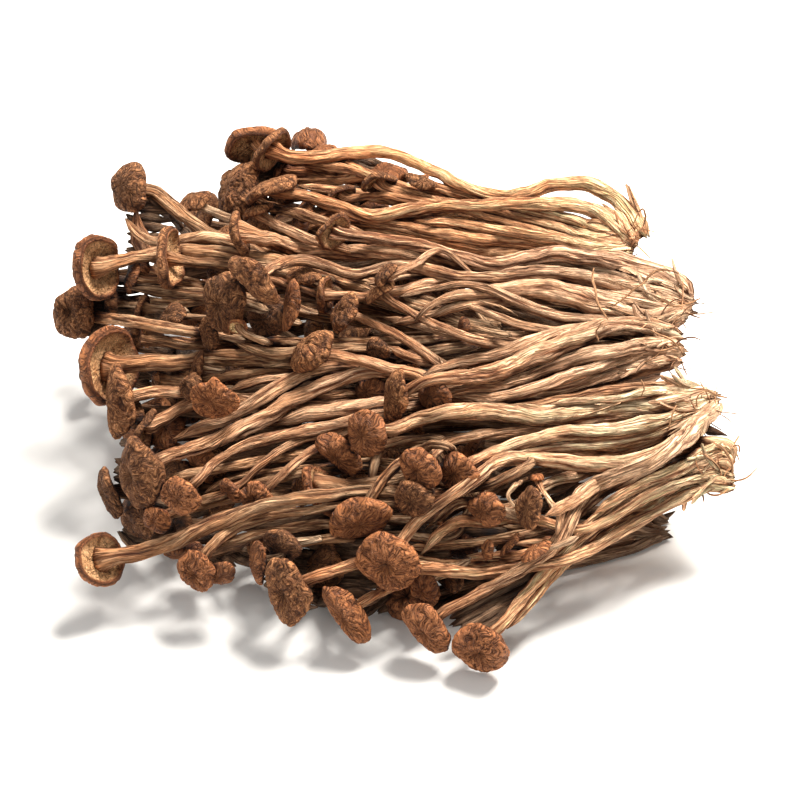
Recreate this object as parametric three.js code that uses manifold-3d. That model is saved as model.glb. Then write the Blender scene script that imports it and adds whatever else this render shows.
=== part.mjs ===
// A bunch of dried tea tree mushrooms, lying as one loose heap.
//
// The heap is a few big clumps of long thin stems and some strays between them.
// In a clump the stems have grown together at the root end into a flat, woody
// fan; from there they run side by side, cross and twist, and each ends in a
// small shrivelled cap. A clump is therefore one solid: the fused fan, its
// stems and their caps joined. The strays are single mushrooms that broke off
// with a short stem, and a few caps that lost their stem.
//
// Millimetres, +Z up. The heap rests on z = 0. +X is the long way, from the
// caps to the root ends; the origin is under the middle of the heap.
import * as THREE from "three";
import { ConvexGeometry } from "three/addons/geometries/ConvexGeometry.js";
import { mergeVertices } from "three/addons/utils/BufferGeometryUtils.js";
import Module from "manifold-3d";

const wasm = await Module();
wasm.setup();

// ---------------------------------------------------------------- dimensions
const STEM_SIDES = 4; // faces round a stem
const STEM_FLATTEN = 0.74; // a dried stem is a flattened strand: thickness / width
const STEM_FATTEN = 1.16; // a four-sided section with the area of the round one
const FAN_FLATTEN = 0.85; // extra flattening where the stems are fused
const FACING = [0, -0.76604444, 0.64278761]; // the flat side of the upper stems looks this way
const CAP_SIDES = 8; // faces round a cap
const CAP_FOLD = 1.3; // how strongly a cap with fold 1 curls about its long axis
const GROUND = 0; // level that the heap rests on
// [share of the cap's radius, height]: height is a share of the cap's height
// above the rim, and of its short radius below it, where the rim rolls in
const CAP_PROFILE = [
  [0.84, -0.16],
  [1.0, 0.02],
  [0.6, 0.74],
];
const CAP_PROFILE_UNDER = [[1.0, 0.1]];
const CAP_HOLLOW = 0.25; // underside of a cap without a stem, share of its height

// ---------------------------------------------------------------- colours
const MATERIALS = {
  clump: { color: 0xc29a6c, roughness: 0.9, metalness: 0 },
  clump_under: { color: 0xa98258, roughness: 0.92, metalness: 0 },
  stray: { color: 0xa5713f, roughness: 0.9, metalness: 0 },
  loose_cap: { color: 0x8a5a30, roughness: 0.88, metalness: 0 },
};

// ---------------------------------------------------------------- growth
// fans: for each fused root fan, one row per stem:
//   [root x, y, z, half width], [the same where the stem leaves the fan],
//   and for the lower clumps the facing and flattening of that stem
// growths: one row per mushroom
//   line: points [x, y, z, half width] from the root to the cap
//   cap:  centre of the rim, axis, long direction, [long radius, short radius, height, fold]
const CLUMPS = {
  clump_rear: {
    fans: [
      [
        [[108.59,54.22,77.66,3.79],[94.46,73.93,84.34,3.48]],
        [[102.72,47.96,75.98,3.36],[84.59,61.27,86.01,3.23]],
        [[104.63,51.32,76.64,2.1],[79.86,55.32,79.26,2.11]],
        [[104.52,49.68,76.28,1.89],[80.34,56.29,75.25,1.9]],
        [[105.89,54.21,77.65,1.9],[80.65,52.14,77.43,1.89]],
        [[104.49,49.14,76.16,2.1],[80.08,51.57,79.02,2.1]],
        [[103.57,48,75.95,1.68],[78.8,48.51,78.38,1.68]],
        [[103.07,53.42,77.2,2.53],[78.93,57.15,82.61,2.53]],
        [[101.74,45.74,75.53,2.51],[76.67,45.68,79.41,2.39]],
        [[100.84,44.67,75.27,2.51],[75.92,45.65,75.83,2.51]],
        [[103.78,51.28,76.68,2.31],[79.69,57.52,78.19,2.42]],
        [[102.52,44.76,75.21,2.51],[78.14,49.33,74.1,2.52]],
        [[99.98,43.96,74.76,2.51],[75.7,48.96,69.94,2.53]],
        [[97.86,50.99,76.88,2.31],[75.81,62.93,75.79,2.48]],
        [[97.66,47.72,76.15,2.31],[76.73,61.51,72.52,2.48]],
      ],
    ],
    growths: [
      { line: [[100.19,68.05,82.42,3.59],[89.84,76.93,85.39,3.4],[79.05,79.32,86.66,3.22],[68.45,75.9,86.87,3.05],[51.8,65.9,89.54,2.76],[37.98,66.33,90.97,2.55],[28.31,71.71,92.11,2.59],[11.32,90.26,90.28,2.73],[-1.51,95.66,91.1,2.82],[-12.66,95,91.62,2.87],[-39.5,86.8,94.72,3.01],[-50.16,88.46,97.95,3.83]], cap: [[-49.32,87.76,97.59],[-0.701,0.698,0.1464],[0.6092,0.4793,0.6318],[10.68,8.54,3.84,0]] },
      { line: [[91.96,58.97,82.84,3.28],[84.59,61.27,86.01,3.23],[68.37,59.03,89.52,3.13],[28.98,59.26,88.97,2.92],[15.23,60.8,86.39,2.9],[-6.89,58.38,84.24,2.83],[-30.86,65.5,88.12,2.77],[-49.56,67.91,92.07,3.51]], cap: [[-49.1,67.37,91.01],[-0.3664,0.4237,0.8284],[0.9272,0.2408,0.287],[12.24,8.57,4.28,0]] },
      { line: [[88.03,53.7,78.05,2.11],[71.79,57.47,80.28,2.11],[48.04,65.85,81.73,2.12],[10.04,74.36,86.76,2.13],[-10.47,83.31,88.23,2.14],[-31.35,91.35,88.15,2.16],[-50.47,94.33,91.08,2.23],[-56.46,98.59,93.93,2.76]], cap: [[-56.35,96.99,93.5],[-0.0714,0.9639,0.2564],[0.9875,0.0321,0.1542],[13.84,11.08,5.54,0]] },
      { line: [[88.05,52.96,75.89,1.9],[64.79,62.68,75.19,1.91],[38.67,72.9,76,1.93],[14.2,76.27,80.78,1.93],[-6.57,84.4,83.04,1.94],[-18.26,91.99,83.42,1.95],[-28.95,107.65,79.28,2.01],[-34.72,112.2,87.22,2.53]], cap: [[-34.57,111.4,85.51],[-0.0842,0.4203,0.9035],[0.1109,0.905,-0.4106],[11.96,7.89,6.32,0]] },
      { line: [[89.09,52.53,77.39,1.89],[75.05,52.56,77.67,1.89],[61.6,56.51,78.35,1.9],[41.71,66.91,79.13,1.91],[23.34,73.27,82.33,1.92],[2.3,80.39,85.61,1.93],[-12.43,88.46,87.19,1.94],[-23.54,96.89,87.2,2],[-27.69,97.67,90.58,2.49]], cap: [[-27.54,97.41,89.61],[-0.1574,0.25,0.9554],[0.9848,0.1116,0.133],[6.06,4.85,3.39,0]] },
      { line: [[87.97,49.99,76.96,2.1],[69.67,54.23,81.63,2.1],[43.12,61.46,84.32,2.11],[16.45,68.45,86.08,2.12],[0.46,70.01,90.15,2.23],[-3.78,72.57,92.05,2.71]], cap: [[-3.54,71.73,91.58],[-0.2432,0.8454,0.4755],[0.9577,0.2869,-0.0203],[8.27,6.62,3.31,0]] },
      { line: [[86.91,47.65,76.56,1.68],[70.78,50.14,80.02,1.68],[46.87,57.06,82.77,1.68],[22.91,63.24,86.38,1.69],[1.17,67.46,88.01,1.69],[-15.04,69.28,85.27,1.76],[-20.1,70.71,86.28,2.17]], cap: [[-19.69,70.02,86.1],[-0.4967,0.839,0.222],[0.8563,0.4321,0.2828],[6.87,5.49,2.75,0]] },
      { line: [[86.92,56.55,80.14,2.53],[70.87,58.36,84.39,2.52],[46.72,65.12,85.59,2.54],[22.74,71.52,88.97,2.54],[15.01,71.1,91.65,2.79],[13.99,71.06,94.25,3.26]], cap: [[13.8,70.92,93.67],[0.31,0.2237,0.9241],[0.9397,-0.2198,-0.262],[7.6,4.18,2.09,0.8]] },
      { line: [[84.91,45.41,77.4,2.43],[68.39,46.86,80.72,2.35],[29.81,55.42,82.24,2.03],[15.84,54.07,83.44,1.89]] },
      { line: [[84.19,44.77,75.44,2.51],[56.77,48.65,77.12,2.52],[29.19,50.69,79.1,2.52],[-8.44,60.39,79.93,2.54],[-23.89,66.46,77.63,2.55],[-37.17,65.18,75.89,3.27]], cap: [[-35.92,65.23,75.41],[-0.933,-0.0376,0.3579],[0.3252,0.3374,0.8834],[11.18,8.95,4.47,0]] },
      { line: [[87.43,54.46,77.43,2.38],[59.12,65.97,79.37,2.51],[37.62,71.56,78.94,2.38],[29.35,70.96,78.42,2.26],[9.03,62.6,81.03,1.94],[-7.38,62.86,78.21,1.7]] },
      { line: [[86.05,46.85,74.73,2.52],[70.12,51.47,74.17,2.53],[29.09,56.51,78.07,2.46],[7.84,62.84,77.8,2.27],[-16.36,68.87,78.73,2.04],[-29.49,68.33,82.11,1.91]] },
      { line: [[83.58,46.58,71.92,2.52],[72.9,49.18,69.76,2.53],[53.65,46.54,73.02,2.52],[34.1,49.2,74.4,2.44],[14.83,53.62,75.27,2.18],[-7.15,58.91,76.07,1.87],[-20.18,64.09,74.73,1.7]] },
      { line: [[83.25,59.11,76.02,2.43],[62.87,68.07,76.52,2.58],[39.49,77.22,77.06,2.75],[12.23,81.07,80.91,2.66],[-21.82,93.39,79.63,2.48],[-46.54,95.7,82.38,3.06]], cap: [[-45.88,95.35,82.17],[-0.8529,0.4495,0.2656],[0.4895,0.5115,0.7062],[7.39,5.18,2.59,0]] },
      { line: [[83.54,56.7,73.97,2.42],[69.2,65.27,71.86,2.54],[34.35,76.52,72.46,2.78],[9.56,77.06,77.44,2.52],[-15.13,76.73,82.95,2.2],[-37.45,79.47,84.71,1.93]] },
      { line: [[-8.9,88.27,80.49,2.3],[-38.18,97.55,82.63,2.34],[-54.76,100.04,82.65,2.1]] },
      { line: [[-7.94,82.09,88.15,2.2],[-21.87,87.56,81.74,2.26],[-40.2,91.96,79.25,2.2]] },
    ],
  },
  clump_upper: {
    fans: [
      [
        [[126.09,23.35,68.39,4.96],[91.44,35.48,78,4]],
        [[125.21,21.93,67.39,4.55],[89.4,35.52,73.43,3.87]],
        [[125.06,19.65,66.54,4.13],[87.63,28.28,72.78,3.52]],
        [[122.34,16.28,65.5,3.3],[83.82,22.73,70.1,2.74]],
        [[124,16.4,65.41,4.53],[85.95,15.81,69.17,4.65]],
        [[122.22,14.46,64.83,2.47],[83,10.95,65.66,2.46]],
        [[120.49,13.43,64.59,2.06],[82.05,8.33,61.72,2.2]],
        [[108.73,24.94,70.29,1.65],[72.56,38.65,70.4,1.81]],
        [[120.67,16.15,65.6,2.27],[83.21,27.99,69.06,2.41]],
        [[122.15,13.55,64.5,2.47],[84.05,20.55,66.02,2.61]],
        [[121.26,12.58,64.21,2.47],[82.29,10.62,61.48,2.6]],
      ],
    ],
    growths: [
      { line: [[99.54,35.85,75.73,4.21],[85.98,35.18,79.23,3.86],[69.21,35.99,80.31,3.43],[44.46,31.93,78.48,3],[23.23,38.73,79.54,2.83],[1.47,43.66,81.79,2.64],[-22.8,43.86,86.64,3.19]], cap: [[-22.05,43.27,86.57],[-0.5215,0.8392,-0.1544],[0.5943,0.487,0.6401],[8.3,7.06,3.18,0]] },
      { line: [[97.47,33.56,72.61,4.02],[75.61,36.81,74.22,3.62],[45.26,33.79,73.94,3.06],[23.79,39.18,74.72,3.04],[4.56,41.14,76.73,3.22],[-30.98,47.12,74.4,3.56],[-41.41,46.08,77.68,3.66],[-53.65,36.42,88.93,3.78],[-61.61,36.66,90.45,4.74]], cap: [[-60.52,36.73,90.77],[-0.9565,-0.0581,-0.2858],[0.2643,-0.5871,-0.7652],[9.48,7.58,3.79,0]] },
      { line: [[95.75,27.02,71.3,3.65],[68.49,30.46,75.42,3.21],[49.45,26.74,76.13,2.89],[30.08,26.82,75.54,2.67],[5.72,31.04,78.02,2.62],[-14.53,22.72,80.18,2.55],[-35.83,24.55,85.47,2.5],[-42.77,17.76,89,2.45],[-47.7,2.3,97.22,2.42],[-52.31,-6.31,98.7,3.03]], cap: [[-51.55,-5.3,98.69],[-0.7051,-0.5548,-0.4418],[0.702,-0.4578,-0.5455],[13.2,8.2,5.8,0.5]] },
      { line: [[91.97,20.84,68.95,2.86],[72.94,25.46,70.92,2.58],[54.08,30.78,69.22,2.32],[42.91,31.61,69.45,2.26],[21.27,26.82,73.11,2.19],[4.7,15.99,76.64,2.12],[-11.93,15.01,74.55,2.07],[-25.82,14.62,76.05,2.61]], cap: [[-24.95,14.33,76.2],[-0.9361,0.3146,-0.1571],[0.0872,0.6403,0.7631],[7.76,6.21,3.1,0]] },
      { line: [[93.85,14.08,66.69,4.63],[70.03,19.9,73.08,4.71],[53.23,20.77,73.86,3.84],[39.42,18.2,73.75,2.92],[21.24,10.01,75.92,1.7],[14.53,5.01,74,1.13],[11.06,4.29,69.75,0.82]] },
      { line: [[91.45,10.98,65.23,2.46],[69.05,12.23,66.97,2.46],[40.22,17.51,76.89,1.86],[26.62,20.47,75.93,1.53],[15.68,19.02,74.76,1.26],[6.17,13.18,76.15,1.02]] },
      { line: [[90.44,8.78,61.41,2.17],[73.82,6.98,62.84,2.23],[55.2,4.05,68.04,1.93],[32.31,13.54,71.53,1.36],[18.45,14.62,72.99,1.02]] },
      { line: [[80.93,38.02,69.73,1.78],[44.59,37.51,71.89,1.78],[17.75,44.57,75.26,1.4],[-7.23,47.15,77.15,1.05]] },
      { line: [[91.1,24.91,68.78,2.38],[69.54,31.37,69.65,2.46],[44.65,34.58,66.98,2.34],[9.2,28.84,74.76,1.87],[-6.93,18.18,78.55,1.64]] },
      { line: [[92.03,18.13,66.25,2.58],[75.83,21.82,66.35,2.64],[53.68,20.66,68.25,2.56],[27.13,11.65,71.04,2.18],[3.31,8.29,65.96,1.84]] },
      { line: [[90.59,9.95,62.79,2.57],[71.2,9.56,60.76,2.63],[50.75,1.08,64.3,2.53],[36.78,-2.44,67.58,2.34],[25.76,0.08,67.48,2.2],[10.13,9.07,65.05,2],[-0.79,10.58,66.81,1.84]] },
      { line: [[-10.73,44.12,75.64,1.67],[-37.39,47.87,81.71,2.17],[-42,50.84,82.06,2.23],[-48.79,59.34,80.25,2.33],[-54.96,62.48,84.16,2.97]], cap: [[-54.63,62,83.47],[-0.3732,0.5269,0.7636],[0.9276,0.2257,0.2976],[7.18,5.03,3.02,0]] },
      { line: [[37.57,26.71,74.65,0.83],[25.41,35.59,81.49,1.35],[20.2,35.66,82.34,1.49],[13.27,27.39,83.1,1.56],[6.37,13.63,89.12,1.61],[-0.92,11.42,88.83,2.07]], cap: [[-0.31,11.37,88.19],[-0.6943,0.0507,0.7179],[0.6428,0.4924,0.5868],[6.06,4.24,2.97,0]] },
    ],
  },
  clump_middle: {
    fans: [
      [
        [[119.07,4.9,61.91,4.09],[94.95,2.6,68.79,4.23]],
        [[116.58,4.14,61.46,2.86],[91.9,4.9,65.77,2.95]],
        [[120.51,1.29,60.08,3.27],[97.64,-6.84,65.3,3.14]],
        [[120.72,-1.8,58.9,3.06],[96.63,-7.62,61.28,2.87]],
        [[119.64,-5.76,57.38,3.05],[94.96,-10.78,56.81,2.86]],
        [[116.72,-1.77,59.26,2.04],[92.27,4.57,61.97,2.05]],
        [[118.46,-1.24,59.32,2.24],[94.12,-5.05,54.76,2.24]],
        [[116.44,-0.19,59.88,2.45],[93.35,-4.95,52.65,2.45]],
        [[117.78,-2.88,58.71,2.44],[93.03,-1.9,56.19,2.54]],
        [[117.56,-6.34,57.33,2.85],[93.5,-9.64,51.64,2.94]],
        [[117.85,-3.26,58.55,2.04],[92.89,-1.02,61.57,2.04]],
      ],
      [
        [[27.83,-19.6,51.1,2.42],[15.45,-13.27,51.68,2.43]],
        [[28.96,-21.55,49.84,2.82],[17.31,-14.03,50.69,2.84]],
        [[25.13,-20.96,50.05,2.42],[13.59,-20.53,46.25,2.43]],
        [[26.21,-20.87,50.35,1.82],[15.76,-28.47,54.31,1.8]],
        [[27.62,-18.73,51.76,2.02],[21.2,-30.56,51.87,2]],
        [[27.27,-20.54,50.53,2.42],[15.01,-14.27,49.54,2.45]],
        [[28.72,-19.55,51.17,2.62],[16.35,-14.97,46.54,2.64]],
        [[28.45,-19.72,51.18,2.02],[16.52,-14.21,55.44,2.02]],
        [[27.16,-19.82,50.86,2.83],[13.21,-21.53,49.82,3.11]],
      ],
    ],
    growths: [
      { line: [[102.96,4.55,66.93,4.19],[84.37,-1.12,69.32,4.29],[53.74,-14.12,63.61,4.07],[35.59,-26.89,67.05,3.37],[22.26,-35.43,72.77,2.88],[9.32,-35.58,68.24,2.44],[2.31,-39.06,66,3.02]], cap: [[2.99,-38.51,65.7],[-0.7319,-0.5955,0.3313],[0.1316,0.3534,0.9262],[11.23,6.17,3.09,0.5]] },
      { line: [[100.2,5.12,64.72,2.92],[75.52,1.85,66.89,3.01],[52.05,-6.8,64.94,2.72],[35.95,-10.39,62.23,2.32],[15.38,-18.95,61.36,1.81]] },
      { line: [[104.9,-3.13,63.64,3.18],[87.56,-11.02,66.5,3.08],[72.3,-10.04,60.34,3.01],[59.56,-14.5,57.65,2.72],[47.73,-21.51,58.54,2.44],[28.89,-31.58,63.22,2.03],[18.42,-34.99,63.62,2.53]], cap: [[19.49,-34.38,63.36],[-0.8529,-0.4797,0.2062],[0.5088,-0.675,0.5342],[10.05,7.04,4.22,0]] },
      { line: [[104.31,-4.26,60.98,2.93],[77.07,-18.42,61.05,2.7],[56.22,-25.91,58.16,2.5],[42.51,-28.18,56.8,2.35],[26.01,-30.11,58.51,2.16],[10.16,-25.77,55.55,2]] },
      { line: [[102.99,-8.25,57.24,2.93],[74.31,-19.47,55.78,2.69],[55.49,-24.32,53.36,2.58],[33.44,-28.25,53.67,2.49],[8.54,-31.57,53.12,2.4]] },
      { line: [[100.52,2.71,61.43,2.04],[86.64,4.84,62.16,2.05],[61.77,-0.33,62.83,2.04],[45.42,-5.38,65.15,2.03],[31.97,-8.45,71.88,1.97],[26.82,-6.12,72.4,1.95],[17.49,3.84,70.07,1.92],[12.61,7.25,70.56,1.89],[2.74,8.58,75.75,1.84],[-3.23,10.9,81.3,2.34]], cap: [[-2.77,10.55,80.71],[-0.568,0.4148,0.7109],[0.8209,0.3482,0.4527],[6.9,5.52,2.76,0.4]] },
      { line: [[102.23,-4.23,56.66,2.24],[86.04,-6.63,53.47,2.24],[59.9,-16.12,52.61,2.23],[43.5,-17.53,54.85,2.22],[22.74,-11.83,60.06,2.17],[-2.65,3.02,68.25,1.91],[-17.92,4.92,74.38,2.34]], cap: [[-16.97,5.09,73.65],[-0.7849,-0.1478,0.6018],[0.4532,0.5255,0.7201],[8.94,6.71,4.02,0]] },
      { line: [[100.93,-2.05,53.86,2.46],[95.75,-3.53,52.59,2.46],[74.15,-16.09,53.42,2.43],[52.6,-21.46,52.32,2.49],[33.8,-23.43,57.21,2.55],[15.25,-17.95,58.65,2.56],[-2.18,-20.52,66.71,2.38],[-17.7,-14.62,66.86,2.27],[-30.63,-14.94,71.26,2.82]], cap: [[-29.45,-15.03,70.04],[-0.6943,0.0507,0.7179],[0.7197,0.0495,0.6925],[10.95,8.76,5.69,0.5]] },
      { line: [[101.11,-2.65,58.16,2.51],[84.97,-2.47,54.24,2.58],[48.39,-15.13,50.6,2.4],[28.59,-24.61,53.68,2.09],[9.37,-24.5,52.4,1.81]] },
      { line: [[101.38,-9.37,54.47,2.9],[85.56,-10.8,49.42,2.97],[56.37,-19.88,47.55,2.91],[34.9,-25.71,49.41,2.51],[7.36,-28.77,47.07,2.01]] },
      { line: [[101.28,-1.3,60.82,2.04],[87.31,-1.56,61.52,2.04],[68.26,-5.81,59.3,2.21],[46.45,-10.81,57.68,2.4],[24.1,-9.87,57.3,2.17],[11,-9.58,61.91,1.97],[0.95,-13.34,70.73,1.8]] },
      { line: [[25.27,-18.54,51.4,2.42],[5.68,-8.5,52.26,2.45],[-4.2,-13.67,60.17,2.42],[-20.62,-12.49,60.85,2.68],[-36.12,-18.14,58.52,2.99],[-52.2,-28.51,54.88,3.09],[-64.2,-33.59,49.93,2.88],[-82.32,-39.68,45.89,2.59]] },
      { line: [[26.53,-20.23,50.16,2.83],[10.18,-10.16,51.73,2.85],[5.81,-11.35,54.89,2.84],[-3.03,-19.51,63.19,2.81],[-21.73,-20.16,57.87,3.15],[-43.59,-31.18,53.36,3.55],[-67.94,-42.97,47.19,3.13],[-77.11,-49.22,47.99,2.93],[-86.23,-59.05,52.21,2.76],[-97.71,-65.46,48.48,3.5]], cap: [[-96.38,-64.3,48.14],[-0.7405,-0.6449,0.1893],[0.1193,0.151,0.9813],[15.01,12,6,0.6]] },
      { line: [[23.16,-19.76,48.45,2.43],[18.47,-18.38,45.88,2.44],[13.59,-20.53,46.25,2.43],[5.52,-32.86,54.26,2.39],[0.98,-35.76,55.33,2.4],[-20.88,-39.03,51.59,2.51],[-45.6,-43.38,48.69,2.4],[-56.23,-46.67,47.66,2.18],[-65.98,-56.42,48.36,1.94],[-71.73,-71.5,52.65,1.74],[-79.57,-77.76,48.21,2.22]], cap: [[-79.03,-76.77,47.97],[-0.4716,-0.858,0.2034],[0.8581,-0.3934,0.3301],[8.53,7.68,3.84,0]] },
      { line: [[23.62,-21.83,50.55,1.82],[8.94,-32.58,55.95,1.79],[-9.21,-35.92,50.12,1.79],[-19.05,-40.48,47.93,1.79],[-39.16,-60.34,46.2,1.76],[-50.92,-69.12,39.51,2.25]], cap: [[-50.52,-68.46,39.32],[-0.5043,-0.8306,0.236],[0.8423,-0.4129,0.3465],[7.88,6.7,2.68,0]] },
      { line: [[26.25,-20.93,50.76,2.02],[22.58,-28.27,51.08,2],[17.16,-34.11,52.88,1.99],[-9.65,-35.43,46.53,2],[-28.62,-39.75,46.52,1.91],[-47.04,-52.89,45.26,1.7],[-61.71,-62.8,37.95,2.02]], cap: [[-61.29,-62.38,37.85],[-0.6943,-0.7005,0.1652],[0.6842,-0.7136,-0.1506],[5.74,4.02,2.01,0]] },
      { line: [[24.94,-19.02,50.57,2.42],[12.31,-13.78,49.1,2.48],[-9.75,-13.4,46.59,2.64],[-30.02,-20.95,50.89,2.75],[-57.78,-21.39,50.13,2.77],[-82.61,-20.54,52.99,2.68],[-97.9,-25.94,56.22,2.6],[-108.49,-29.05,55.51,3.33]], cap: [[-107.35,-28.49,55.22],[-0.8764,-0.4288,0.2193],[-0.0344,0.51,0.8595],[14.98,8.69,4.35,0.6]] },
      { line: [[26.18,-18.76,50.33,2.63],[8.62,-12.81,44.16,2.66],[-1.38,-16.04,45.44,2.63],[-12.27,-17.69,44.3,2.68],[-30.01,-26.04,49.5,2.73],[-71.77,-25.19,52.4,2.71],[-79.96,-26.45,51.23,2.67],[-91.17,-34.3,49.05,2.66],[-96.37,-35.34,48.49,3.32]], cap: [[-95.64,-35.73,48.26],[-0.8529,0.4495,0.2656],[0.5064,0.5885,0.6302],[7.19,5.75,2.88,0]] },
      { line: [[26.49,-18.22,52.57,2.02],[16.53,-14.21,55.44,2.02],[-11.78,-11.54,54.55,2.02],[-45.51,-16.19,56.74,1.91],[-63.54,-24.16,57.34,1.8]] },
      { line: [[24.36,-19.91,50.45,2.86],[13.21,-21.53,49.82,3.11],[-4.28,-30.4,54.06,3.46],[-23.97,-30.66,51.25,3.3],[-45.94,-32.55,46.6,2.8]] },
    ],
  },
  clump_lower: {
    fans: [
      [
        [[132.1,-21,49.99,5.25],[107.27,-25.77,50.46,5]],
        [[129.03,-18.29,51.41,2.83],[105.72,-24.2,56.27,2.23]],
        [[131.95,-23.14,49.15,3.23],[109.76,-34.48,50.12,3.19]],
        [[129.52,-22.93,49.5,2.82],[105.33,-27.02,44.72,2.64]],
        [[127.64,-26.49,48.29,2.82],[105.56,-38.74,46.63,2.51]],
        [[132.71,-23.92,48.76,3.63],[118.29,-44.31,50.27,3.41]],
        [[133.59,-22.99,49.03,4.03],[120.84,-44.21,53.15,3.82]],
        [[130.94,-25.78,48.21,3.22],[115.88,-46.92,47.86,2.95]],
        [[128.15,-19.22,51.13,2.42],[103.61,-18.1,54.08,2.42]],
        [[128.55,-25.14,48.73,2.42],[107.13,-37.71,43.33,2.49]],
        [[125.92,-27.9,47.91,2.41],[106.07,-40.3,38.71,2.49]],
      ],
    ],
    growths: [
      { line: [[115.52,-24.02,50.45,5.08],[77.04,-32.18,50.84,4.7],[41.02,-35.7,55.6,3.82],[25.45,-45.27,63.29,3.32],[9.81,-45.32,58.37,2.82],[1.84,-52.38,60.92,2.58],[-8.34,-56.57,62.16,3.24]], cap: [[-7.48,-55.58,61.74],[-0.6288,-0.7164,0.3024],[0.7634,-0.4948,0.4152],[9.67,9.19,4.59,0]] },
      { line: [[113.18,-20.97,54.9,2.42],[95.48,-28.1,56.66,1.96],[65.77,-32.93,57.4,1.19]] },
      { line: [[116.98,-30.42,49.32,3.21],[99.83,-39.23,51.12,3.17],[61.49,-44.52,49.63,2.84],[50.95,-48.01,49.31,2.66],[41.89,-54.89,51.18,2.49],[33.44,-66.55,56.19,2.37],[27.06,-72.12,55.67,2.97]], cap: [[27.83,-71.31,55.35],[-0.6645,-0.6971,0.2693],[0.7444,-0.5859,0.3202],[9.72,7.77,3.89,0]] },
      { line: [[113.42,-26.46,46.78,2.7],[99.87,-27.72,43.86,2.6],[83.48,-31.09,43.89,2.48],[59.09,-36.42,46.27,2.29],[32.58,-43.79,49.81,2.08],[22.71,-52,52.87,1.98],[17.91,-65.77,59.01,1.98],[12.32,-74.24,59.24,2.46]], cap: [[13.1,-73.25,59],[-0.6124,-0.7689,0.1837],[0.7905,-0.5991,0.1272],[9.59,8.63,4.31,0]] },
      { line: [[113.06,-34.88,47.04,2.61],[94.93,-42.23,45.68,2.37],[59,-47.75,45.41,2],[35.52,-58.42,48.71,1.77]] },
      { line: [[122.88,-37.47,48.79,3.48],[108.2,-59.88,56.35,3.27],[101.65,-64.89,56.96,3.19],[93.87,-65.47,54.58,3.12],[84.14,-58.66,47.39,3.07],[76.86,-55.62,44.98,3.02],[56.05,-53.95,48.76,2.85],[44.21,-57.35,51.2,2.75],[38.04,-75.34,57.84,2.63],[34.24,-79.64,58.62,2.58],[23.14,-82.83,52.38,2.47],[12.55,-81.09,39.79,2.34],[5.91,-91.67,39.46,2.35],[0.31,-101.59,36.19,2.93]], cap: [[0.78,-100.13,35.86],[-0.3039,-0.9287,0.2126],[0.9414,-0.2585,0.2169],[12.41,12.16,5.23,0]] },
      { line: [[124.88,-37.19,50.95,3.89],[112.02,-60.34,59.88,3.68],[104.56,-68.35,60.83,3.58],[92.26,-71.51,55.89,3.46],[82.62,-67.94,46.59,3.41],[78.5,-68.43,43.07,3.37],[74.76,-72.13,41.14,3.32],[69.4,-85.18,39.8,3.11],[64.84,-90.16,35.13,2.96],[53.94,-97.05,30.09,2.72],[37.05,-103.85,22.97,2.38],[22.54,-111.96,20.87,2.1],[14.76,-118.36,16.53,2.68]], cap: [[15.24,-117.34,16.57],[-0.4263,-0.9039,-0.0362],[0.5856,-0.2452,-0.7727],[12,8.4,3.78,0.3]] },
      { line: [[120.9,-40.47,47.41,3.04],[106.69,-59.22,51.27,2.81],[100.45,-64.62,51.43,2.71],[93.21,-66.93,48.19,2.48],[82.74,-67.1,39.03,2.14],[73.58,-75.64,33.22,1.75]] },
      { line: [[111.88,-17.54,53.75,2.42],[92.74,-20.1,53.73,2.42],[60.63,-28.9,53.88,2.06],[33.26,-32.6,53.31,1.6]] },
      { line: [[114.6,-34.2,45.32,2.46],[96.47,-40.95,41.46,2.53],[57.47,-47.42,41.6,2.28],[47.15,-50.63,43.63,2.11],[34.9,-58.21,48.93,1.9],[26.8,-61,48.12,1.77]] },
      { line: [[113.12,-36.8,41.67,2.46],[101.33,-43.24,38.22,2.5],[86.77,-51.52,39.62,2.52],[64.79,-59.35,38.9,2.47],[53.93,-69.37,38.47,2.36],[45.13,-75.27,39.91,2.28],[30.83,-74.02,42.82,2.06],[24.45,-73.19,38.29,1.9],[16.88,-77.84,33.38,1.75]] },
      { line: [[83.93,-67.69,47.63,2.72],[75.15,-74.11,45.28,2.71],[60.65,-89.07,49.33,2.29]] },
      { line: [[67.76,-80.4,45.63,1.92],[65.53,-90.11,38.9,1.15]] },
      { line: [[65.25,-81.91,45.66,1.54],[60.73,-65.79,41.84,1.1],[58.98,-61.19,43.94,1.51]], cap: [[59.02,-61.37,43.44],[-0.0819,0.3397,0.937],[0.9725,-0.1784,0.1497],[2.82,2.54,1.78,0]] },
    ],
  },
  clump_front: {
    fans: [
      [
        [[136.27,-50.76,38,1.79],[114.98,-63.22,42.94,1.76]],
        [[134.5,-54.52,36.85,2.38],[112.13,-66.35,34.57,2.36]],
        [[137.03,-47.16,39.21,3.58],[114.46,-58.13,39.29,3.39]],
        [[137.09,-57.02,35.27,3.56],[112.56,-60.11,34.38,3.01]],
        [[137.58,-43.87,41.61,3.19],[116.4,-56.64,43.35,2.81]],
        [[137.3,-53.91,36.73,3.17],[113.03,-53.87,32.74,2.68]],
        [[136.78,-42.33,43.44,3.19],[116.44,-57.04,46.33,3.01]],
        [[135.95,-45.57,39.93,2.59],[113.27,-49.75,31.49,2.6]],
        [[135.95,-55.73,36.24,2.37],[113.31,-54.94,26.9,2.48]],
        [[136.76,-53.34,37,2.38],[113.37,-60.32,31.03,2.38]],
        [[136.03,-51.25,37.85,1.98],[112.96,-57.14,30.23,1.99]],
        [[136.41,-49.02,40.23,2.2],[119.65,-40.43,40.71,2.7]],
      ],
    ],
    growths: [
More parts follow.
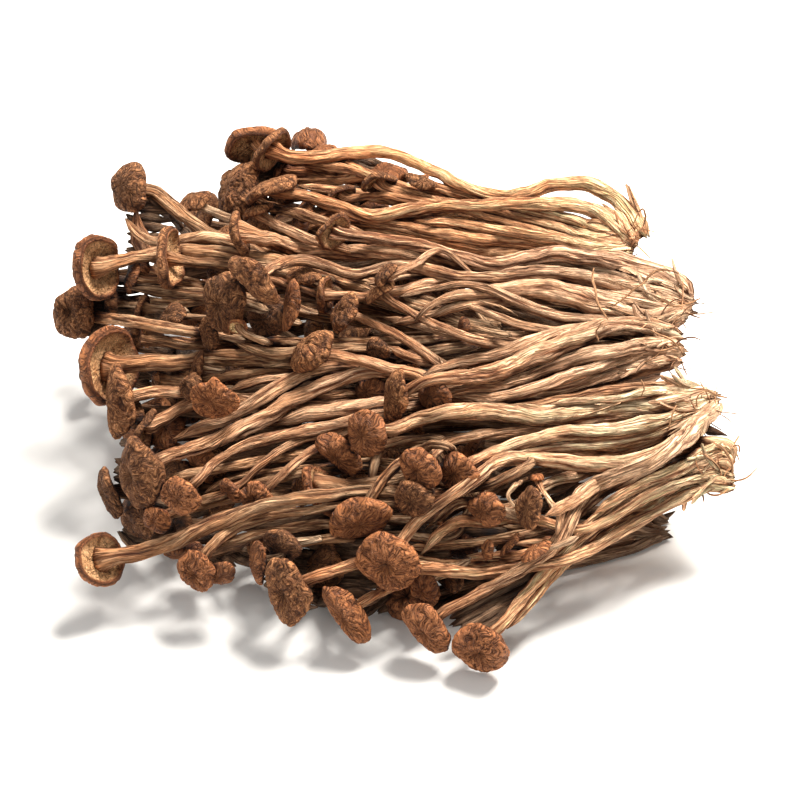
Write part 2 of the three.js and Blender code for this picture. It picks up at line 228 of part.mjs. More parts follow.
      { line: [[121.62,-58.56,40.66,1.77],[105.98,-69.45,45.02,1.75],[91.8,-75.04,38.39,1.82],[80.17,-81.76,36.29,1.91],[72,-81.85,35.04,1.98],[51.76,-74.98,34.79,2.16],[29.72,-78.37,36.51,2.25],[23.1,-81.62,35.43,2.27],[13.83,-90.39,31.21,2.31]] },
      { line: [[119.58,-62.4,35.38,2.36],[100.04,-73.41,32.81,2.34],[81.26,-85.4,29.18,2.33],[65.97,-92.46,27.86,2.31],[38.12,-96.39,26.01,2.42],[16.3,-99.96,31.54,2.57],[3.43,-95.5,29.23,2.69]] },
      { line: [[121.54,-53.6,39.53,3.45],[92.81,-70.37,35.46,3.2],[66.4,-88.81,26.06,2.79],[58.8,-96.12,22.4,2.63],[44.54,-116.57,18.68,2.29],[35.65,-125.37,13.14,2.92]], cap: [[36.06,-123.97,13.12],[-0.2828,-0.9591,0.0131],[0.9346,-0.2724,0.2286],[11.36,10.79,4.86,0]] },
      { line: [[120.42,-57.66,35.95,3.19],[107.73,-62.72,33.31,2.89],[87.46,-76.98,28.75,2.36],[69.24,-88.19,22.27,1.95],[46.54,-115.55,15.28,1.33]] },
      { line: [[122.94,-51.62,42.42,2.93],[104.83,-64.06,43.44,2.6],[90.42,-71.54,40.05,2.2],[71.08,-85.43,32.87,1.55]] },
      { line: [[120.5,-53.9,36.76,2.84],[108.31,-54.36,29.68,2.58],[103.47,-56.37,27.61,2.47],[84.95,-73.54,28.51,2.12],[63.69,-86.64,23.3,1.75]] },
      { line: [[122.58,-51.42,44.72,3.06],[107.8,-64.1,47.69,2.92],[81.13,-78.51,41.19,1.74]] },
      { line: [[120.14,-49.73,36.4,2.58],[106.18,-50.74,27.13,2.6],[91.54,-57.91,22.87,2.53],[67.27,-76.59,25.75,2.06],[57.99,-82.36,28.76,1.89],[49.95,-84.93,29.67,1.74]] },
      { line: [[119.96,-55.87,31.99,2.44],[110.99,-55.16,25.34,2.5],[103.77,-57.47,21.69,2.53],[76.11,-69.42,16.22,2.42],[61.03,-76.53,18.53,2.18],[46.08,-86.8,25.93,1.95],[32.43,-89.12,27.85,1.74]] },
      { line: [[121.12,-58.91,34.1,2.37],[110.77,-60.94,30.14,2.38],[90.09,-68.16,25.36,2.37],[62.09,-81.07,23.8,2.35],[51.04,-88.95,27.19,2.32],[37.92,-88.34,23.14,2.33],[24.2,-90.98,24.78,2.32],[-3.66,-91.26,28.35,2.37],[-14.33,-94.83,28.28,2.43],[-26.49,-101.79,29.36,2.5],[-38.47,-107.45,26.03,3.18]], cap: [[-37.77,-106.23,25.84],[-0.4973,-0.8571,0.1347],[0.1567,-0.2414,-0.9577],[14.37,9.49,4.74,0.5]] },
      { line: [[120.54,-56.22,33.84,1.98],[95.01,-61.26,23.62,1.99],[67.42,-73.76,20.47,1.97],[57.09,-75.54,16.93,1.98],[42.96,-84.21,19.32,1.96],[5.49,-95.28,19.06,2.13],[-7.77,-106.29,21.05,2.11],[-16.05,-113.51,19.45,2.69]], cap: [[-15.62,-112.57,19.29],[-0.412,-0.8977,0.156],[0.5649,-0.386,-0.7293],[13.94,6.97,3.48,0.8]] },
      { line: [[127.33,-41.28,44.14,2.8],[117.27,-40.61,39.38,2.65],[96.29,-43.14,26.89,2.16],[72.3,-45.81,13.07,1.5]] },
    ],
  },
  clump_left: {
    fans: [
      [
        [[45.69,7.37,64.75,2.45],[33.72,14.69,64.79,2.47]],
        [[45.32,6.67,64.41,2.45],[31.87,10.61,64.72,2.46]],
        [[44.64,5.93,63.94,2.25],[31.92,11.69,62.45,2.26]],
        [[44.52,4.83,63.18,2.86],[32.49,12.52,63.63,2.88]],
        [[45.34,5.98,64.06,2.04],[32.26,10.98,64.11,2.05]],
        [[45.89,4.43,63.06,2.45],[32.14,4.95,60.76,2.47]],
        [[43.4,5.79,63.69,2.66],[32.92,-1.59,61.96,2.65]],
        [[44.17,4.94,64.23,2.45],[34.84,15.66,64.66,2.47]],
        [[43.79,4.72,64.1,2.25],[30.59,8.93,62.65,2.26]],
        [[45.32,4.87,64.49,2.04],[32.02,8.62,62.7,2.05]],
        [[44.13,5.86,63.85,2.45],[30.29,5.76,61.16,2.46]],
        [[44.09,6.79,64.61,2.04],[30.64,6.31,60.49,2.05]],
      ],
    ],
    growths: [
      { line: [[41.01,10.47,64.58,2.46],[31.17,15.81,65.12,2.47],[2.11,24.64,70.2,2.59],[-15.6,33.12,70.13,2.74],[-36.17,42.04,70.16,2.9],[-65.47,49.6,75.98,2.94],[-79.79,57.87,78.76,2.96],[-97.67,74.83,83.1,3],[-102.77,76.08,84.38,3.1],[-110.46,74.49,87.62,3.83]], cap: [[-109.19,74.85,86.87],[-0.5621,-0.5789,0.5906],[0.1137,0.6533,0.7485],[10.6,9,7.2,0]] },
      { line: [[39.94,8.22,64.57,2.46],[18.42,14.45,65.43,2.47],[-2.9,20.47,68.65,2.64],[-35.23,36.92,71.67,3],[-66.34,46.86,79.44,2.77],[-77.21,49.46,79.12,2.58],[-99.24,50.72,76.63,2.16],[-105.74,55.88,77.12,2.03],[-110.38,62.67,78.86,1.91]] },
      { line: [[39.49,8.12,63.49,2.25],[19.46,17.82,60.38,2.28],[0.25,21.82,61.51,2.28],[-26.78,22.5,68.58,2.27],[-50.36,30.58,72.6,2.59],[-69.29,34.44,76.11,2.99],[-100.1,52.5,69.32,3.63],[-104.59,59.41,70.42,4.55],[-106.86,70.47,78.53,4.9]] },
      { line: [[39.77,7.87,63.41,2.87],[27.29,14.48,64.55,2.88],[14.18,15.03,69.25,2.94],[-9.68,21.75,73.56,3.09],[-35.12,32.7,74.52,3.27],[-51.14,36.91,77.25,3.28],[-70.3,36.64,80.8,3.16],[-91.7,41.35,76.99,3.07],[-102.14,37.74,78.18,2.99],[-115.15,27.57,81.11,3.12],[-120.42,27.49,80.42,3.67]], cap: [[-119.21,26.61,80.88],[-0.776,0.5596,-0.2909],[0.31,-0.0632,-0.9486],[14.32,12.17,5.24,0]] },
      { line: [[40.08,7.89,64.19,2.05],[19.44,16.54,63.5,2.06],[0.54,21.4,65.32,2.07],[-20.55,22.07,72.09,2.06],[-43.98,31.3,74.94,2.07],[-65.95,31.27,78.91,2.07],[-90.48,29.82,82.95,2.63]], cap: [[-89.28,29.64,83.24],[-0.9623,0.1442,-0.2309],[0.0464,0.9227,0.3826],[13.91,10.43,4.17,0]] },
      { line: [[40.42,4.59,62.05,2.45],[26.59,4.84,60.41,2.5],[7.41,1.51,61.95,2.59],[-28.66,-1.05,63.02,2.78],[-58.56,5,60.49,2.82],[-72.3,5.21,62.92,2.78],[-87.42,0.12,69.49,2.72],[-105.02,9.05,65.95,2.69],[-118.86,23.5,57.07,2.75],[-126.64,25.19,57.51,2.95],[-131.85,23.59,59,3.48]], cap: [[-130.14,24.82,58.36],[-0.501,-0.6086,0.6153],[0.1153,0.6577,0.7444],[11,10.2,6.2,0]] },
      { line: [[38.92,3.44,61.56,2.66],[30.65,-3.13,62.43,2.66],[25.33,-4.56,62.21,2.71],[-1.84,-4.32,56.86,2.97],[-26.72,-6.89,57.84,3.18],[-43.41,-5.94,58.06,3.3],[-62.44,-2.48,56.14,3.43],[-103.13,-10.9,59.83,3.78],[-113.69,-9.7,58.09,4.66]], cap: [[-112.42,-10.66,58.75],[-0.7403,0.5542,-0.3805],[0.2541,0.7547,0.6048],[16.9,14.36,5.75,0]] },
      { line: [[40.53,9.27,64.31,2.46],[16.52,33.72,67.7,2.5],[0,47.87,72.7,2.52],[-11.86,53.08,77.81,2.53],[-32.97,57.1,84.23,2.52],[-39.82,61.83,83.19,2.54],[-53.39,78.49,75.33,2.62],[-58.27,80.65,76.73,2.7],[-65.43,80.74,81.01,3.31]], cap: [[-63.88,81.23,79.86],[-0.779,-0.2461,0.5767],[0.4842,0.3481,0.8027],[13.76,12.11,6.66,0]] },
      { line: [[38.39,6.1,63.8,2.25],[28.19,10.19,61.98,2.26],[17.13,17.53,57.68,2.28],[6.44,20.34,56.94,2.29],[-7.35,21.11,58.47,2.29],[-21.83,16.22,65.2,2.26],[-32.5,15.76,68.24,2.26],[-73.76,22.6,69.5,2.38],[-95.67,27.51,67.76,2.61],[-103.91,27.29,69.1,2.69]] },
      { line: [[39.89,6.11,64.04,2.04],[29.59,9.78,61.96,2.05],[14.79,20.18,54.72,2.08],[6.74,22.04,53.8,2.09],[-9.83,22.15,55.28,2.09],[-24.22,16.79,61.86,2.06],[-34.87,16.81,64.87,2.06],[-53,23.59,66.17,2.07],[-72.49,38.92,59.34,2.11],[-87.55,34.84,66.12,2.09],[-106.78,35.94,69.11,2.67]], cap: [[-105.76,35.91,68.77],[-0.9513,0.0308,0.3069],[0.2613,0.6089,0.7489],[7.52,6.02,3.61,0]] },
      { line: [[38.59,5.84,62.81,2.45],[16.44,4.95,58.78,2.46],[-2.98,1.56,57.77,2.45],[-25.39,-0.71,58.22,2.45],[-52.92,4.23,55.94,2.46],[-80.96,4.04,58.56,2.46],[-97.03,8.32,56.47,2.51],[-105.3,8.33,57.36,3.17]], cap: [[-104.18,8.52,56.94],[-0.9254,-0.1571,0.3448],[0.3644,-0.1189,0.9236],[8.48,6.78,4.07,0]] },
      { line: [[38.67,6.49,63.11,2.05],[14.71,5.83,55.07,2.06],[-22.82,-5.96,53.19,2.04],[-48.05,-7.86,53.34,2.04],[-69.89,-12.95,54.16,2.03],[-88.72,-9.46,50.44,2.05],[-94.18,-9.74,51.31,2.61]], cap: [[-93.61,-9.65,51.1],[-0.9254,-0.1571,0.3448],[0.1736,0.633,0.7544],[4.89,3.42,2.05,0]] },
      { line: [[5.25,-4.5,57.99,2.04],[-13.69,-4.69,62.19,2.38],[-41.24,-7.65,62.77,2.55],[-52.1,-5.76,62.19,2.49],[-61.5,0,61.11,2.45]] },
      { line: [[-69.89,37.95,59.51,2.3],[-93.38,49.28,59.32,2.38],[-104.46,52.04,60.18,2.94]], cap: [[-103.65,52.14,59.8],[-0.9023,-0.1077,0.4175],[0.3505,0.381,0.8556],[6.2,4.6,3,0]] },
      { line: [[-71.01,22.11,69.51,2.2],[-88.05,31.56,58.43,2.28],[-108.77,39.45,55.57,1.9]] },
    ],
  },
  clump_front_left: {
    fans: [
      [
        [[34.56,-66.76,33.13,2.36],[22.91,-63.31,35.98,2.36]],
        [[35.71,-66.95,33.18,1.96],[21.9,-67.27,34.11,1.96]],
        [[32.13,-66.34,33.76,1.77],[19.86,-60.17,36.69,1.77]],
        [[34.47,-65.5,33.51,2.75],[26.49,-58.07,38.47,2.76]],
        [[33.07,-66.29,33.63,1.96],[28.11,-54.13,37.76,1.98]],
        [[33.58,-65.73,33.67,1.97],[56.22,-63.93,54.03,1.96]],
        [[32.66,-66.69,33.59,1.77],[27.67,-53.72,38.88,1.78]],
        [[33.94,-64.59,34.12,1.97],[26.1,-53.89,38.76,1.98]],
        [[31.45,-65.02,34.49,1.57],[19.73,-57.92,37.62,1.58]],
        [[34,-65.74,33.67,1.77],[20.8,-61.59,35.99,1.77]],
        [[31.72,-65.11,34.34,1.97],[19.56,-71.99,32.46,1.96]],
        [[33.37,-64.92,34.03,1.97],[28.06,-77.07,29.99,1.95]],
        [[31.34,-67.18,33.44,1.96],[45.08,-69.7,24.65,1.96]],
      ],
    ],
    growths: [
      { line: [[29.96,-63.61,32.74,2.37],[24.92,-62.47,34.3,2.37],[21.47,-64.78,37.87,2.35],[16.28,-79.71,51.29,2.31],[12.21,-82.05,53.76,2.33],[2.21,-73.3,46.82,2.45],[-5.31,-70.5,44.43,2.54],[-29.81,-75.16,46.13,2.75],[-51.37,-75.86,40.11,2.96],[-85.26,-84.36,30.01,3.3],[-106.91,-89.17,27.04,3.7],[-111.53,-88.08,24.43,4.46]], cap: [[-110.96,-88.68,25.27],[-0.4803,0.5057,-0.7167],[0.1635,0.8544,0.4933],[10.71,10.39,3.95,0]] },
      { line: [[30.17,-66.92,33.41,1.96],[19.36,-68.02,34.92,1.96],[6.94,-78.16,44.82,1.92],[-8.08,-73.27,40.28,1.95],[-27.04,-76.4,40.95,1.94],[-50.98,-76.25,34.43,2.14],[-62.95,-82.58,32.53,2.26],[-68.04,-89.14,31.97,2.31],[-73.25,-96.88,26.37,2.96]], cap: [[-72.81,-95.82,26.3],[-0.3838,-0.9216,0.0578],[0,0.0626,0.998],[9.57,7.65,3.83,0]] },
      { line: [[27.3,-63.53,34.48,1.77],[4.52,-53.68,39.88,1.78],[-12.21,-52.31,40.01,1.78],[-36.5,-58.95,42.64,1.77],[-50.25,-59.19,38.69,1.8],[-64.94,-57.54,31.25,1.88],[-80.6,-69.9,35.42,1.94],[-89.78,-75.96,34.08,2.5]], cap: [[-89.38,-75.23,33.9],[-0.4716,-0.858,0.2034],[0.8581,-0.3934,0.3301],[6.36,5.72,2.86,0]] },
      { line: [[31.74,-60.31,33.74,2.77],[28.2,-57.69,36.59,2.76],[20.06,-61.15,42.6,2.98],[-18.29,-66.98,41.63,5.01],[-26.45,-66.82,40.88,6.25]], cap: [[-25.51,-66.89,41.56],[-0.8075,0.0593,-0.5868],[0.5209,-0.3951,-0.7567],[11.52,9.22,3.87,0]] },
      { line: [[31.08,-61.38,35.22,1.97],[28.11,-54.12,37.76,1.98],[26.32,-48.02,43.99,1.98],[20.82,-44.25,48.54,1.98],[9.89,-45.16,49.08,1.98],[-3.49,-50.08,50.07,1.97],[-19.04,-54.5,48.71,2.52]], cap: [[-18.64,-53.57,48.56],[-0.3957,-0.9068,0.1452],[0.766,-0.4132,-0.4924],[11.01,6.83,3.41,0.4]] },
      { line: [[39.73,-59.32,32.32,1.97],[44.97,-53.54,32.62,1.97],[52.11,-52.58,40.03,1.97],[56.23,-63.93,54.03,1.96],[52.88,-69.91,56.14,1.95],[41.54,-73.44,52.01,1.95],[24.23,-71.65,45.11,1.96],[9.88,-81.82,50.56,2.49]], cap: [[10.37,-80.93,50.34],[-0.4716,-0.858,0.2034],[0.8581,-0.3934,0.3301],[8.14,7.73,3.48,0]] },
      { line: [[31.12,-61.17,35.09,1.77],[27.68,-53.71,38.88,1.78],[26.31,-53.38,44.63,1.77],[25.18,-63.6,60.37,1.75],[23.49,-66.78,65.01,1.75],[21.24,-67.44,66.17,1.76],[17.89,-64.42,63.53,1.81],[13.25,-56.45,54.1,1.91],[10.87,-56.82,52.88,1.99],[3.7,-66.03,53.67,2.11],[-5.92,-74.45,45.63,2.18],[-9.84,-83.82,41.14,2.72]], cap: [[-9.68,-82.42,41.15],[-0.1116,-0.9937,0.0075],[0.8166,-0.0874,0.5705],[14.11,9.59,4.8,0.3]] },
      { line: [[30.67,-60.32,35.78,1.97],[20.06,-45.8,43.97,1.98],[9.89,-42.02,45.19,2.02],[-1.31,-42.33,43.6,2.1],[-15.23,-45.01,43.49,2.21],[-40.48,-46.81,41.18,2.35],[-62.47,-52.7,41.29,2.08],[-87.32,-57.67,39.05,1.77]] },
      { line: [[26.82,-61.91,35.32,1.58],[7.51,-51.86,41.1,1.58],[-3.4,-49.45,41.72,1.59],[-31.38,-50.44,38.91,1.59],[-53.68,-53.88,38.41,1.58],[-64.44,-54.95,35.31,1.59],[-71.74,-58.83,33.73,1.58]] },
      { line: [[28.82,-63.56,34.2,1.77],[15.29,-60.99,37.04,1.77],[4.06,-60.01,36.95,1.81],[-15.38,-57.81,34.09,1.89],[-34.05,-52.31,27.84,1.98],[-39.54,-53.25,28.1,1.99],[-49.86,-58.28,31.1,1.93],[-63.49,-58.15,28.29,1.89],[-76.87,-62.31,28.01,1.83],[-82.04,-62.23,25.94,1.81],[-89.83,-58.09,18.98,1.8]] },
      { line: [[27.02,-68.1,33.36,1.96],[14.15,-73.56,32.67,1.97],[-8.3,-75.73,33.77,2.06],[-33.6,-78.21,32.75,2.08],[-58.54,-81.73,29.35,1.85],[-69.1,-85.58,28.74,1.74]] },
      { line: [[31.47,-69.68,31.81,1.96],[28.07,-77.06,29.99,1.95],[21.11,-81.47,30.23,1.96],[7.07,-81.54,31.27,2.03],[-18.15,-80.22,29.29,2.07],[-43.04,-84.37,27.46,1.68],[-50.77,-87.65,28.08,1.55]] },
      { line: [[36.59,-67.99,31.04,1.96],[48.12,-70.43,24.35,1.96],[65.73,-75.35,30.1,1.95],[44.57,-81.43,29.71,2.09],[22.82,-81.73,26.38,1.95],[7.29,-86.43,29.54,1.74]] },
    ],
  },
  clump_under_01: {
    fans: [
      [
        [[118.26,64.2,2.68,2.56],[99.01,66.97,5.25,2.41],[0.577,-0.7389,0.348],0.806],
        [[116.33,54.57,2.85,3.41],[96.86,52.92,4.57,3.2],[-0.2195,-0.4327,-0.8744],0.839],
        [[116.79,63.74,2.82,2.74],[97.82,61.57,6.48,2.6],[-0.3192,-0.1564,-0.9347],0.808],
        [[116,65.52,2.33,3.26],[97.89,71.65,5.85,3.01],[0.1352,0.9897,0.0464],0.804],
        [[117.63,68.39,2.49,3.43],[99.31,75.95,3.57,3.19],[-0.0401,-0.1997,0.979],0.857],
        [[116.28,62.98,2.66,3.63],[96.82,63.39,2.46,3.4],[0.0349,-0.9053,0.4233],0.882],
      ],
    ],
    growths: [
      { line: [[107.27,65.82,4.13,2.48],[49.44,71.37,13.29,2.14],[-7.94,71.19,26.26,2.51]], cap: [[-6.64,71.39,25.43],[-0.8356,-0.1316,0.5334],[-0.243,-0.7822,-0.5736],[12.63,9.97,5.2,0]], face: [0.577,-0.7389,0.348], flat: 0.806 },
      { line: [[105.21,53.61,3.84,3.29],[49.48,50.19,8.56,2.83],[-5.31,47.23,12.34,3.28]], cap: [[-4.42,47.13,13.59],[-0.5763,0.0694,-0.8143],[0.4153,-0.8333,-0.3649],[11.91,7.86,5.15,0]], face: [-0.2195,-0.4327,-0.8744], flat: 0.839 },
      { line: [[105.96,62.5,4.92,2.66],[37.96,54.97,16.85,2.29],[-30.89,52.15,25.11,2.68]], cap: [[-28.71,52.03,25.32],[-0.9943,0.0502,-0.0943],[-0.0748,0.3026,0.9502],[10.46,9.52,7.31,0]], face: [-0.3192,-0.1564,-0.9347], flat: 0.808 },
      { line: [[105.7,69.17,4.31,3.11],[65.72,77.76,12.07,2.79],[23.62,85.02,22.11,3.48]], cap: [[24.91,85.38,20.82],[-0.6934,-0.1928,0.6943],[0.1338,0.9124,0.3869],[12.21,11.47,6.19,0]], face: [0.1352,0.9897,0.0464], flat: 0.804 },
      { line: [[107.18,72.76,3.03,3.29],[64.37,86.59,8.42,2.93],[19.2,102.3,14.36,3.6]], cap: [[19.98,102.05,15.03],[-0.7366,0.2321,-0.6353],[-0.347,0.6766,0.6495],[8.79,5.8,3.53,0]], face: [-0.0401,-0.1997,0.979], flat: 0.857 },
      { line: [[105.16,63.2,2.55,3.5],[52.43,63.96,5.27,3.03],[-2.5,58.55,10.4,3.53]], cap: [[-1.99,59.05,10.26],[-0.6993,-0.69,0.1867],[0.5298,-0.6757,-0.5126],[6.4,4.65,2.43,0.6]], face: [0.0349,-0.9053,0.4233], flat: 0.882 },
    ],
  },
  clump_under_02: {
    fans: [
      [
        [[41.76,100.8,2.55,3.5],[22.37,100.99,2.8,3.27],[-0.2792,0.0618,-0.9582],0.859],
        [[42.29,99.3,2.99,3.12],[23.49,104.74,6.26,2.89],[-0.3762,-0.4432,-0.8137],0.839],
        [[38.96,102.48,2.5,3.44],[20.64,95.15,3.67,3.22],[-0.1108,0.4961,-0.8612],0.881],
        [[41.75,101.53,1.77,2.63],[24.16,94.37,6.96,2.46],[-0.0926,0.2795,-0.9557],0.823],
        [[42.33,105.69,2.74,3.28],[22.58,106.43,2.13,3.01],[0.3721,-0.9231,0.0971],0.788],
        [[40.93,104.42,2.47,2.7],[22.37,110.21,3.52,2.54],[-0.2088,0.3167,0.9252],0.771],
      ],
    ],
    growths: [
      { line: [[30.7,100.91,2.64,3.37],[-19.38,100.93,6.37,3],[-72.02,100.13,8.94,3.69]], cap: [[-70.54,100.01,9.17],[-0.985,0.078,-0.1536],[0.1676,0.6405,-0.7495],[10.71,8.11,5,0.3]], face: [-0.2792,0.0618,-0.9582], flat: 0.859 },
      { line: [[31.56,102.46,4.82,2.99],[-11.66,112.93,13.56,2.6],[-54.62,120.87,25.31,3.05]], cap: [[-53.57,120.6,24.68],[-0.8404,0.213,0.4983],[0.3457,0.9188,0.1904],[9.14,6.25,4.21,0.6]], face: [-0.3762,-0.4432,-0.8137], flat: 0.839 },
      { line: [[28.58,98.11,3.08,3.32],[-22.39,81.47,7.53,2.99],[-71.9,60.2,10.55,3.82]], cap: [[-69.88,60.22,10.76],[-0.9942,-0.0139,-0.1067],[-0.1061,0.2923,0.9504],[9.71,8.91,6.77,0.3]], face: [-0.1108,0.4961,-0.8612], flat: 0.881 },
      { line: [[31.71,97.47,4.69,2.53],[-18.28,82.3,13.85,2.26],[-69.28,70.35,17.21,2.83]], cap: [[-68.61,71.18,17.55],[-0.5974,-0.744,-0.2992],[0.1241,0.2828,-0.9511],[6.49,4.95,3.73,0]], face: [-0.0926,0.2795,-0.9557], flat: 0.823 },
      { line: [[31.05,106.1,2.3,3.13],[-8.12,107.57,6.47,2.82],[-46.82,111.37,10.35,3.52]], cap: [[-45.92,111.76,11.14],[-0.7166,-0.3121,-0.6237],[0.4366,-0.8981,-0.0522],[10.62,7.48,4.23,0]], face: [0.3721,-0.9231,0.0971], flat: 0.788 },
      { line: [[30.36,107.84,3.12,2.61],[-16.37,113.25,3.06,2.37],[-66.36,115.88,1.95,2.45],[-79.88,117.69,10.19,3.15]], cap: [[-77.94,116.52,9.93],[-0.8525,0.5106,0.1121],[0.0357,-0.1571,0.9869],[10.54,9.62,7.63,0]], face: [-0.2088,0.3167,0.9252], flat: 0.771 },
    ],
  },
  clump_under_03: {
    fans: [
      [
        [[116.91,19.49,2.13,2.56],[97.5,16.41,2.91,2.36],[-0.1009,-0.8036,-0.5865],0.802],
        [[115.62,13.54,2.65,3.61],[96.63,9.55,4.84,3.41],[-0.1259,-0.6295,0.7667],0.897],
        [[117.47,19.19,2.19,3.1],[98.5,16.52,6.87,2.93],[-0.2296,-0.3988,-0.8878],0.894],
        [[113.85,17.61,1.91,2.71],[94.62,19.24,4.63,2.53],[-0.389,0.9152,-0.1054],0.758],
        [[115.03,14.65,2.49,3.44],[97.72,5.73,2.33,3.26],[-0.1602,0.9859,-0.0478],0.867],
        [[118.2,10.1,2.41,2.54],[100.19,3.99,6.46,2.4],[-0.36,0.9284,0.0924],0.81],
      ],
    ],
    growths: [
      { line: [[105.83,17.67,2.57,2.45],[63.97,13.37,4.24,2.14],[22.71,14.23,7.42,2.54]], cap: [[23.44,13.97,6.03],[-0.4634,0.1583,0.8719],[0.8538,0.3432,0.3915],[10.28,8.77,5.28,0]], face: [-0.1009,-0.8036,-0.5865], flat: 0.802 },
      { line: [[104.76,11.28,3.83,3.49],[64.32,2.16,9.59,3.15],[24.1,-7.98,16.78,3.19],[-13.68,-17.92,29.11,4.12]], cap: [[-12.68,-18.22,28.53],[-0.8382,0.2511,0.4842],[-0.5412,-0.4936,-0.6808],[10.33,8.46,3.99,0.3]], face: [-0.1259,-0.6295,0.7667], flat: 0.897 },
      { line: [[106.63,17.77,4.9,3],[79.28,12.64,8.64,2.76],[32.91,0.61,7.61,2.73],[-12.51,-14.51,8.88,3.54]], cap: [[-11.66,-13.97,8.95],[-0.842,-0.5354,-0.0667],[0.4767,-0.7962,0.3725],[7.83,6.21,3.41,0]], face: [-0.2296,-0.3988,-0.8878], flat: 0.894 },
      { line: [[102.87,18.71,3.43,2.61],[75.47,17.39,7.44,2.36],[40.43,9.21,11.26,2.21],[5.14,2.39,12.48,2.65]], cap: [[6.07,2.06,12.38],[-0.9383,0.3308,0.1011],[0.1645,0.6838,-0.7109],[10.73,7.28,3.32,0.3]], face: [-0.389,0.9152,-0.1054], flat: 0.758 },
      { line: [[105.19,9.46,2.4,3.33],[44.75,-8.99,9.68,2.89],[-16.82,-34.23,16.51,3.38]], cap: [[-15.58,-34.23,16.32],[-0.9893,0.0021,0.1458],[0.1338,-0.385,0.9132],[8.95,5.78,4.2,0.3]], face: [-0.1602,0.9859,-0.0478], flat: 0.867 },
      { line: [[107.91,6.62,4.75,2.46],[68.98,-6.37,11.91,2.19],[29.68,-16.55,22.61,2.04],[-6,-32.11,33.54,2.43]], cap: [[-6.01,-31.47,31.37],[0.0042,-0.2841,0.9588],[0.9786,0.1985,0.0545],[12.73,9.74,7.55,0.6]], face: [-0.36,0.9284,0.0924], flat: 0.81 },
    ],
  },
  clump_under_04: {
    fans: [
      [
        [[110.83,-47.38,2.63,3.59],[92.01,-42.35,3.29,3.27],[0.0472,0.7148,0.6977],0.795],
        [[112.54,-47.08,2.42,3.36],[93.02,-47.93,2.26,3.18],[0.898,-0.44,-0.008],0.785],
        [[115.11,-50.54,2.46,3.4],[96.02,-51.24,6.07,3.13],[-0.0319,-0.7424,-0.6692],0.817],
        [[114.62,-42.21,3.1,3.53],[95.66,-43.72,7.37,3.33],[0.0722,-0.9969,-0.0323],0.823],
        [[112.56,-47.4,2.12,3.03],[94.49,-55.43,3.55,2.8],[-0.0627,-0.7858,0.6153],0.814],
        [[113.29,-50.5,2.94,2.69],[95.74,-59.63,2.39,2.51],[0.104,0.297,-0.9492],0.871],
      ],
    ],
    growths: [
      { line: [[100.07,-44.53,2.97,3.41],[56.96,-32.66,6.22,3.05],[27.14,-23.57,15.92,3.81]], cap: [[27.94,-24.83,15.8],[-0.5356,0.8412,0.0742],[-0.7208,-0.5011,0.4788],[11.54,10.39,4.99,0]], face: [0.0472,0.7148,0.6977], flat: 0.795 },
      { line: [[101.38,-47.54,2.33,3.26],[65.19,-49.99,2.04,2.93],[29.58,-56.79,1.91,2.78],[-15.44,-71.67,1.74,2.6],[-26.18,-75.47,9.44,3.29]], cap: [[-24.31,-74.96,8.52],[-0.8719,-0.2357,0.4292],[-0.3677,-0.2635,-0.8918],[10.34,9.11,7.17,0.6]], face: [0.898,-0.44,-0.008], flat: 0.785 },
      { line: [[104.2,-51.01,4.47,3.25],[73.99,-49.8,8.15,2.93],[30.02,-45.99,3.06,2.84],[20.6,-45.25,8.08,3.61]], cap: [[22.24,-45.55,8.47],[-0.9584,0.1729,-0.2272],[0.0123,0.82,0.5722],[11.55,7.67,5.74,0]], face: [-0.0319,-0.7424,-0.6692], flat: 0.817 },
      { line: [[103.78,-43.16,5.57,3.41],[62.69,-42.97,10.75,3.07],[18.48,-48.56,17.57,3.11],[-14.31,-46.83,17.99,4.02]], cap: [[-12.84,-48.71,17.99],[-0.6179,0.7862,0.0017],[-0.2031,-0.1575,-0.9664],[12.55,10.97,7.97,0]], face: [0.0722,-0.9969,-0.0323], flat: 0.823 },
      { line: [[102.26,-52.06,2.8,2.89],[63.27,-67.96,8.27,2.64],[23.45,-87.7,15.68,3.39]], cap: [[23.8,-87.09,15.19],[-0.4153,-0.7111,0.5673],[-0.5996,0.683,0.4172],[7.74,5.73,2.85,0.6]], face: [-0.0627,-0.7858,0.6153], flat: 0.814 },
      { line: [[103.29,-55.77,2.61,2.59],[55.92,-73.9,4.54,2.34],[9.02,-92.69,9.5,3.02]], cap: [[10.23,-91.8,8.2],[-0.6083,-0.4466,0.6561],[-0.761,0.0933,-0.6421],[12.25,8.95,6.62,0.3]], face: [0.104,0.297,-0.9492], flat: 0.871 },
    ],
  },
  clump_under_05: {
    fans: [
      [
        [[28.61,-17.34,2.85,2.75],[11.53,-26.44,5.43,2.58],[-0.2067,0.7332,-0.6478],0.813],
        [[25.32,-29.03,3.04,2.73],[5.84,-29.49,2.25,2.55],[0.1273,-0.9639,0.2338],0.759],
        [[26.69,-28.37,2.6,3.56],[7.49,-24.41,3.11,3.34],[0.2378,-0.1742,0.9556],0.832],
        [[26.57,-32.6,2.44,3.31],[7.75,-37.34,3.26,3.09],[0.2005,0.7232,-0.6609],0.768],
        [[28.42,-20.61,3.08,3.52],[11.42,-11.27,2.37,3.3],[-0.0713,-0.2282,0.971],0.757],
        [[30.36,-28.89,1.86,2.71],[13.94,-38.8,4.77,2.5],[0.7136,-0.5338,0.4537],0.821],
        [[29.03,-28.93,3.14,2.4],[9.9,-32.31,2.65,2.22],[-0.3511,0.1909,-0.9167],0.831],
      ],
    ],
    growths: [
      { line: [[18.83,-22.49,4.32,2.65],[-29.03,-50.21,11.2,2.37],[-75.2,-80.81,17.53,2.97]], cap: [[-74.18,-79.84,17.48],[-0.7208,-0.6921,0.0377],[0.0417,-0.0977,-0.9943],[8.76,8.05,4.72,0]], face: [-0.2067,0.7332,-0.6478], flat: 0.813 },
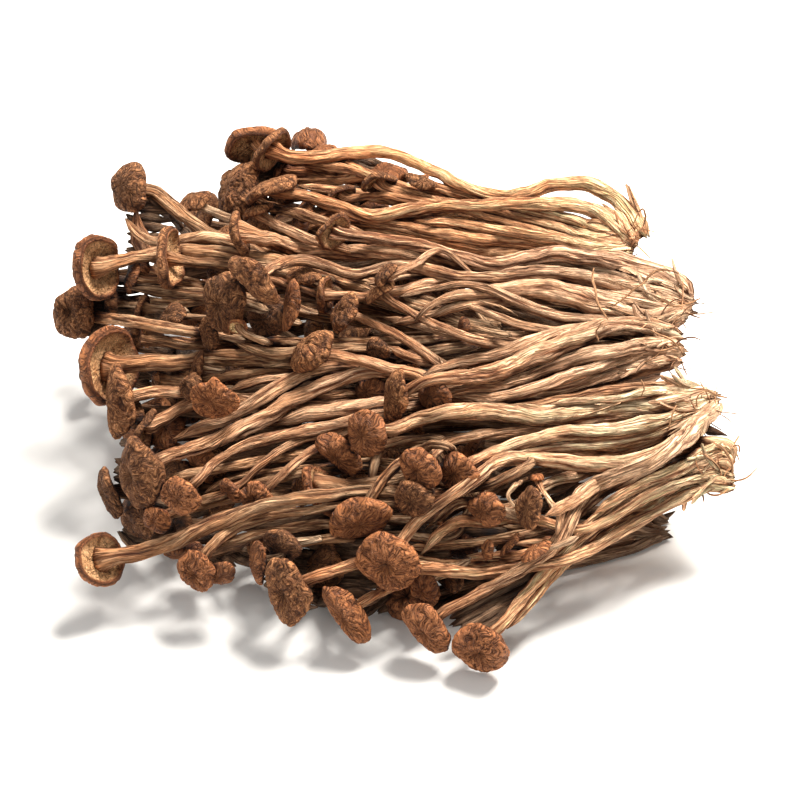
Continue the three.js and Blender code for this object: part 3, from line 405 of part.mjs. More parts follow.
      { line: [[14.2,-29.5,2.19,2.63],[-35.49,-30.53,8.51,2.35],[-87.87,-32.91,15.02,2.94]], cap: [[-86.05,-32.36,14.02],[-0.8484,-0.2541,0.4643],[-0.5236,0.2752,-0.8063],[12,9.05,7.19,0]], face: [0.1273,-0.9639,0.2338], flat: 0.759 },
      { line: [[15.74,-26.08,2.49,3.43],[-39.86,-23.1,8.52,3.09],[-94.96,-19.29,15.54,3.95]], cap: [[-93.74,-19.86,13.96],[-0.5877,0.272,0.7619],[0.7929,0.3811,0.4755],[11.46,10.64,6.94,0.6]], face: [0.2378,-0.1742,0.9556], flat: 0.832 },
      { line: [[15.82,-35.31,2.94,3.18],[-32.51,-47.16,6.33,2.84],[-83.37,-58.42,14.06,3.52]], cap: [[-82.41,-57.93,13.67],[-0.8356,-0.4283,0.3439],[-0.5409,0.7505,-0.3796],[9.18,6.49,3.82,0]], face: [0.2005,0.7232,-0.6609], flat: 0.768 },
      { line: [[18.78,-15.09,2.46,3.4],[1.64,-5.98,2.26,3.17],[-27.19,9.69,11.68,3.01],[-72.65,34.02,19.94,3.71]], cap: [[-72.3,34.77,18.62],[-0.2306,-0.4808,0.8459],[-0.3349,0.8555,0.395],[10.64,8.28,5.22,0]], face: [-0.0713,-0.2282,0.971], flat: 0.757 },
      { line: [[21.02,-34.62,3.5,2.59],[-14.34,-55.47,10.05,2.34],[-48.5,-77.49,17.81,2.96]], cap: [[-47.81,-76.15,17.81],[-0.463,-0.8864,-0.006],[0.1979,-0.1099,0.9741],[12.19,7.61,5.04,0.3]], face: [0.7136,-0.5338,0.4537], flat: 0.821 },
      { line: [[18.1,-30.86,2.87,2.3],[-25.89,-36.65,3.54,2.06],[-69.39,-40.8,7.08,2.56]], cap: [[-68.02,-41.31,6.16],[-0.7936,0.2914,0.5341],[-0.2434,-0.9566,0.1603],[10.48,8.04,5.77,0]], face: [-0.3511,0.1909,-0.9167], flat: 0.831 },
    ],
  },
  clump_under_06: {
    fans: [
      [
        [[13.33,35,2.27,3.19],[-4.82,42.49,3.39,3],[-0.1667,-0.1374,0.9764],0.875],
        [[15.93,42.38,2.25,2.96],[-3.56,39.73,2.44,2.75],[0.2752,-0.6112,-0.7421],0.848],
        [[13.91,42.63,1.69,2.54],[-3.89,34.44,4.58,2.32],[0.3298,-0.3068,0.8928],0.845],
        [[10.67,41.96,2.27,3.19],[-7.93,48.75,2.1,3],[-0.0689,-0.9423,0.3277],0.782],
        [[13.95,36.44,1.79,2.65],[-5.28,39.25,6.02,2.47],[-0.2947,0.1868,-0.9371],0.882],
        [[15.52,41.99,2.58,3.53],[-1.49,51.61,2.38,3.3],[-0.2289,-0.3492,0.9087],0.872],
        [[12.3,42.8,2.22,2.8],[-5.73,36.94,6.57,2.56],[-0.3308,-0.0239,-0.9434],0.749],
      ],
    ],
    growths: [
      { line: [[2.91,39.23,2.59,3.08],[-28.9,53.89,11,2.77],[-61.97,70.24,23.44,2.72],[-95.2,89.45,29.48,3.44]], cap: [[-94.04,88.06,29.34],[-0.6413,0.763,0.0811],[0.5544,0.5338,-0.6385],[11.83,7.7,6.06,0]], face: [-0.1667,-0.1374,0.9764], flat: 0.875 },
      { line: [[4.81,40.82,2.32,2.84],[-42.72,37.31,5.18,2.56],[-90.2,37.24,10.01,3.23]], cap: [[-88.3,36.21,9.28],[-0.8347,0.4484,0.3198],[0.4658,0.8845,-0.0243],[11.32,10.04,7.63,0.6]], face: [0.2752,-0.6112,-0.7421], flat: 0.848 },
      { line: [[3.72,38.02,3.34,2.41],[-37.99,14.65,8.56,2.04],[-55.57,0.75,15.92,2.44]], cap: [[-56.5,1.57,15.19],[0.646,-0.5714,0.5061],[0.2653,0.7898,0.553],[10.49,9.93,4.79,0]], face: [0.3298,-0.3068,0.8928], flat: 0.845 },
      { line: [[0.11,46.01,2.17,3.08],[-35.27,56.08,2.23,2.78],[-72.78,68.76,1.95,2.83],[-108.2,75.42,5.81,3.68]], cap: [[-107.39,75.25,6.71],[-0.6595,0.1382,-0.7389],[-0.5857,0.5217,0.6204],[9.88,7.76,4.08,0.6]], face: [-0.0689,-0.9423,0.3277], flat: 0.782 },
      { line: [[2.92,37.92,4.07,2.55],[-41.91,50.88,14.98,2.2],[-83.41,72.64,23.42,2.53]], cap: [[-83.24,71.65,22.87],[-0.1526,0.8612,0.4848],[-0.1112,0.4725,-0.8743],[11.44,7.99,3.8,0]], face: [-0.2947,0.1868,-0.9371], flat: 0.882 },
      { line: [[5.8,47.49,2.46,3.4],[-34.08,67.4,2.04,3.01],[-76.31,89.22,1.99,2.85],[-87.3,94.38,8.25,3.6]], cap: [[-86.33,94.1,7.2],[-0.6659,0.1937,0.7205],[0.7447,0.2314,0.626],[10.91,10.28,4.85,0.3]], face: [-0.2289,-0.3492,0.9087], flat: 0.872 },
      { line: [[2.01,39.27,4.5,2.66],[-34.38,30.57,15.12,2.37],[-70.91,24.46,26.4,2.9]], cap: [[-70.1,25.13,25.14],[-0.4937,-0.407,0.7685],[-0.1408,0.9095,0.3911],[8.79,7.41,5.49,0]], face: [-0.3308,-0.0239,-0.9434], flat: 0.749 },
    ],
  },
  clump_under_07: {
    fans: [
      [
        [[116.95,36.15,37.66,2.65],[97.5,33.28,38.54,2.48],[0.6449,0.6247,-0.4403],0.831],
        [[117,41.08,37.35,3.43],[97.49,40.06,37.72,3.23],[0.2572,-0.7718,-0.5815],0.82],
        [[117.49,40.37,38.53,3.2],[98.69,45.15,38.31,2.97],[-0.2215,-0.4662,-0.8565],0.797],
        [[116.12,42.37,38.78,3.27],[97.59,40.38,33.38,3.02],[-0.2337,-0.9135,-0.333],0.84],
      ],
    ],
    growths: [
      { line: [[105.84,34.53,38.16,2.55],[56.01,26.09,40.63,2.24],[5.05,11.79,44.58,2.67]], cap: [[5.86,12.58,43.78],[-0.587,-0.5684,0.5765],[0.3759,-0.822,-0.4278],[10.48,8.29,4.65,0]], face: [0.6449,0.6247,-0.4403], flat: 0.831 },
      { line: [[105.85,40.51,37.57,3.32],[47.39,36.58,38.53,2.86],[-13.7,32.13,41.49,3.3]], cap: [[-12.24,31.39,40.13],[-0.6844,0.3477,0.6408],[-0.6254,-0.7318,-0.2708],[10.94,9.39,7.1,0]], face: [0.2572,-0.7718,-0.5815], flat: 0.82 },
      { line: [[106.76,43.13,38.39,3.07],[63.51,52.94,38.3,2.77],[17.95,64.85,39.22,3.51]], cap: [[19.48,64.32,39.34],[-0.9421,0.3266,-0.0757],[-0.2941,-0.6964,0.6546],[12.81,11.35,5.41,0]], face: [-0.2215,-0.4662,-0.8565], flat: 0.797 },
      { line: [[105.56,41.32,35.56,3.13],[64.92,34.49,32.27,2.83],[32.81,24.5,24.58,2.81],[9.4,21.21,24.46,3.59]], cap: [[10.76,21.43,24.33],[-0.9821,-0.1602,0.0987],[0.1,-0.8888,-0.4473],[8.35,6.76,4.63,0.6]], face: [-0.2337,-0.9135,-0.333], flat: 0.84 },
    ],
  },
  clump_under_08: {
    fans: [
      [
        [[111.21,-23.16,28.12,3.01],[92.47,-16.74,26.58,2.74],[-0.4492,-0.8215,0.3513],0.777],
        [[115.01,-24.09,27.85,2.76],[96.24,-29.45,27.52,2.57],[0.2106,-0.3755,0.9026],0.843],
        [[110.46,-17.56,27.39,2.55],[91.38,-21.32,27.28,2.31],[-0.1469,-0.9818,0.1202],0.879],
        [[111.78,-18.31,28.61,2.76],[92.29,-17.38,30.66,2.55],[-0.0721,-0.7455,-0.6626],0.88],
      ],
    ],
    growths: [
      { line: [[100.49,-19.53,27.23,2.86],[65.91,-6.84,24.6,2.55],[31.04,6.49,23.58,3.1]], cap: [[32.23,5.93,22.95],[-0.816,0.3839,0.432],[-0.5713,-0.6493,-0.502],[10.41,7.39,4.86,0]], face: [-0.4492,-0.8215,0.3513], flat: 0.777 },
      { line: [[104.28,-27.12,27.64,2.65],[61.86,-40.91,27.63,2.35],[18.69,-59.62,28.93,2.86]], cap: [[19.19,-59.8,29.39],[-0.7171,0.2543,-0.6489],[-0.6765,-0.478,0.5602],[7.17,4.73,2.36,0]], face: [0.2106,-0.3755,0.9026], flat: 0.843 },
      { line: [[99.57,-19.74,27.34,2.41],[33.69,-27.61,26.42,2.94]], cap: [[34.7,-28.22,26.19],[-0.8391,0.5093,0.1909],[-0.541,-0.7449,-0.3904],[9.64,6.37,4.03,0]], face: [-0.1469,-0.9818,0.1202], flat: 0.879 },
      { line: [[100.65,-17.77,29.83,2.64],[55.93,-16.27,32.72,2.34],[11.35,-19.08,36.49,2.85]], cap: [[12.31,-18.96,36.31],[-0.975,-0.1299,0.1802],[0.2085,-0.8147,0.5411],[8.38,6.46,3.29,0.6]], face: [-0.0721,-0.7455,-0.6626], flat: 0.88 },
    ],
  },
  clump_under_09: {
    fans: [
      [
        [[112.39,81.98,35.86,3.01],[92.86,83.39,36.3,2.84],[0.0327,0.2999,-0.9534],0.789],
        [[110.16,82.85,34.13,2.66],[90.94,80.11,38.39,2.45],[0.0363,-0.9154,0.4009],0.844],
        [[110.8,89.43,33.88,3.29],[91.35,92.33,31.83,3.07],[-0.1828,-0.3421,-0.9217],0.823],
        [[112.43,84.65,34.45,2.58],[93.13,86.91,32.99,2.39],[-0.2101,0.1704,-0.9627],0.783],
        [[113.8,87.05,32.55,2.83],[94.45,84.88,29.75,2.64],[0.0107,0.666,0.7459],0.801],
      ],
    ],
    growths: [
      { line: [[101.24,82.79,36.11,2.92],[42.59,86.4,37,2.52],[-18.88,85.92,36.76,2.93]], cap: [[-17.53,85.27,36.7],[-0.9004,0.4332,0.0411],[-0.3926,-0.8496,0.3522],[9.96,6.45,5.02,0]], face: [0.0327,0.2999,-0.9534], flat: 0.789 },
      { line: [[99.22,81.1,36.62,2.54],[54.55,81.4,44.39,2.25],[19.07,87.89,53.46,2.77]], cap: [[19.49,87.35,52.41],[-0.3409,0.4293,0.8364],[-0.1953,-0.9026,0.3837],[9.14,5.75,4.18,0]], face: [0.0363,-0.9154,0.4009], flat: 0.844 },
      { line: [[99.69,91.11,32.72,3.17],[63.53,95.94,28.62,2.81],[24.53,100.61,23.7,2.6],[-0.38,98.24,19.31,3.17]], cap: [[1.23,98.54,19.76],[-0.9484,-0.173,-0.2656],[-0.2963,0.1861,0.9368],[10.63,7.84,5.7,0.6]], face: [-0.1828,-0.3421,-0.9217], flat: 0.823 },
      { line: [[101.41,85.96,33.59,2.47],[57.42,92.23,31.08,2.24],[11.84,98.27,28.94,2.85]], cap: [[12.01,98.81,27.08],[-0.0859,-0.2819,0.9556],[-0.3031,0.9211,0.2444],[11.9,9.04,6.47,0.3]], face: [-0.2101,0.1704,-0.9627], flat: 0.783 },
      { line: [[102.75,85.85,30.88,2.72],[52.79,79.04,27.76,2.43],[7.49,65.11,23.97,3.02]], cap: [[7.95,66.01,24.05],[-0.4557,-0.8866,-0.0788],[0.5649,-0.2197,-0.7954],[6.74,4.79,3.38,0.3]], face: [0.0107,0.666,0.7459], flat: 0.801 },
    ],
  },
  clump_under_10: {
    fans: [
      [
        [[40.59,115.1,35.32,3.27],[21.86,111.08,40.13,3.04],[0.1171,0.3387,0.9336],0.87],
        [[40.67,107.78,35.84,3.46],[21.18,108.71,35.53,3.23],[0.2634,0.9617,-0.0763],0.879],
        [[39.7,105.8,36.41,3.5],[20.07,103.74,38.06,3.21],[-0.2237,-0.8944,0.3872],0.838],
        [[40,112.3,35.78,2.55],[20.74,114.15,34.77,2.33],[-0.0458,-0.4685,0.8823],0.867],
        [[43.08,111.31,35.8,2.56],[24.97,106.65,41.4,2.39],[0.0609,0.9977,0.0281],0.76],
      ],
    ],
    growths: [
      { line: [[29.89,112.78,38.05,3.14],[-15.48,104.13,50.9,2.81],[-60.08,95.69,66.49,3.51]], cap: [[-58.53,96.23,65.96],[-0.8996,-0.3089,0.3086],[0.406,-0.3319,0.8515],[12.36,8.94,5.76,0.6]], face: [0.1171,0.3387,0.9336], flat: 0.87 },
      { line: [[29.54,108.31,35.59,3.33],[-20.56,109.88,37.06,2.91],[-70.15,105.19,37.84,3.48]], cap: [[-68.69,106.22,37.49],[-0.802,-0.5646,0.195],[0.1961,-0.5571,-0.8069],[13.52,12.01,6.06,0]], face: [0.2634,0.9617,-0.0763], flat: 0.879 },
      { line: [[28.5,104.52,37.33,3.34],[-16.4,105.7,41.76,3.11],[-49.07,113.41,42.72,4.09]], cap: [[-48.44,112.63,42.54],[-0.62,0.7641,0.1781],[-0.2921,-0.4355,0.8514],[6.59,5.57,3.39,0]], face: [-0.2237,-0.8944,0.3872], flat: 0.838 },
      { line: [[29,113.42,35.24,2.42],[-6.83,114.32,32.71,2.25],[-42.37,110.92,28.93,2.96]], cap: [[-41.6,110.77,29.3],[-0.8942,0.1635,-0.4166],[0.3808,0.7672,-0.5162],[9.23,5.94,2.91,0]], face: [-0.0458,-0.4685,0.8823], flat: 0.867 },
      { line: [[32.74,108.65,39,2.46],[-14.76,96.86,49.86,2.22],[-60.16,79.85,62.32,2.83]], cap: [[-58.86,81.31,62.63],[-0.6588,-0.7359,-0.1566],[-0.5998,0.3881,0.6997],[11.96,10.61,6.6,0.3]], face: [0.0609,0.9977,0.0281], flat: 0.76 },
    ],
  },
  clump_under_11: {
    fans: [
      [
        [[96.5,79.48,56.24,2.95],[77.61,84.57,58.4,2.74],[-0.3455,-0.5756,0.7412],0.756],
        [[98.65,75.21,55.23,2.59],[79.34,79.62,55.91,2.43],[-0.083,0.9959,0.0364],0.881],
        [[96.01,75.31,56.65,3.68],[76.47,75.45,57.53,3.42],[0.3974,0.5537,0.7318],0.811],
        [[97.8,77.88,55.4,3.51],[79.01,79.82,60.62,3.29],[-0.225,0.8342,-0.5035],0.85],
        [[98.22,77.99,56.23,2.79],[79.01,78.33,53.1,2.59],[0.0978,0.7584,-0.6445],0.769],
      ],
    ],
    growths: [
      { line: [[85.71,82.4,57.47,2.83],[42.48,93.58,62.88,2.45],[-2.27,107,72.66,2.82]], cap: [[-2.04,106.87,71.57],[-0.2128,0.118,0.9699],[0.9387,-0.2507,0.2365],[11.7,7.54,3.74,0]], face: [-0.3455,-0.5756,0.7412], flat: 0.756 },
      { line: [[87.62,77.71,55.63,2.5],[30.37,93.96,58.94,2.14],[8.77,94,57.65,2.08],[-18.16,107.81,59.46,2.5]], cap: [[-17.74,107.7,60.17],[-0.5029,0.1337,-0.854],[0.3385,0.9395,-0.0523],[8.06,5.2,2.77,0.6]], face: [-0.083,0.9959,0.0364], flat: 0.881 },
      { line: [[84.85,75.25,57.17,3.53],[37.68,79.98,59.6,3.14],[-8.43,87.95,61.89,3.87]], cap: [[-7.13,86.66,61.89],[-0.7108,0.7034,0.0038],[0.6745,0.6831,-0.2802],[12.01,8.16,6.11,0]], face: [0.3974,0.5537,0.7318], flat: 0.811 },
      { line: [[87.08,79,58.43,3.38],[34.63,79.48,65.92,3.04],[-18.22,77.33,69.63,3.86]], cap: [[-16.93,78.03,69.65],[-0.8794,-0.4759,-0.0121],[-0.2224,0.3883,0.8943],[10.3,8.73,4.91,0.6]], face: [-0.225,0.8342,-0.5035], flat: 0.85 },
      { line: [[87.26,78.15,54.35,2.68],[21.41,76.93,52.81,2.4],[-6.14,81.18,56.83,3.05]], cap: [[-5.44,80.89,56.63],[-0.8975,0.3622,0.2515],[-0.4151,-0.8865,-0.2046],[7.14,4.88,2.62,0.6]], face: [0.0978,0.7584,-0.6445], flat: 0.769 },
    ],
  },
  clump_under_12: {
    fans: [
      [
        [[11.09,76.56,48.75,2.76],[-8.09,75.75,46.43,2.57],[-0.0387,0.7761,-0.6294],0.745],
        [[13.16,80.37,47.52,3.01],[-5.16,73,45.76,2.79],[-0.1111,-0.8319,0.5436],0.852],
        [[11.16,80.31,48.36,2.68],[-7.88,84.96,48.01,2.47],[0.1028,0.9946,-0.0166],0.74],
        [[12.64,76.6,48.36,3.63],[-5.69,70.01,50.47,3.37],[0.2146,-0.8107,0.5447],0.882],
        [[13.66,76.57,48.73,2.96],[-5.18,79.66,45.77,2.75],[-0.6156,-0.7798,-0.1138],0.795],
        [[8.85,83.9,47.68,2.65],[-10.28,81.06,49.79,2.51],[-0.2073,-0.9393,0.2734],0.788],
      ],
    ],
    growths: [
      { line: [[0.17,75.91,47.22,2.65],[-46.88,76.16,43.83,2.33],[-96.31,75.44,38.29,2.77]], cap: [[-94.56,75.01,39.09],[-0.889,0.2185,-0.4023],[0.4552,0.5167,-0.7252],[11.85,9.25,6.59,0.6]], face: [-0.0387,0.7761,-0.6294], flat: 0.745 },
      { line: [[2.71,76.18,46.23,2.89],[-39.73,60.48,45.58,2.56],[-83.29,41.21,44.18,3.11]], cap: [[-82.95,41.85,43.23],[-0.293,-0.535,0.7924],[0.9546,-0.1174,0.2737],[8.89,6.85,3.99,0.3]], face: [-0.1111,-0.8319,0.5436], flat: 0.852 },
      { line: [[0.38,83.3,47.85,2.56],[-35.33,88.31,50.07,2.26],[-80.57,91.88,63.54,2.61]], cap: [[-79.53,92.01,62.94],[-0.8588,-0.112,0.4999],[-0.0449,-0.9556,-0.2913],[10.07,6.69,4.04,0.6]], face: [0.1028,0.9946,-0.0166], flat: 0.74 },
      { line: [[2.23,72.54,49.29,3.48],[-43.49,59.92,51.04,3.05],[-88.08,43.74,51.54,3.62]], cap: [[-86.9,43.66,50.55],[-0.7657,0.0506,0.6412],[0.5852,0.4684,0.6619],[8.35,6.76,5.16,0]], face: [0.2146,-0.8107,0.5447], flat: 0.882 },
      { line: [[2.88,78.11,46.53,2.84],[-42.94,90.22,46.83,2.61],[-87.5,105.56,47.15,3.43]], cap: [[-85.98,105.38,46.57],[-0.9286,0.1073,0.3553],[0.3662,0.4204,0.8302],[12.58,9.68,5.46,0.3]], face: [-0.6156,-0.7798,-0.1138], flat: 0.795 },
      { line: [[-2.06,82.25,48.99,2.57],[-62.37,73.12,49.72,2.21],[-124.61,62.46,51.87,2.51]], cap: [[-124.25,62.03,50.55],[-0.2493,0.3008,0.9205],[0.0934,0.9536,-0.2863],[8.94,7.41,4.8,0.3]], face: [-0.2073,-0.9393,0.2734], flat: 0.788 },
    ],
  },
  clump_under_13: {
    fans: [
      [
        [[33.12,22.78,34.26,3.12],[15.35,30.85,33.11,2.9],[-0.2017,0.7862,-0.5842],0.784],
        [[33.94,29.11,33.75,3.63],[15.04,27.08,37.08,3.37],[0.1532,-0.9787,0.1365],0.829],
        [[31.61,23.05,33.38,2.83],[14.83,14.71,32.14,2.65],[-0.1663,0.1146,0.9794],0.814],
        [[31.81,28.53,34.47,3.37],[14.51,20.97,37.45,3.16],[-0.0851,-0.2827,0.9554],0.781],
        [[33.47,29.79,34.68,2.88],[14.44,32.2,32.89,2.68],[0.0745,0.0951,0.9927],0.802],
      ],
    ],
    growths: [
      { line: [[23.03,27.41,34.9,2.99],[5.3,35.6,32.47,2.77],[-28.14,47.98,38.1,2.64],[-49.16,55.18,36.52,2.58],[-64.36,61.43,41.49,3.26]], cap: [[-63.63,60.86,40.94],[-0.6793,0.5295,0.5081],[-0.2851,0.4475,-0.8476],[8.33,7.68,3.61,0.6]], face: [-0.2017,0.7862,-0.5842], flat: 0.784 },
      { line: [[23.08,28.56,36.16,3.48],[-20.87,19.48,36.33,3.14],[-68.02,15.23,39.98,3.98]], cap: [[-66.82,15.59,38.67],[-0.6657,-0.1986,0.7193],[-0.4191,0.8971,-0.1402],[10.77,8.58,6.06,0]], face: [0.1532,-0.9787,0.1365], flat: 0.829 },
      { line: [[22.28,17.8,32.66,2.73],[-18.17,1.33,31.55,2.41],[-55.36,-11.02,22.66,2.24],[-74.04,-21.84,21.28,2.77]], cap: [[-73.69,-21.54,19.52],[-0.1963,-0.1612,0.9672],[0.6292,-0.7773,-0.0019],[11.3,7.63,6.08,0.6]], face: [-0.1663,0.1146,0.9794], flat: 0.814 },
      { line: [[22.05,24.31,36.97,3.25],[-28.21,7.1,37.8,2.81],[-78.59,-8.45,39.26,3.27]], cap: [[-77.39,-8.39,38.48],[-0.8381,-0.0462,0.5435],[0.5243,-0.3432,0.7793],[12.75,9.92,4.79,0]], face: [-0.0851,-0.2827,0.9554], flat: 0.781 },
      { line: [[22.62,31.14,33.59,2.77],[11.62,31.79,32.53,2.66],[-29.98,16.46,29,2.55],[-73.11,5.03,25.18,3.35]], cap: [[-72.21,4.25,25.6],[-0.7179,0.6159,-0.3244],[-0.5251,-0.7851,-0.3284],[10.29,7.81,4.24,0.6]], face: [0.0745,0.0951,0.9927], flat: 0.802 },
    ],
  },
  clump_under_14: {
    fans: [
      [
        [[22.57,101.8,62.18,3.27],[3.79,99.05,66.12,2.99],[-0.3285,0.9309,0.1595],0.808],
        [[25.81,102.75,61.65,2.74],[7.65,97.25,66.45,2.47],[-0.7049,-0.7085,0.0336],0.754],
        [[25.83,103.04,61.89,3.66],[7.95,101.47,51.59,3.31],[0.2435,0.9423,-0.2296],0.848],
        [[24.61,102.43,61.65,2.97],[5.33,103.56,63.58,2.65],[-0.4873,-0.7929,-0.366],0.812],
      ],
    ],
    growths: [
      { line: [[11.87,100.27,64.68,3.11],[-25.69,89.06,65.55,2.78],[-55.67,69.04,68.29,3.42]], cap: [[-55.11,69.71,68.21],[-0.6445,-0.7591,0.0916],[-0.4316,0.4601,0.7759],[8.67,6.13,2.93,0.3]], face: [-0.3285,0.9309,0.1595], flat: 0.808 },
      { line: [[15.36,99.53,64.02,2.59],[-46.64,89.15,73.27,3.18]], cap: [[-45.69,88.41,72.34],[-0.6282,0.4815,0.6111],[-0.507,0.3424,-0.791],[10.03,8.26,5.07,0.6]], face: [-0.7049,-0.7085,0.0336], flat: 0.754 },
      { line: [[15.9,102.45,55.57,3.46],[-0.66,98.89,52.14,3.17],[-17.88,88.06,56.45,2.98],[-42.7,69.48,53.81,3.46]], cap: [[-42.04,70.54,52.89],[-0.4252,-0.6863,0.5901],[-0.5009,-0.3645,-0.785],[9.58,7.6,5.19,0]], face: [0.2435,0.9423,-0.2296], flat: 0.848 },
      { line: [[13.6,103.33,62.63,2.79],[-43.89,106.8,68.22,2.91]], cap: [[-43.14,106.65,67.3],[-0.6233,0.1247,0.772],[0.733,-0.2505,0.6324],[9.24,7.74,3.99,0]], face: [-0.4873,-0.7929,-0.366], flat: 0.812 },
    ],
  },
  clump_under_15: {
    fans: [
      [
        [[116.96,34.9,17.69,2.65],[97.46,31.78,16.69,2.49],[-0.0315,-0.9922,-0.1207],0.802],
        [[114.75,38.28,17.7,3.45],[96.36,32.14,21.29,3.24],[-0.1464,-0.8324,-0.5345],0.796],
        [[117.22,33.11,17.11,3.16],[98.35,27.24,17.57,2.96],[0.042,-0.0058,0.9991],0.839],
        [[115.96,38.18,18.08,2.77],[96.74,37.05,16.2,2.53],[-0.166,0.0365,-0.9854],0.817],
      ],
    ],
    growths: [
      { line: [[105.82,33.1,17.09,2.56],[61.11,26.62,15.85,2.28],[19.21,24.2,14.87,2.19],[-6.04,22.24,19.62,2.76]], cap: [[-4.88,22.44,18.82],[-0.8149,-0.1393,0.5626],[0.176,-0.9843,0.0112],[10.12,6.56,4.73,0]], face: [-0.0315,-0.9922,-0.1207], flat: 0.802 },
      { line: [[104.25,34.83,19.86,3.33],[62.62,18.38,24.48,2.96],[35.09,0.44,31.18,2.85],[3.93,-12.37,29.97,3.51]], cap: [[4.01,-11.56,30.26],[-0.0993,-0.9371,-0.3347],[-0.365,0.3472,-0.8638],[6.16,5.28,2.89,0]], face: [-0.1464,-0.8324,-0.5345], flat: 0.796 },
      { line: [[106.46,29.71,17.41,3.05],[73.56,21.68,17.59,2.75],[37.22,17.91,19.14,2.8],[21.73,10.54,18.92,2.82],[0.84,10.7,25.73,3.64]], cap: [[1.89,10.68,24.99],[-0.8149,0.0177,0.5794],[-0.0874,0.9843,-0.153],[9.35,7.23,4.3,0.6]], face: [0.042,-0.0058,0.9991], flat: 0.839 },
      { line: [[104.98,37.51,17.03,2.63],[66.61,35.94,12.5,2.36],[28.5,35.72,9.71,2.91]], cap: [[29.96,35.33,10.01],[-0.9473,0.2567,-0.1916],[-0.3149,-0.6358,0.7047],[12.34,8.5,5.13,0]], face: [-0.166,0.0365,-0.9854], flat: 0.817 },
    ],
  },
  clump_under_16: {
    fans: [
      [
        [[-0.26,-5.89,21.69,3.51],[-19.62,-5.23,20.04,3.26],[0.0132,0.3712,0.9285],0.762],
        [[-3.02,-1.74,21.91,2.53],[-21.6,-7.83,24.96,2.32],[-0.3365,-0.8991,-0.28],0.864],
        [[-1.15,-8.03,21.32,3.21],[-20.28,-10.57,20.94,2.97],[0.0523,0.079,-0.9955],0.782],
        [[1.17,-0.93,22.17,2.78],[-16.19,-9.41,24.99,2.53],[-0.2854,-0.4814,0.8287],0.841],
        [[4.51,-1.21,21.22,2.89],[-14.06,5.77,21,2.64],[-0.0665,0.1172,0.9909],0.813],
        [[0.78,-6.42,21.39,3.41],[-17.8,-6.9,27.97,3.18],[-0.5502,-0.0982,-0.8293],0.879],
        [[-0.97,1.42,21.72,2.43],[-18.39,8.99,24.61,2.28],[-0.0979,0.6078,0.788],0.812],
        [[-2.19,-0.84,22.06,3.09],[-20.7,4,18.79,2.92],[0.0869,-0.3223,0.9426],0.868],
      ],
    ],
    growths: [
      { line: [[-11.29,-4.99,20.63,3.37],[-66.84,-8.31,17.51,2.92],[-102.97,4.16,18.33,3.55]], cap: [[-101.91,3.93,16.92],[-0.5984,0.1297,0.7906],[-0.7827,0.1162,-0.6115],[12.88,11.1,5.93,0]], face: [0.0132,0.3712,0.9285], flat: 0.762 },
      { line: [[-13.63,-5.23,23.67,2.41],[-51.16,-16.27,29.65,2.22],[-89.03,-23.83,36.94,2.9]], cap: [[-88.24,-23.26,36.03],[-0.5919,-0.4279,0.683],[0.5992,0.3332,0.728],[9.34,6.96,4.46,0]], face: [-0.3365,-0.8991,-0.28], flat: 0.864 },
      { line: [[-11.98,-8.98,20.77,3.07],[-52.37,-18.23,26.34,2.78],[-99.78,-21.07,29.05,3.52]], cap: [[-98.45,-21,28.79],[-0.9793,-0.056,0.1946],[0.0676,-0.9963,0.0537],[12.05,9.84,4.54,0]], face: [0.0523,0.079,-0.9955], flat: 0.782 },
      { line: [[-8.88,-5.46,23.91,2.64],[-41.81,-20.17,24.83,2.35],[-76.51,-31.3,23.96,2.85]], cap: [[-75.57,-30.31,23.8],[-0.6838,-0.7206,0.1146],[0.4921,-0.5714,-0.6568],[9.05,6.58,4.61,0.6]], face: [-0.2854,-0.4814,0.8287], flat: 0.841 },
      { line: [[-6.13,1.99,21.16,2.75],[-37.42,16.32,23.18,2.44],[-76.34,35.17,36.97,2.84]], cap: [[-75.66,34.14,36.82],[-0.5477,0.829,0.1127],[-0.5535,-0.4601,0.6942],[11.54,7.69,4.16,0]], face: [-0.0665,0.1172,0.9909], flat: 0.813 },
      { line: [[-9.82,-6.5,25.17,3.28],[-44.81,-11.25,34.8,2.92],[-75.28,-22.32,44.36,2.77],[-103.24,-26.21,47.49,3.4]], cap: [[-102.14,-25.57,47.21],[-0.8475,-0.4851,0.2156],[0.334,-0.803,-0.4936],[7.55,6.55,4.36,0]], face: [-0.5502,-0.0982,-0.8293], flat: 0.879 },
      { line: [[-10.91,5.86,22.72,2.34],[-40.03,11.74,32.82,2.12],[-75.03,21.54,31.9,2.09],[-112.44,30.65,37.39,2.64]], cap: [[-111.79,30.69,36.45],[-0.5668,-0.0358,0.8231],[-0.0743,-0.9928,-0.0943],[9.81,7.7,3.84,0]], face: [-0.0979,0.6078,0.788], flat: 0.812 },
      { line: [[-12.77,1.73,19.96,2.99],[-71.1,18.81,16.18,2.58],[-128.91,38.22,15.98,2.99]], cap: [[-127.5,37.76,16.05],[-0.9494,0.3103,-0.0478],[-0.092,-0.1295,0.9873],[9.81,8.67,4.94,0]], face: [0.0869,-0.3223,0.9426], flat: 0.868 },
    ],
  },
  stray_01: {
    growths: [
      { line: [[57.37,-83.51,39.68,1.74],[42.7,-82.09,45.28,2.06],[37.98,-83.46,46.92,2.47]], cap: [[38.86,-82.61,46.63],[-0.6983,-0.676,0.2354],[0.6919,-0.5531,0.4641],[11.16,8.37,4.18,0]] },
    ],
  },
  stray_02: {
    growths: [
      { line: [[72.9,-89.62,38.44,1.35],[57.16,-96.46,37.91,1.47]], cap: [[57.43,-96.52,37.35],[-0.433,0.0991,0.8959],[0.8465,0.3862,0.3664],[6.9,3.45,2.07,0]] },
    ],
  },
  stray_03: {
    growths: [
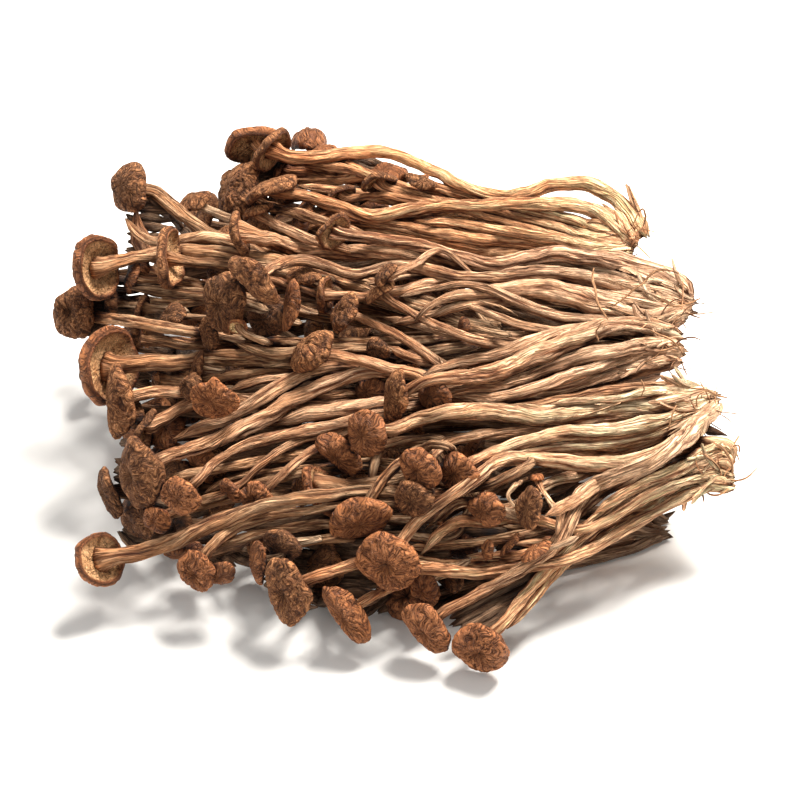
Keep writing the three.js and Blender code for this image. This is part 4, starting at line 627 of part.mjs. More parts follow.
      { line: [[-39.06,-98.32,37.26,1.53],[-44.61,-95.78,32.73,1.59],[-49.44,-97.18,32.03,1.97]], cap: [[-48.73,-96.73,31.9],[-0.8365,-0.5271,0.1497],[0.0311,0.227,0.9734],[9.46,4.73,2.84,0]] },
    ],
  },
  stray_04: {
    growths: [
      { line: [[-24.94,-84.17,32.67,1.55],[-29.71,-89.72,36.79,1.54],[-40.42,-92.37,36.02,1.97]], cap: [[-39.59,-91.54,35.95],[-0.7094,-0.7027,0.0549],[0.6307,-0.598,0.4946],[10.96,6.58,3.95,0]] },
    ],
  },
  stray_05: {
    growths: [
      { line: [[32.03,-92.53,28.41,1.54],[18.08,-96.49,22.18,1.62],[14.39,-99.82,20.84,1.98]], cap: [[14.77,-98.87,20.9],[-0.3716,-0.9263,-0.0629],[0.0249,-0.0777,0.9967],[7.56,5.67,3.4,0]] },
    ],
  },
  stray_06: {
    growths: [
      { line: [[-14.83,-64.36,34.36,1.57],[-26.21,-57.62,32.04,1.62],[-33.96,-57.67,33.8,2.03]], cap: [[-33.07,-57.23,33.53],[-0.8627,-0.4315,0.2636],[0.1585,0.2643,0.9513],[6.94,6.24,3.43,0]] },
    ],
  },
  stray_07: {
    growths: [
      { line: [[-92.14,-62.24,35.16,1.96],[-99.66,-60.44,32.8,2],[-109.98,-60.96,34.99,2.52]], cap: [[-109.19,-60.53,34.84],[-0.8637,-0.4776,0.1611],[0.3892,-0.835,-0.389],[11.11,6.11,3.06,0]] },
    ],
  },
  stray_08: {
    growths: [
      { line: [[-1.03,-39.09,49.18,1.79],[-4.34,-51.67,44.61,1.97],[-6.47,-60.76,38.76,1.97]] },
    ],
  },
  stray_09: {
    growths: [
      { line: [[-83.46,-68.16,32.84,1.77],[-89.93,-60.47,24.05,1.83],[-99.89,-61.75,21.7,2.3]], cap: [[-98.54,-60.79,21.54],[-0.8138,-0.5734,0.0945],[0.5338,-0.6733,0.5116],[11.58,9.26,5.56,0]] },
    ],
  },
  stray_10: {
    growths: [
      { line: [[-65.8,-12.66,58.27,1.62],[-76.68,-12.81,60.62,2.07]], cap: [[-76.18,-12.6,60.32],[-0.8067,-0.348,0.4777],[0.2568,0.5215,0.8137],[6.91,3.46,2.07,0]] },
    ],
  },
  stray_11: {
    growths: [
      { line: [[-61.12,-20.3,55.02,1.41],[-78.38,-26.25,60.63,1.79]], cap: [[-77.34,-25.9,60.1],[-0.8529,-0.2864,0.4366],[0.5088,-0.6433,0.572],[7.26,5.81,4.07,0]] },
    ],
  },
  stray_12: {
    growths: [
      { line: [[-58.04,-3.69,66.46,1.62],[-65.22,-0.68,65.8,1.66],[-72.53,-1.4,67.68,2.08]], cap: [[-71.89,-0.91,67.41],[-0.7544,-0.5779,0.3113],[-0.1736,0.633,0.7544],[7.31,4.75,2.85,0]] },
    ],
  },
  stray_13: {
    growths: [
      { line: [[-47.92,-2.07,80.21,1.81],[-58.35,-0.03,82.13,2.08],[-65.63,-2.23,84.14,2.57]], cap: [[-64.52,-0.96,83.6],[-0.6288,-0.7164,0.3024],[0.23,0.2001,0.9524],[12.65,10.76,5.92,0]] },
    ],
  },
  stray_14: {
    growths: [
      { line: [[-46.91,-1.29,62.63,1.42],[-49.24,-18.52,77.86,1.39],[-53.63,-18.59,80.01,1.45],[-58.75,-12.19,80.7,1.77]], cap: [[-59.08,-12.9,80.57],[0.4096,0.8954,0.1747],[0.7255,-0.4358,0.5327],[5,3.8,2,0]] },
    ],
  },
  stray_15: {
    growths: [
      { line: [[-62.74,61.11,79.07,1.9],[-75.85,71.89,77.14,1.93],[-82.57,73.56,81.36,2.46]], cap: [[-82.17,73.26,80.15],[-0.31,0.2237,0.9241],[0.8116,0.5685,0.1346],[7.29,5.47,4.37,0]] },
    ],
  },
  stray_16: {
    growths: [
      { line: [[-57.25,49.47,71.52,1.69],[-62.71,55.17,69.4,1.73],[-70.27,56.46,71.61,2.17]], cap: [[-69.3,56.79,71.11],[-0.8529,-0.2864,0.4366],[0.4302,0.0885,0.8984],[7.89,6.31,3.79,0]] },
    ],
  },
  stray_17: {
    growths: [
      { line: [[-56.4,33.47,70.41,1.67],[-62.55,38.7,68.14,1.72],[-70.56,38.28,69.61,2.15]], cap: [[-69.6,39.02,69.21],[-0.7544,-0.5779,0.3113],[0.3969,-0.0239,0.9175],[7.92,7.12,4.27,0]] },
    ],
  },
  stray_18: {
    growths: [
      { line: [[-34.81,7.26,66.95,1.64],[-38.46,4.16,70.26,1.64],[-49.1,1.85,73.67,2.08]], cap: [[-48.22,2.95,73.4],[-0.6124,-0.7689,0.1837],[0.6695,-0.3809,0.6377],[10.82,8.66,4.76,0]] },
    ],
  },
  stray_19: {
    growths: [
      { line: [[-28.42,6.48,72.9,1.63],[-32.23,-1.79,80.29,1.61],[-39.12,-3.93,84.79,2.05]], cap: [[-38.57,-3.64,84.54],[-0.8192,-0.4394,0.3687],[0.1685,0.43,0.8869],[10.71,4.5,2.25,0.6]] },
    ],
  },
  stray_20: {
    growths: [
      { line: [[-21.76,23.08,76.41,1.64],[-34.6,23.92,79.08,2.1]], cap: [[-34.37,23.92,78.22],[-0.2695,0.0044,0.963],[0.8295,-0.5069,0.2344],[8.29,4.97,2.98,0]] },
    ],
  },
  stray_21: {
    growths: [
      { line: [[-95.01,22.47,62.56,1.66],[-108.36,30.43,58.69,1.67],[-116,30.05,60.06,2.14]], cap: [[-114.94,30.35,59.81],[-0.9397,-0.262,0.2198],[0.1567,0.2415,0.9577],[6.02,5.41,3.79,0]] },
    ],
  },
  stray_22: {
    growths: [
      { line: [[-81.87,16.1,65.57,1.85],[-89.98,19.41,63.93,1.86],[-101.85,20.41,64.53,2.38]], cap: [[-101.17,20.15,64.42],[-0.9254,0.3495,0.1464],[0.342,0.604,0.7198],[6.19,4.95,2.48,0]] },
    ],
  },
  stray_23: {
    growths: [
      { line: [[-68.6,11,65.57,1.43],[-88.46,10.9,67.77,1.84]], cap: [[-87.71,11.01,67.12],[-0.75,-0.1047,0.6531],[0.5708,-0.6013,0.5591],[9.3,5.58,3.35,0]] },
    ],
  },
  stray_24: {
    growths: [
      { line: [[7.73,-6.55,61.77,1.62],[-4.14,-9.6,65.92,2.07]], cap: [[-3.53,-8.95,65.67],[-0.6645,-0.6971,0.2693],[0.7287,-0.5246,0.4402],[6.09,5.17,3.1,0]] },
    ],
  },
  stray_25: {
    growths: [
      { line: [[49.77,-5.47,70.52,1.62],[30.78,-3.12,73.12,2.08]], cap: [[31.38,-2.78,72.97],[-0.8529,-0.4797,0.2062],[0.1494,0.1542,0.9767],[4.24,3.39,2.37,0]] },
    ],
  },
  loose_cap_01: {
    growths: [
      { cap: [[54.86,-84.82,49.23],[-0.6964,-0.6206,0.3605],[0.133,0.382,0.9146],[9.27,5.56,2.78,0]] },
    ],
  },
  loose_cap_02: {
    growths: [
      { cap: [[39.15,-91.89,33.72],[-0.8138,-0.5734,0.0945],[0.1313,-0.023,0.9911],[5.08,3.05,2.13,0]] },
    ],
  },
  loose_cap_03: {
    growths: [
      { cap: [[47.78,-87.79,32.98],[-0.7544,0.2739,0.5965],[0.6428,0.4924,0.5868],[5.4,2.7,1.35,0.6]] },
    ],
  },
  loose_cap_04: {
    growths: [
      { cap: [[29.72,-76.14,21.32],[-0.4924,-0.8696,-0.0364],[0.7938,-0.4658,0.3909],[7.92,6.34,3.8,0]] },
    ],
  },
  loose_cap_05: {
    growths: [
      { cap: [[-81.7,-82.66,23.24],[-0.262,-0.9551,-0.1383],[0.8642,-0.296,0.4069],[6.26,3.13,1.88,0]] },
    ],
  },
  loose_cap_06: {
    growths: [
      { cap: [[-63.21,-95.79,25.23],[-0.383,-0.9188,-0.095],[0.5102,-0.2962,0.8074],[8.1,4.86,2.91,0]] },
    ],
  },
  loose_cap_07: {
    growths: [
      { cap: [[-69.04,-35.09,61.29],[-0.171,-0.9654,0.1967],[0.9509,-0.214,-0.2237],[11.08,8.31,1.83,0.1]] },
    ],
  },
  loose_cap_08: {
    growths: [
      { cap: [[-6.02,-19.44,53.29],[-0.6983,-0.676,0.2354],[0.6919,-0.5531,0.4641],[8.16,6.53,3.92,0]] },
    ],
  },
};

// ---------------------------------------------------------------- geometry
const vec = (a) => new THREE.Vector3(a[0], a[1], a[2]);

// Direction, width direction and thickness direction at each point of a line.
function sections(line, facing) {
  const p = line.map(vec);
  const n = p.length;
  return p.map((q, i) => {
    const t = new THREE.Vector3();
    if (i > 0) t.add(q.clone().sub(p[i - 1]).normalize());
    if (i < n - 1) t.add(p[i + 1].clone().sub(q).normalize());
    t.normalize();
    const wide = t.clone().cross(facing).normalize();
    const thick = wide.clone().cross(t);
    return { p: q, t, wide, thick, r: line[i][3] };
  });
}

// Points of one flattened stem section.
function sectionPoints(s, flat, grow) {
  const out = [];
  for (let j = 0; j < STEM_SIDES; j++) {
    const a = (2 * Math.PI * (j + 0.5)) / STEM_SIDES;
    out.push(
      s.p
        .clone()
        .addScaledVector(s.wide, Math.cos(a) * s.r * grow)
        .addScaledVector(s.thick, Math.sin(a) * s.r * flat * grow),
    );
  }
  return out;
}

// A cap: an oval dome round its axis, with the fold that curls it.
function capFrame([centre, axis, long, [rl, rs, h, fold]]) {
  const c = vec(centre);
  const a = vec(axis);
  const x = vec(long);
  const y = a.clone().cross(x);
  const k = (fold * CAP_FOLD) / rs;
  const at = (px, py, pz) => {
    if (k > 1e-6) {
      pz -= (1 - Math.cos(k * py)) / k;
      py = Math.sin(k * py) / k;
    }
    return c
      .clone()
      .addScaledVector(x, px)
      .addScaledVector(y, py)
      .addScaledVector(a, pz);
  };
  return { c, a, x, y, rl, rs, h, at };
}

function geometryOf(points, faces) {
  const g = new THREE.BufferGeometry().setFromPoints(points);
  g.setIndex(faces.flat());
  return g;
}

// The rings of a cap from its rim to its crown, added to points and faces.
// first(ring) joins the first ring to what carries the cap.
function addCap(points, faces, cap, profile, start, first) {
  let before = null;
  for (const [rho, z] of profile) {
    const height = z > 0 ? z * cap.h : z * cap.rs;
    const ring = [];
    for (let j = 0; j < CAP_SIDES; j++) {
      const a = start - (2 * Math.PI * j) / CAP_SIDES;
      ring.push(points.length);
      points.push(
        cap.at(cap.rl * rho * Math.cos(a), cap.rs * rho * Math.sin(a), height),
      );
    }
    if (before)
      for (let j = 0; j < CAP_SIDES; j++) {
        const k = (j + 1) % CAP_SIDES;
        faces.push([before[j], before[k], ring[k]], [before[j], ring[k], ring[j]]);
      }
    else first(ring);
    before = ring;
  }
  const crown = points.length;
  points.push(cap.at(0, 0, cap.h));
  for (let j = 0; j < CAP_SIDES; j++)
    faces.push([before[j], before[(j + 1) % CAP_SIDES], crown]);
}

// A stem with its cap, or a bare stem, as one closed surface.
function mushroomGeometry({ line, cap, face, flat }) {
  const facing = vec(face ?? FACING);
  const thin = flat ?? STEM_FLATTEN;
  const s = sections(line, facing);
  const frame = cap && capFrame(cap);
  if (frame) {
    const end = s[s.length - 1];
    end.wide.addScaledVector(frame.a, -end.wide.dot(frame.a)).normalize();
    end.thick = end.wide.clone().cross(frame.a);
  }
  const points = [];
  const faces = [];
  const rings = s.map((q) =>
    sectionPoints(q, thin, STEM_FATTEN).map((v) => points.push(v) - 1),
  );
  for (let j = 1; j < STEM_SIDES - 1; j++)
    faces.push([rings[0][0], rings[0][j + 1], rings[0][j]]);
  for (let i = 0; i + 1 < rings.length; i++)
    for (let j = 0; j < STEM_SIDES; j++) {
      const k = (j + 1) % STEM_SIDES;
      const [a, b] = [rings[i][j], rings[i][k]];
      const [c, d] = [rings[i + 1][j], rings[i + 1][k]];
      faces.push([a, b, d], [a, d, c]);
    }
  const last = rings[rings.length - 1];
  if (frame) {
    const v = points[last[0]].clone().sub(frame.c);
    const start = Math.atan2(v.dot(frame.y), v.dot(frame.x));
    addCap(points, faces, frame, face ? CAP_PROFILE_UNDER : CAP_PROFILE, start, (ring) => {
      for (let j = 0; j < STEM_SIDES; j++) {
        const [a, b] = [last[j], last[(j + 1) % STEM_SIDES]];
        const [p, m, q] = [ring[2 * j], ring[2 * j + 1], ring[(2 * j + 2) % CAP_SIDES]];
        faces.push([a, m, p], [a, b, m], [b, q, m]);
      }
    });
  } else
    for (let j = 1; j < STEM_SIDES - 1; j++)
      faces.push([last[0], last[j], last[j + 1]]);
  return geometryOf(points, faces);
}

// A cap that lost its stem: a shallow closed shell.
function looseCapGeometry({ cap }) {
  const frame = capFrame(cap);
  const points = [frame.at(0, 0, CAP_HOLLOW * frame.h)];
  const faces = [];
  addCap(points, faces, frame, CAP_PROFILE, 0, (ring) => {
    for (let j = 0; j < CAP_SIDES; j++)
      faces.push([0, ring[(j + 1) % CAP_SIDES], ring[j]]);
  });
  return geometryOf(points, faces);
}

// The fused root fan: the hull round the first stretch of its stems.
function fanGeometry(fan) {
  const points = [];
  for (const [root, leave, face, flat] of fan)
    for (const s of sections([root, leave], vec(face ?? FACING)))
      points.push(...sectionPoints(s, (flat ?? STEM_FLATTEN) * FAN_FLATTEN, 1));
  const g = new ConvexGeometry(points);
  g.deleteAttribute("normal");
  return mergeVertices(g, 1e-4);
}

// ---------------------------------------------------------------- solids
function signedVolume(position, index) {
  const [a, b, c] = [new THREE.Vector3(), new THREE.Vector3(), new THREE.Vector3()];
  let v = 0;
  for (let i = 0; i < index.length; i += 3) {
    a.fromBufferAttribute(position, index[i]);
    b.fromBufferAttribute(position, index[i + 1]);
    c.fromBufferAttribute(position, index[i + 2]);
    v += a.cross(b).dot(c) / 6;
  }
  return v;
}

function solid(geometry) {
  const { position } = geometry.attributes;
  const index = new Uint32Array(geometry.index.array);
  if (signedVolume(position, index) < 0)
    for (let i = 0; i < index.length; i += 3)
      [index[i + 1], index[i + 2]] = [index[i + 2], index[i + 1]];
  return new wasm.Manifold(
    new wasm.Mesh({
      numProp: 3,
      vertProperties: new Float32Array(position.array),
      triVerts: index,
    }),
  );
}

const REACH = 400;
const ground = solid(
  mergeVertices(
    (() => {
      const g = new THREE.BoxGeometry(REACH, REACH, REACH);
      g.deleteAttribute("normal");
      g.deleteAttribute("uv");
      g.translate(0, 0, GROUND - REACH / 2);
      return g;
    })(),
    1e-4,
  ),
);

function meshOf(name, { fans = [], growths }) {
  let body = growths
    .map((g) => solid(g.line ? mushroomGeometry(g) : looseCapGeometry(g)))
    .concat(fans.map((f) => solid(fanGeometry(f))))
    .reduce((all, one) => all.add(one));
  if (body.boundingBox().min[2] < GROUND) body = body.subtract(ground);
  const { vertProperties, triVerts } = body.getMesh();
  // each mesh sits at its own first point: the root of its first stem, or its cap
  const at = vec(growths[0].line ? growths[0].line[0] : growths[0].cap[0]);
  const geometry = new THREE.BufferGeometry()
    .setAttribute("position", new THREE.BufferAttribute(Float32Array.from(vertProperties), 3))
    .setIndex(new THREE.BufferAttribute(Uint32Array.from(triVerts), 1));
  geometry.translate(-at.x, -at.y, -at.z);
  const kind = name.replace(/_\d+$/, "");
  const look = MATERIALS[kind] ?? MATERIALS.clump;
  const mesh = new THREE.Mesh(
    geometry,
    new THREE.MeshStandardMaterial({ ...look, flatShading: true }),
  );
  mesh.name = name;
  mesh.position.copy(at);
  return mesh;
}

const bunch = new THREE.Group();
const upper = new THREE.Group();
const under = new THREE.Group();
const strays = new THREE.Group();
for (const [name, growth] of Object.entries(CLUMPS)) {
  const group = name.startsWith("clump_under") ? under : name.startsWith("clump") ? upper : strays;
  group.add(meshOf(name, growth));
}
bunch.add(upper, under, strays);

export default bunch;
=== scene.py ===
import math

import bpy
import numpy as np
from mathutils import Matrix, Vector


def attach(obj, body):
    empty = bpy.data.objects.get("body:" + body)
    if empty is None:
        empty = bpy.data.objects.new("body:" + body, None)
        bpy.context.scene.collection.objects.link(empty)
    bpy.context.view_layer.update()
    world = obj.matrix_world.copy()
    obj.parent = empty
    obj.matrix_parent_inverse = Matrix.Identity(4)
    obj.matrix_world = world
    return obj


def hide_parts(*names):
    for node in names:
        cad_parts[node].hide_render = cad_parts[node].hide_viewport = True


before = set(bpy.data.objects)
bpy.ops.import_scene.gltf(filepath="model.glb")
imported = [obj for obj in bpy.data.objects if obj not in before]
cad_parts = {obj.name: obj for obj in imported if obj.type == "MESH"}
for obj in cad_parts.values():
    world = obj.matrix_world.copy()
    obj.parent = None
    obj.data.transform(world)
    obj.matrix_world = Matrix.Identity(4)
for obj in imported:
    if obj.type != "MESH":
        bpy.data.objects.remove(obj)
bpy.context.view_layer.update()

# ------------------------------------------------------------------ data
# One row per mushroom, in tenths of a millimetre (half widths in hundredths):
# name, CAD node, root group, kind, line [x, y, z, half width, ...], cap
# cap: centre, axis, long direction (ten-thousandths), long and short radius,
# height (hundredths of a millimetre), fold (hundredths)
GROWTHS = [
    ("A1", "clump_rear", "A", "seen", [1086,542,777,379,1073,566,785,376,1060,590,793,373,1047,613,801,369,1033,636,809,366,1018,659,817,362,1002,680,824,359,984,701,831,355,965,721,837,352,945,739,843,348,922,755,849,344,898,769,854,340,873,780,858,336,846,788,862,331,819,793,865,327,791,793,867,322,763,790,867,318,736,782,868,313,709,772,868,309,684,759,869,305,660,745,871,300,637,729,874,296,614,713,878,292,592,697,883,289,569,682,888,285,544,669,892,281,518,659,895,276,491,653,898,272,463,652,900,267,435,653,903,263,407,657,906,258,380,663,910,255,353,672,914,255,328,684,917,256,305,699,920,257,283,717,921,259,264,737,920,261,246,759,918,262,229,781,914,264,212,803,911,265,194,825,907,267,176,846,905,269,156,867,903,270,135,885,902,272,113,903,903,273,90,918,904,275,65,931,905,277,39,942,907,278,12,951,909,280,-15,957,911,282,-43,959,912,283,-71,959,914,284,-99,956,915,286,-127,950,916,287,-154,942,918,288,-180,933,920,289,-207,924,922,290,-234,916,924,292,-261,908,925,293,-288,901,927,294,-315,893,929,295,-342,885,933,297,-368,876,940,298,-395,868,947,301,-423,863,954,307,-451,865,962,319,-477,873,971,345,-502,885,980,383], [-493,878,976,-7010,6980,1464,6092,4793,6318,1068,854,384,0]),
    ("A2", "clump_rear", "A", "seen", [1027,480,760,336,1011,499,772,335,995,519,783,333,978,538,795,332,960,557,806,331,941,574,817,329,920,590,828,328,897,602,839,327,872,610,850,325,846,613,860,323,819,610,869,321,793,605,878,320,767,598,885,318,740,593,890,316,712,590,894,314,684,590,895,313,656,593,895,311,628,596,895,310,600,598,894,308,571,600,894,307,543,599,894,305,515,599,894,303,487,598,894,302,459,597,893,300,431,596,893,299,402,596,892,297,374,595,892,296,346,593,892,294,318,592,891,293,290,593,890,292,262,594,887,292,234,598,882,291,207,602,876,291,180,606,870,290,152,608,864,290,125,608,858,289,97,605,854,288,70,600,850,287,42,593,848,286,15,587,846,285,-13,582,844,284,-41,581,843,284,-69,584,842,283,-97,590,843,282,-123,598,845,282,-150,607,848,281,-176,615,853,280,-203,624,858,280,-229,632,864,279,-255,640,870,278,-282,648,876,278,-309,655,881,277,-336,660,887,276,-363,664,894,275,-390,666,900,274,-418,666,901,280,-447,668,902,290,-473,671,906,308,-496,679,921,351], [-491,674,910,-3664,4237,8284,9272,2408,2870,1224,857,428,0]),
    ("A0", "clump_rear", "A", "seen", [1046,513,766,210,1019,517,768,210,991,520,770,210,963,524,772,210,935,528,775,210,908,532,777,211,880,537,781,211,853,542,784,211,826,547,788,211,799,553,793,211,772,560,797,211,745,567,800,211,718,575,803,211,691,584,805,211,665,593,806,211,639,603,807,211,613,613,808,211,587,623,809,212,560,633,811,212,534,642,812,212,507,651,814,212,480,659,817,212,453,665,821,212,426,671,825,212,399,677,829,212,372,683,832,212,345,688,836,212,317,694,839,212,290,701,842,212,263,707,845,213,236,713,849,213,209,719,852,213,181,724,856,213,154,730,860,213,127,736,864,213,100,744,868,213,74,752,870,213,48,763,873,213,22,774,875,213,-3,785,876,213,-29,797,878,214,-54,809,880,214,-79,821,882,214,-105,833,882,214,-130,845,882,214,-155,858,882,215,-181,869,881,215,-206,880,881,215,-233,890,880,215,-259,899,880,215,-286,907,881,215,-314,913,882,216,-341,920,883,216,-368,925,885,216,-396,930,889,216,-423,934,892,216,-451,937,897,217,-478,940,903,220,-505,943,911,223,-530,950,920,233,-552,963,930,250,-565,986,939,276], [-563,970,935,-714,9639,2564,9875,321,1542,1384,1108,554,0]),
    ("A3", "clump_rear", "A", "seen", [1045,497,763,189,1017,500,763,189,990,504,763,189,962,509,762,189,934,514,761,189,907,521,760,189,880,530,759,190,854,540,757,190,829,551,755,190,803,563,753,190,778,575,751,190,752,586,750,191,726,597,750,191,700,607,750,191,674,617,751,191,648,627,752,191,622,637,753,191,596,648,753,192,570,659,754,192,544,669,755,192,518,679,755,192,492,690,756,192,466,700,757,192,439,710,758,192,413,720,759,193,387,729,760,193,360,736,762,193,332,742,766,193,305,746,771,193,278,748,777,193,250,749,784,193,223,751,791,193,196,753,797,193,169,757,803,193,142,763,808,193,115,770,812,193,89,779,815,193,62,788,818,193,37,799,820,193,11,810,822,193,-15,821,825,193,-40,832,828,193,-66,844,830,194,-91,856,833,194,-115,870,835,194,-139,885,836,194,-162,901,836,194,-183,920,834,195,-202,940,831,195,-219,962,825,195,-234,984,819,196,-247,1008,811,196,-260,1031,802,197,-273,1055,793,197,-290,1076,793,201,-309,1091,806,204,-326,1102,825,214,-339,1112,847,230,-347,1122,872,253], [-346,1114,855,-842,4203,9035,1109,9050,-4106,1196,789,632,0]),
    ("A4", "clump_rear", "A", "seen", [1059,542,776,190,1031,540,776,190,1003,537,776,190,975,534,775,190,947,531,775,189,919,528,774,189,891,525,774,189,863,523,774,189,835,522,774,189,807,521,774,189,778,523,775,189,750,526,777,189,723,530,778,189,695,537,780,189,669,545,782,190,642,554,783,190,616,565,783,190,591,577,784,190,566,590,783,190,541,604,783,190,517,618,783,191,493,632,783,191,468,646,785,191,443,658,787,191,417,669,791,191,391,679,796,191,365,688,801,192,339,698,806,192,313,707,810,192,286,716,814,192,260,725,819,192,233,733,823,192,207,740,828,192,180,747,834,192,153,754,839,192,127,762,844,192,100,771,848,192,74,781,851,192,48,792,853,192,23,804,856,193,-2,816,859,193,-27,829,862,193,-52,842,865,193,-77,855,868,193,-101,869,870,193,-124,885,872,194,-147,901,873,194,-169,919,873,194,-190,937,871,194,-211,956,870,195,-235,969,872,200,-261,973,884,211,-277,977,906,249], [-275,974,896,-1574,2500,9554,9848,1116,1330,606,485,339,0]),
    ("A5", "clump_rear", "A", "seen", [1045,491,762,210,1017,491,761,210,989,491,761,210,962,492,762,210,934,494,763,210,907,496,766,210,880,500,770,210,853,505,775,210,827,510,782,210,801,516,790,210,775,521,798,210,749,528,806,210,723,535,812,210,697,542,816,210,670,551,820,210,644,559,822,210,618,568,824,210,592,576,826,211,565,584,828,211,539,591,830,211,512,598,833,211,485,604,836,211,458,609,840,211,431,615,843,211,404,620,847,211,377,625,850,211,350,631,853,211,323,638,854,211,297,645,856,211,271,654,856,211,244,662,856,212,218,671,856,212,191,678,858,212,164,685,861,212,138,689,866,212,111,692,872,212,84,694,880,212,58,695,888,212,31,697,895,215,5,700,902,223,-20,708,909,237,-38,726,921,271], [-35,717,916,-2432,8454,4755,9577,2869,-203,827,662,331,0]),
    ("A6", "clump_rear", "A", "seen", [1036,480,759,168,1008,478,759,168,980,477,758,168,952,475,758,168,924,475,759,168,897,475,762,168,869,477,766,168,842,479,771,168,815,482,777,168,788,485,784,168,761,489,790,168,735,495,796,168,708,501,800,168,681,509,803,168,655,517,806,168,628,526,808,168,602,535,810,168,575,543,812,168,549,551,815,168,522,558,819,168,495,564,823,168,469,571,828,168,442,576,833,168,415,581,838,168,388,587,844,168,361,593,849,168,335,599,854,168,308,606,858,168,282,614,861,169,255,623,863,169,229,632,864,169,203,641,865,169,176,648,866,169,148,653,868,169,121,657,871,169,94,660,875,169,66,663,878,169,39,668,880,169,12,675,880,169,-15,682,878,169,-42,688,873,169,-69,692,867,170,-96,694,860,170,-123,694,854,171,-150,693,853,176,-178,693,856,185,-201,707,863,217], [-197,700,861,-4967,8390,2220,8563,4321,2828,687,549,275,0]),
    ("A7", "clump_rear", "A", "seen", [1031,534,772,253,1004,541,776,253,977,547,779,253,950,552,784,253,923,558,789,253,896,562,795,253,869,566,801,253,842,568,809,253,816,570,818,253,789,571,826,253,763,574,834,252,736,578,840,252,709,584,844,252,682,591,846,253,655,599,848,253,628,607,848,253,602,616,849,253,575,624,849,253,548,632,850,253,521,639,851,254,494,645,853,254,467,651,856,254,440,656,859,254,413,662,862,254,385,667,866,254,358,672,869,254,332,679,873,254,305,686,877,254,279,695,881,254,253,705,885,254,227,715,890,254,200,718,896,259,174,716,904,267,150,711,916,279,140,711,942,326], [138,709,937,3100,2237,9241,9397,-2198,-2620,760,418,209,80]),
    ("A10", "clump_rear", "A", "seen", [1017,457,755,251,989,456,757,250,961,455,758,249,933,455,761,247,905,454,764,246,877,454,768,244,849,454,774,243,822,455,781,242,794,455,787,240,767,457,794,239,739,459,800,237,712,463,804,236,684,469,807,235,656,475,809,233,629,481,811,232,601,487,812,231,573,492,814,229,546,497,816,226,518,503,817,223,490,508,818,221,463,515,819,218,435,522,819,216,408,529,819,213,381,537,819,211,354,544,819,208,326,550,820,206,298,554,822,203,270,555,825,200,242,554,828,197,214,551,830,194,186,546,832,192,158,541,834,189], None),
    ("A11", "clump_rear", "A", "seen", [1008,447,753,251,981,446,753,251,953,445,753,251,925,445,753,251,897,445,753,251,870,446,754,251,842,448,754,251,814,450,755,251,787,453,757,251,759,457,758,251,732,460,760,251,704,465,762,252,677,469,763,252,650,474,765,252,622,478,767,252,595,483,769,252,568,486,771,252,540,490,773,252,513,492,776,252,485,494,778,252,457,494,780,252,430,495,783,252,402,495,785,252,374,496,787,252,347,499,789,252,319,502,790,252,292,507,791,252,265,513,792,252,238,519,792,252,211,525,793,252,184,532,793,252,157,539,794,252,130,546,795,253,103,553,796,253,76,560,797,253,49,567,797,253,23,574,798,253,-4,581,799,253,-31,588,799,253,-58,596,800,253,-84,604,799,254,-111,612,798,254,-137,622,796,254,-163,632,792,254,-189,642,788,255,-214,653,782,255,-239,665,776,255,-265,670,769,259,-292,668,761,264,-318,662,756,276,-345,656,754,297,-372,652,759,327], [-359,652,754,-9330,-376,3579,3252,3374,8834,1118,895,447,0]),
    ("A12", "clump_rear", "A", "seen", [1038,513,767,231,1010,516,768,232,983,520,768,234,955,525,769,235,928,530,771,236,901,537,772,237,874,545,774,238,848,554,777,239,822,564,779,240,797,575,782,242,772,587,784,243,746,598,786,244,721,609,788,245,695,620,790,246,669,630,791,248,643,640,792,249,617,650,793,250,591,660,794,251,565,669,794,252,538,677,795,254,512,685,796,255,485,693,796,254,458,700,795,250,431,707,794,246,404,712,792,242,376,716,789,238,348,717,787,234,321,715,785,230,293,710,784,226,267,701,786,222,242,689,789,218,218,677,794,214,194,663,800,210,169,651,805,206,144,640,808,202,117,632,810,198,90,626,810,194,63,623,808,190,35,622,805,186,8,622,800,181,-20,624,794,178,-47,626,788,174,-74,629,782,170], None),
    ("A13", "clump_rear", "A", "seen", [1025,448,752,251,998,449,752,251,970,451,752,251,942,454,751,251,915,458,750,251,887,462,749,252,861,468,747,252,834,476,745,252,808,484,743,252,781,493,741,252,755,502,740,253,728,509,740,253,701,515,742,253,674,519,745,253,647,522,749,253,619,525,754,253,592,528,758,253,565,531,763,253,538,534,767,253,510,536,770,253,483,539,773,253,455,541,775,253,428,544,777,253,400,547,778,253,373,550,779,252,345,555,779,251,318,560,780,248,291,565,781,246,264,571,781,243,237,578,781,241,210,586,780,238,184,595,780,236,158,604,779,234,132,612,778,232,105,621,778,229,78,628,778,227,52,636,779,224,25,643,780,222,-2,649,781,219,-29,656,782,217,-56,662,783,214,-83,668,784,212,-110,675,785,209,-137,682,786,207,-164,689,787,204,-191,694,790,202,-218,696,794,199,-245,695,801,197,-270,690,810,194,-295,683,821,191], None),
    ("A14", "clump_rear", "A", "seen", [1000,440,748,251,972,441,745,251,944,442,742,251,916,446,738,251,888,451,733,252,862,457,727,252,836,466,719,252,810,475,712,253,784,483,704,253,757,490,699,253,729,492,698,253,701,490,699,253,674,484,704,253,647,478,710,253,620,473,716,252,592,468,721,252,564,466,726,252,537,465,730,252,508,467,733,252,480,470,735,252,452,474,736,252,425,479,738,252,397,483,740,251,369,487,742,248,341,492,744,244,313,497,746,240,286,503,747,236,258,509,749,233,231,516,750,229,203,523,751,225,176,529,752,221,148,536,753,218,121,543,754,214,93,550,755,210,66,556,756,206,39,563,757,203,11,570,758,199,-17,576,759,195,-44,582,760,191,-72,589,761,187,-99,597,760,184,-125,606,759,180,-151,617,756,177,-177,628,752,173,-202,641,747,170], None),
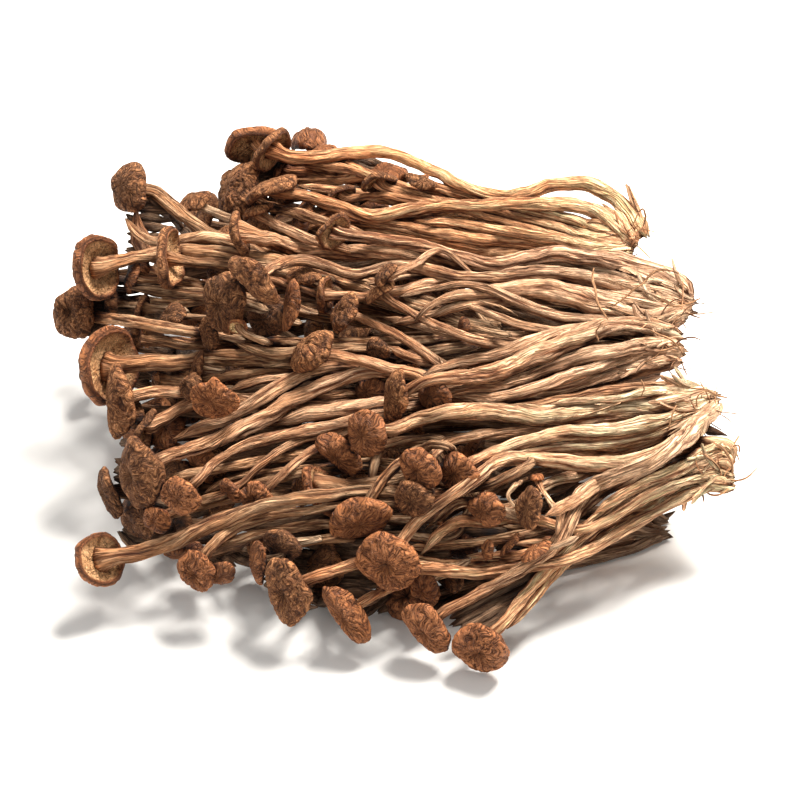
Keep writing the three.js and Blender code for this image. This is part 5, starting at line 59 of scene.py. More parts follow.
    ("A15", "clump_rear", "A", "seen", [979,510,769,231,954,522,768,233,929,535,768,235,904,548,766,237,880,562,765,239,856,577,762,241,833,591,760,243,808,605,758,245,784,618,758,247,758,629,758,248,732,640,759,250,706,650,761,252,680,660,763,254,654,670,764,256,629,681,765,258,603,691,766,260,577,702,768,262,551,712,769,263,525,723,769,265,499,733,770,267,474,744,770,269,448,754,770,271,421,764,770,273,395,772,771,275,368,779,772,277,341,785,775,278,313,789,779,278,286,791,783,277,259,792,789,275,231,794,795,273,204,796,800,271,177,799,804,269,149,804,807,268,122,811,809,266,96,819,810,265,69,827,810,263,43,836,809,262,16,845,809,260,-10,854,808,259,-37,863,807,257,-63,873,806,256,-89,883,805,254,-115,893,803,253,-140,905,800,252,-165,916,798,251,-191,926,796,249,-218,934,796,248,-246,939,798,246,-273,942,802,244,-301,944,806,242,-328,946,810,241,-356,948,815,239,-383,947,817,244,-411,947,818,253,-439,950,819,271,-465,957,824,306], [-459,953,822,-8529,4495,2656,4895,5115,7062,739,518,259,0]),
    ("A16", "clump_rear", "A", "seen", [977,477,762,231,952,490,759,233,927,504,757,235,903,519,754,237,880,534,750,238,857,550,745,240,835,567,740,242,813,584,734,244,791,600,729,246,767,615,725,248,743,629,722,250,718,642,720,252,692,653,719,254,666,663,718,256,639,672,718,257,612,681,719,259,585,689,719,261,558,697,720,263,531,706,721,265,504,714,721,267,478,724,721,269,451,733,721,271,425,743,721,272,398,752,721,274,371,759,722,276,343,765,725,278,316,769,729,279,288,769,734,276,261,768,741,273,234,766,748,269,206,765,755,266,179,764,761,262,151,765,767,259,123,768,771,255,96,771,774,252,68,773,778,248,40,775,783,245,13,774,789,241,-15,773,797,238,-42,770,804,234,-69,767,812,231,-96,766,819,227,-124,766,825,223,-151,767,829,220,-179,770,833,216,-207,773,837,213,-235,776,839,210,-263,780,841,206,-291,783,843,203,-319,787,844,199,-347,791,846,196,-375,795,847,193], None),
    ("B1", "clump_upper", "B", "seen", [1261,233,684,496,1240,250,692,490,1219,267,699,483,1197,283,707,477,1175,299,714,470,1152,313,721,463,1127,326,727,457,1102,337,733,450,1076,346,739,443,1050,352,744,436,1023,356,751,428,995,358,757,421,968,358,765,414,941,357,772,407,914,355,780,400,887,353,787,393,860,352,792,386,832,352,796,379,804,354,799,372,776,356,801,365,748,359,802,358,720,360,803,350,692,360,803,343,664,358,803,336,636,355,802,329,609,350,800,322,581,344,797,315,555,337,794,310,528,330,790,307,500,324,787,305,473,320,785,302,445,319,785,300,417,322,785,297,389,328,786,295,362,336,786,293,336,346,787,291,310,357,788,289,284,368,790,287,258,378,792,285,232,387,795,283,206,396,799,280,179,403,803,278,152,410,806,276,125,416,809,274,97,422,812,271,70,427,814,269,42,432,816,267,15,437,818,264,-13,440,820,262,-41,443,823,260,-68,443,828,257,-95,441,836,255,-121,436,845,252,-147,431,853,254,-175,427,859,262,-202,429,863,280,-228,439,866,319], [-221,433,866,-5215,8392,-1544,5943,4870,6401,830,706,318,0]),
    ("B2", "clump_upper", "B", "seen", [1252,219,674,455,1228,232,679,450,1203,244,685,445,1179,256,691,440,1154,267,696,436,1129,279,701,431,1104,289,706,426,1079,300,710,421,1053,310,715,416,1027,319,719,412,1001,328,723,407,975,336,726,402,948,343,729,397,921,349,732,392,894,355,734,387,867,360,736,382,839,364,738,377,812,366,740,372,784,368,741,367,756,368,742,362,728,367,743,357,701,365,743,352,673,361,743,347,646,357,743,342,618,352,742,337,591,347,741,331,563,342,739,326,536,339,738,321,508,337,738,316,480,337,738,311,453,338,739,306,425,341,741,301,398,346,742,296,371,354,742,293,344,362,742,294,318,371,743,296,292,379,743,299,265,386,745,302,238,392,747,304,211,396,750,307,183,399,754,310,156,401,757,312,128,403,761,315,101,405,764,317,73,408,766,320,46,411,767,322,18,416,767,325,-10,421,766,327,-37,426,764,330,-64,432,762,333,-92,438,758,335,-119,444,753,338,-145,449,748,341,-172,455,743,343,-200,460,740,346,-227,463,738,349,-255,467,739,351,-282,469,741,354,-310,471,744,356,-337,472,749,359,-364,472,756,361,-390,468,765,364,-414,461,777,366,-436,450,791,367,-454,437,806,368,-471,422,823,368,-487,406,839,369,-502,390,856,370,-516,373,873,370,-537,364,889,378,-562,364,900,393,-588,365,905,423,-616,367,904,474], [-605,367,908,-9565,-581,-2858,2643,-5871,-7652,948,758,379,0]),
    ("B3", "clump_upper", "B", "seen", [1251,197,665,413,1224,204,670,408,1198,211,675,404,1171,219,679,400,1145,226,684,395,1118,233,688,391,1092,240,692,387,1065,247,696,382,1038,253,700,378,1011,259,704,374,984,265,709,369,957,270,713,365,930,275,718,361,903,279,723,356,876,283,728,352,849,286,733,347,822,290,738,343,795,294,742,338,768,298,745,334,740,301,749,330,713,304,751,325,685,305,754,321,657,303,757,316,630,299,759,312,603,293,761,307,576,286,762,303,549,278,763,298,522,272,763,294,494,267,761,289,467,265,759,285,439,264,756,281,412,265,753,276,384,266,751,272,356,267,750,269,328,267,752,268,301,268,755,267,273,270,760,266,246,273,765,265,219,278,770,265,193,285,774,264,166,293,777,264,140,301,779,263,112,307,780,263,85,310,780,262,57,310,780,262,30,306,780,261,3,298,781,260,-22,286,783,259,-46,272,786,258,-69,257,790,257,-93,243,794,256,-118,233,798,255,-145,227,802,255,-173,228,806,254,-200,232,812,254,-226,237,820,253,-252,243,829,252,-278,248,837,252,-305,251,844,251,-332,251,850,250,-358,246,855,250,-382,234,861,248,-401,218,869,247,-416,199,879,246,-428,178,890,245,-438,156,902,244,-446,133,915,244,-453,110,928,243,-460,87,941,242,-466,65,953,241,-471,44,963,240,-477,23,972,242,-485,2,979,246,-496,-20,984,254,-508,-41,986,279,-523,-63,987,303], [-516,-53,987,-7051,-5548,-4418,7020,-4578,-5455,1320,820,580,50]),
    ("B4", "clump_upper", "B", "seen", [1223,163,655,330,1195,165,658,326,1168,168,660,322,1140,170,663,318,1112,173,665,314,1084,177,668,310,1056,181,671,306,1029,185,674,302,1001,190,678,298,974,196,682,294,947,202,685,290,920,208,690,286,893,215,693,282,865,221,697,278,838,227,701,274,811,234,704,270,784,240,707,266,757,247,708,262,729,255,709,258,702,262,709,254,675,270,708,251,648,278,705,247,622,286,702,243,595,294,699,240,568,302,695,236,541,308,692,232,513,312,690,229,485,315,690,228,457,316,691,227,429,316,695,226,401,314,699,225,374,311,704,225,347,306,710,224,320,300,716,223,293,294,720,222,266,286,724,221,239,278,728,220,213,268,731,219,187,256,735,218,163,241,740,217,140,224,746,216,118,206,753,215,95,188,760,214,72,172,764,213,47,160,766,212,20,152,765,211,-7,149,761,210,-35,149,755,209,-63,150,750,208,-91,151,746,208,-119,150,745,207,-147,148,748,206,-175,145,753,205,-203,142,757,211,-231,141,761,224,-258,146,761,261], [-250,143,762,-9361,3146,-1571,872,6403,7631,776,621,310,0]),
    ("B8", "clump_upper", "B", "seen", [1240,164,654,453,1213,156,650,454,1187,148,646,455,1160,141,643,456,1132,134,641,456,1104,130,640,457,1076,128,642,458,1048,127,644,459,1020,129,649,460,993,132,654,461,965,136,660,462,939,141,667,463,912,146,675,463,886,152,683,464,859,158,692,465,833,164,700,466,807,171,708,467,781,178,716,468,754,185,722,469,727,192,727,470,700,199,731,471,673,204,734,470,645,208,736,458,617,210,738,440,589,211,739,421,560,210,739,403,532,208,739,384,504,205,737,366,476,201,736,347,448,197,735,329,421,190,736,310,394,182,738,292,368,172,741,275,342,161,745,259,316,151,750,242,290,140,754,225,263,129,756,206,237,116,758,187,212,100,759,170,189,82,758,152,166,64,752,134,145,50,740,113,127,44,721,95,111,43,697,82], None),
    ("B9", "clump_upper", "B", "seen", [1222,145,648,247,1194,140,648,247,1167,135,647,247,1139,130,646,247,1111,126,646,247,1083,122,646,246,1055,118,646,246,1027,115,646,246,999,113,647,246,971,111,649,246,943,110,651,246,914,110,652,246,886,109,654,246,858,109,655,246,830,110,657,246,802,110,658,246,774,112,660,246,746,114,662,246,718,118,665,246,690,122,670,246,663,127,675,246,636,133,682,245,610,138,690,241,584,143,700,234,558,147,710,227,532,151,721,221,507,155,732,214,481,160,743,207,455,165,753,200,429,170,762,193,402,175,769,186,375,181,773,179,347,187,774,172,320,194,771,166,293,200,766,160,266,205,759,153,239,206,753,147,211,205,749,140,183,199,747,133,157,190,748,126,131,178,750,120,107,164,754,114,84,148,758,108,62,132,762,102], None),
    ("B11", "clump_upper", "B", "seen", [1205,134,646,206,1179,126,642,207,1152,117,638,208,1126,109,634,209,1099,102,629,210,1072,96,626,211,1044,91,623,212,1016,88,620,213,988,86,618,214,960,86,616,215,932,87,615,216,904,88,614,217,876,88,614,218,848,86,615,220,820,83,617,220,793,79,620,221,765,75,624,222,738,70,628,223,711,64,634,224,684,58,640,224,658,52,647,218,632,46,656,212,606,42,664,206,579,40,672,200,552,41,680,193,525,45,687,186,499,52,693,179,473,62,698,173,448,74,701,167,424,88,703,161,400,102,705,155,375,116,708,149,349,127,711,142,323,135,715,136,296,141,720,129,268,144,723,122,240,146,726,116,212,146,728,109,184,146,730,102], None),
    ("B13", "clump_upper", "B", "seen", [1087,249,703,165,1062,262,703,167,1038,275,703,168,1013,289,703,169,988,302,702,170,964,316,701,171,939,330,700,172,915,343,698,173,890,356,696,175,864,366,696,176,837,374,696,177,809,380,697,178,781,384,699,179,754,386,702,180,726,387,704,181,698,386,706,182,670,385,708,183,642,383,710,184,614,380,712,184,586,377,713,185,558,375,714,186,530,373,715,187,502,372,716,186,474,373,718,182,446,375,719,178,418,379,720,175,391,385,721,171,364,393,723,167,337,402,724,163,311,411,727,160,284,420,731,156,258,428,736,152,232,435,742,148,205,441,747,144,177,446,753,140,150,449,758,136,122,452,762,132,95,454,766,128,67,455,769,124,39,458,772,120,11,460,773,116,-17,464,773,113,-45,467,772,109,-72,471,771,105], None),
    ("B14", "clump_upper", "B", "seen", [1207,162,656,227,1179,168,660,227,1152,174,663,228,1125,181,667,229,1098,188,670,230,1071,195,674,231,1044,203,677,232,1017,211,680,233,990,219,683,234,964,229,685,235,937,239,687,236,911,249,688,238,885,260,689,239,859,270,690,240,832,280,691,241,805,289,692,242,778,296,694,243,751,302,696,244,723,308,697,245,695,314,696,246,668,320,695,247,641,326,691,248,613,333,687,249,586,339,682,249,559,343,678,248,531,346,674,245,503,348,672,241,475,347,670,237,446,346,670,234,418,343,671,230,391,338,674,226,363,333,680,223,336,327,687,219,309,320,695,216,282,314,704,212,255,309,713,208,228,305,721,205,201,302,729,201,173,301,735,198,146,299,739,194,118,295,743,190,92,288,748,187,67,278,753,183,43,265,759,180,20,249,765,177,-2,232,772,173,-24,215,777,170,-47,198,782,167,-69,182,786,164], None),
    ("B15", "clump_upper", "B", "seen", [1222,136,645,247,1194,138,647,248,1166,140,649,249,1139,142,651,250,1111,145,653,251,1083,148,655,252,1056,151,657,253,1028,156,659,254,1001,161,660,255,974,167,662,256,947,174,663,257,920,181,663,258,894,190,662,259,867,198,661,260,840,205,660,261,813,212,660,263,786,216,661,264,758,218,664,264,731,219,666,265,703,219,669,266,675,218,672,267,648,217,674,268,620,215,677,267,592,213,679,264,564,210,681,260,537,207,683,256,509,202,685,252,481,196,688,248,454,188,691,245,427,178,696,241,400,167,701,237,373,155,706,233,347,144,710,229,322,134,712,225,296,125,712,222,271,117,710,218,246,109,708,214,221,103,703,211,195,98,697,207,169,96,689,203,142,94,681,199,115,92,674,195,88,89,668,192,60,86,664,188,33,83,660,184], None),
    ("B16", "clump_upper", "B", "seen", [1213,126,642,247,1185,121,641,247,1157,117,640,248,1129,113,639,249,1102,109,638,250,1074,105,637,251,1046,102,637,252,1018,100,636,253,990,98,635,254,962,98,633,254,934,98,631,255,906,99,628,257,878,102,624,258,851,104,619,259,823,106,615,260,795,107,611,261,767,106,608,262,739,102,607,263,712,96,608,263,685,87,609,264,659,77,612,265,634,66,616,265,609,55,621,265,585,43,626,263,560,31,632,260,534,20,637,257,507,11,643,253,480,2,649,249,452,-6,656,245,424,-14,663,242,396,-21,670,238,368,-24,676,234,340,-24,679,231,313,-19,679,227,285,-10,678,224,258,1,675,220,230,14,671,216,204,30,666,212,178,47,660,209,153,64,655,206,128,79,652,203,101,91,650,200,74,99,652,196,47,103,656,192,19,105,662,188,-8,106,668,184], None),
    ("C1", "clump_middle", "C", "seen", [1191,49,619,409,1164,50,628,411,1137,51,637,412,1111,51,646,414,1084,50,654,416,1057,49,662,418,1030,46,669,419,1003,41,676,421,976,34,682,422,950,26,688,423,923,17,692,424,897,8,694,426,870,-2,695,427,844,-11,693,429,817,-21,690,431,791,-31,686,433,766,-41,680,434,740,-51,675,436,714,-61,668,438,689,-71,662,440,663,-82,656,441,638,-93,651,442,612,-104,646,437,587,-115,642,427,562,-128,638,417,537,-141,636,407,514,-156,636,397,491,-172,638,388,469,-190,642,380,447,-207,648,372,425,-224,653,364,403,-240,659,355,379,-255,665,346,356,-269,671,337,333,-283,678,328,310,-298,687,319,289,-313,697,311,269,-328,709,304,247,-343,720,297,223,-354,728,288,195,-359,728,277,168,-358,721,267,142,-355,710,259,117,-354,697,250,93,-356,682,244,70,-363,669,248,46,-375,660,265,23,-391,660,302], [30,-385,657,-7319,-5955,3313,1316,3534,9262,1123,617,309,50]),
    ("C2", "clump_middle", "C", "seen", [1166,41,615,286,1139,44,621,287,1112,46,627,288,1084,48,633,289,1057,49,638,290,1030,50,643,291,1002,51,647,292,974,51,651,293,947,51,654,294,919,49,658,295,891,46,661,296,864,43,664,297,836,38,666,298,809,32,668,299,782,26,669,300,755,19,669,301,728,11,668,302,702,2,666,302,676,-7,664,303,649,-16,662,303,624,-27,659,298,598,-37,657,291,572,-48,655,285,547,-59,653,278,520,-68,649,272,494,-75,645,265,467,-81,639,259,440,-86,634,252,413,-91,628,245,386,-96,625,239,359,-104,622,232,333,-113,621,226,307,-122,621,219,281,-133,621,213,255,-144,621,206,230,-155,620,200,204,-167,618,193,179,-178,616,187,154,-190,614,181], None),
    ("C3", "clump_middle", "C", "seen", [1205,13,601,327,1179,7,607,325,1152,1,613,324,1126,-5,619,323,1100,-13,625,321,1074,-21,631,320,1049,-31,636,318,1024,-43,642,317,1000,-55,647,315,976,-68,653,314,953,-82,658,313,928,-94,663,311,903,-104,666,310,876,-110,665,308,848,-111,660,307,822,-109,650,306,798,-104,639,306,773,-100,626,305,748,-99,614,304,723,-100,603,301,697,-105,595,296,671,-113,588,290,646,-123,583,284,621,-133,579,278,596,-145,577,272,571,-158,575,266,547,-171,576,261,523,-185,577,255,500,-200,581,250,477,-215,585,244,455,-230,591,239,432,-245,597,234,409,-258,603,229,385,-271,608,224,361,-282,614,218,337,-293,619,212,313,-305,626,207,289,-316,632,203,263,-325,634,203,236,-331,634,211,210,-340,634,227,184,-350,636,253], [195,-344,634,-8529,-4797,2062,5088,-6750,5342,1005,704,422,0]),
    ("C4", "clump_middle", "C", "seen", [1207,-18,589,306,1180,-20,594,304,1152,-22,598,302,1125,-25,602,299,1097,-29,606,297,1070,-35,608,295,1043,-43,610,293,1017,-52,611,291,991,-63,612,289,966,-76,613,287,942,-90,614,285,918,-104,615,283,894,-119,615,280,870,-133,615,278,846,-147,614,276,821,-160,613,274,796,-173,612,272,771,-184,610,270,745,-195,608,268,719,-206,606,266,693,-216,603,264,668,-226,599,261,642,-235,595,259,615,-244,590,256,589,-252,586,253,562,-259,582,250,535,-265,577,247,508,-270,574,244,480,-274,571,241,453,-278,569,238,425,-282,568,235,398,-287,569,231,370,-292,572,228,343,-297,576,225,316,-301,580,222,288,-302,583,219,260,-301,585,216,232,-297,584,213,205,-290,581,210,179,-282,576,208,154,-273,569,206,128,-265,562,203,102,-258,556,200], None),
    ("C5", "clump_middle", "C", "seen", [1196,-58,574,305,1168,-60,574,303,1141,-64,575,301,1113,-67,575,299,1085,-71,574,297,1057,-76,574,295,1030,-83,572,293,1003,-90,571,291,976,-98,569,288,950,-108,568,286,924,-118,567,284,898,-129,565,282,872,-141,564,280,847,-152,563,278,821,-164,562,276,795,-175,561,273,769,-185,560,271,743,-195,558,269,717,-203,555,267,690,-211,552,265,663,-218,548,263,636,-224,544,261,609,-231,540,260,582,-237,537,259,555,-243,534,258,527,-249,531,257,500,-254,528,256,472,-259,527,255,445,-263,526,254,417,-268,527,253,389,-272,529,251,362,-277,533,250,334,-283,537,249,307,-288,540,248,279,-292,542,247,251,-295,543,246,223,-296,541,245,195,-296,537,244,167,-297,534,243,140,-301,532,242,112,-308,531,241,85,-316,531,240], None),
    ("B5", "clump_middle", "C", "seen", [1167,-18,593,204,1140,-11,596,204,1113,-3,600,204,1086,4,604,204,1059,12,608,204,1032,19,611,204,1005,27,614,204,978,34,617,204,950,41,618,204,923,46,620,205,895,48,621,205,866,48,622,205,838,46,623,204,810,42,624,204,783,37,626,204,755,32,627,204,727,26,628,204,700,20,628,204,672,13,628,204,645,5,628,204,618,-3,628,204,591,-13,630,203,564,-23,632,203,537,-32,635,203,510,-41,639,203,482,-48,644,203,454,-54,652,203,427,-60,662,202,400,-68,676,202,373,-77,692,200,347,-84,707,199,320,-85,719,197,293,-77,725,196,268,-61,724,195,245,-38,719,194,222,-12,711,194,198,15,704,193,175,38,701,192,151,58,701,191,126,72,706,189,101,83,714,188,76,88,726,187,51,88,741,185,27,86,757,184,5,89,775,189,-15,98,793,201,-32,109,813,234], [-28,106,807,-5680,4148,7109,8209,3482,4527,690,552,276,40]),
    ("B6", "clump_middle", "C", "seen", [1185,-12,593,224,1158,-18,589,224,1131,-24,585,224,1103,-29,581,224,1076,-34,577,224,1049,-38,572,224,1022,-42,567,224,995,-45,561,224,968,-48,554,224,941,-50,548,224,914,-54,542,224,887,-59,537,224,860,-66,535,224,834,-75,534,224,808,-86,534,224,783,-97,534,224,757,-108,535,223,731,-119,534,223,705,-129,533,223,679,-139,532,223,653,-147,530,223,626,-155,527,223,599,-161,526,223,572,-166,526,222,544,-170,527,222,516,-172,530,222,489,-174,535,222,462,-175,541,222,435,-175,549,222,408,-174,556,222,381,-170,563,222,355,-164,569,222,329,-156,574,222,303,-147,579,222,277,-138,585,222,252,-128,592,220,227,-118,601,217,204,-107,610,215,181,-94,620,212,160,-80,630,210,138,-65,638,208,115,-50,645,205,93,-35,652,203,70,-21,657,201,46,-6,663,199,23,8,669,196,-2,20,675,194,-27,30,683,191,-52,38,691,189,-77,42,701,186,-103,47,710,187,-129,50,719,193,-155,51,730,207,-179,49,744,234], [-170,51,737,-7849,-1478,6018,4532,5255,7201,894,671,402,0]),
    ("B7", "clump_middle", "C", "seen", [1164,-2,599,245,1138,-7,591,245,1112,-12,582,245,1086,-15,572,245,1060,-17,561,245,1035,-18,550,245,1009,-20,539,246,983,-25,530,246,957,-35,526,246,933,-49,527,245,911,-66,530,245,889,-83,534,244,866,-99,537,244,842,-113,538,243,818,-126,538,243,793,-138,537,243,767,-150,536,243,741,-161,534,243,715,-171,532,242,689,-181,530,243,663,-189,527,244,636,-197,524,245,609,-203,522,246,581,-208,521,247,554,-212,521,248,526,-215,523,249,498,-217,527,250,471,-219,532,251,444,-222,539,252,418,-226,548,253,391,-230,556,254,365,-234,565,254,338,-234,572,255,311,-231,577,256,284,-225,579,258,257,-215,579,259,232,-205,578,260,206,-194,578,260,179,-185,581,258,153,-180,586,256,126,-178,595,253,101,-180,607,251,77,-185,620,248,53,-192,633,246,29,-199,646,243,5,-204,658,241,-22,-205,667,238,-49,-200,672,236,-75,-190,672,234,-100,-177,670,232,-125,-165,668,231,-150,-154,667,229,-177,-146,669,227,-205,-143,673,226,-232,-142,676,226,-259,-145,685,235,-283,-148,697,254,-306,-149,713,282], [-295,-150,700,-6943,507,7179,7197,495,6925,1095,876,569,50]),
    ("C6", "clump_middle", "C", "seen", [1178,-29,587,244,1150,-29,588,245,1122,-29,588,246,1094,-29,588,247,1066,-29,587,248,1039,-28,585,250,1011,-26,582,251,984,-24,576,252,957,-22,570,253,930,-19,562,254,904,-18,554,256,877,-20,548,257,850,-25,542,258,823,-33,539,259,798,-43,536,259,772,-55,534,260,747,-66,532,261,722,-77,530,262,696,-88,527,262,670,-98,524,263,644,-107,521,263,618,-115,518,261,591,-123,514,257,564,-130,511,253,537,-137,508,249,511,-144,506,245,484,-151,506,240,458,-160,507,236,432,-171,511,232,408,-184,516,228,384,-197,522,225,361,-211,527,221,337,-224,532,217,312,-236,536,213,286,-246,537,209,259,-252,535,205,231,-253,531,201,204,-250,526,197,177,-247,522,194,149,-244,520,189,121,-244,521,185,94,-245,524,181], None),
    ("C7", "clump_middle", "C", "seen", [1176,-63,573,285,1149,-70,570,285,1122,-76,566,286,1095,-81,562,287,1068,-86,558,288,1041,-91,552,289,1014,-94,545,290,987,-95,536,291,961,-96,527,293,935,-96,516,294,909,-98,507,295,882,-101,499,297,856,-108,494,297,829,-117,491,298,804,-128,490,299,778,-138,489,299,752,-149,488,300,726,-158,486,301,699,-166,484,302,672,-174,482,302,645,-180,480,303,618,-187,478,301,591,-193,476,297,564,-199,476,291,537,-206,476,286,510,-213,477,281,483,-220,479,276,456,-228,482,271,429,-235,485,266,403,-243,489,261,376,-250,492,256,349,-257,494,251,322,-262,495,246,294,-266,494,241,266,-267,492,236,238,-268,488,231,211,-268,484,226,183,-270,480,221,156,-273,477,216,128,-277,474,211,101,-282,472,206,74,-288,471,201], None),
    ("C8", "clump_middle", "C", "seen", [1179,-33,586,204,1151,-29,589,204,1123,-26,593,204,1096,-23,597,204,1068,-19,601,204,1040,-16,605,204,1013,-13,608,204,985,-11,611,204,957,-10,614,204,929,-10,616,204,901,-12,616,204,873,-16,615,204,845,-20,613,206,818,-26,610,208,791,-32,607,211,764,-38,603,213,737,-44,600,216,709,-51,596,218,683,-58,593,221,656,-66,590,223,629,-74,588,225,602,-81,586,228,575,-89,584,230,548,-95,582,233,520,-100,580,235,492,-105,578,238,465,-108,577,240,437,-110,575,241,409,-112,574,239,380,-111,572,236,352,-110,571,232,325,-108,570,228,297,-105,570,224,269,-102,570,221,241,-99,573,217,213,-96,578,213,186,-94,585,209,160,-93,594,205,134,-93,605,201,110,-96,619,197,87,-100,635,193,66,-107,652,190,46,-114,670,186,28,-124,688,183,9,-133,707,180], None),
    ("D1", "clump_lower", "D", "seen", [1321,-210,500,525,1293,-215,501,522,1266,-220,502,519,1238,-224,503,517,1210,-229,504,514,1183,-235,504,511,1155,-240,505,508,1128,-246,505,506,1100,-252,505,503,1073,-258,505,500,1045,-264,505,497,1018,-270,504,495,990,-276,504,492,963,-282,504,489,935,-287,504,486,908,-293,504,484,880,-299,504,481,853,-305,505,478,825,-311,506,475,798,-317,507,473,770,-322,508,470,743,-326,510,467,715,-330,513,464,687,-333,516,462,659,-336,520,458,632,-339,524,451,604,-343,528,443,577,-345,533,434,549,-348,537,425,521,-349,540,417,493,-350,543,408,465,-351,547,399,438,-353,550,391,410,-357,556,382,384,-364,564,373,360,-375,574,365,338,-389,587,358,318,-406,600,352,299,-423,613,346,278,-440,625,339,254,-453,633,332,227,-458,632,322,201,-456,624,314,176,-450,611,307,151,-444,598,300,124,-445,587,292,98,-453,584,282,75,-468,586,274,55,-486,593,267,38,-506,601,261,18,-524,609,258,-7,-534,613,261,-34,-542,614,271,-60,-550,616,292,-83,-566,622,324], [-75,-556,617,-6288,-7164,3024,7634,-4948,4152,967,919,459,0]),
    ("D1b", "clump_lower", "D", "seen", [1290,-183,514,283,1263,-185,520,276,1237,-188,525,269,1210,-191,531,262,1184,-196,537,255,1157,-202,543,249,1132,-210,549,242,1107,-219,554,235,1082,-230,559,229,1057,-242,563,223,1032,-254,565,217,1007,-264,567,210,981,-273,567,203,955,-281,567,196,928,-287,566,189,901,-292,565,182,874,-296,565,175,846,-298,565,168,819,-300,565,161,791,-301,565,154,764,-304,566,147,737,-308,567,139,710,-314,569,133,684,-321,571,126,658,-329,574,119], None),
    ("D2", "clump_lower", "D", "seen", [1319,-231,492,323,1294,-243,491,322,1269,-255,491,322,1244,-267,491,322,1219,-279,491,321,1194,-291,492,321,1170,-304,493,321,1145,-317,495,320,1121,-331,498,320,1098,-345,501,319,1074,-359,505,319,1049,-372,508,318,1024,-383,510,318,998,-392,511,317,971,-399,510,317,944,-403,508,317,917,-406,505,317,889,-407,502,318,861,-409,500,318,834,-411,498,318,806,-414,499,315,779,-418,500,311,751,-423,501,307,724,-428,502,302,697,-432,502,298,670,-437,501,293,642,-441,499,289,615,-445,496,284,588,-451,494,280,561,-458,492,275,535,-468,492,271,509,-480,493,266,485,-494,496,262,462,-511,499,258,440,-529,505,253,419,-549,512,249,400,-571,521,246,383,-594,531,242,367,-618,543,239,352,-643,556,236,334,-665,562,237,313,-685,560,245,292,-703,556,262,271,-721,557,297], [278,-713,554,-6645,-6971,2693,7444,-5859,3202,972,777,389,0]),
    ("D3", "clump_lower", "D", "seen", [1295,-229,495,282,1268,-237,492,280,1242,-244,488,278,1215,-251,484,276,1188,-256,480,274,1161,-261,474,272,1134,-265,468,270,1107,-267,461,268,1080,-268,454,266,1053,-270,447,264,1026,-273,442,262,999,-277,439,260,971,-283,437,258,944,-289,436,256,917,-295,437,254,890,-300,437,252,862,-306,438,250,835,-311,439,248,807,-316,440,246,780,-321,442,244,753,-326,444,242,725,-332,446,240,698,-337,449,238,671,-343,452,236,644,-350,455,233,617,-357,459,231,591,-364,463,229,564,-372,466,227,538,-379,470,225,511,-386,473,223,484,-392,477,221,457,-398,481,219,430,-404,484,217,403,-411,488,215,376,-418,491,213,350,-427,494,211,326,-438,498,208,303,-450,502,206,283,-463,507,204,265,-478,512,203,250,-492,518,201,238,-506,523,200,227,-520,529,198,218,-536,536,197,211,-556,546,196,205,-583,560,194,196,-619,578,195,179,-658,590,198,161,-688,591,206,142,-717,592,222,123,-742,592,246], [131,-732,590,-6124,-7689,1837,7905,-5991,1272,959,863,431,0]),
    ("D4", "clump_lower", "D", "seen", [1276,-265,483,282,1252,-279,480,278,1228,-293,478,275,1204,-307,475,271,1179,-321,473,268,1155,-335,472,265,1131,-349,470,261,1106,-362,469,258,1081,-375,468,254,1056,-387,466,251,1030,-398,464,247,1003,-407,462,244,976,-415,459,240,949,-422,457,237,922,-428,455,233,894,-434,454,230,866,-438,454,226,838,-441,454,223,810,-444,454,220,782,-445,454,217,754,-446,455,214,726,-448,455,212,698,-450,455,210,670,-455,455,207,643,-462,454,205,616,-469,454,203,590,-477,454,200,564,-486,455,198,539,-494,457,196,514,-502,460,193,491,-511,465,191,469,-522,472,188,448,-533,479,186,427,-546,485,184,404,-559,488,181,380,-572,489,179,355,-584,487,177], None),
    ("D5", "clump_lower", "D", "seen", [1327,-239,488,363,1311,-262,488,360,1294,-284,488,358,1278,-307,488,355,1262,-330,489,353,1246,-352,491,350,1230,-375,494,348,1215,-398,498,346,1200,-420,503,344,1185,-443,508,341,1170,-465,515,339,1155,-488,521,337,1140,-509,529,335,1124,-531,536,333,1108,-551,542,331,1091,-570,548,329,1072,-588,552,327,1053,-603,555,325,1033,-616,556,322,1011,-625,554,319,989,-631,550,317,967,-634,544,314,945,-632,535,312,923,-628,526,311,901,-621,515,310,879,-612,504,309,857,-602,494,308,834,-592,484,307,811,-582,476,306,787,-574,469,304,762,-566,465,302,736,-559,463,300,708,-554,463,297,680,-551,465,295,651,-548,468,293,622,-548,474,290,593,-550,480,288,564,-553,486,285,536,-560,493,282,510,-569,501,280,485,-582,508,277,464,-598,516,275,444,-617,525,273,427,-639,533,271,411,-663,541,269,396,-687,549,267,382,-711,555,265,367,-734,560,263,350,-754,562,261,333,-772,561,258,314,-786,557,255,294,-798,549,254,274,-806,538,252,253,-812,524,250,232,-816,508,247,211,-819,491,245,190,-822,473,242,170,-827,455,240,150,-834,439,237,131,-844,425,234,113,-858,413,232,96,-875,403,230,79,-895,395,231,63,-917,388,235,47,-941,381,238,32,-965,375,246,17,-991,368,269,3,-1016,362,293], [8,-1001,359,-3039,-9287,2126,9414,-2585,2169,1241,1216,523,0]),
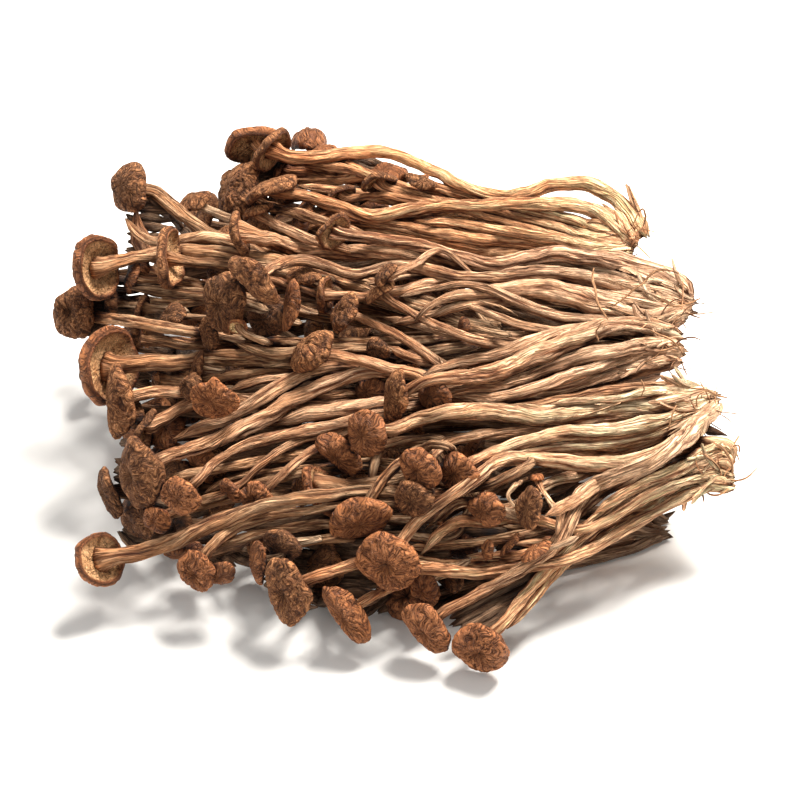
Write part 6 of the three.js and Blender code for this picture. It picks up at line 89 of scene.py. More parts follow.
    ("D6", "clump_lower", "D", "seen", [1336,-230,490,403,1321,-254,492,401,1306,-277,494,398,1292,-301,496,396,1277,-325,500,394,1263,-348,504,391,1249,-372,509,389,1235,-395,516,387,1222,-419,523,385,1208,-442,532,382,1196,-465,540,380,1183,-488,550,378,1171,-512,560,376,1159,-535,570,374,1146,-558,580,372,1134,-581,590,370,1120,-603,599,368,1105,-626,606,366,1088,-647,610,364,1068,-667,611,361,1046,-683,608,358,1022,-697,603,356,997,-707,595,353,971,-713,585,351,946,-716,573,348,923,-715,559,346,901,-710,542,345,881,-703,524,344,863,-694,505,343,845,-686,485,342,826,-679,466,341,806,-678,447,340,785,-684,431,337,765,-699,418,335,748,-721,411,332,734,-747,409,328,723,-775,409,324,714,-802,409,320,704,-828,406,316,694,-852,398,311,681,-871,384,306,666,-887,367,301,648,-902,351,296,629,-916,338,291,608,-931,328,286,586,-945,319,281,563,-959,311,277,539,-971,301,272,516,-981,290,267,492,-991,279,262,468,-1000,267,257,444,-1009,256,253,420,-1018,246,248,395,-1028,237,243,370,-1039,230,238,346,-1050,224,233,321,-1063,219,229,297,-1077,216,224,273,-1091,213,219,249,-1105,211,214,225,-1120,209,210,202,-1133,199,214,182,-1146,186,222,163,-1162,174,238,148,-1184,165,268], [152,-1173,166,-4263,-9039,-362,5856,-2452,-7727,1200,840,378,30]),
    ("D7", "clump_lower", "D", "seen", [1309,-258,482,322,1293,-281,478,319,1277,-304,475,316,1260,-329,473,313,1243,-355,473,310,1226,-381,474,307,1209,-405,474,304,1192,-427,475,301,1175,-449,476,298,1159,-469,479,295,1143,-489,482,293,1128,-509,487,290,1113,-530,493,288,1098,-550,500,286,1083,-571,507,283,1067,-592,513,281,1048,-612,517,278,1027,-631,517,275,1004,-646,514,271,980,-658,507,264,956,-666,496,256,932,-669,482,248,910,-669,465,241,889,-667,446,235,869,-665,427,229,848,-666,408,222,827,-671,390,214,807,-682,375,206,787,-697,362,198,769,-715,351,190,752,-735,341,183,736,-756,332,175], None),
    ("D11", "loose_cap_01", "", "seen", None, [549,-848,492,-6964,-6206,3605,1330,3820,9146,927,556,278,0]),
    ("D12", "stray_01", "", "seen", [574,-835,397,174,549,-829,403,184,524,-826,411,192,500,-825,422,194,476,-825,433,195,452,-822,444,198,427,-821,453,206,403,-824,461,221,380,-835,469,247], [389,-826,466,-6983,-6760,2354,6919,-5531,4641,1116,837,418,0]),
    ("D13", "clump_front", "E", "seen", [1363,-508,380,179,1338,-520,383,178,1313,-533,387,178,1288,-545,391,178,1264,-558,395,178,1240,-572,400,177,1216,-586,407,177,1193,-601,414,177,1171,-616,421,176,1150,-632,429,176,1128,-649,437,176,1107,-665,444,175,1084,-681,449,175,1060,-695,450,175,1035,-706,446,175,1010,-715,437,175,986,-722,424,175,963,-730,409,177,941,-739,395,180,918,-750,384,182,895,-764,376,184,873,-780,372,186,850,-794,369,187,827,-807,366,189,802,-818,363,191,775,-824,359,193,747,-824,355,196,720,-819,350,198,694,-809,347,201,670,-798,346,203,646,-787,346,205,622,-775,347,208,597,-765,348,210,572,-757,349,213,545,-751,349,215,518,-750,348,216,490,-752,346,217,462,-758,344,219,435,-765,343,220,407,-771,346,221,379,-775,351,222,351,-777,358,224,323,-779,363,225,297,-784,365,225,273,-791,364,226,251,-802,360,227,231,-816,354,227,212,-832,347,228,194,-849,339,229,175,-867,330,230,157,-885,321,230,138,-904,312,231], None),
    ("D14", "clump_front", "E", "seen", [1345,-545,369,238,1320,-558,366,237,1295,-572,364,237,1270,-585,361,237,1246,-598,359,237,1221,-611,356,236,1196,-624,354,236,1171,-637,351,236,1146,-650,349,236,1121,-663,346,236,1097,-677,343,235,1072,-691,339,235,1048,-705,336,235,1024,-719,332,235,1000,-734,328,234,977,-749,324,234,954,-765,319,234,931,-780,314,234,908,-796,309,234,884,-811,304,233,861,-826,300,233,837,-840,295,233,813,-854,292,233,788,-868,289,232,763,-881,286,232,738,-894,284,232,713,-906,282,232,686,-916,280,231,660,-925,279,231,632,-931,277,231,605,-936,274,231,577,-940,272,231,549,-943,270,231,521,-947,267,232,493,-950,265,234,465,-954,262,236,437,-958,260,238,409,-961,259,240,381,-964,260,242,353,-967,263,245,326,-971,268,246,298,-975,275,248,271,-981,283,250,245,-986,292,252,218,-992,301,254,191,-997,310,256,163,-1000,315,257,135,-997,317,260,108,-990,315,262,82,-980,309,265,58,-968,301,267,34,-955,292,269], None),
    ("D20", "clump_lower", "D", "seen", [1281,-192,511,242,1255,-188,517,242,1228,-184,522,242,1201,-181,527,242,1174,-178,531,242,1146,-176,535,242,1119,-175,537,242,1091,-176,539,242,1064,-178,540,242,1036,-181,541,242,1009,-185,541,242,981,-190,540,242,954,-195,539,242,927,-201,537,242,900,-207,536,242,874,-213,535,242,847,-220,534,241,820,-227,534,241,793,-234,534,239,766,-242,535,234,740,-250,536,230,713,-259,537,225,687,-268,538,220,660,-276,539,216,633,-283,539,211,606,-289,539,206,579,-294,538,202,552,-298,537,197,524,-301,536,192,497,-303,534,188,469,-306,532,183,442,-308,531,178,414,-312,530,174,387,-316,531,169,360,-321,532,164,333,-326,533,160], None),
    ("D21", "clump_lower", "D", "seen", [1286,-251,487,242,1263,-267,482,242,1240,-283,477,243,1217,-298,471,244,1193,-314,465,245,1170,-328,459,245,1146,-342,453,246,1122,-355,447,247,1097,-367,440,248,1071,-377,433,249,1045,-387,427,250,1019,-395,422,251,992,-403,418,252,965,-410,415,253,937,-416,413,254,909,-421,411,255,881,-426,411,255,853,-430,411,256,825,-434,411,257,797,-437,411,258,769,-440,412,257,741,-443,412,253,713,-446,412,249,685,-450,413,245,657,-455,413,240,629,-461,414,236,602,-467,415,232,575,-474,416,228,548,-481,418,224,522,-489,422,219,496,-497,428,215,471,-506,436,211,448,-518,448,207,424,-532,461,202,401,-548,474,198,375,-566,484,194,349,-582,489,190,322,-596,491,186,295,-605,488,181,268,-610,481,177], None),
    ("D22", "clump_lower", "D", "seen", [1259,-279,479,241,1239,-296,470,242,1218,-312,461,242,1197,-328,451,243,1175,-343,440,244,1154,-356,429,245,1131,-368,417,246,1108,-379,405,247,1085,-390,395,248,1061,-403,387,249,1037,-417,383,249,1013,-432,382,250,990,-448,384,250,967,-464,387,250,943,-478,390,251,919,-492,393,251,894,-504,395,252,868,-515,396,252,841,-525,396,253,814,-533,396,254,787,-540,394,255,760,-548,393,256,733,-556,392,256,705,-565,391,255,677,-577,390,251,648,-593,389,247,616,-617,387,244,581,-651,385,240,539,-694,385,236,494,-732,390,232,451,-753,399,228,414,-757,408,225,384,-752,415,221,359,-746,421,217,340,-743,426,213,324,-742,429,210,308,-740,428,206,293,-737,422,202,277,-733,411,198,261,-731,398,194,244,-732,383,190,227,-738,368,187,208,-749,355,183,189,-763,344,179,169,-778,334,175], None),
    ("E2", "clump_front", "E", "seen", [1370,-472,392,358,1344,-481,393,356,1317,-490,394,354,1291,-500,395,352,1265,-511,396,350,1240,-523,396,347,1215,-536,395,345,1191,-551,395,343,1168,-566,394,341,1145,-581,393,339,1121,-597,391,337,1097,-611,389,335,1073,-625,386,332,1049,-638,382,330,1024,-651,378,328,1000,-664,372,326,976,-677,367,324,952,-690,361,322,928,-704,355,320,905,-718,349,318,882,-733,343,316,859,-749,337,314,837,-765,331,311,815,-781,325,307,793,-797,317,303,771,-812,309,299,749,-827,300,295,728,-842,291,291,706,-857,282,287,685,-873,271,283,664,-888,261,279,644,-904,250,275,624,-922,240,271,606,-941,231,267,588,-961,224,263,571,-983,219,259,556,-1006,214,256,540,-1029,211,252,525,-1052,207,248,510,-1075,203,244,494,-1098,199,240,478,-1121,195,237,462,-1143,191,233,445,-1166,187,229,427,-1185,178,231,407,-1199,165,235,388,-1213,150,244,370,-1230,138,264,356,-1254,131,292], [361,-1240,131,-2828,-9591,131,9346,-2724,2286,1136,1079,486,0]),
    ("E3", "clump_front", "E", "seen", [1371,-570,353,356,1343,-570,357,350,1315,-569,361,344,1288,-569,363,338,1260,-570,364,332,1232,-573,363,326,1204,-577,360,319,1177,-583,355,313,1151,-591,349,307,1126,-601,344,301,1101,-613,338,295,1077,-627,333,289,1054,-642,328,283,1032,-658,323,277,1009,-674,318,271,987,-690,312,266,965,-706,307,260,943,-723,302,254,920,-739,298,248,898,-755,293,242,875,-770,287,236,851,-784,281,231,827,-797,275,226,804,-810,267,221,780,-823,259,216,757,-837,251,211,735,-851,242,206,713,-866,233,201,692,-882,223,195,673,-899,213,190,654,-918,204,185,636,-939,197,180,619,-960,191,176,603,-983,187,171,587,-1006,184,167,571,-1028,180,162,555,-1051,177,157,538,-1073,172,153,521,-1094,168,148,503,-1115,163,143,484,-1135,158,138,465,-1156,153,133], None),
    ("E4", "clump_front", "E", "seen", [1376,-439,416,319,1351,-450,417,314,1326,-462,418,310,1301,-474,419,306,1276,-487,420,301,1253,-501,422,297,1229,-516,424,293,1207,-532,427,289,1185,-549,430,285,1164,-566,434,281,1143,-584,437,277,1120,-600,439,273,1097,-615,439,269,1073,-629,438,265,1048,-641,434,260,1023,-652,430,256,999,-663,425,249,974,-675,419,242,950,-688,413,235,927,-701,407,227,904,-715,401,220,882,-731,394,213,860,-746,388,206,839,-763,381,199,818,-779,374,191,797,-795,366,184,775,-811,357,177,754,-825,348,169,732,-840,338,162,711,-854,329,155], None),
    ("E5", "clump_front", "E", "seen", [1373,-539,367,317,1345,-537,372,312,1317,-536,376,306,1289,-535,378,300,1260,-536,378,295,1232,-538,375,289,1205,-539,368,284,1179,-540,357,278,1154,-539,343,273,1130,-539,327,268,1107,-540,311,264,1083,-544,297,258,1059,-552,285,253,1035,-564,276,247,1011,-579,271,241,989,-597,269,237,969,-616,271,233,950,-637,274,230,931,-658,278,226,912,-678,282,223,893,-699,285,220,872,-718,287,216,849,-735,285,212,826,-751,281,208,802,-766,276,204,779,-780,270,200,755,-794,264,196,731,-809,259,191,708,-824,253,187,684,-839,247,183,661,-853,240,179,637,-866,233,175], None),
    ("E1", "clump_front", "E", "seen", [1368,-423,434,319,1343,-437,435,317,1318,-451,437,315,1294,-465,438,313,1271,-481,441,310,1248,-497,443,308,1226,-514,447,306,1205,-532,452,305,1184,-551,457,303,1164,-570,463,301,1144,-589,469,299,1124,-608,474,297,1101,-625,477,295,1078,-641,477,292,1053,-655,474,285,1028,-667,470,274,1003,-678,464,262,978,-690,458,251,953,-701,452,240,928,-714,445,229,904,-727,439,218,880,-741,432,207,857,-755,425,196,834,-770,419,185,811,-785,412,174], None),
    ("E6", "stray_02", "", "seen", [729,-896,384,135,705,-914,385,134,680,-929,385,133,653,-942,382,127,626,-951,378,117,598,-960,373,120,572,-965,379,147], [574,-965,373,-4330,991,8959,8465,3862,3664,690,345,207,0]),
    ("E7", "clump_front", "E", "seen", [1360,-456,399,259,1333,-464,397,259,1306,-472,395,259,1279,-480,391,258,1253,-488,385,258,1226,-494,376,258,1201,-497,364,258,1178,-499,349,259,1155,-498,332,259,1133,-498,315,260,1110,-498,298,260,1086,-501,283,260,1062,-507,271,260,1037,-517,262,260,1012,-528,254,260,988,-540,246,260,963,-552,239,259,939,-565,233,257,915,-579,229,253,892,-594,226,249,869,-611,225,244,847,-628,226,240,825,-646,228,235,803,-664,231,231,782,-681,234,227,760,-699,237,222,738,-716,241,218,716,-733,245,214,694,-749,251,210,673,-766,257,206,651,-782,265,202,628,-797,273,198,605,-811,281,193,580,-824,288,189,554,-834,292,184,527,-842,295,179,499,-849,297,174], None),
    ("E8", "clump_front", "E", "seen", [1360,-557,362,237,1332,-560,361,238,1304,-563,358,239,1276,-564,353,240,1249,-564,346,242,1223,-562,334,243,1200,-559,320,244,1177,-554,303,246,1155,-551,286,247,1133,-549,269,248,1110,-552,253,250,1086,-557,240,251,1062,-566,228,252,1038,-575,217,253,1013,-584,206,254,989,-595,197,255,965,-607,190,256,940,-620,186,256,916,-635,184,257,892,-649,182,257,867,-661,179,257,841,-670,174,254,814,-678,169,250,788,-685,164,246,761,-694,162,242,735,-705,163,238,710,-717,166,234,684,-729,170,230,659,-740,174,226,634,-752,179,222,610,-765,185,218,588,-780,194,214,567,-795,205,211,547,-812,217,208,528,-828,229,205,507,-843,240,202,485,-857,251,199,461,-868,259,195,435,-877,266,191,408,-883,270,186,380,-887,274,182,352,-889,276,178,324,-891,278,174], None),
    ("L1", "clump_left", "G", "seen", [457,74,647,245,434,89,647,246,410,105,646,246,386,120,646,246,362,134,646,247,337,147,648,247,312,158,651,247,286,167,656,247,259,175,662,247,233,182,669,247,206,188,675,247,180,194,681,248,153,201,686,249,126,209,691,251,100,217,695,253,73,226,698,255,47,236,700,257,21,246,702,259,-5,257,703,261,-30,269,704,263,-56,281,704,265,-81,293,704,267,-106,305,703,269,-131,318,702,271,-156,331,701,274,-181,344,700,276,-206,356,700,278,-232,368,699,280,-257,380,699,282,-283,391,699,284,-309,401,699,286,-335,411,700,288,-362,420,702,290,-389,429,704,292,-415,436,708,294,-442,442,712,294,-469,448,717,294,-496,454,723,294,-523,459,730,294,-550,465,736,294,-576,471,743,294,-603,478,749,294,-629,486,755,294,-655,496,760,294,-680,507,764,294,-705,519,768,295,-730,532,772,295,-753,547,777,295,-776,562,782,295,-798,579,788,296,-819,596,794,296,-840,614,800,296,-860,632,807,297,-880,651,812,297,-899,671,817,297,-919,691,821,298,-938,711,824,298,-957,731,827,299,-977,748,831,300,-1001,759,836,306,-1028,761,844,310,-1054,757,853,328,-1080,751,864,352,-1105,745,876,383], [-1092,749,869,-5621,-5789,5906,1137,6533,7485,1060,900,720,0]),
    ("L2", "clump_left", "G", "seen", [453,67,644,245,426,74,645,246,399,82,646,246,372,90,646,246,346,98,647,246,319,106,647,246,292,114,648,246,265,123,648,246,238,131,649,247,211,138,651,247,184,144,654,247,157,150,658,247,130,156,663,248,103,162,668,250,76,169,672,253,50,177,676,256,23,186,679,258,-3,195,683,261,-29,205,686,264,-55,215,690,267,-80,227,693,269,-105,240,696,272,-129,254,697,275,-153,268,699,278,-177,282,700,280,-202,296,701,283,-226,309,703,286,-251,322,705,288,-276,334,707,291,-302,346,710,294,-327,358,713,297,-352,369,717,300,-378,380,721,302,-404,389,727,305,-430,398,733,308,-456,406,740,310,-482,413,747,311,-508,420,755,308,-533,427,764,303,-559,435,772,298,-585,443,779,293,-611,451,786,288,-637,460,791,282,-663,469,794,277,-690,477,796,273,-717,484,795,268,-745,490,794,263,-772,495,791,258,-800,497,788,253,-828,496,786,247,-856,495,783,242,-883,493,779,237,-911,491,775,231,-939,493,772,226,-966,498,768,221,-992,507,766,216,-1017,521,766,211,-1038,539,768,207,-1057,559,771,203,-1074,581,776,199,-1089,604,782,195,-1104,627,789,191], None),
    ("L1b", "clump_left", "G", "seen", [446,59,639,225,421,70,637,225,395,81,635,225,369,93,632,226,344,104,629,226,319,117,624,226,295,130,620,226,270,143,615,227,246,156,610,227,221,168,606,228,195,178,604,228,168,186,603,228,140,192,605,228,113,197,607,228,85,202,609,228,57,207,611,228,30,213,613,228,2,218,615,228,-25,223,618,228,-53,225,623,228,-80,225,630,228,-107,223,638,228,-133,221,647,228,-160,219,656,228,-187,218,665,227,-214,219,673,227,-241,221,680,227,-268,225,686,227,-295,231,691,227,-322,238,697,227,-348,246,701,228,-374,255,706,231,-400,265,710,236,-426,276,713,242,-452,287,717,248,-477,297,721,253,-504,306,726,259,-530,313,732,265,-557,319,738,271,-584,323,744,276,-611,327,751,282,-639,330,757,288,-666,336,760,294,-693,344,761,299,-719,356,759,305,-743,369,755,310,-766,384,749,314,-789,398,743,317,-813,413,737,319,-836,428,732,322,-860,440,725,322,-884,453,718,321,-908,466,711,321,-932,479,704,321,-957,492,698,320,-979,507,694,335,-1001,525,693,363,-1019,546,695,393,-1033,570,699,424,-1046,594,704,455,-1054,618,717,471,-1060,641,731,483,-1064,663,748,490,-1066,684,767,490,-1069,705,785,490], None),
    ("L3", "clump_left", "G", "seen", [445,48,632,286,421,63,633,286,398,79,634,287,374,94,635,287,350,110,635,287,325,125,636,288,299,137,640,288,273,145,645,288,246,148,654,289,220,149,664,290,194,148,674,291,168,148,684,292,142,150,692,294,115,155,699,295,88,163,703,297,62,172,707,299,35,181,710,300,9,190,714,302,-18,197,719,304,-44,204,724,306,-71,210,730,307,-97,218,736,309,-123,226,739,311,-148,237,741,312,-172,249,741,314,-197,262,740,316,-222,274,740,318,-247,285,740,320,-273,296,741,322,-299,307,742,323,-325,317,743,325,-351,327,745,327,-378,336,748,329,-404,345,752,330,-431,353,756,332,-457,360,761,331,-484,365,767,330,-511,369,772,328,-539,371,779,327,-566,370,786,325,-593,368,793,323,-620,365,800,321,-647,363,805,319,-675,363,808,317,-703,366,808,316,-730,372,805,315,-757,380,801,313,-783,388,795,312,-809,397,789,312,-835,405,782,311,-862,411,776,309,-889,414,772,308,-917,413,770,307,-945,409,770,305,-971,401,773,303,-997,390,777,301,-1021,377,782,299,-1045,363,788,297,-1067,347,794,293,-1088,329,799,293,-1108,310,804,296,-1129,292,809,300,-1152,276,811,312,-1178,267,810,339,-1204,275,804,367], [-1192,266,809,-7760,5596,-2909,3100,-632,-9486,1432,1217,524,0]),
    ("L4", "clump_left", "G", "seen", [453,60,641,204,427,69,641,205,401,79,642,205,375,89,642,205,348,99,642,205,323,110,641,205,297,121,640,205,272,133,638,206,246,144,636,206,221,156,635,206,194,165,635,206,168,174,636,207,141,180,639,207,113,186,642,207,86,193,645,207,59,200,648,207,32,207,650,207,5,214,653,207,-22,220,657,207,-49,222,664,207,-75,221,673,207,-100,217,685,206,-126,215,696,206,-152,214,705,206,-179,216,714,206,-206,221,721,206,-232,228,726,206,-258,238,729,206,-284,251,731,206,-310,264,732,206,-335,277,733,207,-361,289,736,207,-387,299,739,207,-413,307,744,207,-440,313,749,207,-467,317,756,207,-494,320,762,207,-521,321,768,207,-549,320,774,207,-576,318,779,207,-604,316,784,207,-632,314,787,207,-660,313,789,207,-688,313,790,207,-716,313,792,207,-743,311,794,207,-771,308,798,207,-798,305,805,210,-824,301,815,213,-850,298,824,223,-877,297,830,241,-905,298,829,263], [-893,296,832,-9623,1442,-2309,464,9227,3826,1391,1043,417,0]),
    ("L5", "clump_left", "G", "seen", [459,44,631,245,432,45,626,245,404,46,621,245,377,47,616,245,349,48,611,246,321,50,608,247,294,50,605,248,266,48,604,250,238,46,605,251,211,41,606,252,184,35,609,254,157,29,612,255,129,24,615,256,102,19,618,257,74,15,619,259,46,12,620,260,19,10,621,262,-9,9,621,263,-37,7,621,265,-65,6,621,266,-93,4,621,268,-120,2,622,269,-148,-1,623,271,-176,-4,625,272,-203,-7,627,273,-231,-9,629,275,-259,-10,630,276,-287,-10,630,278,-314,-9,629,279,-342,-5,627,281,-369,0,624,282,-396,7,619,284,-423,15,614,285,-450,23,609,285,-476,32,605,285,-503,39,601,284,-530,45,601,284,-558,48,602,283,-586,50,605,282,-613,51,609,281,-641,52,613,280,-668,53,618,280,-696,54,623,279,-723,52,629,278,-750,47,639,277,-775,36,651,276,-798,23,666,275,-822,10,679,274,-847,2,690,273,-874,1,695,272,-902,7,695,271,-929,18,692,271,-955,30,687,270,-980,44,681,270,-1005,59,675,270,-1028,74,668,269,-1050,90,659,269,-1071,108,650,269,-1089,126,639,270,-1107,144,628,270,-1124,163,616,270,-1140,182,604,270,-1155,202,591,271,-1170,220,579,271,-1189,235,571,275,-1213,245,568,280,-1239,251,570,283,-1266,252,575,295,-1294,247,582,321,-1319,236,590,348], [-1301,248,584,-5010,-6086,6153,1153,6577,7444,1100,1020,620,0]),
    ("L6", "stray_21", "", "seen", [-950,225,626,166,-973,237,620,166,-996,250,614,166,-1018,263,608,166,-1040,276,601,167,-1062,290,594,167,-1084,304,587,167,-1109,310,587,173,-1135,307,594,185,-1160,300,601,214], [-1149,303,598,-9397,-2620,2198,1567,2415,9577,602,541,379,0]),
    ("L7", "stray_22", "", "seen", [-819,161,656,185,-844,175,648,185,-871,186,642,186,-900,194,639,186,-929,198,640,186,-959,199,641,189,-989,199,642,200,-1019,204,645,238], [-1012,201,644,-9254,3495,1464,3420,6040,7198,619,495,248,0]),
    ("L8", "stray_23", "", "seen", [-686,110,656,143,-715,112,658,143,-743,113,660,143,-772,115,663,143,-801,116,665,143,-830,116,666,147,-858,113,667,155,-885,109,678,184], [-877,110,671,-7500,-1047,6531,5708,-6013,5591,930,558,335,0]),
    ("L9", "clump_left", "G", "seen", [434,58,637,266,411,48,624,266,389,34,616,266,368,18,613,265,349,1,615,265,329,-16,620,265,306,-31,624,266,280,-42,626,268,253,-46,622,271,226,-45,616,274,200,-43,608,276,173,-41,600,279,146,-39,593,282,119,-39,588,284,92,-40,583,287,64,-41,579,289,37,-42,575,292,9,-42,572,294,-18,-43,569,297,-46,-45,567,299,-74,-47,566,302,-102,-51,567,304,-129,-56,569,306,-156,-60,571,308,-184,-64,574,311,-212,-67,576,313,-239,-68,577,315,-267,-69,578,318,-295,-69,579,320,-323,-68,579,323,-351,-66,580,325,-379,-64,580,327,-406,-62,581,329,-434,-59,581,330,-462,-56,580,332,-489,-50,577,334,-516,-44,574,336,-542,-37,570,338,-569,-30,566,339,-597,-26,563,341,-624,-25,561,343,-652,-27,562,345,-680,-32,565,346,-706,-38,568,347,-733,-46,571,349,-760,-53,575,350,-786,-61,578,351,-813,-68,581,352,-840,-75,584,354,-867,-81,586,355,-894,-86,589,357,-922,-90,591,358,-950,-92,593,360,-977,-97,595,369,-1004,-103,597,373,-1031,-109,598,378,-1059,-113,598,387,-1087,-113,595,406,-1113,-109,590,437,-1137,-97,581,466], [-1124,-107,587,-7403,5542,-3805,2541,7547,6048,1690,1436,575,0]),
    ("L16", "stray_12", "", "seen", [-580,-37,665,162,-604,-26,661,162,-628,-15,658,163,-652,-7,658,166,-677,-3,662,172,-702,-5,669,185,-725,-14,677,208], [-719,-9,674,-7544,-5779,3113,-1736,6330,7544,731,475,285,0]),
    ("L17", "stray_13", "", "seen", [-479,-21,802,181,-505,-15,807,201,-531,-9,812,202,-557,-3,816,205,-584,0,821,208,-610,-2,827,218,-635,-8,834,235,-656,-22,841,257], [-645,-10,836,-6288,-7164,3024,2300,2001,9524,1265,1076,592,0]),
    ("L18", "stray_14", "", "seen", [-469,-13,626,142,-472,-34,645,142,-475,-56,664,141,-478,-77,683,141,-481,-99,703,141,-484,-121,722,140,-487,-142,741,140,-490,-164,760,139,-492,-185,779,139,-511,-193,793,141,-536,-186,800,145,-561,-170,802,149,-577,-149,804,160,-588,-122,807,177], [-591,-129,806,4096,8954,1747,7255,-4358,5327,500,380,200,0]),
    ("L19", "clump_left", "G", "seen", [442,49,642,245,424,71,643,245,405,93,643,246,387,114,644,246,368,136,645,247,348,157,647,247,328,176,650,248,308,196,654,248,287,215,658,248,266,235,662,248,246,255,665,249,225,276,668,249,205,297,670,249,185,318,673,250,165,337,677,250,145,356,681,250,125,375,686,251,104,394,691,251,84,412,696,251,63,431,702,251,43,448,709,252,21,464,718,252,0,479,727,252,-22,492,737,252,-45,504,748,252,-69,514,758,252,-93,523,768,252,-119,531,778,253,-144,537,787,253,-171,543,796,253,-197,547,805,253,-223,551,814,252,-250,554,823,252,-277,557,832,252,-303,562,839,252,-330,571,842,252,-355,584,842,253,-377,600,839,253,-398,618,832,254,-417,639,823,254,-435,659,813,255,-452,681,803,255,-468,702,792,256,-484,723,781,256,-499,744,770,257,-515,766,759,258,-534,785,753,262,-558,798,757,266,-583,806,767,270,-607,811,780,284,-631,811,794,307,-654,807,810,331], [-639,812,799,-7790,-2461,5767,4842,3481,8027,1376,1211,666,0]),
    ("L21", "stray_15", "", "seen", [-627,611,791,190,-649,629,788,191,-671,647,784,191,-693,665,781,191,-715,683,778,192,-736,702,774,192,-759,719,771,193,-784,728,777,200,-809,732,791,212,-826,736,814,246], [-822,733,801,-3100,2237,9241,8116,5685,1346,729,547,437,0]),
    ("L22", "stray_16", "", "seen", [-573,495,715,169,-589,515,706,169,-606,535,697,169,-627,552,694,173,-652,562,698,180,-677,566,705,193,-703,565,716,217], [-693,568,711,-8529,-2864,4366,4302,885,8984,789,631,379,0]),
    ("L23", "stray_17", "", "seen", [-564,335,704,167,-582,354,695,167,-601,373,685,168,-626,387,681,172,-653,393,683,178,-680,391,688,192,-706,383,696,215], [-696,390,692,-7544,-5779,3113,3969,-239,9175,792,712,427,0]),
    ("L24", "stray_18", "", "seen", [-348,73,669,164,-366,56,686,163,-385,42,703,164,-410,36,715,167,-438,36,724,172,-466,33,731,186,-491,18,737,208], [-482,29,734,-6124,-7689,1837,6695,-3809,6377,1082,866,476,0]),
    ("L25", "stray_19", "", "seen", [-284,65,729,163,-294,44,747,162,-303,23,766,162,-313,3,784,161,-322,-18,803,161,-340,-31,822,165,-365,-33,836,175,-391,-39,848,205], [-386,-36,845,-8192,-4394,3687,1685,4300,8869,1071,450,225,60]),
    ("L26", "stray_20", "", "seen", [-218,231,764,164,-244,235,768,164,-271,239,771,164,-298,241,772,169,-325,240,774,178,-346,239,791,210], [-344,239,782,-2695,44,9630,8295,-5069,2344,829,497,298,0]),
    ("L34", "clump_left", "G", "seen", [438,47,641,225,411,54,640,225,384,61,638,225,357,69,635,225,331,78,632,225,306,89,626,226,282,102,620,226,259,116,612,226,237,131,603,227,216,147,593,227,194,162,584,228,171,175,577,228,146,186,572,229,119,194,569,229,92,199,569,229,64,203,569,229,37,207,571,229,9,210,572,229,-19,213,575,229,-46,213,578,229,-73,211,585,229,-99,206,593,228,-124,198,604,228,-147,188,616,228,-170,178,629,227,-194,169,641,227,-218,162,652,226,-244,158,662,226,-271,156,670,226,-298,156,677,226,-325,158,682,226,-352,161,687,226,-380,165,690,226,-407,170,693,226,-435,175,695,226,-462,180,696,226,-489,186,697,226,-517,192,697,226,-544,197,697,227,-572,202,697,227,-599,206,697,227,-627,209,696,227,-655,213,696,229,-683,217,695,232,-710,221,695,235,-738,226,695,238,-765,232,695,241,-792,238,694,243,-820,244,692,246,-847,251,689,249,-874,258,686,252,-902,265,682,255,-929,271,679,258,-957,275,678,261,-985,277,680,264,-1012,275,685,267,-1039,273,691,269], None),
    ("L40", "clump_left", "G", "seen", [453,49,645,204,426,55,643,204,399,61,640,204,372,68,637,205,346,76,633,205,320,86,627,205,296,98,620,205,273,111,611,206,252,126,600,206,231,142,589,207,212,158,578,207,192,174,566,207,171,189,556,208,148,202,547,208,122,211,542,209,95,217,539,209,67,220,538,209,40,223,538,209,12,225,539,209,-16,227,540,209,-44,227,542,209,-72,226,546,209,-98,221,553,209,-124,214,562,208,-148,205,572,208,-171,195,584,208,-194,184,596,207,-218,175,608,207,-242,168,619,206,-268,163,628,206,-295,162,636,206,-322,164,643,206,-349,168,649,206,-376,174,653,206,-402,182,657,206,-429,190,661,206,-455,200,663,206,-481,210,665,207,-506,222,664,207,-530,236,662,207,-553,251,657,207,-575,268,651,208,-596,286,642,208,-616,306,633,209,-635,326,622,209,-655,345,611,209,-676,364,602,210,-699,379,595,210,-725,389,593,211,-752,391,598,211,-778,384,610,210,-802,373,623,210,-825,363,637,209,-850,354,650,209,-876,348,661,209,-902,347,669,209,-930,349,675,209,-957,352,679,210,-985,354,681,214,-1013,356,682,223,-1040,358,686,241,-1068,359,691,267], [-1058,359,688,-9513,308,3069,2613,6089,7489,752,602,361,0]),
    ("L37", "clump_left", "G", "seen", [441,59,639,245,414,58,633,245,386,58,628,245,358,58,623,246,331,58,617,246,303,58,612,246,275,57,606,246,248,56,600,246,220,55,595,246,192,53,591,246,164,49,588,246,137,45,586,246,109,40,584,246,81,34,583,246,54,28,582,246,26,24,581,246,-2,19,579,246,-30,16,578,245,-58,12,576,245,-86,9,575,245,-114,6,575,245,-142,2,576,245,-170,-2,577,245,-198,-4,579,245,-226,-6,581,245,-254,-7,582,245,-282,-6,583,245,-310,-4,583,245,-338,0,581,245,-366,5,579,245,-393,11,576,245,-420,18,572,246,-447,26,567,246,-474,33,563,246,-501,38,561,246,-529,42,559,246,-557,44,560,246,-585,45,562,246,-614,45,565,246,-642,44,568,246,-670,43,571,246,-697,42,574,246,-725,41,578,246,-753,40,581,246,-782,40,584,246,-810,40,586,246,-838,43,586,246,-865,48,584,246,-892,55,581,246,-918,64,576,246,-944,75,569,247,-970,83,565,251,-998,87,564,261,-1026,86,567,280,-1053,83,574,317], [-1042,85,569,-9254,-1571,3448,3644,-1189,9236,848,678,407,0]),
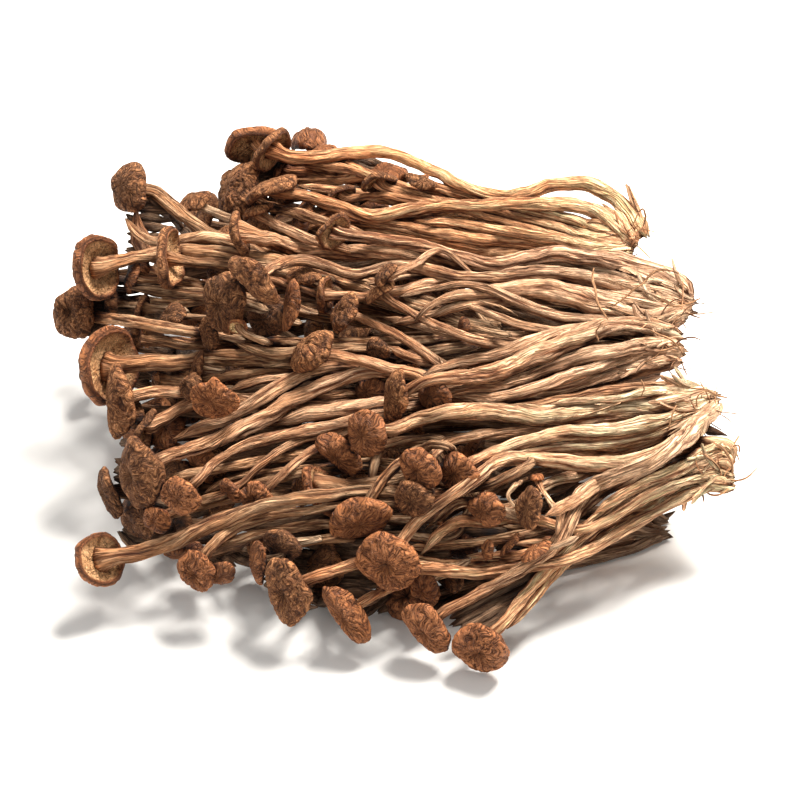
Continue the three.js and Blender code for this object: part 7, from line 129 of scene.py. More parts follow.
    ("L39", "clump_left", "G", "seen", [441,68,646,204,414,66,639,205,387,65,631,205,360,64,623,205,333,63,614,205,306,63,605,205,280,64,595,205,254,65,585,205,228,65,574,205,201,65,565,206,174,63,557,206,147,58,551,206,120,52,546,206,93,43,543,206,67,34,541,205,40,25,539,205,14,16,537,205,-13,7,536,205,-40,-2,534,205,-66,-11,533,205,-93,-20,533,205,-120,-29,532,204,-147,-38,532,204,-174,-46,532,204,-201,-53,532,204,-228,-60,532,204,-256,-65,531,204,-284,-69,531,204,-312,-71,530,204,-340,-73,530,204,-368,-74,530,204,-396,-74,530,204,-424,-74,531,204,-453,-76,532,204,-481,-79,533,204,-508,-84,536,204,-535,-91,539,203,-562,-99,542,203,-589,-107,544,203,-616,-115,545,203,-643,-122,545,203,-671,-126,544,203,-699,-129,542,203,-727,-131,538,203,-755,-130,534,203,-782,-126,529,203,-809,-120,523,203,-835,-113,517,203,-861,-104,510,203,-887,-95,504,205,-915,-94,506,218,-942,-97,513,261], [-936,-96,511,-9254,-1571,3448,1736,6330,7544,489,342,205,0]),
    ("M1", "stray_24", "", "seen", [77,-65,618,162,55,-75,629,162,31,-79,638,164,6,-82,646,170,-19,-85,652,182,-41,-96,659,207], [-35,-89,657,-6645,-6971,2693,7287,-5246,4402,609,517,310,0]),
    ("M3", "stray_25", "", "seen", [498,-55,705,162,470,-50,708,162,443,-44,711,162,416,-39,714,162,388,-34,716,162,361,-28,720,166,334,-25,725,175,308,-31,731,208], [314,-28,730,-8529,-4797,2062,1494,1542,9767,424,339,237,0]),
    ("S3", "clump_middle", "H", "seen", [278,-196,511,242,253,-185,514,242,227,-174,516,243,202,-162,518,243,178,-148,518,243,155,-133,517,243,131,-117,515,244,108,-102,514,244,83,-90,515,245,57,-85,523,245,33,-90,536,244,15,-101,553,244,-1,-115,571,243,-19,-128,588,242,-42,-137,602,242,-68,-138,610,242,-96,-135,613,246,-123,-130,614,251,-151,-126,613,257,-179,-124,611,262,-206,-125,608,268,-234,-129,606,273,-260,-137,602,279,-286,-147,598,284,-311,-158,594,289,-336,-169,590,294,-361,-181,585,299,-386,-194,581,305,-410,-208,578,310,-433,-223,574,314,-455,-239,570,319,-478,-255,564,317,-500,-271,557,313,-522,-285,549,309,-545,-297,539,305,-568,-308,528,301,-592,-318,518,297,-617,-327,508,292,-642,-336,499,288,-667,-345,492,284,-693,-353,485,280,-719,-362,480,276,-745,-371,474,272,-771,-379,469,267,-797,-388,464,263,-823,-397,459,259], None),
    ("F1", "clump_middle", "H", "seen", [290,-215,498,282,265,-202,502,283,241,-188,504,283,218,-173,506,283,195,-157,507,284,173,-140,507,284,151,-124,507,285,127,-110,510,285,102,-102,517,285,78,-103,531,285,58,-114,549,284,42,-129,568,283,27,-147,588,283,12,-166,606,282,-7,-182,622,281,-30,-195,632,281,-57,-201,633,284,-85,-202,628,290,-112,-199,618,295,-138,-197,607,300,-164,-196,597,305,-191,-197,587,310,-217,-202,579,315,-243,-209,572,319,-269,-218,568,324,-294,-230,564,329,-318,-243,561,333,-342,-257,557,337,-366,-271,553,342,-389,-285,548,346,-413,-299,541,351,-436,-312,534,355,-459,-324,525,356,-483,-336,516,353,-507,-348,508,348,-531,-359,500,343,-556,-370,493,338,-581,-381,487,333,-605,-392,482,328,-630,-404,477,323,-655,-417,474,318,-679,-430,472,313,-704,-444,471,308,-727,-459,472,303,-750,-475,475,298,-771,-492,480,293,-791,-511,487,288,-810,-530,495,284,-827,-550,505,280,-844,-571,516,276,-862,-591,522,276,-885,-606,518,280,-908,-617,507,284,-931,-627,495,295,-954,-639,486,322,-977,-655,485,350], [-964,-643,481,-7405,-6449,1893,1193,1510,9813,1501,1200,600,60]),
    ("F5", "clump_middle", "H", "seen", [251,-210,500,242,232,-198,484,243,210,-188,470,243,185,-184,459,244,158,-190,456,244,136,-205,463,243,119,-225,474,242,106,-246,488,242,95,-267,502,241,83,-288,517,240,71,-309,531,240,55,-329,543,239,35,-346,551,239,10,-358,553,240,-17,-364,551,241,-45,-368,546,243,-72,-371,540,244,-99,-374,534,246,-127,-378,529,247,-154,-382,524,248,-181,-386,520,249,-209,-390,516,251,-236,-395,512,252,-264,-400,509,253,-291,-405,506,255,-319,-410,503,256,-346,-416,501,257,-374,-421,498,255,-401,-425,495,250,-429,-429,491,245,-456,-434,487,240,-483,-439,483,234,-510,-446,480,229,-537,-455,478,224,-562,-467,477,218,-586,-481,476,213,-609,-498,476,208,-628,-518,477,203,-645,-541,480,198,-660,-564,484,194,-672,-589,489,190,-683,-614,496,186,-692,-640,503,183,-700,-665,511,179,-708,-691,520,176,-717,-715,526,174,-736,-735,519,179,-756,-745,502,185,-776,-759,490,199,-796,-778,482,222], [-790,-768,480,-4716,-8580,2034,8581,-3934,3301,853,768,384,0]),
    ("F6", "clump_middle", "H", "seen", [262,-209,504,182,236,-218,506,182,212,-231,511,181,192,-248,520,181,175,-266,532,180,158,-285,543,180,138,-302,553,179,115,-316,559,179,89,-326,559,179,63,-332,555,179,36,-335,548,179,10,-338,539,179,-16,-342,529,179,-41,-346,519,179,-67,-352,509,179,-92,-359,501,179,-117,-368,494,179,-142,-379,488,179,-167,-391,483,179,-191,-405,479,179,-213,-420,476,179,-236,-438,475,179,-257,-456,473,178,-277,-476,472,178,-297,-497,472,178,-316,-519,472,177,-335,-542,472,177,-354,-564,470,177,-372,-584,467,177,-392,-603,462,176,-411,-621,455,176,-431,-637,446,176,-451,-649,431,180,-471,-660,415,186,-490,-672,401,199,-509,-691,395,225], [-505,-685,393,-5043,-8306,2360,8423,-4129,3465,788,670,268,0]),
    ("F6b", "clump_middle", "H", "seen", [276,-187,518,202,262,-209,508,202,249,-233,503,202,238,-258,505,201,226,-283,511,200,212,-306,519,200,194,-326,526,199,172,-341,529,199,146,-350,527,199,119,-354,520,199,92,-355,512,199,66,-355,503,199,39,-354,494,199,13,-353,486,200,-14,-353,479,200,-41,-353,473,200,-69,-353,469,200,-97,-354,465,200,-124,-356,463,200,-152,-360,463,200,-179,-365,463,200,-206,-371,464,199,-233,-379,465,197,-260,-388,465,194,-286,-398,465,191,-312,-409,465,189,-337,-423,465,186,-361,-438,464,183,-384,-455,464,180,-406,-474,463,178,-428,-492,461,175,-449,-511,458,172,-470,-529,453,170,-491,-547,445,167,-511,-564,435,164,-531,-580,422,161,-549,-593,406,159,-570,-604,391,161,-594,-613,381,170,-617,-628,380,202], [-613,-624,379,-6943,-7005,1652,6842,-7136,-1506,574,402,201,0]),
    ("L10", "clump_middle", "H", "seen", [273,-205,505,242,249,-190,506,242,226,-176,505,243,201,-162,503,243,176,-151,500,244,150,-143,495,245,123,-138,491,248,96,-136,487,250,68,-135,484,251,40,-135,481,253,13,-134,478,255,-15,-133,474,257,-42,-132,470,259,-70,-131,467,262,-98,-134,466,264,-124,-140,468,265,-150,-150,474,267,-174,-162,481,268,-198,-174,489,269,-222,-186,497,270,-247,-196,503,271,-273,-204,507,273,-300,-210,509,275,-328,-213,509,277,-356,-214,508,279,-383,-215,507,281,-411,-215,505,282,-439,-215,504,281,-467,-214,502,280,-494,-214,501,279,-522,-214,501,279,-550,-214,501,278,-578,-214,501,277,-606,-214,503,276,-633,-213,505,275,-661,-211,507,274,-689,-210,510,273,-716,-208,513,272,-744,-206,517,271,-771,-205,521,270,-799,-204,525,269,-826,-205,530,268,-853,-209,535,266,-880,-214,541,265,-906,-223,546,264,-931,-233,552,263,-955,-246,557,261,-979,-259,562,260,-1005,-268,561,266,-1032,-275,557,276,-1059,-282,555,297,-1085,-290,555,333], [-1074,-285,552,-8764,-4288,2193,-344,5100,8595,1498,869,435,60]),
    ("L12", "clump_middle", "H", "seen", [287,-196,512,262,262,-188,503,263,236,-179,495,263,212,-170,485,263,187,-160,476,264,163,-150,465,264,139,-140,455,265,114,-132,447,265,86,-128,442,266,59,-132,442,265,34,-141,446,265,11,-152,452,264,-14,-160,454,263,-41,-164,451,264,-69,-165,446,266,-96,-168,442,267,-123,-177,443,268,-148,-190,449,269,-172,-206,458,269,-196,-221,468,270,-221,-236,477,270,-246,-247,485,271,-273,-255,491,272,-300,-260,495,273,-328,-263,498,274,-356,-264,500,276,-384,-264,503,277,-412,-264,505,278,-439,-262,507,279,-467,-261,510,280,-495,-259,513,280,-523,-258,516,279,-550,-256,519,278,-578,-255,523,277,-606,-254,525,276,-634,-253,527,274,-662,-252,527,273,-690,-252,526,272,-718,-252,524,271,-746,-254,521,270,-773,-258,517,268,-800,-264,512,267,-825,-275,508,266,-849,-289,504,264,-871,-307,500,263,-890,-326,496,261,-912,-343,491,266,-936,-355,484,281,-964,-353,485,332], [-956,-357,483,-8529,4495,2656,5064,5885,6302,719,575,288,0]),
    ("L14", "stray_10", "", "seen", [-658,-127,583,162,-686,-128,587,162,-713,-129,592,163,-741,-126,597,173,-767,-128,606,207], [-762,-126,603,-8067,-3480,4777,2568,5215,8137,691,346,207,0]),
    ("L15", "stray_11", "", "seen", [-611,-203,550,141,-635,-213,559,141,-659,-223,568,141,-683,-233,577,140,-707,-243,587,141,-732,-251,593,145,-759,-256,598,155,-784,-262,606,179], [-773,-259,601,-8529,-2864,4366,5088,-6433,5720,726,581,407,0]),
    ("L29", "clump_middle", "H", "seen", [284,-197,512,202,265,-182,526,202,243,-168,538,202,219,-157,547,202,193,-148,552,202,165,-142,554,202,137,-138,554,202,109,-133,553,202,81,-129,552,202,53,-125,550,203,24,-121,549,203,-4,-118,548,203,-33,-115,546,203,-61,-114,546,203,-89,-114,545,203,-118,-115,546,202,-146,-119,547,202,-174,-123,549,202,-202,-128,551,202,-231,-132,553,201,-259,-135,555,200,-287,-138,556,199,-315,-140,558,198,-343,-143,560,196,-372,-147,562,195,-400,-151,564,193,-427,-156,566,192,-455,-162,567,191,-483,-169,568,189,-510,-177,569,188,-536,-187,570,186,-562,-199,570,185,-587,-212,571,183,-612,-226,572,182,-635,-242,573,180], None),
    ("L30", "clump_middle", "H", "seen", [272,-198,509,283,244,-199,504,286,216,-201,501,292,188,-203,498,298,160,-208,497,304,132,-215,498,311,105,-225,502,317,79,-239,508,323,56,-255,517,327,33,-272,527,330,10,-288,536,334,-16,-298,540,340,-43,-304,541,346,-71,-305,537,352,-99,-304,532,357,-127,-303,526,354,-155,-302,521,349,-184,-302,518,342,-212,-304,515,336,-240,-307,513,330,-268,-310,510,323,-296,-312,507,317,-324,-315,503,311,-351,-317,497,305,-378,-319,490,299,-405,-321,482,293,-432,-323,474,287,-459,-326,466,280], None),
    ("M2", "loose_cap_08", "", "seen", None, [-60,-194,533,-6983,-6760,2354,6919,-5531,4641,816,653,392,0]),
    ("L13", "loose_cap_07", "", "seen", None, [-690,-351,613,-1710,-9654,1967,9509,-2140,-2237,1108,831,183,10]),
    ("F7", "clump_front_left", "J", "seen", [346,-668,331,236,323,-651,328,236,300,-636,327,237,274,-626,332,237,249,-625,343,237,229,-633,360,236,215,-648,379,235,204,-666,398,235,196,-686,417,234,190,-708,436,233,185,-731,455,233,179,-754,474,232,172,-776,494,232,163,-797,513,231,147,-814,530,231,122,-820,538,233,97,-807,528,237,77,-788,514,239,60,-769,498,241,42,-750,482,243,22,-733,468,245,0,-719,456,248,-26,-710,448,251,-53,-705,444,254,-81,-704,444,256,-109,-707,445,259,-137,-711,448,261,-164,-717,451,264,-190,-725,456,266,-217,-734,460,268,-243,-742,463,270,-270,-748,464,272,-298,-752,461,275,-326,-752,456,277,-353,-751,448,280,-379,-751,440,283,-406,-751,432,286,-433,-752,424,288,-460,-754,417,291,-487,-756,409,294,-514,-759,401,296,-541,-763,394,299,-567,-769,388,302,-593,-777,382,304,-619,-785,375,306,-645,-793,368,309,-671,-801,360,311,-696,-807,350,314,-722,-813,340,317,-748,-819,331,319,-774,-825,322,322,-800,-831,314,325,-826,-838,307,327,-853,-844,300,330,-879,-849,294,332,-906,-855,288,335,-933,-861,284,337,-960,-867,280,340,-987,-874,278,348,-1015,-881,276,356,-1042,-887,274,361,-1069,-892,270,370,-1095,-891,261,407,-1115,-881,244,446], [-1110,-887,253,-4803,5057,-7167,1635,8544,4933,1071,1039,395,0]),
    ("F8", "clump_front_left", "J", "seen", [357,-669,332,196,329,-669,333,196,302,-669,334,196,274,-669,335,196,246,-669,337,196,219,-673,341,196,194,-680,349,196,172,-692,361,196,154,-708,376,195,140,-725,393,195,127,-743,410,194,113,-760,426,193,94,-774,440,193,69,-782,448,192,43,-777,445,193,18,-766,436,193,-5,-755,426,194,-29,-745,416,194,-54,-737,408,194,-81,-733,403,195,-108,-733,401,195,-136,-737,402,194,-163,-743,406,194,-189,-751,410,194,-216,-758,412,194,-243,-762,413,193,-270,-764,409,194,-297,-763,403,194,-324,-759,395,196,-350,-756,386,199,-376,-753,377,201,-402,-752,369,204,-429,-752,362,207,-456,-754,355,209,-483,-758,349,212,-510,-763,344,214,-536,-769,339,217,-562,-779,335,219,-586,-792,331,222,-609,-807,328,224,-630,-826,325,226,-648,-846,323,228,-665,-869,321,229,-680,-891,320,231,-696,-911,308,236,-709,-928,291,244,-720,-946,274,261,-733,-969,264,296], [-728,-958,263,-3838,-9216,578,0,626,9980,957,765,383,0]),
    ("F9", "clump_front", "E", "seen", [1368,-533,370,238,1342,-544,367,238,1316,-555,364,237,1290,-565,361,237,1264,-574,356,237,1237,-582,349,237,1211,-589,341,237,1185,-594,331,237,1159,-599,321,237,1134,-603,310,238,1108,-609,301,238,1082,-618,295,238,1056,-628,290,237,1030,-640,286,237,1005,-651,283,237,979,-661,278,237,953,-668,269,237,927,-673,260,237,901,-682,254,237,876,-694,252,237,851,-708,253,236,827,-722,253,236,801,-735,252,236,776,-747,250,236,751,-759,249,235,725,-770,248,235,699,-781,245,235,672,-789,240,235,646,-798,237,235,621,-811,238,235,598,-826,244,234,578,-844,252,234,557,-861,261,233,535,-877,268,232,510,-890,272,232,483,-893,267,232,458,-889,255,232,434,-883,243,233,407,-880,234,233,379,-883,231,233,352,-890,233,233,325,-897,237,233,297,-903,240,232,270,-907,244,232,242,-910,248,232,214,-911,252,232,186,-910,257,232,159,-909,262,232,131,-907,266,232,103,-905,271,232,75,-904,275,232,47,-904,279,232,19,-905,281,234,-9,-908,283,235,-37,-913,283,237,-64,-919,283,239,-91,-927,283,240,-117,-937,283,242,-143,-948,283,243,-169,-961,284,244,-193,-974,286,246,-217,-989,289,247,-240,-1004,293,248,-265,-1018,294,250,-291,-1027,288,254,-317,-1034,279,258,-342,-1041,269,266,-366,-1054,261,292,-385,-1074,260,318], [-378,-1062,258,-4973,-8571,1347,1567,-2414,-9577,1437,949,474,50]),
    ("F4", "clump_front_left", "J", "seen", [321,-663,338,177,297,-649,341,177,273,-635,345,177,248,-623,351,177,223,-612,358,177,199,-602,367,177,174,-592,375,177,149,-581,383,177,123,-570,389,178,98,-559,394,178,72,-547,397,178,45,-537,399,178,18,-528,399,178,-10,-522,399,178,-38,-519,399,178,-66,-518,399,178,-94,-520,399,178,-122,-523,400,178,-150,-527,402,178,-178,-533,404,178,-206,-540,408,178,-233,-550,414,178,-260,-561,420,178,-285,-572,426,177,-311,-581,430,177,-338,-587,430,177,-365,-590,426,177,-393,-590,420,177,-420,-590,413,177,-448,-591,405,177,-475,-592,397,178,-503,-592,387,180,-529,-589,375,181,-553,-584,360,183,-576,-577,345,184,-599,-572,330,185,-623,-570,319,187,-649,-575,312,188,-675,-589,314,190,-699,-606,320,190,-721,-625,328,191,-742,-644,336,192,-763,-663,343,192,-784,-681,349,193,-806,-699,354,194,-830,-714,354,198,-854,-727,349,205,-878,-740,342,219,-898,-760,341,250], [-894,-752,339,-4716,-8580,2034,8581,-3934,3301,636,572,286,0]),
    ("F2", "stray_07", "", "seen", [-921,-622,352,196,-946,-616,342,197,-971,-610,333,197,-997,-604,328,200,-1023,-600,330,203,-1049,-598,336,212,-1075,-601,343,229,-1100,-610,350,252], [-1092,-605,348,-8637,-4776,1611,3892,-8350,-3890,1111,611,306,0]),
    ("F3", "stray_09", "", "seen", [-835,-682,328,177,-846,-665,310,177,-858,-649,292,177,-869,-633,274,178,-881,-617,256,179,-899,-605,240,183,-923,-600,230,186,-949,-601,222,195,-974,-607,218,210,-999,-618,217,230], [-985,-608,215,-8138,-5734,945,5338,-6733,5116,1158,926,556,0]),
    ("F18", "clump_front_left", "J", "seen", [345,-655,335,275,332,-628,335,276,317,-603,337,277,300,-584,348,277,282,-577,366,276,265,-581,385,276,247,-592,403,275,226,-603,418,283,201,-612,426,298,173,-616,429,314,146,-618,428,330,119,-619,425,346,91,-620,423,361,64,-623,420,377,36,-627,418,392,9,-633,417,405,-19,-639,415,417,-46,-645,414,430,-73,-651,412,442,-100,-657,412,455,-128,-662,411,468,-155,-667,413,483,-183,-670,416,501,-211,-670,419,521,-238,-670,417,561,-265,-668,409,625], [-255,-669,416,-8075,593,-5868,5209,-3951,-7567,1152,922,387,0]),
    ("F19", "stray_06", "", "seen", [-148,-644,344,157,-169,-629,334,158,-191,-614,327,158,-214,-600,322,158,-237,-587,320,158,-262,-576,320,162,-288,-571,324,168,-314,-571,331,180,-340,-577,338,203], [-331,-572,335,-8627,-4315,2636,1585,2643,9513,694,624,343,0]),
    ("F20", "clump_front_left", "J", "seen", [331,-663,336,196,321,-638,345,197,311,-614,352,197,300,-589,359,197,290,-565,367,197,281,-541,378,198,276,-520,397,198,271,-499,418,198,263,-480,440,198,251,-463,460,198,232,-450,476,198,208,-443,485,198,181,-440,490,198,154,-442,491,198,126,-446,491,198,99,-452,491,198,72,-460,492,198,45,-469,494,198,18,-480,497,198,-8,-491,499,197,-35,-501,501,197,-62,-509,500,197,-88,-516,498,197,-116,-519,495,200,-143,-522,491,207,-169,-528,487,221,-190,-545,487,252], [-186,-536,486,-3957,-9068,1452,7660,-4132,-4924,1101,683,341,40]),
    ("D15", "clump_front_left", "J", "seen", [336,-657,337,197,362,-630,330,197,397,-593,323,197,450,-535,326,197,521,-526,400,197,562,-639,540,196,529,-699,561,195,472,-727,546,195,415,-734,520,195,370,-730,496,195,334,-728,482,195,302,-721,467,196,271,-715,455,196,242,-716,451,196,221,-726,456,195,205,-740,466,195,178,-756,477,199,149,-779,491,206,122,-800,502,221,99,-818,506,249], [104,-809,503,-4716,-8580,2034,8581,-3934,3301,814,773,348,0]),
    ("D16", "clump_front_left", "J", "seen", [327,-667,336,177,320,-640,344,177,311,-612,351,177,301,-584,359,178,289,-557,371,178,277,-537,389,178,269,-530,415,178,263,-534,446,177,260,-548,481,177,258,-574,520,176,256,-610,567,176,252,-636,604,175,244,-656,632,175,235,-668,650,175,224,-674,659,176,212,-674,662,176,198,-667,656,178,179,-644,635,181,155,-596,584,185,132,-564,541,191,109,-568,529,199,88,-589,530,206,69,-617,536,209,53,-642,539,210,37,-660,537,211,22,-674,529,211,6,-687,517,212,-11,-700,504,212,-28,-714,489,212,-44,-728,473,215,-59,-744,456,218,-72,-764,440,221,-84,-786,426,230,-93,-811,416,251,-98,-838,411,272], [-97,-824,411,-1116,-9937,75,8166,-874,5705,1411,959,480,30]),
    ("F12", "clump_front", "E", "seen", [1360,-512,379,198,1335,-523,375,198,1309,-533,370,198,1283,-543,365,198,1257,-551,358,198,1231,-558,349,198,1205,-562,338,198,1180,-565,326,198,1155,-568,314,198,1130,-571,302,199,1104,-577,292,199,1078,-584,284,199,1052,-593,277,198,1026,-600,269,198,1001,-605,259,198,976,-608,247,199,950,-613,236,199,924,-623,231,199,900,-636,231,198,876,-651,232,198,852,-666,232,198,826,-677,228,197,800,-683,220,198,774,-689,211,198,749,-698,206,198,724,-711,206,198,699,-725,206,197,674,-738,205,197,648,-745,198,197,623,-747,186,197,597,-748,175,198,571,-755,169,198,547,-770,173,197,525,-787,179,197,503,-803,185,196,480,-818,190,196,455,-831,193,196,430,-842,193,196,403,-852,193,198,377,-863,194,200,351,-873,195,201,325,-882,197,203,298,-891,199,204,271,-899,201,206,244,-905,202,208,217,-910,202,210,189,-915,200,211,161,-919,198,213,134,-924,195,213,107,-931,192,213,80,-941,191,213,55,-953,191,213,30,-968,192,212,6,-984,195,212,-16,-1003,198,212,-38,-1022,202,211,-58,-1042,206,211,-78,-1063,211,211,-99,-1081,210,214,-122,-1097,204,221,-143,-1113,197,236,-161,-1135,195,269], [-156,-1126,193,-4120,-8977,1560,5649,-3860,-7293,1394,697,348,80]),
    ("F14", "stray_05", "", "seen", [320,-925,284,154,297,-932,275,154,273,-939,265,154,250,-945,254,154,227,-950,243,154,203,-956,232,157,181,-965,222,162,160,-978,213,173,144,-998,208,198], [148,-989,209,-3716,-9263,-629,249,-777,9967,756,567,340,0]),
    ("F10", "stray_03", "", "seen", [-391,-983,373,153,-407,-972,356,153,-424,-962,340,154,-446,-958,327,159,-471,-962,321,169,-494,-972,320,197], [-487,-967,319,-8365,-5271,1497,311,2270,9734,946,473,284,0]),
    ("F11", "stray_04", "", "seen", [-249,-842,327,155,-265,-861,341,155,-280,-880,355,154,-297,-897,368,154,-323,-907,373,158,-351,-908,368,164,-378,-913,363,177,-404,-924,360,197], [-396,-915,360,-7094,-7027,549,6307,-5980,4946,1096,658,395,0]),
    ("L32", "clump_front_left", "J", "seen", [339,-646,341,197,323,-625,350,197,307,-603,358,197,291,-582,366,197,275,-560,376,198,261,-539,388,198,248,-517,402,198,234,-496,416,198,219,-476,429,198,201,-458,440,198,179,-442,448,199,154,-431,453,199,127,-424,454,200,99,-420,452,202,71,-419,448,204,43,-419,443,206,15,-421,439,208,-13,-423,436,210,-41,-427,434,213,-69,-433,434,215,-97,-439,434,217,-124,-445,435,219,-152,-450,435,221,-180,-454,434,223,-208,-458,433,225,-236,-460,431,227,-265,-461,428,230,-293,-462,425,232,-321,-463,422,234,-349,-463,418,236,-377,-465,415,237,-405,-468,412,235,-433,-473,410,231,-460,-480,410,228,-488,-489,411,225,-515,-497,412,221,-542,-506,413,218,-570,-514,414,214,-597,-521,414,211,-625,-527,413,208,-652,-533,412,204,-680,-538,410,201,-708,-543,408,198,-736,-548,406,194,-763,-554,404,191,-791,-559,401,187,-818,-565,398,184,-846,-571,394,181,-873,-577,391,177], None),
    ("L33", "clump_front_left", "J", "seen", [314,-650,345,157,291,-634,348,157,268,-619,353,158,245,-605,360,158,221,-592,368,158,197,-579,376,158,174,-567,385,158,150,-554,392,158,125,-541,399,158,101,-529,406,158,75,-519,411,158,49,-509,415,158,22,-502,418,158,-6,-497,418,158,-34,-495,417,159,-62,-494,415,159,-90,-494,412,159,-118,-494,408,159,-146,-495,405,159,-174,-496,401,159,-202,-497,398,159,-230,-499,396,159,-258,-500,393,159,-286,-502,391,159,-314,-504,389,159,-342,-508,388,159,-370,-512,389,159,-397,-518,390,158,-425,-524,391,158,-453,-529,392,158,-481,-534,392,158,-509,-537,389,158,-537,-539,384,158,-564,-540,378,158,-591,-541,370,158,-618,-544,361,159,-644,-550,353,159,-670,-559,346,159,-694,-573,341,158,-717,-588,337,158], None),
    ("F23", "clump_front_left", "J", "seen", [340,-657,337,177,314,-646,339,177,288,-636,342,177,262,-627,347,177,235,-621,353,177,208,-616,360,177,181,-613,366,177,153,-610,370,177,125,-608,373,177,97,-605,373,179,69,-603,372,180,41,-600,369,181,13,-597,366,182,-15,-593,362,183,-43,-590,359,184,-71,-587,355,186,-99,-585,351,187,-126,-582,347,188,-154,-578,341,189,-181,-572,334,190,-207,-564,325,191,-233,-555,315,193,-259,-545,304,194,-286,-535,294,195,-313,-527,285,196,-341,-523,278,198,-369,-525,277,199,-395,-533,281,199,-421,-545,289,197,-446,-560,299,196,-471,-573,307,195,-499,-583,311,193,-527,-587,310,192,-554,-587,305,191,-581,-584,297,191,-608,-581,289,190,-635,-582,283,189,-663,-586,280,188,-689,-595,281,187,-715,-606,282,185,-742,-616,283,184,-769,-623,280,183,-796,-625,272,182,-820,-622,259,181,-843,-615,244,181,-862,-605,226,180,-881,-593,208,180,-898,-581,190,180], None),
    ("F24", "clump_front_left", "J", "seen", [317,-651,343,197,294,-666,338,196,270,-681,334,196,246,-695,329,196,221,-708,326,196,196,-720,325,196,169,-729,325,196,141,-736,327,197,114,-740,329,198,86,-744,332,199,58,-747,334,200,30,-749,336,201,1,-751,337,202,-27,-753,337,204,-55,-755,338,205,-83,-757,338,206,-111,-760,337,207,-139,-762,337,209,-168,-764,336,210,-196,-767,335,211,-224,-770,334,212,-252,-772,333,213,-280,-776,331,213,-308,-779,329,210,-336,-782,328,208,-364,-786,325,205,-392,-789,323,203,-420,-793,320,200,-448,-797,317,198,-475,-800,313,195,-503,-804,308,193,-531,-808,303,190,-558,-812,298,188,-585,-817,294,185,-613,-824,290,182,-639,-833,288,180,-665,-844,287,177,-691,-856,287,174], None),
    ("F25", "clump_front_left", "J", "seen", [334,-649,340,197,324,-673,329,196,315,-697,318,196,305,-721,310,196,294,-746,304,195,281,-771,300,195,262,-792,299,195,238,-807,300,195,211,-815,302,196,183,-818,305,197,155,-818,308,199,127,-818,311,200,99,-817,312,202,71,-815,313,203,43,-814,312,205,14,-812,311,206,-14,-809,308,208,-42,-807,305,209,-69,-804,302,211,-97,-802,299,212,-125,-800,296,213,-153,-800,294,211,-182,-802,293,207,-209,-806,293,203,-237,-811,293,198,-265,-817,293,194,-292,-822,292,189,-320,-827,290,185,-348,-830,286,181,-375,-834,282,176,-403,-838,277,172,-430,-844,275,168,-457,-852,274,163,-483,-864,277,159,-508,-876,281,155], None),
    ("F27", "clump_front_left", "J", "seen", [313,-672,334,196,340,-676,325,196,366,-680,310,196,393,-684,291,196,421,-690,268,196,451,-697,246,196,481,-704,243,196,511,-711,246,196,540,-718,254,196,567,-723,265,196,593,-728,279,196,618,-733,292,195,642,-739,301,195,657,-753,301,195,634,-765,300,198,607,-773,302,200,580,-781,302,201,553,-789,302,203,526,-796,301,204,500,-803,301,206,473,-810,299,208,446,-814,297,209,418,-818,294,211,391,-819,290,213,364,-819,285,212,337,-818,279,209,310,-816,273,206,283,-815,268,202,256,-815,264,199,228,-817,264,195,201,-822,266,192,175,-829,270,188,149,-837,275,185,123,-846,282,181,98,-855,288,178,73,-864,295,174], None),
    ("F22", "stray_08", "", "seen", [-10,-391,492,179,-18,-416,484,183,-25,-442,476,187,-31,-467,467,191,-38,-492,457,194,-43,-517,446,197,-49,-541,434,197,-54,-564,420,197,-59,-586,404,197,-65,-608,388,197], None),
    ("F8b", "loose_cap_05", "", "seen", None, [-817,-827,232,-2620,-9551,-1383,8642,-2960,4069,626,313,188,0]),
    ("F8c", "loose_cap_06", "", "seen", None, [-632,-958,252,-3830,-9188,-950,5102,-2962,8074,810,486,291,0]),
    ("F29", "loose_cap_02", "", "seen", None, [392,-919,337,-8138,-5734,945,1313,-230,9911,508,305,213,0]),
    ("F30", "loose_cap_03", "", "seen", None, [478,-878,330,-7544,2739,5965,6428,4924,5868,540,270,135,60]),
    ("F32", "loose_cap_04", "", "seen", None, [297,-761,213,-4924,-8696,-364,7938,-4658,3909,792,634,380,0]),
    ("B2q", "clump_upper", "", "seen", [-107,441,756,167,-134,444,762,173,-161,447,767,179,-188,451,772,185,-215,454,778,191,-242,457,783,196,-269,459,790,202,-296,462,796,208,-322,465,804,211,-348,470,811,214,-374,479,817,217,-398,491,821,220,-420,508,821,223,-439,528,818,226,-456,549,814,228,-472,571,808,230,-488,593,802,233,-511,607,808,241,-533,615,822,256,-550,625,842,297], [-546,620,835,-3732,5269,7636,9276,2257,2976,718,503,302,0]),
    ("B12", "clump_upper", "", "seen", [376,267,746,83,355,282,757,91,335,297,768,99,315,312,780,108,295,328,792,117,276,343,804,125,254,356,815,135,228,362,822,144,202,357,823,149,179,341,823,151,161,320,823,154,146,297,826,155,133,274,831,156,120,250,838,157,108,227,847,158,96,204,857,159,85,182,868,160,74,159,880,161,64,136,891,161,44,119,892,166,18,114,884,175,-9,114,888,207], [-3,114,882,-6943,507,7179,6428,4924,5868,606,424,297,0]),
    ("D8", "clump_lower", "", "seen", [839,-677,476,272,817,-690,466,272,794,-704,458,272,772,-722,453,272,751,-741,453,271,731,-763,456,270,711,-784,460,265,690,-807,466,258,670,-829,472,250,649,-852,479,243,628,-872,487,236,607,-891,493,229], None),
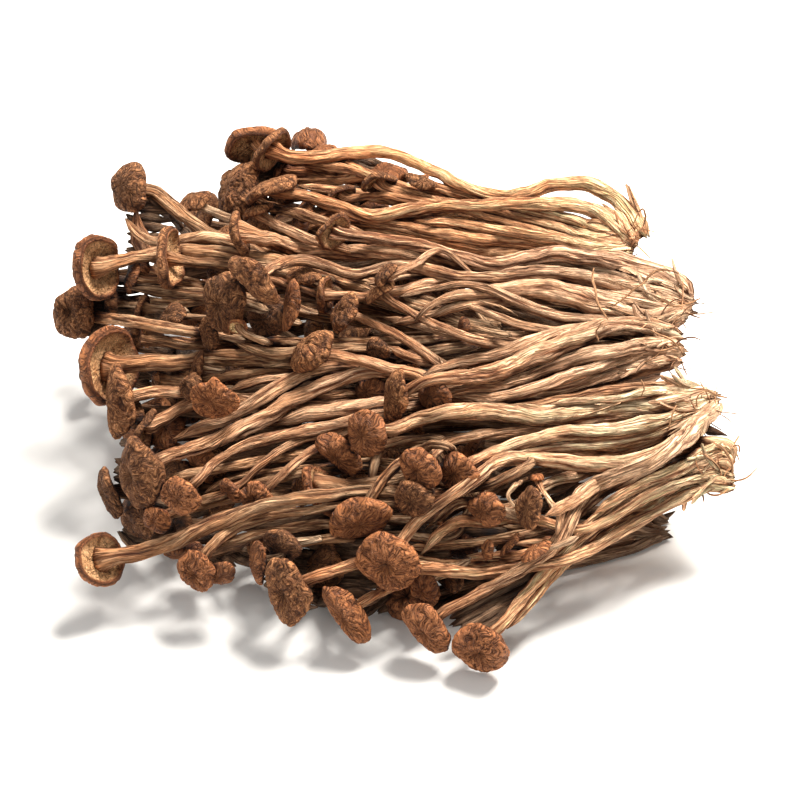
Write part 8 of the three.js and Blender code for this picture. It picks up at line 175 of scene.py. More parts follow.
    ("L27", "clump_left", "", "seen", [52,-45,580,204,26,-46,588,208,-1,-46,596,213,-28,-45,602,218,-55,-44,608,223,-82,-44,613,228,-110,-45,618,233,-137,-47,622,238,-164,-50,625,243,-192,-54,628,247,-219,-58,630,252,-247,-62,631,257,-274,-66,632,262,-302,-69,631,262,-329,-72,631,260,-357,-74,630,258,-385,-76,629,257,-412,-76,628,255,-440,-75,627,253,-468,-72,626,252,-495,-66,624,250,-521,-58,622,249,-546,-46,619,248,-570,-32,617,247,-593,-16,614,246,-615,0,611,245], None),
    ("D9", "clump_lower", "", "seen", [678,-804,456,192,672,-830,443,174,666,-856,427,155,661,-879,409,135,655,-901,389,115], None),
    ("D10", "clump_lower", "", "seen", [652,-819,457,154,645,-792,449,140,638,-766,441,126,630,-739,434,111,623,-712,428,101,615,-685,423,105,607,-658,418,110,598,-632,421,124,590,-612,439,151], [590,-614,434,-819,3397,9370,9725,-1784,1497,282,254,178,0]),
    ("K1_0", "clump_under_01", "K1", "under", [[0.577,-0.739,0.348,0.81],[1183,642,27,256,1128,650,34,252,1073,658,41,248,1018,666,49,244,963,673,56,239,908,680,64,235,852,687,72,231,797,692,81,227,742,698,89,223,687,702,99,221,632,706,108,219,577,710,118,217,522,712,128,215,467,715,138,213,412,716,149,212,357,718,160,210,302,718,171,208,247,718,183,206,192,718,195,204,137,719,207,202,82,719,220,201,27,719,231,200,-28,717,242,213,-79,712,263,251]], [-66,714,254,-8356,-1316,5334,-2430,-7822,-5736,1263,997,520,0]),
    ("K1_1", "clump_under_01", "K1", "under", [[-0.220,-0.433,-0.874,0.84],[1163,546,29,341,1108,541,33,335,1052,536,38,329,996,531,43,323,941,527,48,317,885,523,53,311,829,519,58,305,774,516,63,299,718,513,67,295,662,510,72,292,606,507,77,289,551,505,81,286,495,502,86,283,439,499,90,280,383,496,95,278,328,494,99,275,272,491,104,272,217,487,109,269,162,484,115,266,107,481,122,263,53,477,128,260,-2,474,138,270,-53,472,123,328]], [-44,471,136,-5763,694,-8143,4153,-8333,-3649,1191,786,515,0]),
    ("K1_2", "clump_under_01", "K1", "under", [[-0.319,-0.156,-0.935,0.81],[1168,637,28,274,1114,631,39,270,1060,625,49,266,1005,619,60,262,951,613,70,258,897,606,80,254,843,600,90,251,788,594,100,247,734,587,110,243,680,581,119,239,625,575,129,237,571,569,138,235,516,563,147,233,462,557,156,232,407,552,164,230,352,547,173,228,297,543,181,227,243,539,189,225,188,535,196,223,133,532,204,222,78,529,211,220,23,527,218,218,-33,525,225,216,-88,524,232,215,-143,523,238,213,-198,521,245,214,-253,520,251,225,-309,521,251,268]], [-287,520,253,-9943,502,-943,-748,3026,9502,1046,952,731,0]),
    ("K1_3", "clump_under_01", "K1", "under", [[0.135,0.990,0.046,0.80],[1160,655,23,326,1109,674,33,318,1057,692,43,311,1005,709,53,304,953,724,64,297,899,735,74,290,845,745,84,283,792,754,94,282,738,763,105,281,684,773,115,280,630,782,126,279,577,792,137,278,523,802,148,277,470,812,159,276,417,822,171,275,363,833,180,276,310,846,187,283,259,852,205,323,236,850,221,348]], [249,854,208,-6934,-1928,6943,1338,9124,3869,1221,1147,619,0]),
    ("K1_4", "clump_under_01", "K1", "under", [[-0.040,-0.200,0.979,0.86],[1176,684,25,343,1124,706,27,336,1072,728,30,329,1019,749,34,322,967,769,38,315,913,787,44,308,859,803,52,301,805,818,60,298,751,834,68,296,697,849,76,295,644,866,84,293,590,883,92,292,537,900,100,290,483,919,108,289,430,937,116,287,376,956,124,286,323,976,133,285,270,995,144,287,218,1014,152,316,192,1023,144,360]], [200,1021,150,-7366,2321,-6353,-3470,6766,6495,879,580,353,0]),
    ("K1_5", "clump_under_01", "K1", "under", [[0.035,-0.905,0.423,0.88],[1163,630,27,363,1107,631,26,356,1052,632,25,350,996,633,25,343,940,635,25,337,885,637,26,330,829,638,30,324,774,640,34,318,718,641,38,313,663,642,42,311,607,641,46,308,552,640,50,305,497,639,55,302,441,636,60,299,386,632,64,296,331,628,69,293,275,624,74,290,220,618,79,287,165,612,85,285,110,606,90,282,55,600,95,279,0,597,100,298,-25,585,104,353]], [-20,591,103,-6993,-6900,1867,5298,-6757,-5126,640,465,243,60]),
    ("K2_0", "clump_under_02", "K2", "under", [[-0.279,0.062,-0.958,0.86],[418,1008,26,350,362,1008,27,344,307,1009,26,337,252,1010,26,331,196,1010,31,324,140,1009,39,317,84,1008,46,311,29,1007,52,305,-27,1008,56,303,-83,1008,59,302,-138,1009,62,301,-194,1009,64,300,-249,1010,65,298,-305,1010,67,297,-361,1009,68,296,-417,1008,68,295,-472,1007,69,293,-528,1006,69,292,-584,1004,69,291,-639,1002,74,296,-692,1000,88,330,-720,1001,89,369]], [-705,1000,92,-9850,780,-1536,1676,6405,-7495,1071,811,500,30]),
    ("K2_1", "clump_under_02", "K2", "under", [[-0.376,-0.443,-0.814,0.84],[423,993,30,312,369,1009,39,305,316,1025,48,299,262,1040,58,292,208,1055,68,285,154,1068,78,279,100,1081,89,272,46,1093,100,269,-9,1105,111,266,-63,1117,123,263,-117,1129,136,260,-171,1141,148,257,-224,1152,161,254,-278,1164,172,251,-332,1176,184,249,-385,1186,197,246,-439,1194,214,243,-494,1200,231,252,-546,1209,253,305]], [-536,1206,247,-8404,2130,4983,3457,9188,1904,914,625,421,60]),
    ("K2_2", "clump_under_02", "K2", "under", [[-0.111,0.496,-0.861,0.88],[390,1025,25,344,338,1003,28,338,286,981,31,332,233,961,34,325,179,943,39,319,125,927,44,313,71,912,49,306,16,896,53,300,-37,879,58,299,-91,861,63,299,-144,843,67,299,-198,824,72,299,-250,805,79,299,-302,786,87,299,-354,766,97,299,-406,745,103,299,-458,721,104,299,-510,695,102,299,-562,668,102,298,-613,641,104,304,-664,615,107,318,-719,602,105,382]], [-699,602,108,-9942,-139,-1067,-1061,2923,9504,971,891,677,30]),
    ("K2_3", "clump_under_02", "K2", "under", [[-0.093,0.280,-0.956,0.82],[417,1015,18,263,367,996,32,258,317,975,47,253,267,954,62,249,216,935,77,244,164,919,90,239,111,904,101,234,58,891,109,230,5,876,116,228,-49,861,122,228,-102,846,129,227,-156,830,135,227,-210,816,142,226,-263,801,148,225,-317,787,153,225,-371,774,159,224,-425,762,163,224,-480,751,167,223,-534,741,169,222,-588,731,170,222,-642,723,174,226,-693,703,172,283]], [-686,712,175,-5974,-7440,-2992,1241,2828,-9511,649,495,373,0]),
    ("K2_4", "clump_under_02", "K2", "under", [[0.372,-0.923,0.097,0.79],[423,1057,27,328,367,1059,25,320,310,1061,23,313,254,1063,21,305,198,1065,22,297,141,1067,26,289,85,1069,34,285,30,1071,44,284,-26,1073,55,283,-81,1076,65,282,-137,1079,74,281,-193,1084,82,280,-248,1090,90,279,-304,1096,96,278,-360,1104,103,277,-414,1114,112,290,-468,1114,104,352]], [-459,1118,111,-7166,-3121,-6237,4366,-8981,-522,1062,748,423,0]),
    ("K2_5", "clump_under_02", "K2", "under", [[-0.209,0.317,0.925,0.77],[409,1044,25,270,356,1061,28,265,304,1078,31,261,250,1095,34,256,197,1109,36,251,142,1119,37,247,87,1124,37,242,31,1127,36,237,-25,1128,35,235,-80,1130,33,236,-136,1131,32,237,-191,1134,30,238,-247,1137,27,239,-302,1140,24,239,-358,1144,21,240,-413,1147,19,241,-469,1150,18,242,-525,1153,18,243,-580,1155,19,243,-636,1158,19,244,-691,1159,23,247,-735,1159,54,255,-775,1166,92,289,-799,1177,102,315]], [-779,1165,99,-8525,5106,1121,357,-1571,9869,1054,962,763,0]),
    ("K3_0", "clump_under_03", "K3", "under", [[-0.101,-0.804,-0.587,0.80],[1169,195,21,256,1114,186,23,250,1058,177,26,245,1003,168,28,239,947,160,30,233,891,153,32,227,836,147,35,222,780,142,37,220,724,138,39,218,668,135,41,215,612,133,43,213,555,132,46,211,499,132,48,209,443,133,50,206,387,134,52,204,331,135,52,203,275,137,50,213,227,142,74,254]], [234,140,60,-4634,1583,8719,8538,3432,3915,1028,877,528,0]),
    ("K3_1", "clump_under_03", "K3", "under", [[-0.126,-0.630,0.767,0.90],[1156,135,27,361,1102,124,32,355,1048,113,38,349,993,101,45,344,939,90,52,338,885,78,59,332,831,66,67,326,777,54,75,320,724,41,83,315,670,28,92,315,616,15,100,315,563,2,109,316,510,-12,118,316,456,-25,128,317,403,-39,137,317,349,-52,147,318,295,-66,157,318,241,-80,168,319,185,-94,181,320,128,-110,196,320,68,-129,216,321,7,-149,239,321,-53,-167,262,328,-110,-180,280,365,-137,-179,291,412]], [-127,-182,285,-8382,2511,4842,-5412,-4936,-6808,1033,846,399,30]),
    ("K3_2", "clump_under_03", "K3", "under", [[-0.230,-0.399,-0.888,0.89],[1175,192,22,310,1120,185,35,305,1066,178,49,300,1012,170,63,295,958,160,74,290,903,150,82,285,848,139,86,280,793,126,86,276,738,114,85,271,683,101,83,270,628,87,81,270,574,74,79,271,519,60,77,271,465,45,76,272,410,30,76,272,356,14,76,272,302,-2,77,273,248,-18,80,273,194,-35,86,274,140,-52,95,274,86,-69,104,275,33,-87,105,275,-20,-105,99,276,-74,-123,94,292,-125,-145,89,354]], [-117,-140,89,-8420,-5354,-667,4767,-7962,3725,783,621,341,0]),
    ("K3_3", "clump_under_03", "K3", "under", [[-0.389,0.915,-0.105,0.76],[1138,176,19,271,1084,182,27,266,1029,187,34,261,974,191,42,256,919,193,50,251,864,190,59,246,809,183,67,240,755,174,74,236,700,163,81,233,646,152,87,231,592,139,93,229,538,126,99,227,485,113,104,224,431,99,110,222,378,85,115,220,324,71,120,218,270,58,123,215,215,47,124,213,161,37,124,211,106,24,123,219,51,24,125,265]], [61,21,124,-9383,3308,1011,1645,6838,-7109,1073,728,332,30]),
    ("K3_4", "clump_under_03", "K3", "under", [[-0.160,0.986,-0.048,0.87],[1150,146,25,344,1101,121,24,338,1052,95,24,333,1002,69,24,328,952,46,23,323,900,27,26,318,847,11,31,313,793,-2,38,308,739,-14,46,303,686,-27,54,298,632,-40,63,296,579,-53,73,294,527,-67,83,292,474,-82,93,290,421,-98,100,288,368,-116,104,285,316,-135,108,283,264,-154,113,281,212,-174,119,279,161,-195,125,277,110,-217,131,275,59,-240,137,273,9,-264,143,270,-42,-288,150,268,-91,-314,156,270,-141,-337,162,300,-168,-342,165,338]], [-156,-342,163,-9893,21,1458,1338,-3850,9132,895,578,420,30]),
    ("K3_5", "clump_under_03", "K3", "under", [[-0.360,0.928,0.092,0.81],[1182,101,24,254,1131,84,36,250,1079,66,47,246,1028,49,59,242,976,31,70,238,924,14,80,234,872,-3,88,230,820,-20,97,226,768,-37,105,222,716,-55,114,220,664,-73,124,218,612,-90,134,216,561,-108,145,214,509,-124,157,212,457,-137,172,210,404,-145,190,208,350,-152,210,206,297,-165,226,204,247,-189,236,202,199,-216,243,200,150,-241,252,198,100,-262,264,196,49,-279,278,194,-3,-294,289,196,-49,-312,312,219,-60,-321,335,243]], [-60,-315,314,42,-2841,9588,9786,1985,545,1273,974,755,60]),
    ("K4_0", "clump_under_04", "K4", "under", [[0.047,0.715,0.698,0.80],[1108,-474,26,359,1054,-460,28,350,1001,-445,30,341,947,-431,32,332,893,-416,34,323,840,-401,37,314,786,-387,40,311,732,-372,44,309,679,-357,48,308,624,-342,54,306,570,-327,62,305,514,-311,74,303,457,-296,88,302,400,-281,106,301,343,-272,131,308,292,-254,153,347,271,-236,159,381]], [279,-248,158,-5356,8412,742,-7208,-5011,4788,1154,1039,499,0]),
    ("K4_1", "clump_under_04", "K4", "under", [[0.898,-0.440,-0.008,0.79],[1125,-471,24,336,1070,-473,24,331,1014,-475,23,326,958,-478,23,321,902,-481,22,316,847,-484,22,311,791,-487,22,306,735,-491,21,301,680,-497,21,296,624,-503,20,291,569,-511,20,289,514,-520,20,287,459,-530,20,285,404,-541,19,283,350,-554,19,281,296,-568,19,278,242,-583,19,276,188,-598,19,274,135,-615,18,272,82,-632,18,270,29,-650,18,268,-24,-669,18,266,-76,-688,18,263,-128,-707,18,261,-179,-726,25,262,-219,-741,61,281,-262,-755,94,329]], [-243,-750,85,-8719,-2357,4292,-3677,-2635,-8918,1034,911,717,60]),
    ("K4_2", "clump_under_04", "K4", "under", [[-0.032,-0.742,-0.669,0.82],[1151,-505,25,340,1097,-508,34,332,1042,-510,45,325,987,-512,55,317,933,-513,66,309,878,-511,74,302,823,-508,79,296,767,-502,81,294,712,-494,81,293,657,-487,78,292,602,-481,73,290,547,-475,66,289,493,-471,58,288,438,-468,50,287,383,-464,42,285,328,-461,34,284,274,-459,37,287,232,-456,72,316,206,-452,81,361]], [222,-455,85,-9584,1729,-2272,123,8200,5722,1155,767,574,0]),
    ("K4_3", "clump_under_04", "K4", "under", [[0.072,-0.997,-0.032,0.82],[1146,-422,31,353,1092,-427,43,347,1038,-432,56,341,984,-436,68,336,930,-438,79,330,876,-437,85,324,823,-432,86,318,769,-426,87,313,713,-424,92,308,656,-427,102,307,598,-433,112,308,541,-440,121,308,486,-448,128,309,431,-455,135,309,376,-463,144,310,322,-471,154,310,267,-478,165,310,213,-484,173,311,157,-487,177,311,101,-488,178,312,45,-489,178,312,-11,-490,178,314,-66,-494,179,325,-120,-484,180,366,-143,-468,180,402]], [-128,-487,180,-6179,7862,17,-2031,-1575,-9664,1255,1097,797,0]),
    ("K4_4", "clump_under_04", "K4", "under", [[-0.063,-0.786,0.615,0.81],[1126,-474,21,303,1074,-497,24,296,1023,-521,28,289,971,-543,33,283,919,-565,39,276,867,-585,46,270,814,-605,54,264,762,-626,62,263,710,-647,70,264,658,-669,79,264,607,-691,87,264,556,-714,95,264,505,-737,104,264,454,-761,113,264,404,-786,122,265,354,-811,130,265,304,-835,138,269,254,-859,146,298,234,-877,157,339]], [238,-871,152,-4153,-7111,5673,-5996,6830,4172,774,573,285,60]),
    ("K4_5", "clump_under_04", "K4", "under", [[0.104,0.297,-0.949,0.87],[1133,-505,29,269,1083,-531,28,264,1033,-558,26,259,983,-584,25,253,932,-608,24,248,880,-630,24,243,827,-650,26,238,773,-667,29,234,719,-685,32,234,666,-702,36,234,612,-720,41,234,559,-739,45,234,506,-758,50,235,453,-778,55,235,400,-798,59,235,348,-819,64,235,295,-840,67,235,242,-861,71,235,189,-882,72,240,136,-903,74,256,90,-927,95,302]], [102,-918,82,-6083,-4466,6561,-7610,933,-6421,1225,895,662,30]),
    ("K5_0", "clump_under_05", "K5", "under", [[-0.207,0.733,-0.648,0.81],[286,-173,28,275,237,-199,36,270,188,-225,43,265,140,-251,51,260,91,-278,58,256,42,-304,65,251,-6,-330,72,246,-55,-357,78,241,-104,-383,84,239,-152,-411,90,238,-199,-440,97,238,-245,-470,104,237,-290,-502,112,237,-336,-534,120,236,-381,-565,127,236,-427,-596,134,235,-473,-627,140,235,-519,-657,147,234,-566,-688,153,234,-613,-717,159,234,-660,-747,165,233,-707,-775,171,247,-752,-808,175,297]], [-742,-798,175,-7208,-6921,377,417,-977,-9943,876,805,472,0]),
    ("K5_1", "clump_under_05", "K5", "under", [[0.127,-0.964,0.234,0.76],[253,-290,30,273,198,-294,25,268,142,-295,22,263,86,-295,22,258,31,-295,24,252,-25,-294,30,247,-79,-293,36,242,-134,-293,43,237,-189,-295,52,237,-245,-298,63,236,-300,-302,75,236,-355,-305,85,235,-410,-308,94,234,-465,-311,102,234,-521,-314,108,233,-576,-316,114,233,-632,-317,120,232,-687,-319,125,231,-743,-320,129,231,-799,-320,131,238,-853,-324,141,270,-879,-329,150,294]], [-860,-324,140,-8484,-2541,4643,-5236,2752,-8063,1200,905,719,0]),
    ("K5_2", "clump_under_05", "K5", "under", [[0.238,-0.174,0.956,0.83],[267,-284,26,356,212,-273,25,349,157,-261,25,343,102,-249,28,337,47,-240,34,331,-8,-236,41,325,-64,-234,48,318,-120,-234,55,312,-175,-234,61,309,-231,-233,67,309,-287,-233,73,309,-343,-232,79,309,-399,-231,85,309,-454,-230,91,309,-510,-228,97,309,-566,-226,103,309,-621,-222,107,309,-677,-217,109,309,-732,-212,109,309,-788,-206,111,309,-844,-203,117,315,-901,-201,127,335,-950,-193,155,395]], [-937,-199,140,-5877,2720,7619,7929,3811,4755,1146,1064,694,60]),
    ("K5_3", "clump_under_05", "K5", "under", [[0.201,0.723,-0.661,0.77],[266,-326,24,331,212,-340,27,325,158,-353,29,318,104,-367,32,312,51,-380,33,306,-3,-394,35,300,-57,-407,36,294,-111,-421,37,288,-165,-434,40,287,-219,-447,45,286,-272,-459,53,285,-325,-472,63,284,-378,-484,73,283,-432,-496,83,282,-485,-509,91,281,-539,-521,100,280,-592,-532,107,279,-646,-543,115,278,-700,-554,121,277,-755,-564,127,281,-808,-575,134,313,-834,-584,141,352]], [-824,-579,137,-8356,-4283,3439,-5409,7505,-3796,918,649,382,0]),
    ("K5_5", "clump_under_05", "K5", "under", [[-0.071,-0.228,0.971,0.76],[284,-206,31,352,236,-178,28,346,188,-151,25,340,139,-126,24,333,90,-100,23,327,41,-73,23,320,-8,-47,28,314,-56,-21,51,308,-104,5,70,305,-152,30,86,304,-200,56,99,303,-248,83,111,302,-296,111,123,300,-343,139,133,299,-391,166,141,298,-440,192,147,297,-489,217,150,295,-538,243,155,294,-586,270,162,293,-635,298,170,292,-682,328,176,303,-727,340,199,371]], [-723,348,186,-2306,-4808,8459,-3349,8555,3950,1064,828,522,0]),
    ("K5_6", "clump_under_05", "K5", "under", [[0.714,-0.534,0.454,0.82],[304,-289,19,271,257,-318,27,265,210,-346,35,259,163,-374,43,253,116,-402,52,247,69,-430,60,241,21,-457,69,236,-26,-485,78,235,-73,-513,86,235,-120,-541,96,234,-167,-569,105,234,-213,-597,115,234,-260,-626,126,233,-306,-654,137,233,-352,-682,148,232,-399,-711,159,232,-446,-737,171,245,-485,-775,178,296]], [-478,-761,178,-4630,-8864,-60,1979,-1099,9741,1219,761,504,30]),
    ("K6_0", "clump_under_06", "K6", "under", [[-0.167,-0.137,0.976,0.88],[133,350,23,319,82,371,25,313,29,392,26,308,-23,414,29,302,-73,436,40,297,-121,459,55,292,-169,482,72,286,-217,504,88,281,-265,527,103,277,-313,550,118,276,-361,574,133,276,-409,597,149,275,-456,620,167,275,-503,643,186,274,-550,666,207,273,-596,690,226,273,-644,715,241,272,-691,742,249,272,-740,770,256,271,-788,797,263,270,-836,823,272,270,-885,848,282,275,-931,876,291,308,-952,894,295,344]], [-940,881,293,-6413,7630,811,5544,5338,-6385,1183,770,606,0]),
    ("K6_1", "clump_under_06", "K6", "under", [[0.275,-0.611,-0.742,0.85],[159,424,23,296,104,416,23,290,48,408,23,284,-8,401,24,278,-63,394,25,272,-119,390,28,266,-175,387,32,260,-231,385,36,257,-287,382,41,256,-343,378,45,256,-399,375,50,256,-455,371,54,255,-511,368,59,255,-567,365,63,255,-623,363,68,254,-680,362,73,254,-736,361,78,253,-793,360,83,258,-849,359,88,270,-902,372,100,323]], [-883,362,93,-8347,4484,3198,4658,8845,-243,1132,1004,763,60]),
    ("K6_2", "clump_under_06", "K6", "under", [[0.330,-0.307,0.893,0.84],[139,426,17,254,88,403,25,248,37,380,33,241,-14,357,42,235,-64,332,50,228,-114,307,57,222,-164,280,64,218,-213,253,70,215,-261,224,74,212,-310,193,78,209,-357,162,82,205,-403,131,91,202,-446,101,104,199,-491,73,120,196,-537,46,133,199,-556,8,159,244]], [-565,16,152,6460,-5714,5061,2653,7898,5530,1049,993,479,0]),
    ("K6_3", "clump_under_06", "K6", "under", [[-0.069,-0.942,0.328,0.78],[107,420,23,319,54,440,22,314,1,460,22,308,-52,479,21,303,-107,495,21,297,-161,510,20,292,-216,524,20,286,-271,538,21,280,-326,553,22,278,-380,569,22,279,-434,586,22,279,-487,605,22,280,-540,624,21,281,-593,644,19,282,-646,664,19,282,-700,681,19,283,-756,693,20,284,-811,703,23,285,-867,713,27,285,-922,723,31,286,-978,734,34,287,-1030,744,54,303,-1082,754,58,368]], [-1074,753,67,-6595,1382,-7389,-5857,5217,6204,988,776,408,60]),
    ("K6_4", "clump_under_06", "K6", "under", [[-0.295,0.187,-0.937,0.88],[139,364,18,265,84,372,29,260,29,379,41,255,-26,388,53,249,-80,398,67,244,-132,411,82,239,-185,427,95,233,-237,443,108,229,-290,460,120,227,-342,479,132,224,-394,498,144,221,-445,519,156,219,-495,542,168,216,-545,565,180,213,-594,589,193,210,-643,613,205,208,-693,639,215,205,-743,665,222,202,-795,690,223,208,-834,726,234,253]], [-832,717,229,-1526,8612,4848,-1112,4725,-8743,1144,799,380,0]),
    ("K6_5", "clump_under_06", "K6", "under", [[-0.229,-0.349,0.909,0.87],[155,420,26,353,107,447,25,346,58,475,25,340,9,502,24,333,-39,530,24,327,-89,556,23,320,-139,581,23,314,-189,605,22,307,-240,628,21,305,-290,651,21,303,-341,674,20,301,-391,697,20,299,-441,723,20,297,-490,750,20,295,-539,777,20,293,-589,804,20,291,-638,830,20,289,-688,855,20,287,-738,880,20,286,-787,905,25,288,-833,928,48,304,-873,944,82,360]], [-863,941,72,-6659,1937,7205,7447,2314,6260,1091,1028,485,30]),
    ("K6_6", "clump_under_06", "K6", "under", [[-0.331,-0.024,-0.943,0.75],[123,428,22,280,72,410,33,273,20,393,45,266,-31,377,58,259,-83,362,73,253,-135,349,88,246,-187,337,104,242,-239,326,119,241,-291,315,135,239,-344,306,151,237,-396,297,168,236,-448,290,186,234,-501,283,203,232,-555,275,218,231,-609,266,230,229,-663,259,239,240,-709,245,264,290]], [-701,251,251,-4937,-4070,7685,-1408,9095,3911,879,741,549,0]),
    ("K7_0", "clump_under_07", "K7", "under", [[0.645,0.625,-0.440,0.83],[1169,362,377,265,1114,353,379,260,1058,345,382,255,1003,337,384,250,947,329,387,245,892,320,389,240,836,311,392,236,781,302,395,231,726,293,398,229,670,283,400,227,615,272,403,226,560,261,406,224,505,249,409,222,451,236,413,221,396,223,416,219,342,209,419,217,288,194,422,215,234,179,426,214,180,163,429,212,126,148,431,214,73,131,435,237,50,118,446,267]], [59,126,438,-5870,-5684,5765,3759,-8220,-4278,1048,829,465,0]),
    ("K7_1", "clump_under_07", "K7", "under", [[0.257,-0.772,-0.581,0.82],[1170,411,374,343,1114,408,375,337,1058,405,376,332,1003,402,377,326,947,399,378,321,891,396,379,315,836,392,380,309,780,388,381,304,724,385,382,299,669,381,383,296,613,376,383,293,557,372,384,290,502,368,385,287,446,364,386,285,390,359,387,282,335,355,388,279,279,350,391,277,224,345,396,274,169,341,403,271,113,336,408,269,56,330,407,266,-1,325,403,263,-58,317,397,267,-113,315,402,301,-137,321,415,330]], [-122,314,401,-6844,3477,6408,-6254,-7318,-2708,1094,939,710,0]),
    ("K7_2", "clump_under_07", "K7", "under", [[-0.222,-0.466,-0.856,0.80],[1175,404,385,320,1121,418,385,313,1068,431,384,307,1014,445,383,300,960,458,383,293,906,470,382,287,852,482,382,280,797,494,382,278,743,505,382,278,689,517,382,277,635,529,383,277,581,542,384,277,527,555,385,276,473,568,386,276,420,582,387,276,366,596,389,275,313,610,390,275,259,625,393,284,206,640,393,322,179,649,392,351]], [195,643,393,-9421,3266,-757,-2941,-6964,6546,1281,1135,541,0]),
    ("K7_3", "clump_under_07", "K7", "under", [[-0.234,-0.914,-0.333,0.84],[1161,424,388,327,1108,419,372,320,1056,413,356,313,1003,407,340,306,949,400,328,298,895,392,321,291,840,383,318,285,785,373,319,284,731,363,320,284,677,351,322,283,622,339,323,283,566,325,322,283,508,308,316,282,445,285,297,282,371,257,261,282,283,238,238,281,194,229,238,287,123,217,242,321,94,212,245,359]], [108,214,243,-9821,-1602,987,1000,-8888,-4473,835,676,463,60]),
    ("K8_0", "clump_under_08", "K8", "under", [[-0.449,-0.821,0.351,0.78],[1112,-232,281,301,1058,-214,277,294,1005,-195,272,286,951,-177,268,278,898,-158,264,270,845,-139,259,263,792,-119,255,260,739,-99,252,258,686,-79,248,256,632,-58,244,254,579,-38,241,252,525,-17,238,250,471,3,236,247,416,24,233,245,362,43,228,256,310,65,236,310]], [322,59,230,-8160,3839,4320,-5713,-6493,-5020,1041,739,486,0]),
    ("K8_1", "clump_under_08", "K8", "under", [[0.211,-0.375,0.903,0.84],[1150,-241,278,276,1096,-256,277,271,1043,-271,276,265,989,-287,276,259,936,-302,275,254,882,-319,274,248,829,-335,274,242,776,-353,274,239,723,-371,275,238,671,-390,275,237,619,-409,276,235,567,-430,278,234,515,-451,279,232,464,-473,281,231,413,-495,283,229,362,-518,286,228,312,-542,288,227,261,-566,291,225,212,-592,297,241,187,-596,289,286]], [192,-598,294,-7171,2543,-6489,-6765,-4780,5602,717,473,236,0]),
    ("K8_2", "clump_under_08", "K8", "under", [[-0.147,-0.982,0.120,0.88],[1105,-176,274,255,1050,-187,274,248,996,-197,273,241,941,-208,273,234,886,-218,273,227,832,-228,272,222,777,-237,271,223,722,-246,270,224,667,-254,269,225,612,-260,268,226,557,-266,267,227,501,-272,266,228,446,-276,264,229,391,-284,261,243,337,-276,264,294]], [347,-282,262,-8391,5093,1909,-5410,-7449,-3904,964,637,403,0]),
    ("K8_3", "clump_under_08", "K8", "under", [[-0.072,-0.745,-0.663,0.88],[1118,-183,286,276,1062,-180,292,270,1006,-178,298,264,951,-175,304,258,895,-172,309,252,839,-170,312,247,783,-167,315,241,727,-165,318,239,671,-163,320,237,615,-163,324,236,559,-163,327,234,503,-164,331,233,448,-166,335,231,392,-168,340,230,336,-172,344,228,280,-176,349,227,225,-181,354,225,169,-185,358,235,114,-191,365,285]], [123,-190,363,-9750,-1299,1802,2085,-8147,5411,838,646,329,60]),
    ("K9_0", "clump_under_09", "K9", "under", [[0.033,0.300,-0.953,0.79],[1124,820,359,301,1068,824,360,296,1012,828,361,292,957,832,362,287,901,836,364,282,845,840,365,277,789,844,366,272,733,848,367,267,677,851,367,263,621,855,368,260,566,858,369,258,510,861,369,256,454,863,370,253,398,865,370,251,342,866,370,249,286,867,370,247,230,867,370,245,174,867,370,242,118,865,370,240,62,864,370,238,6,861,369,236,-50,859,368,234,-106,854,367,235,-162,853,367,261,-189,859,368,293]], [-175,853,367,-9004,4332,411,-3926,-8496,3522,996,645,502,0]),
    ("K9_1", "clump_under_09", "K9", "under", [[0.036,-0.915,0.401,0.84],[1102,828,341,266,1047,820,354,260,992,811,366,254,937,804,378,248,882,799,389,241,826,798,398,235,769,800,407,231,713,803,415,229,657,806,424,228,601,809,434,226,545,814,444,225,490,820,455,224,434,828,467,222,378,838,480,221,322,850,493,219,266,861,504,221,211,870,517,241,191,879,535,277]], [195,874,524,-3409,4293,8364,-1953,-9026,3837,914,575,418,0]),
    ("K9_2", "clump_under_09", "K9", "under", [[-0.183,-0.342,-0.922,0.82],[1108,894,339,329,1052,903,333,323,997,911,327,317,941,919,321,310,886,927,315,304,830,935,309,298,774,942,303,291,719,949,296,286,663,956,290,283,607,963,283,280,552,969,276,277,496,976,269,273,440,982,261,270,385,990,254,267,329,997,247,264,273,1004,240,261,217,1007,234,258,162,1003,226,255,106,997,216,252,51,990,206,263,-4,982,193,317]], [12,985,198,-9484,-1730,-2656,-2963,1861,9368,1063,784,570,60]),
    ("K9_3", "clump_under_09", "K9", "under", [[-0.210,0.170,-0.963,0.78],[1124,847,345,258,1069,853,340,253,1014,860,336,247,959,866,332,242,904,872,328,237,849,879,325,231,793,886,322,226,739,895,319,224,684,904,317,224,629,913,314,224,574,922,311,224,519,932,308,224,465,942,305,224,410,952,302,223,355,962,299,223,300,971,295,223,246,979,289,223,192,985,278,229,137,988,271,251,118,983,289,285]], [120,988,271,-859,-2819,9556,-3031,9211,2444,1190,904,647,30]),
    ("K9_4", "clump_under_09", "K9", "under", [[0.011,0.666,0.746,0.80],[1138,870,326,283,1083,865,317,278,1027,858,309,272,972,852,301,267,917,846,294,261,861,840,290,256,805,834,287,250,749,828,286,246,694,821,284,245,638,812,283,244,583,802,280,244,528,790,278,243,473,778,274,242,419,764,271,241,365,749,266,240,311,733,261,240,257,717,256,239,204,700,251,238,150,683,246,237,96,669,242,256,75,651,240,302]], [80,660,240,-4557,-8866,-788,5649,-2197,-7954,674,479,338,30]),
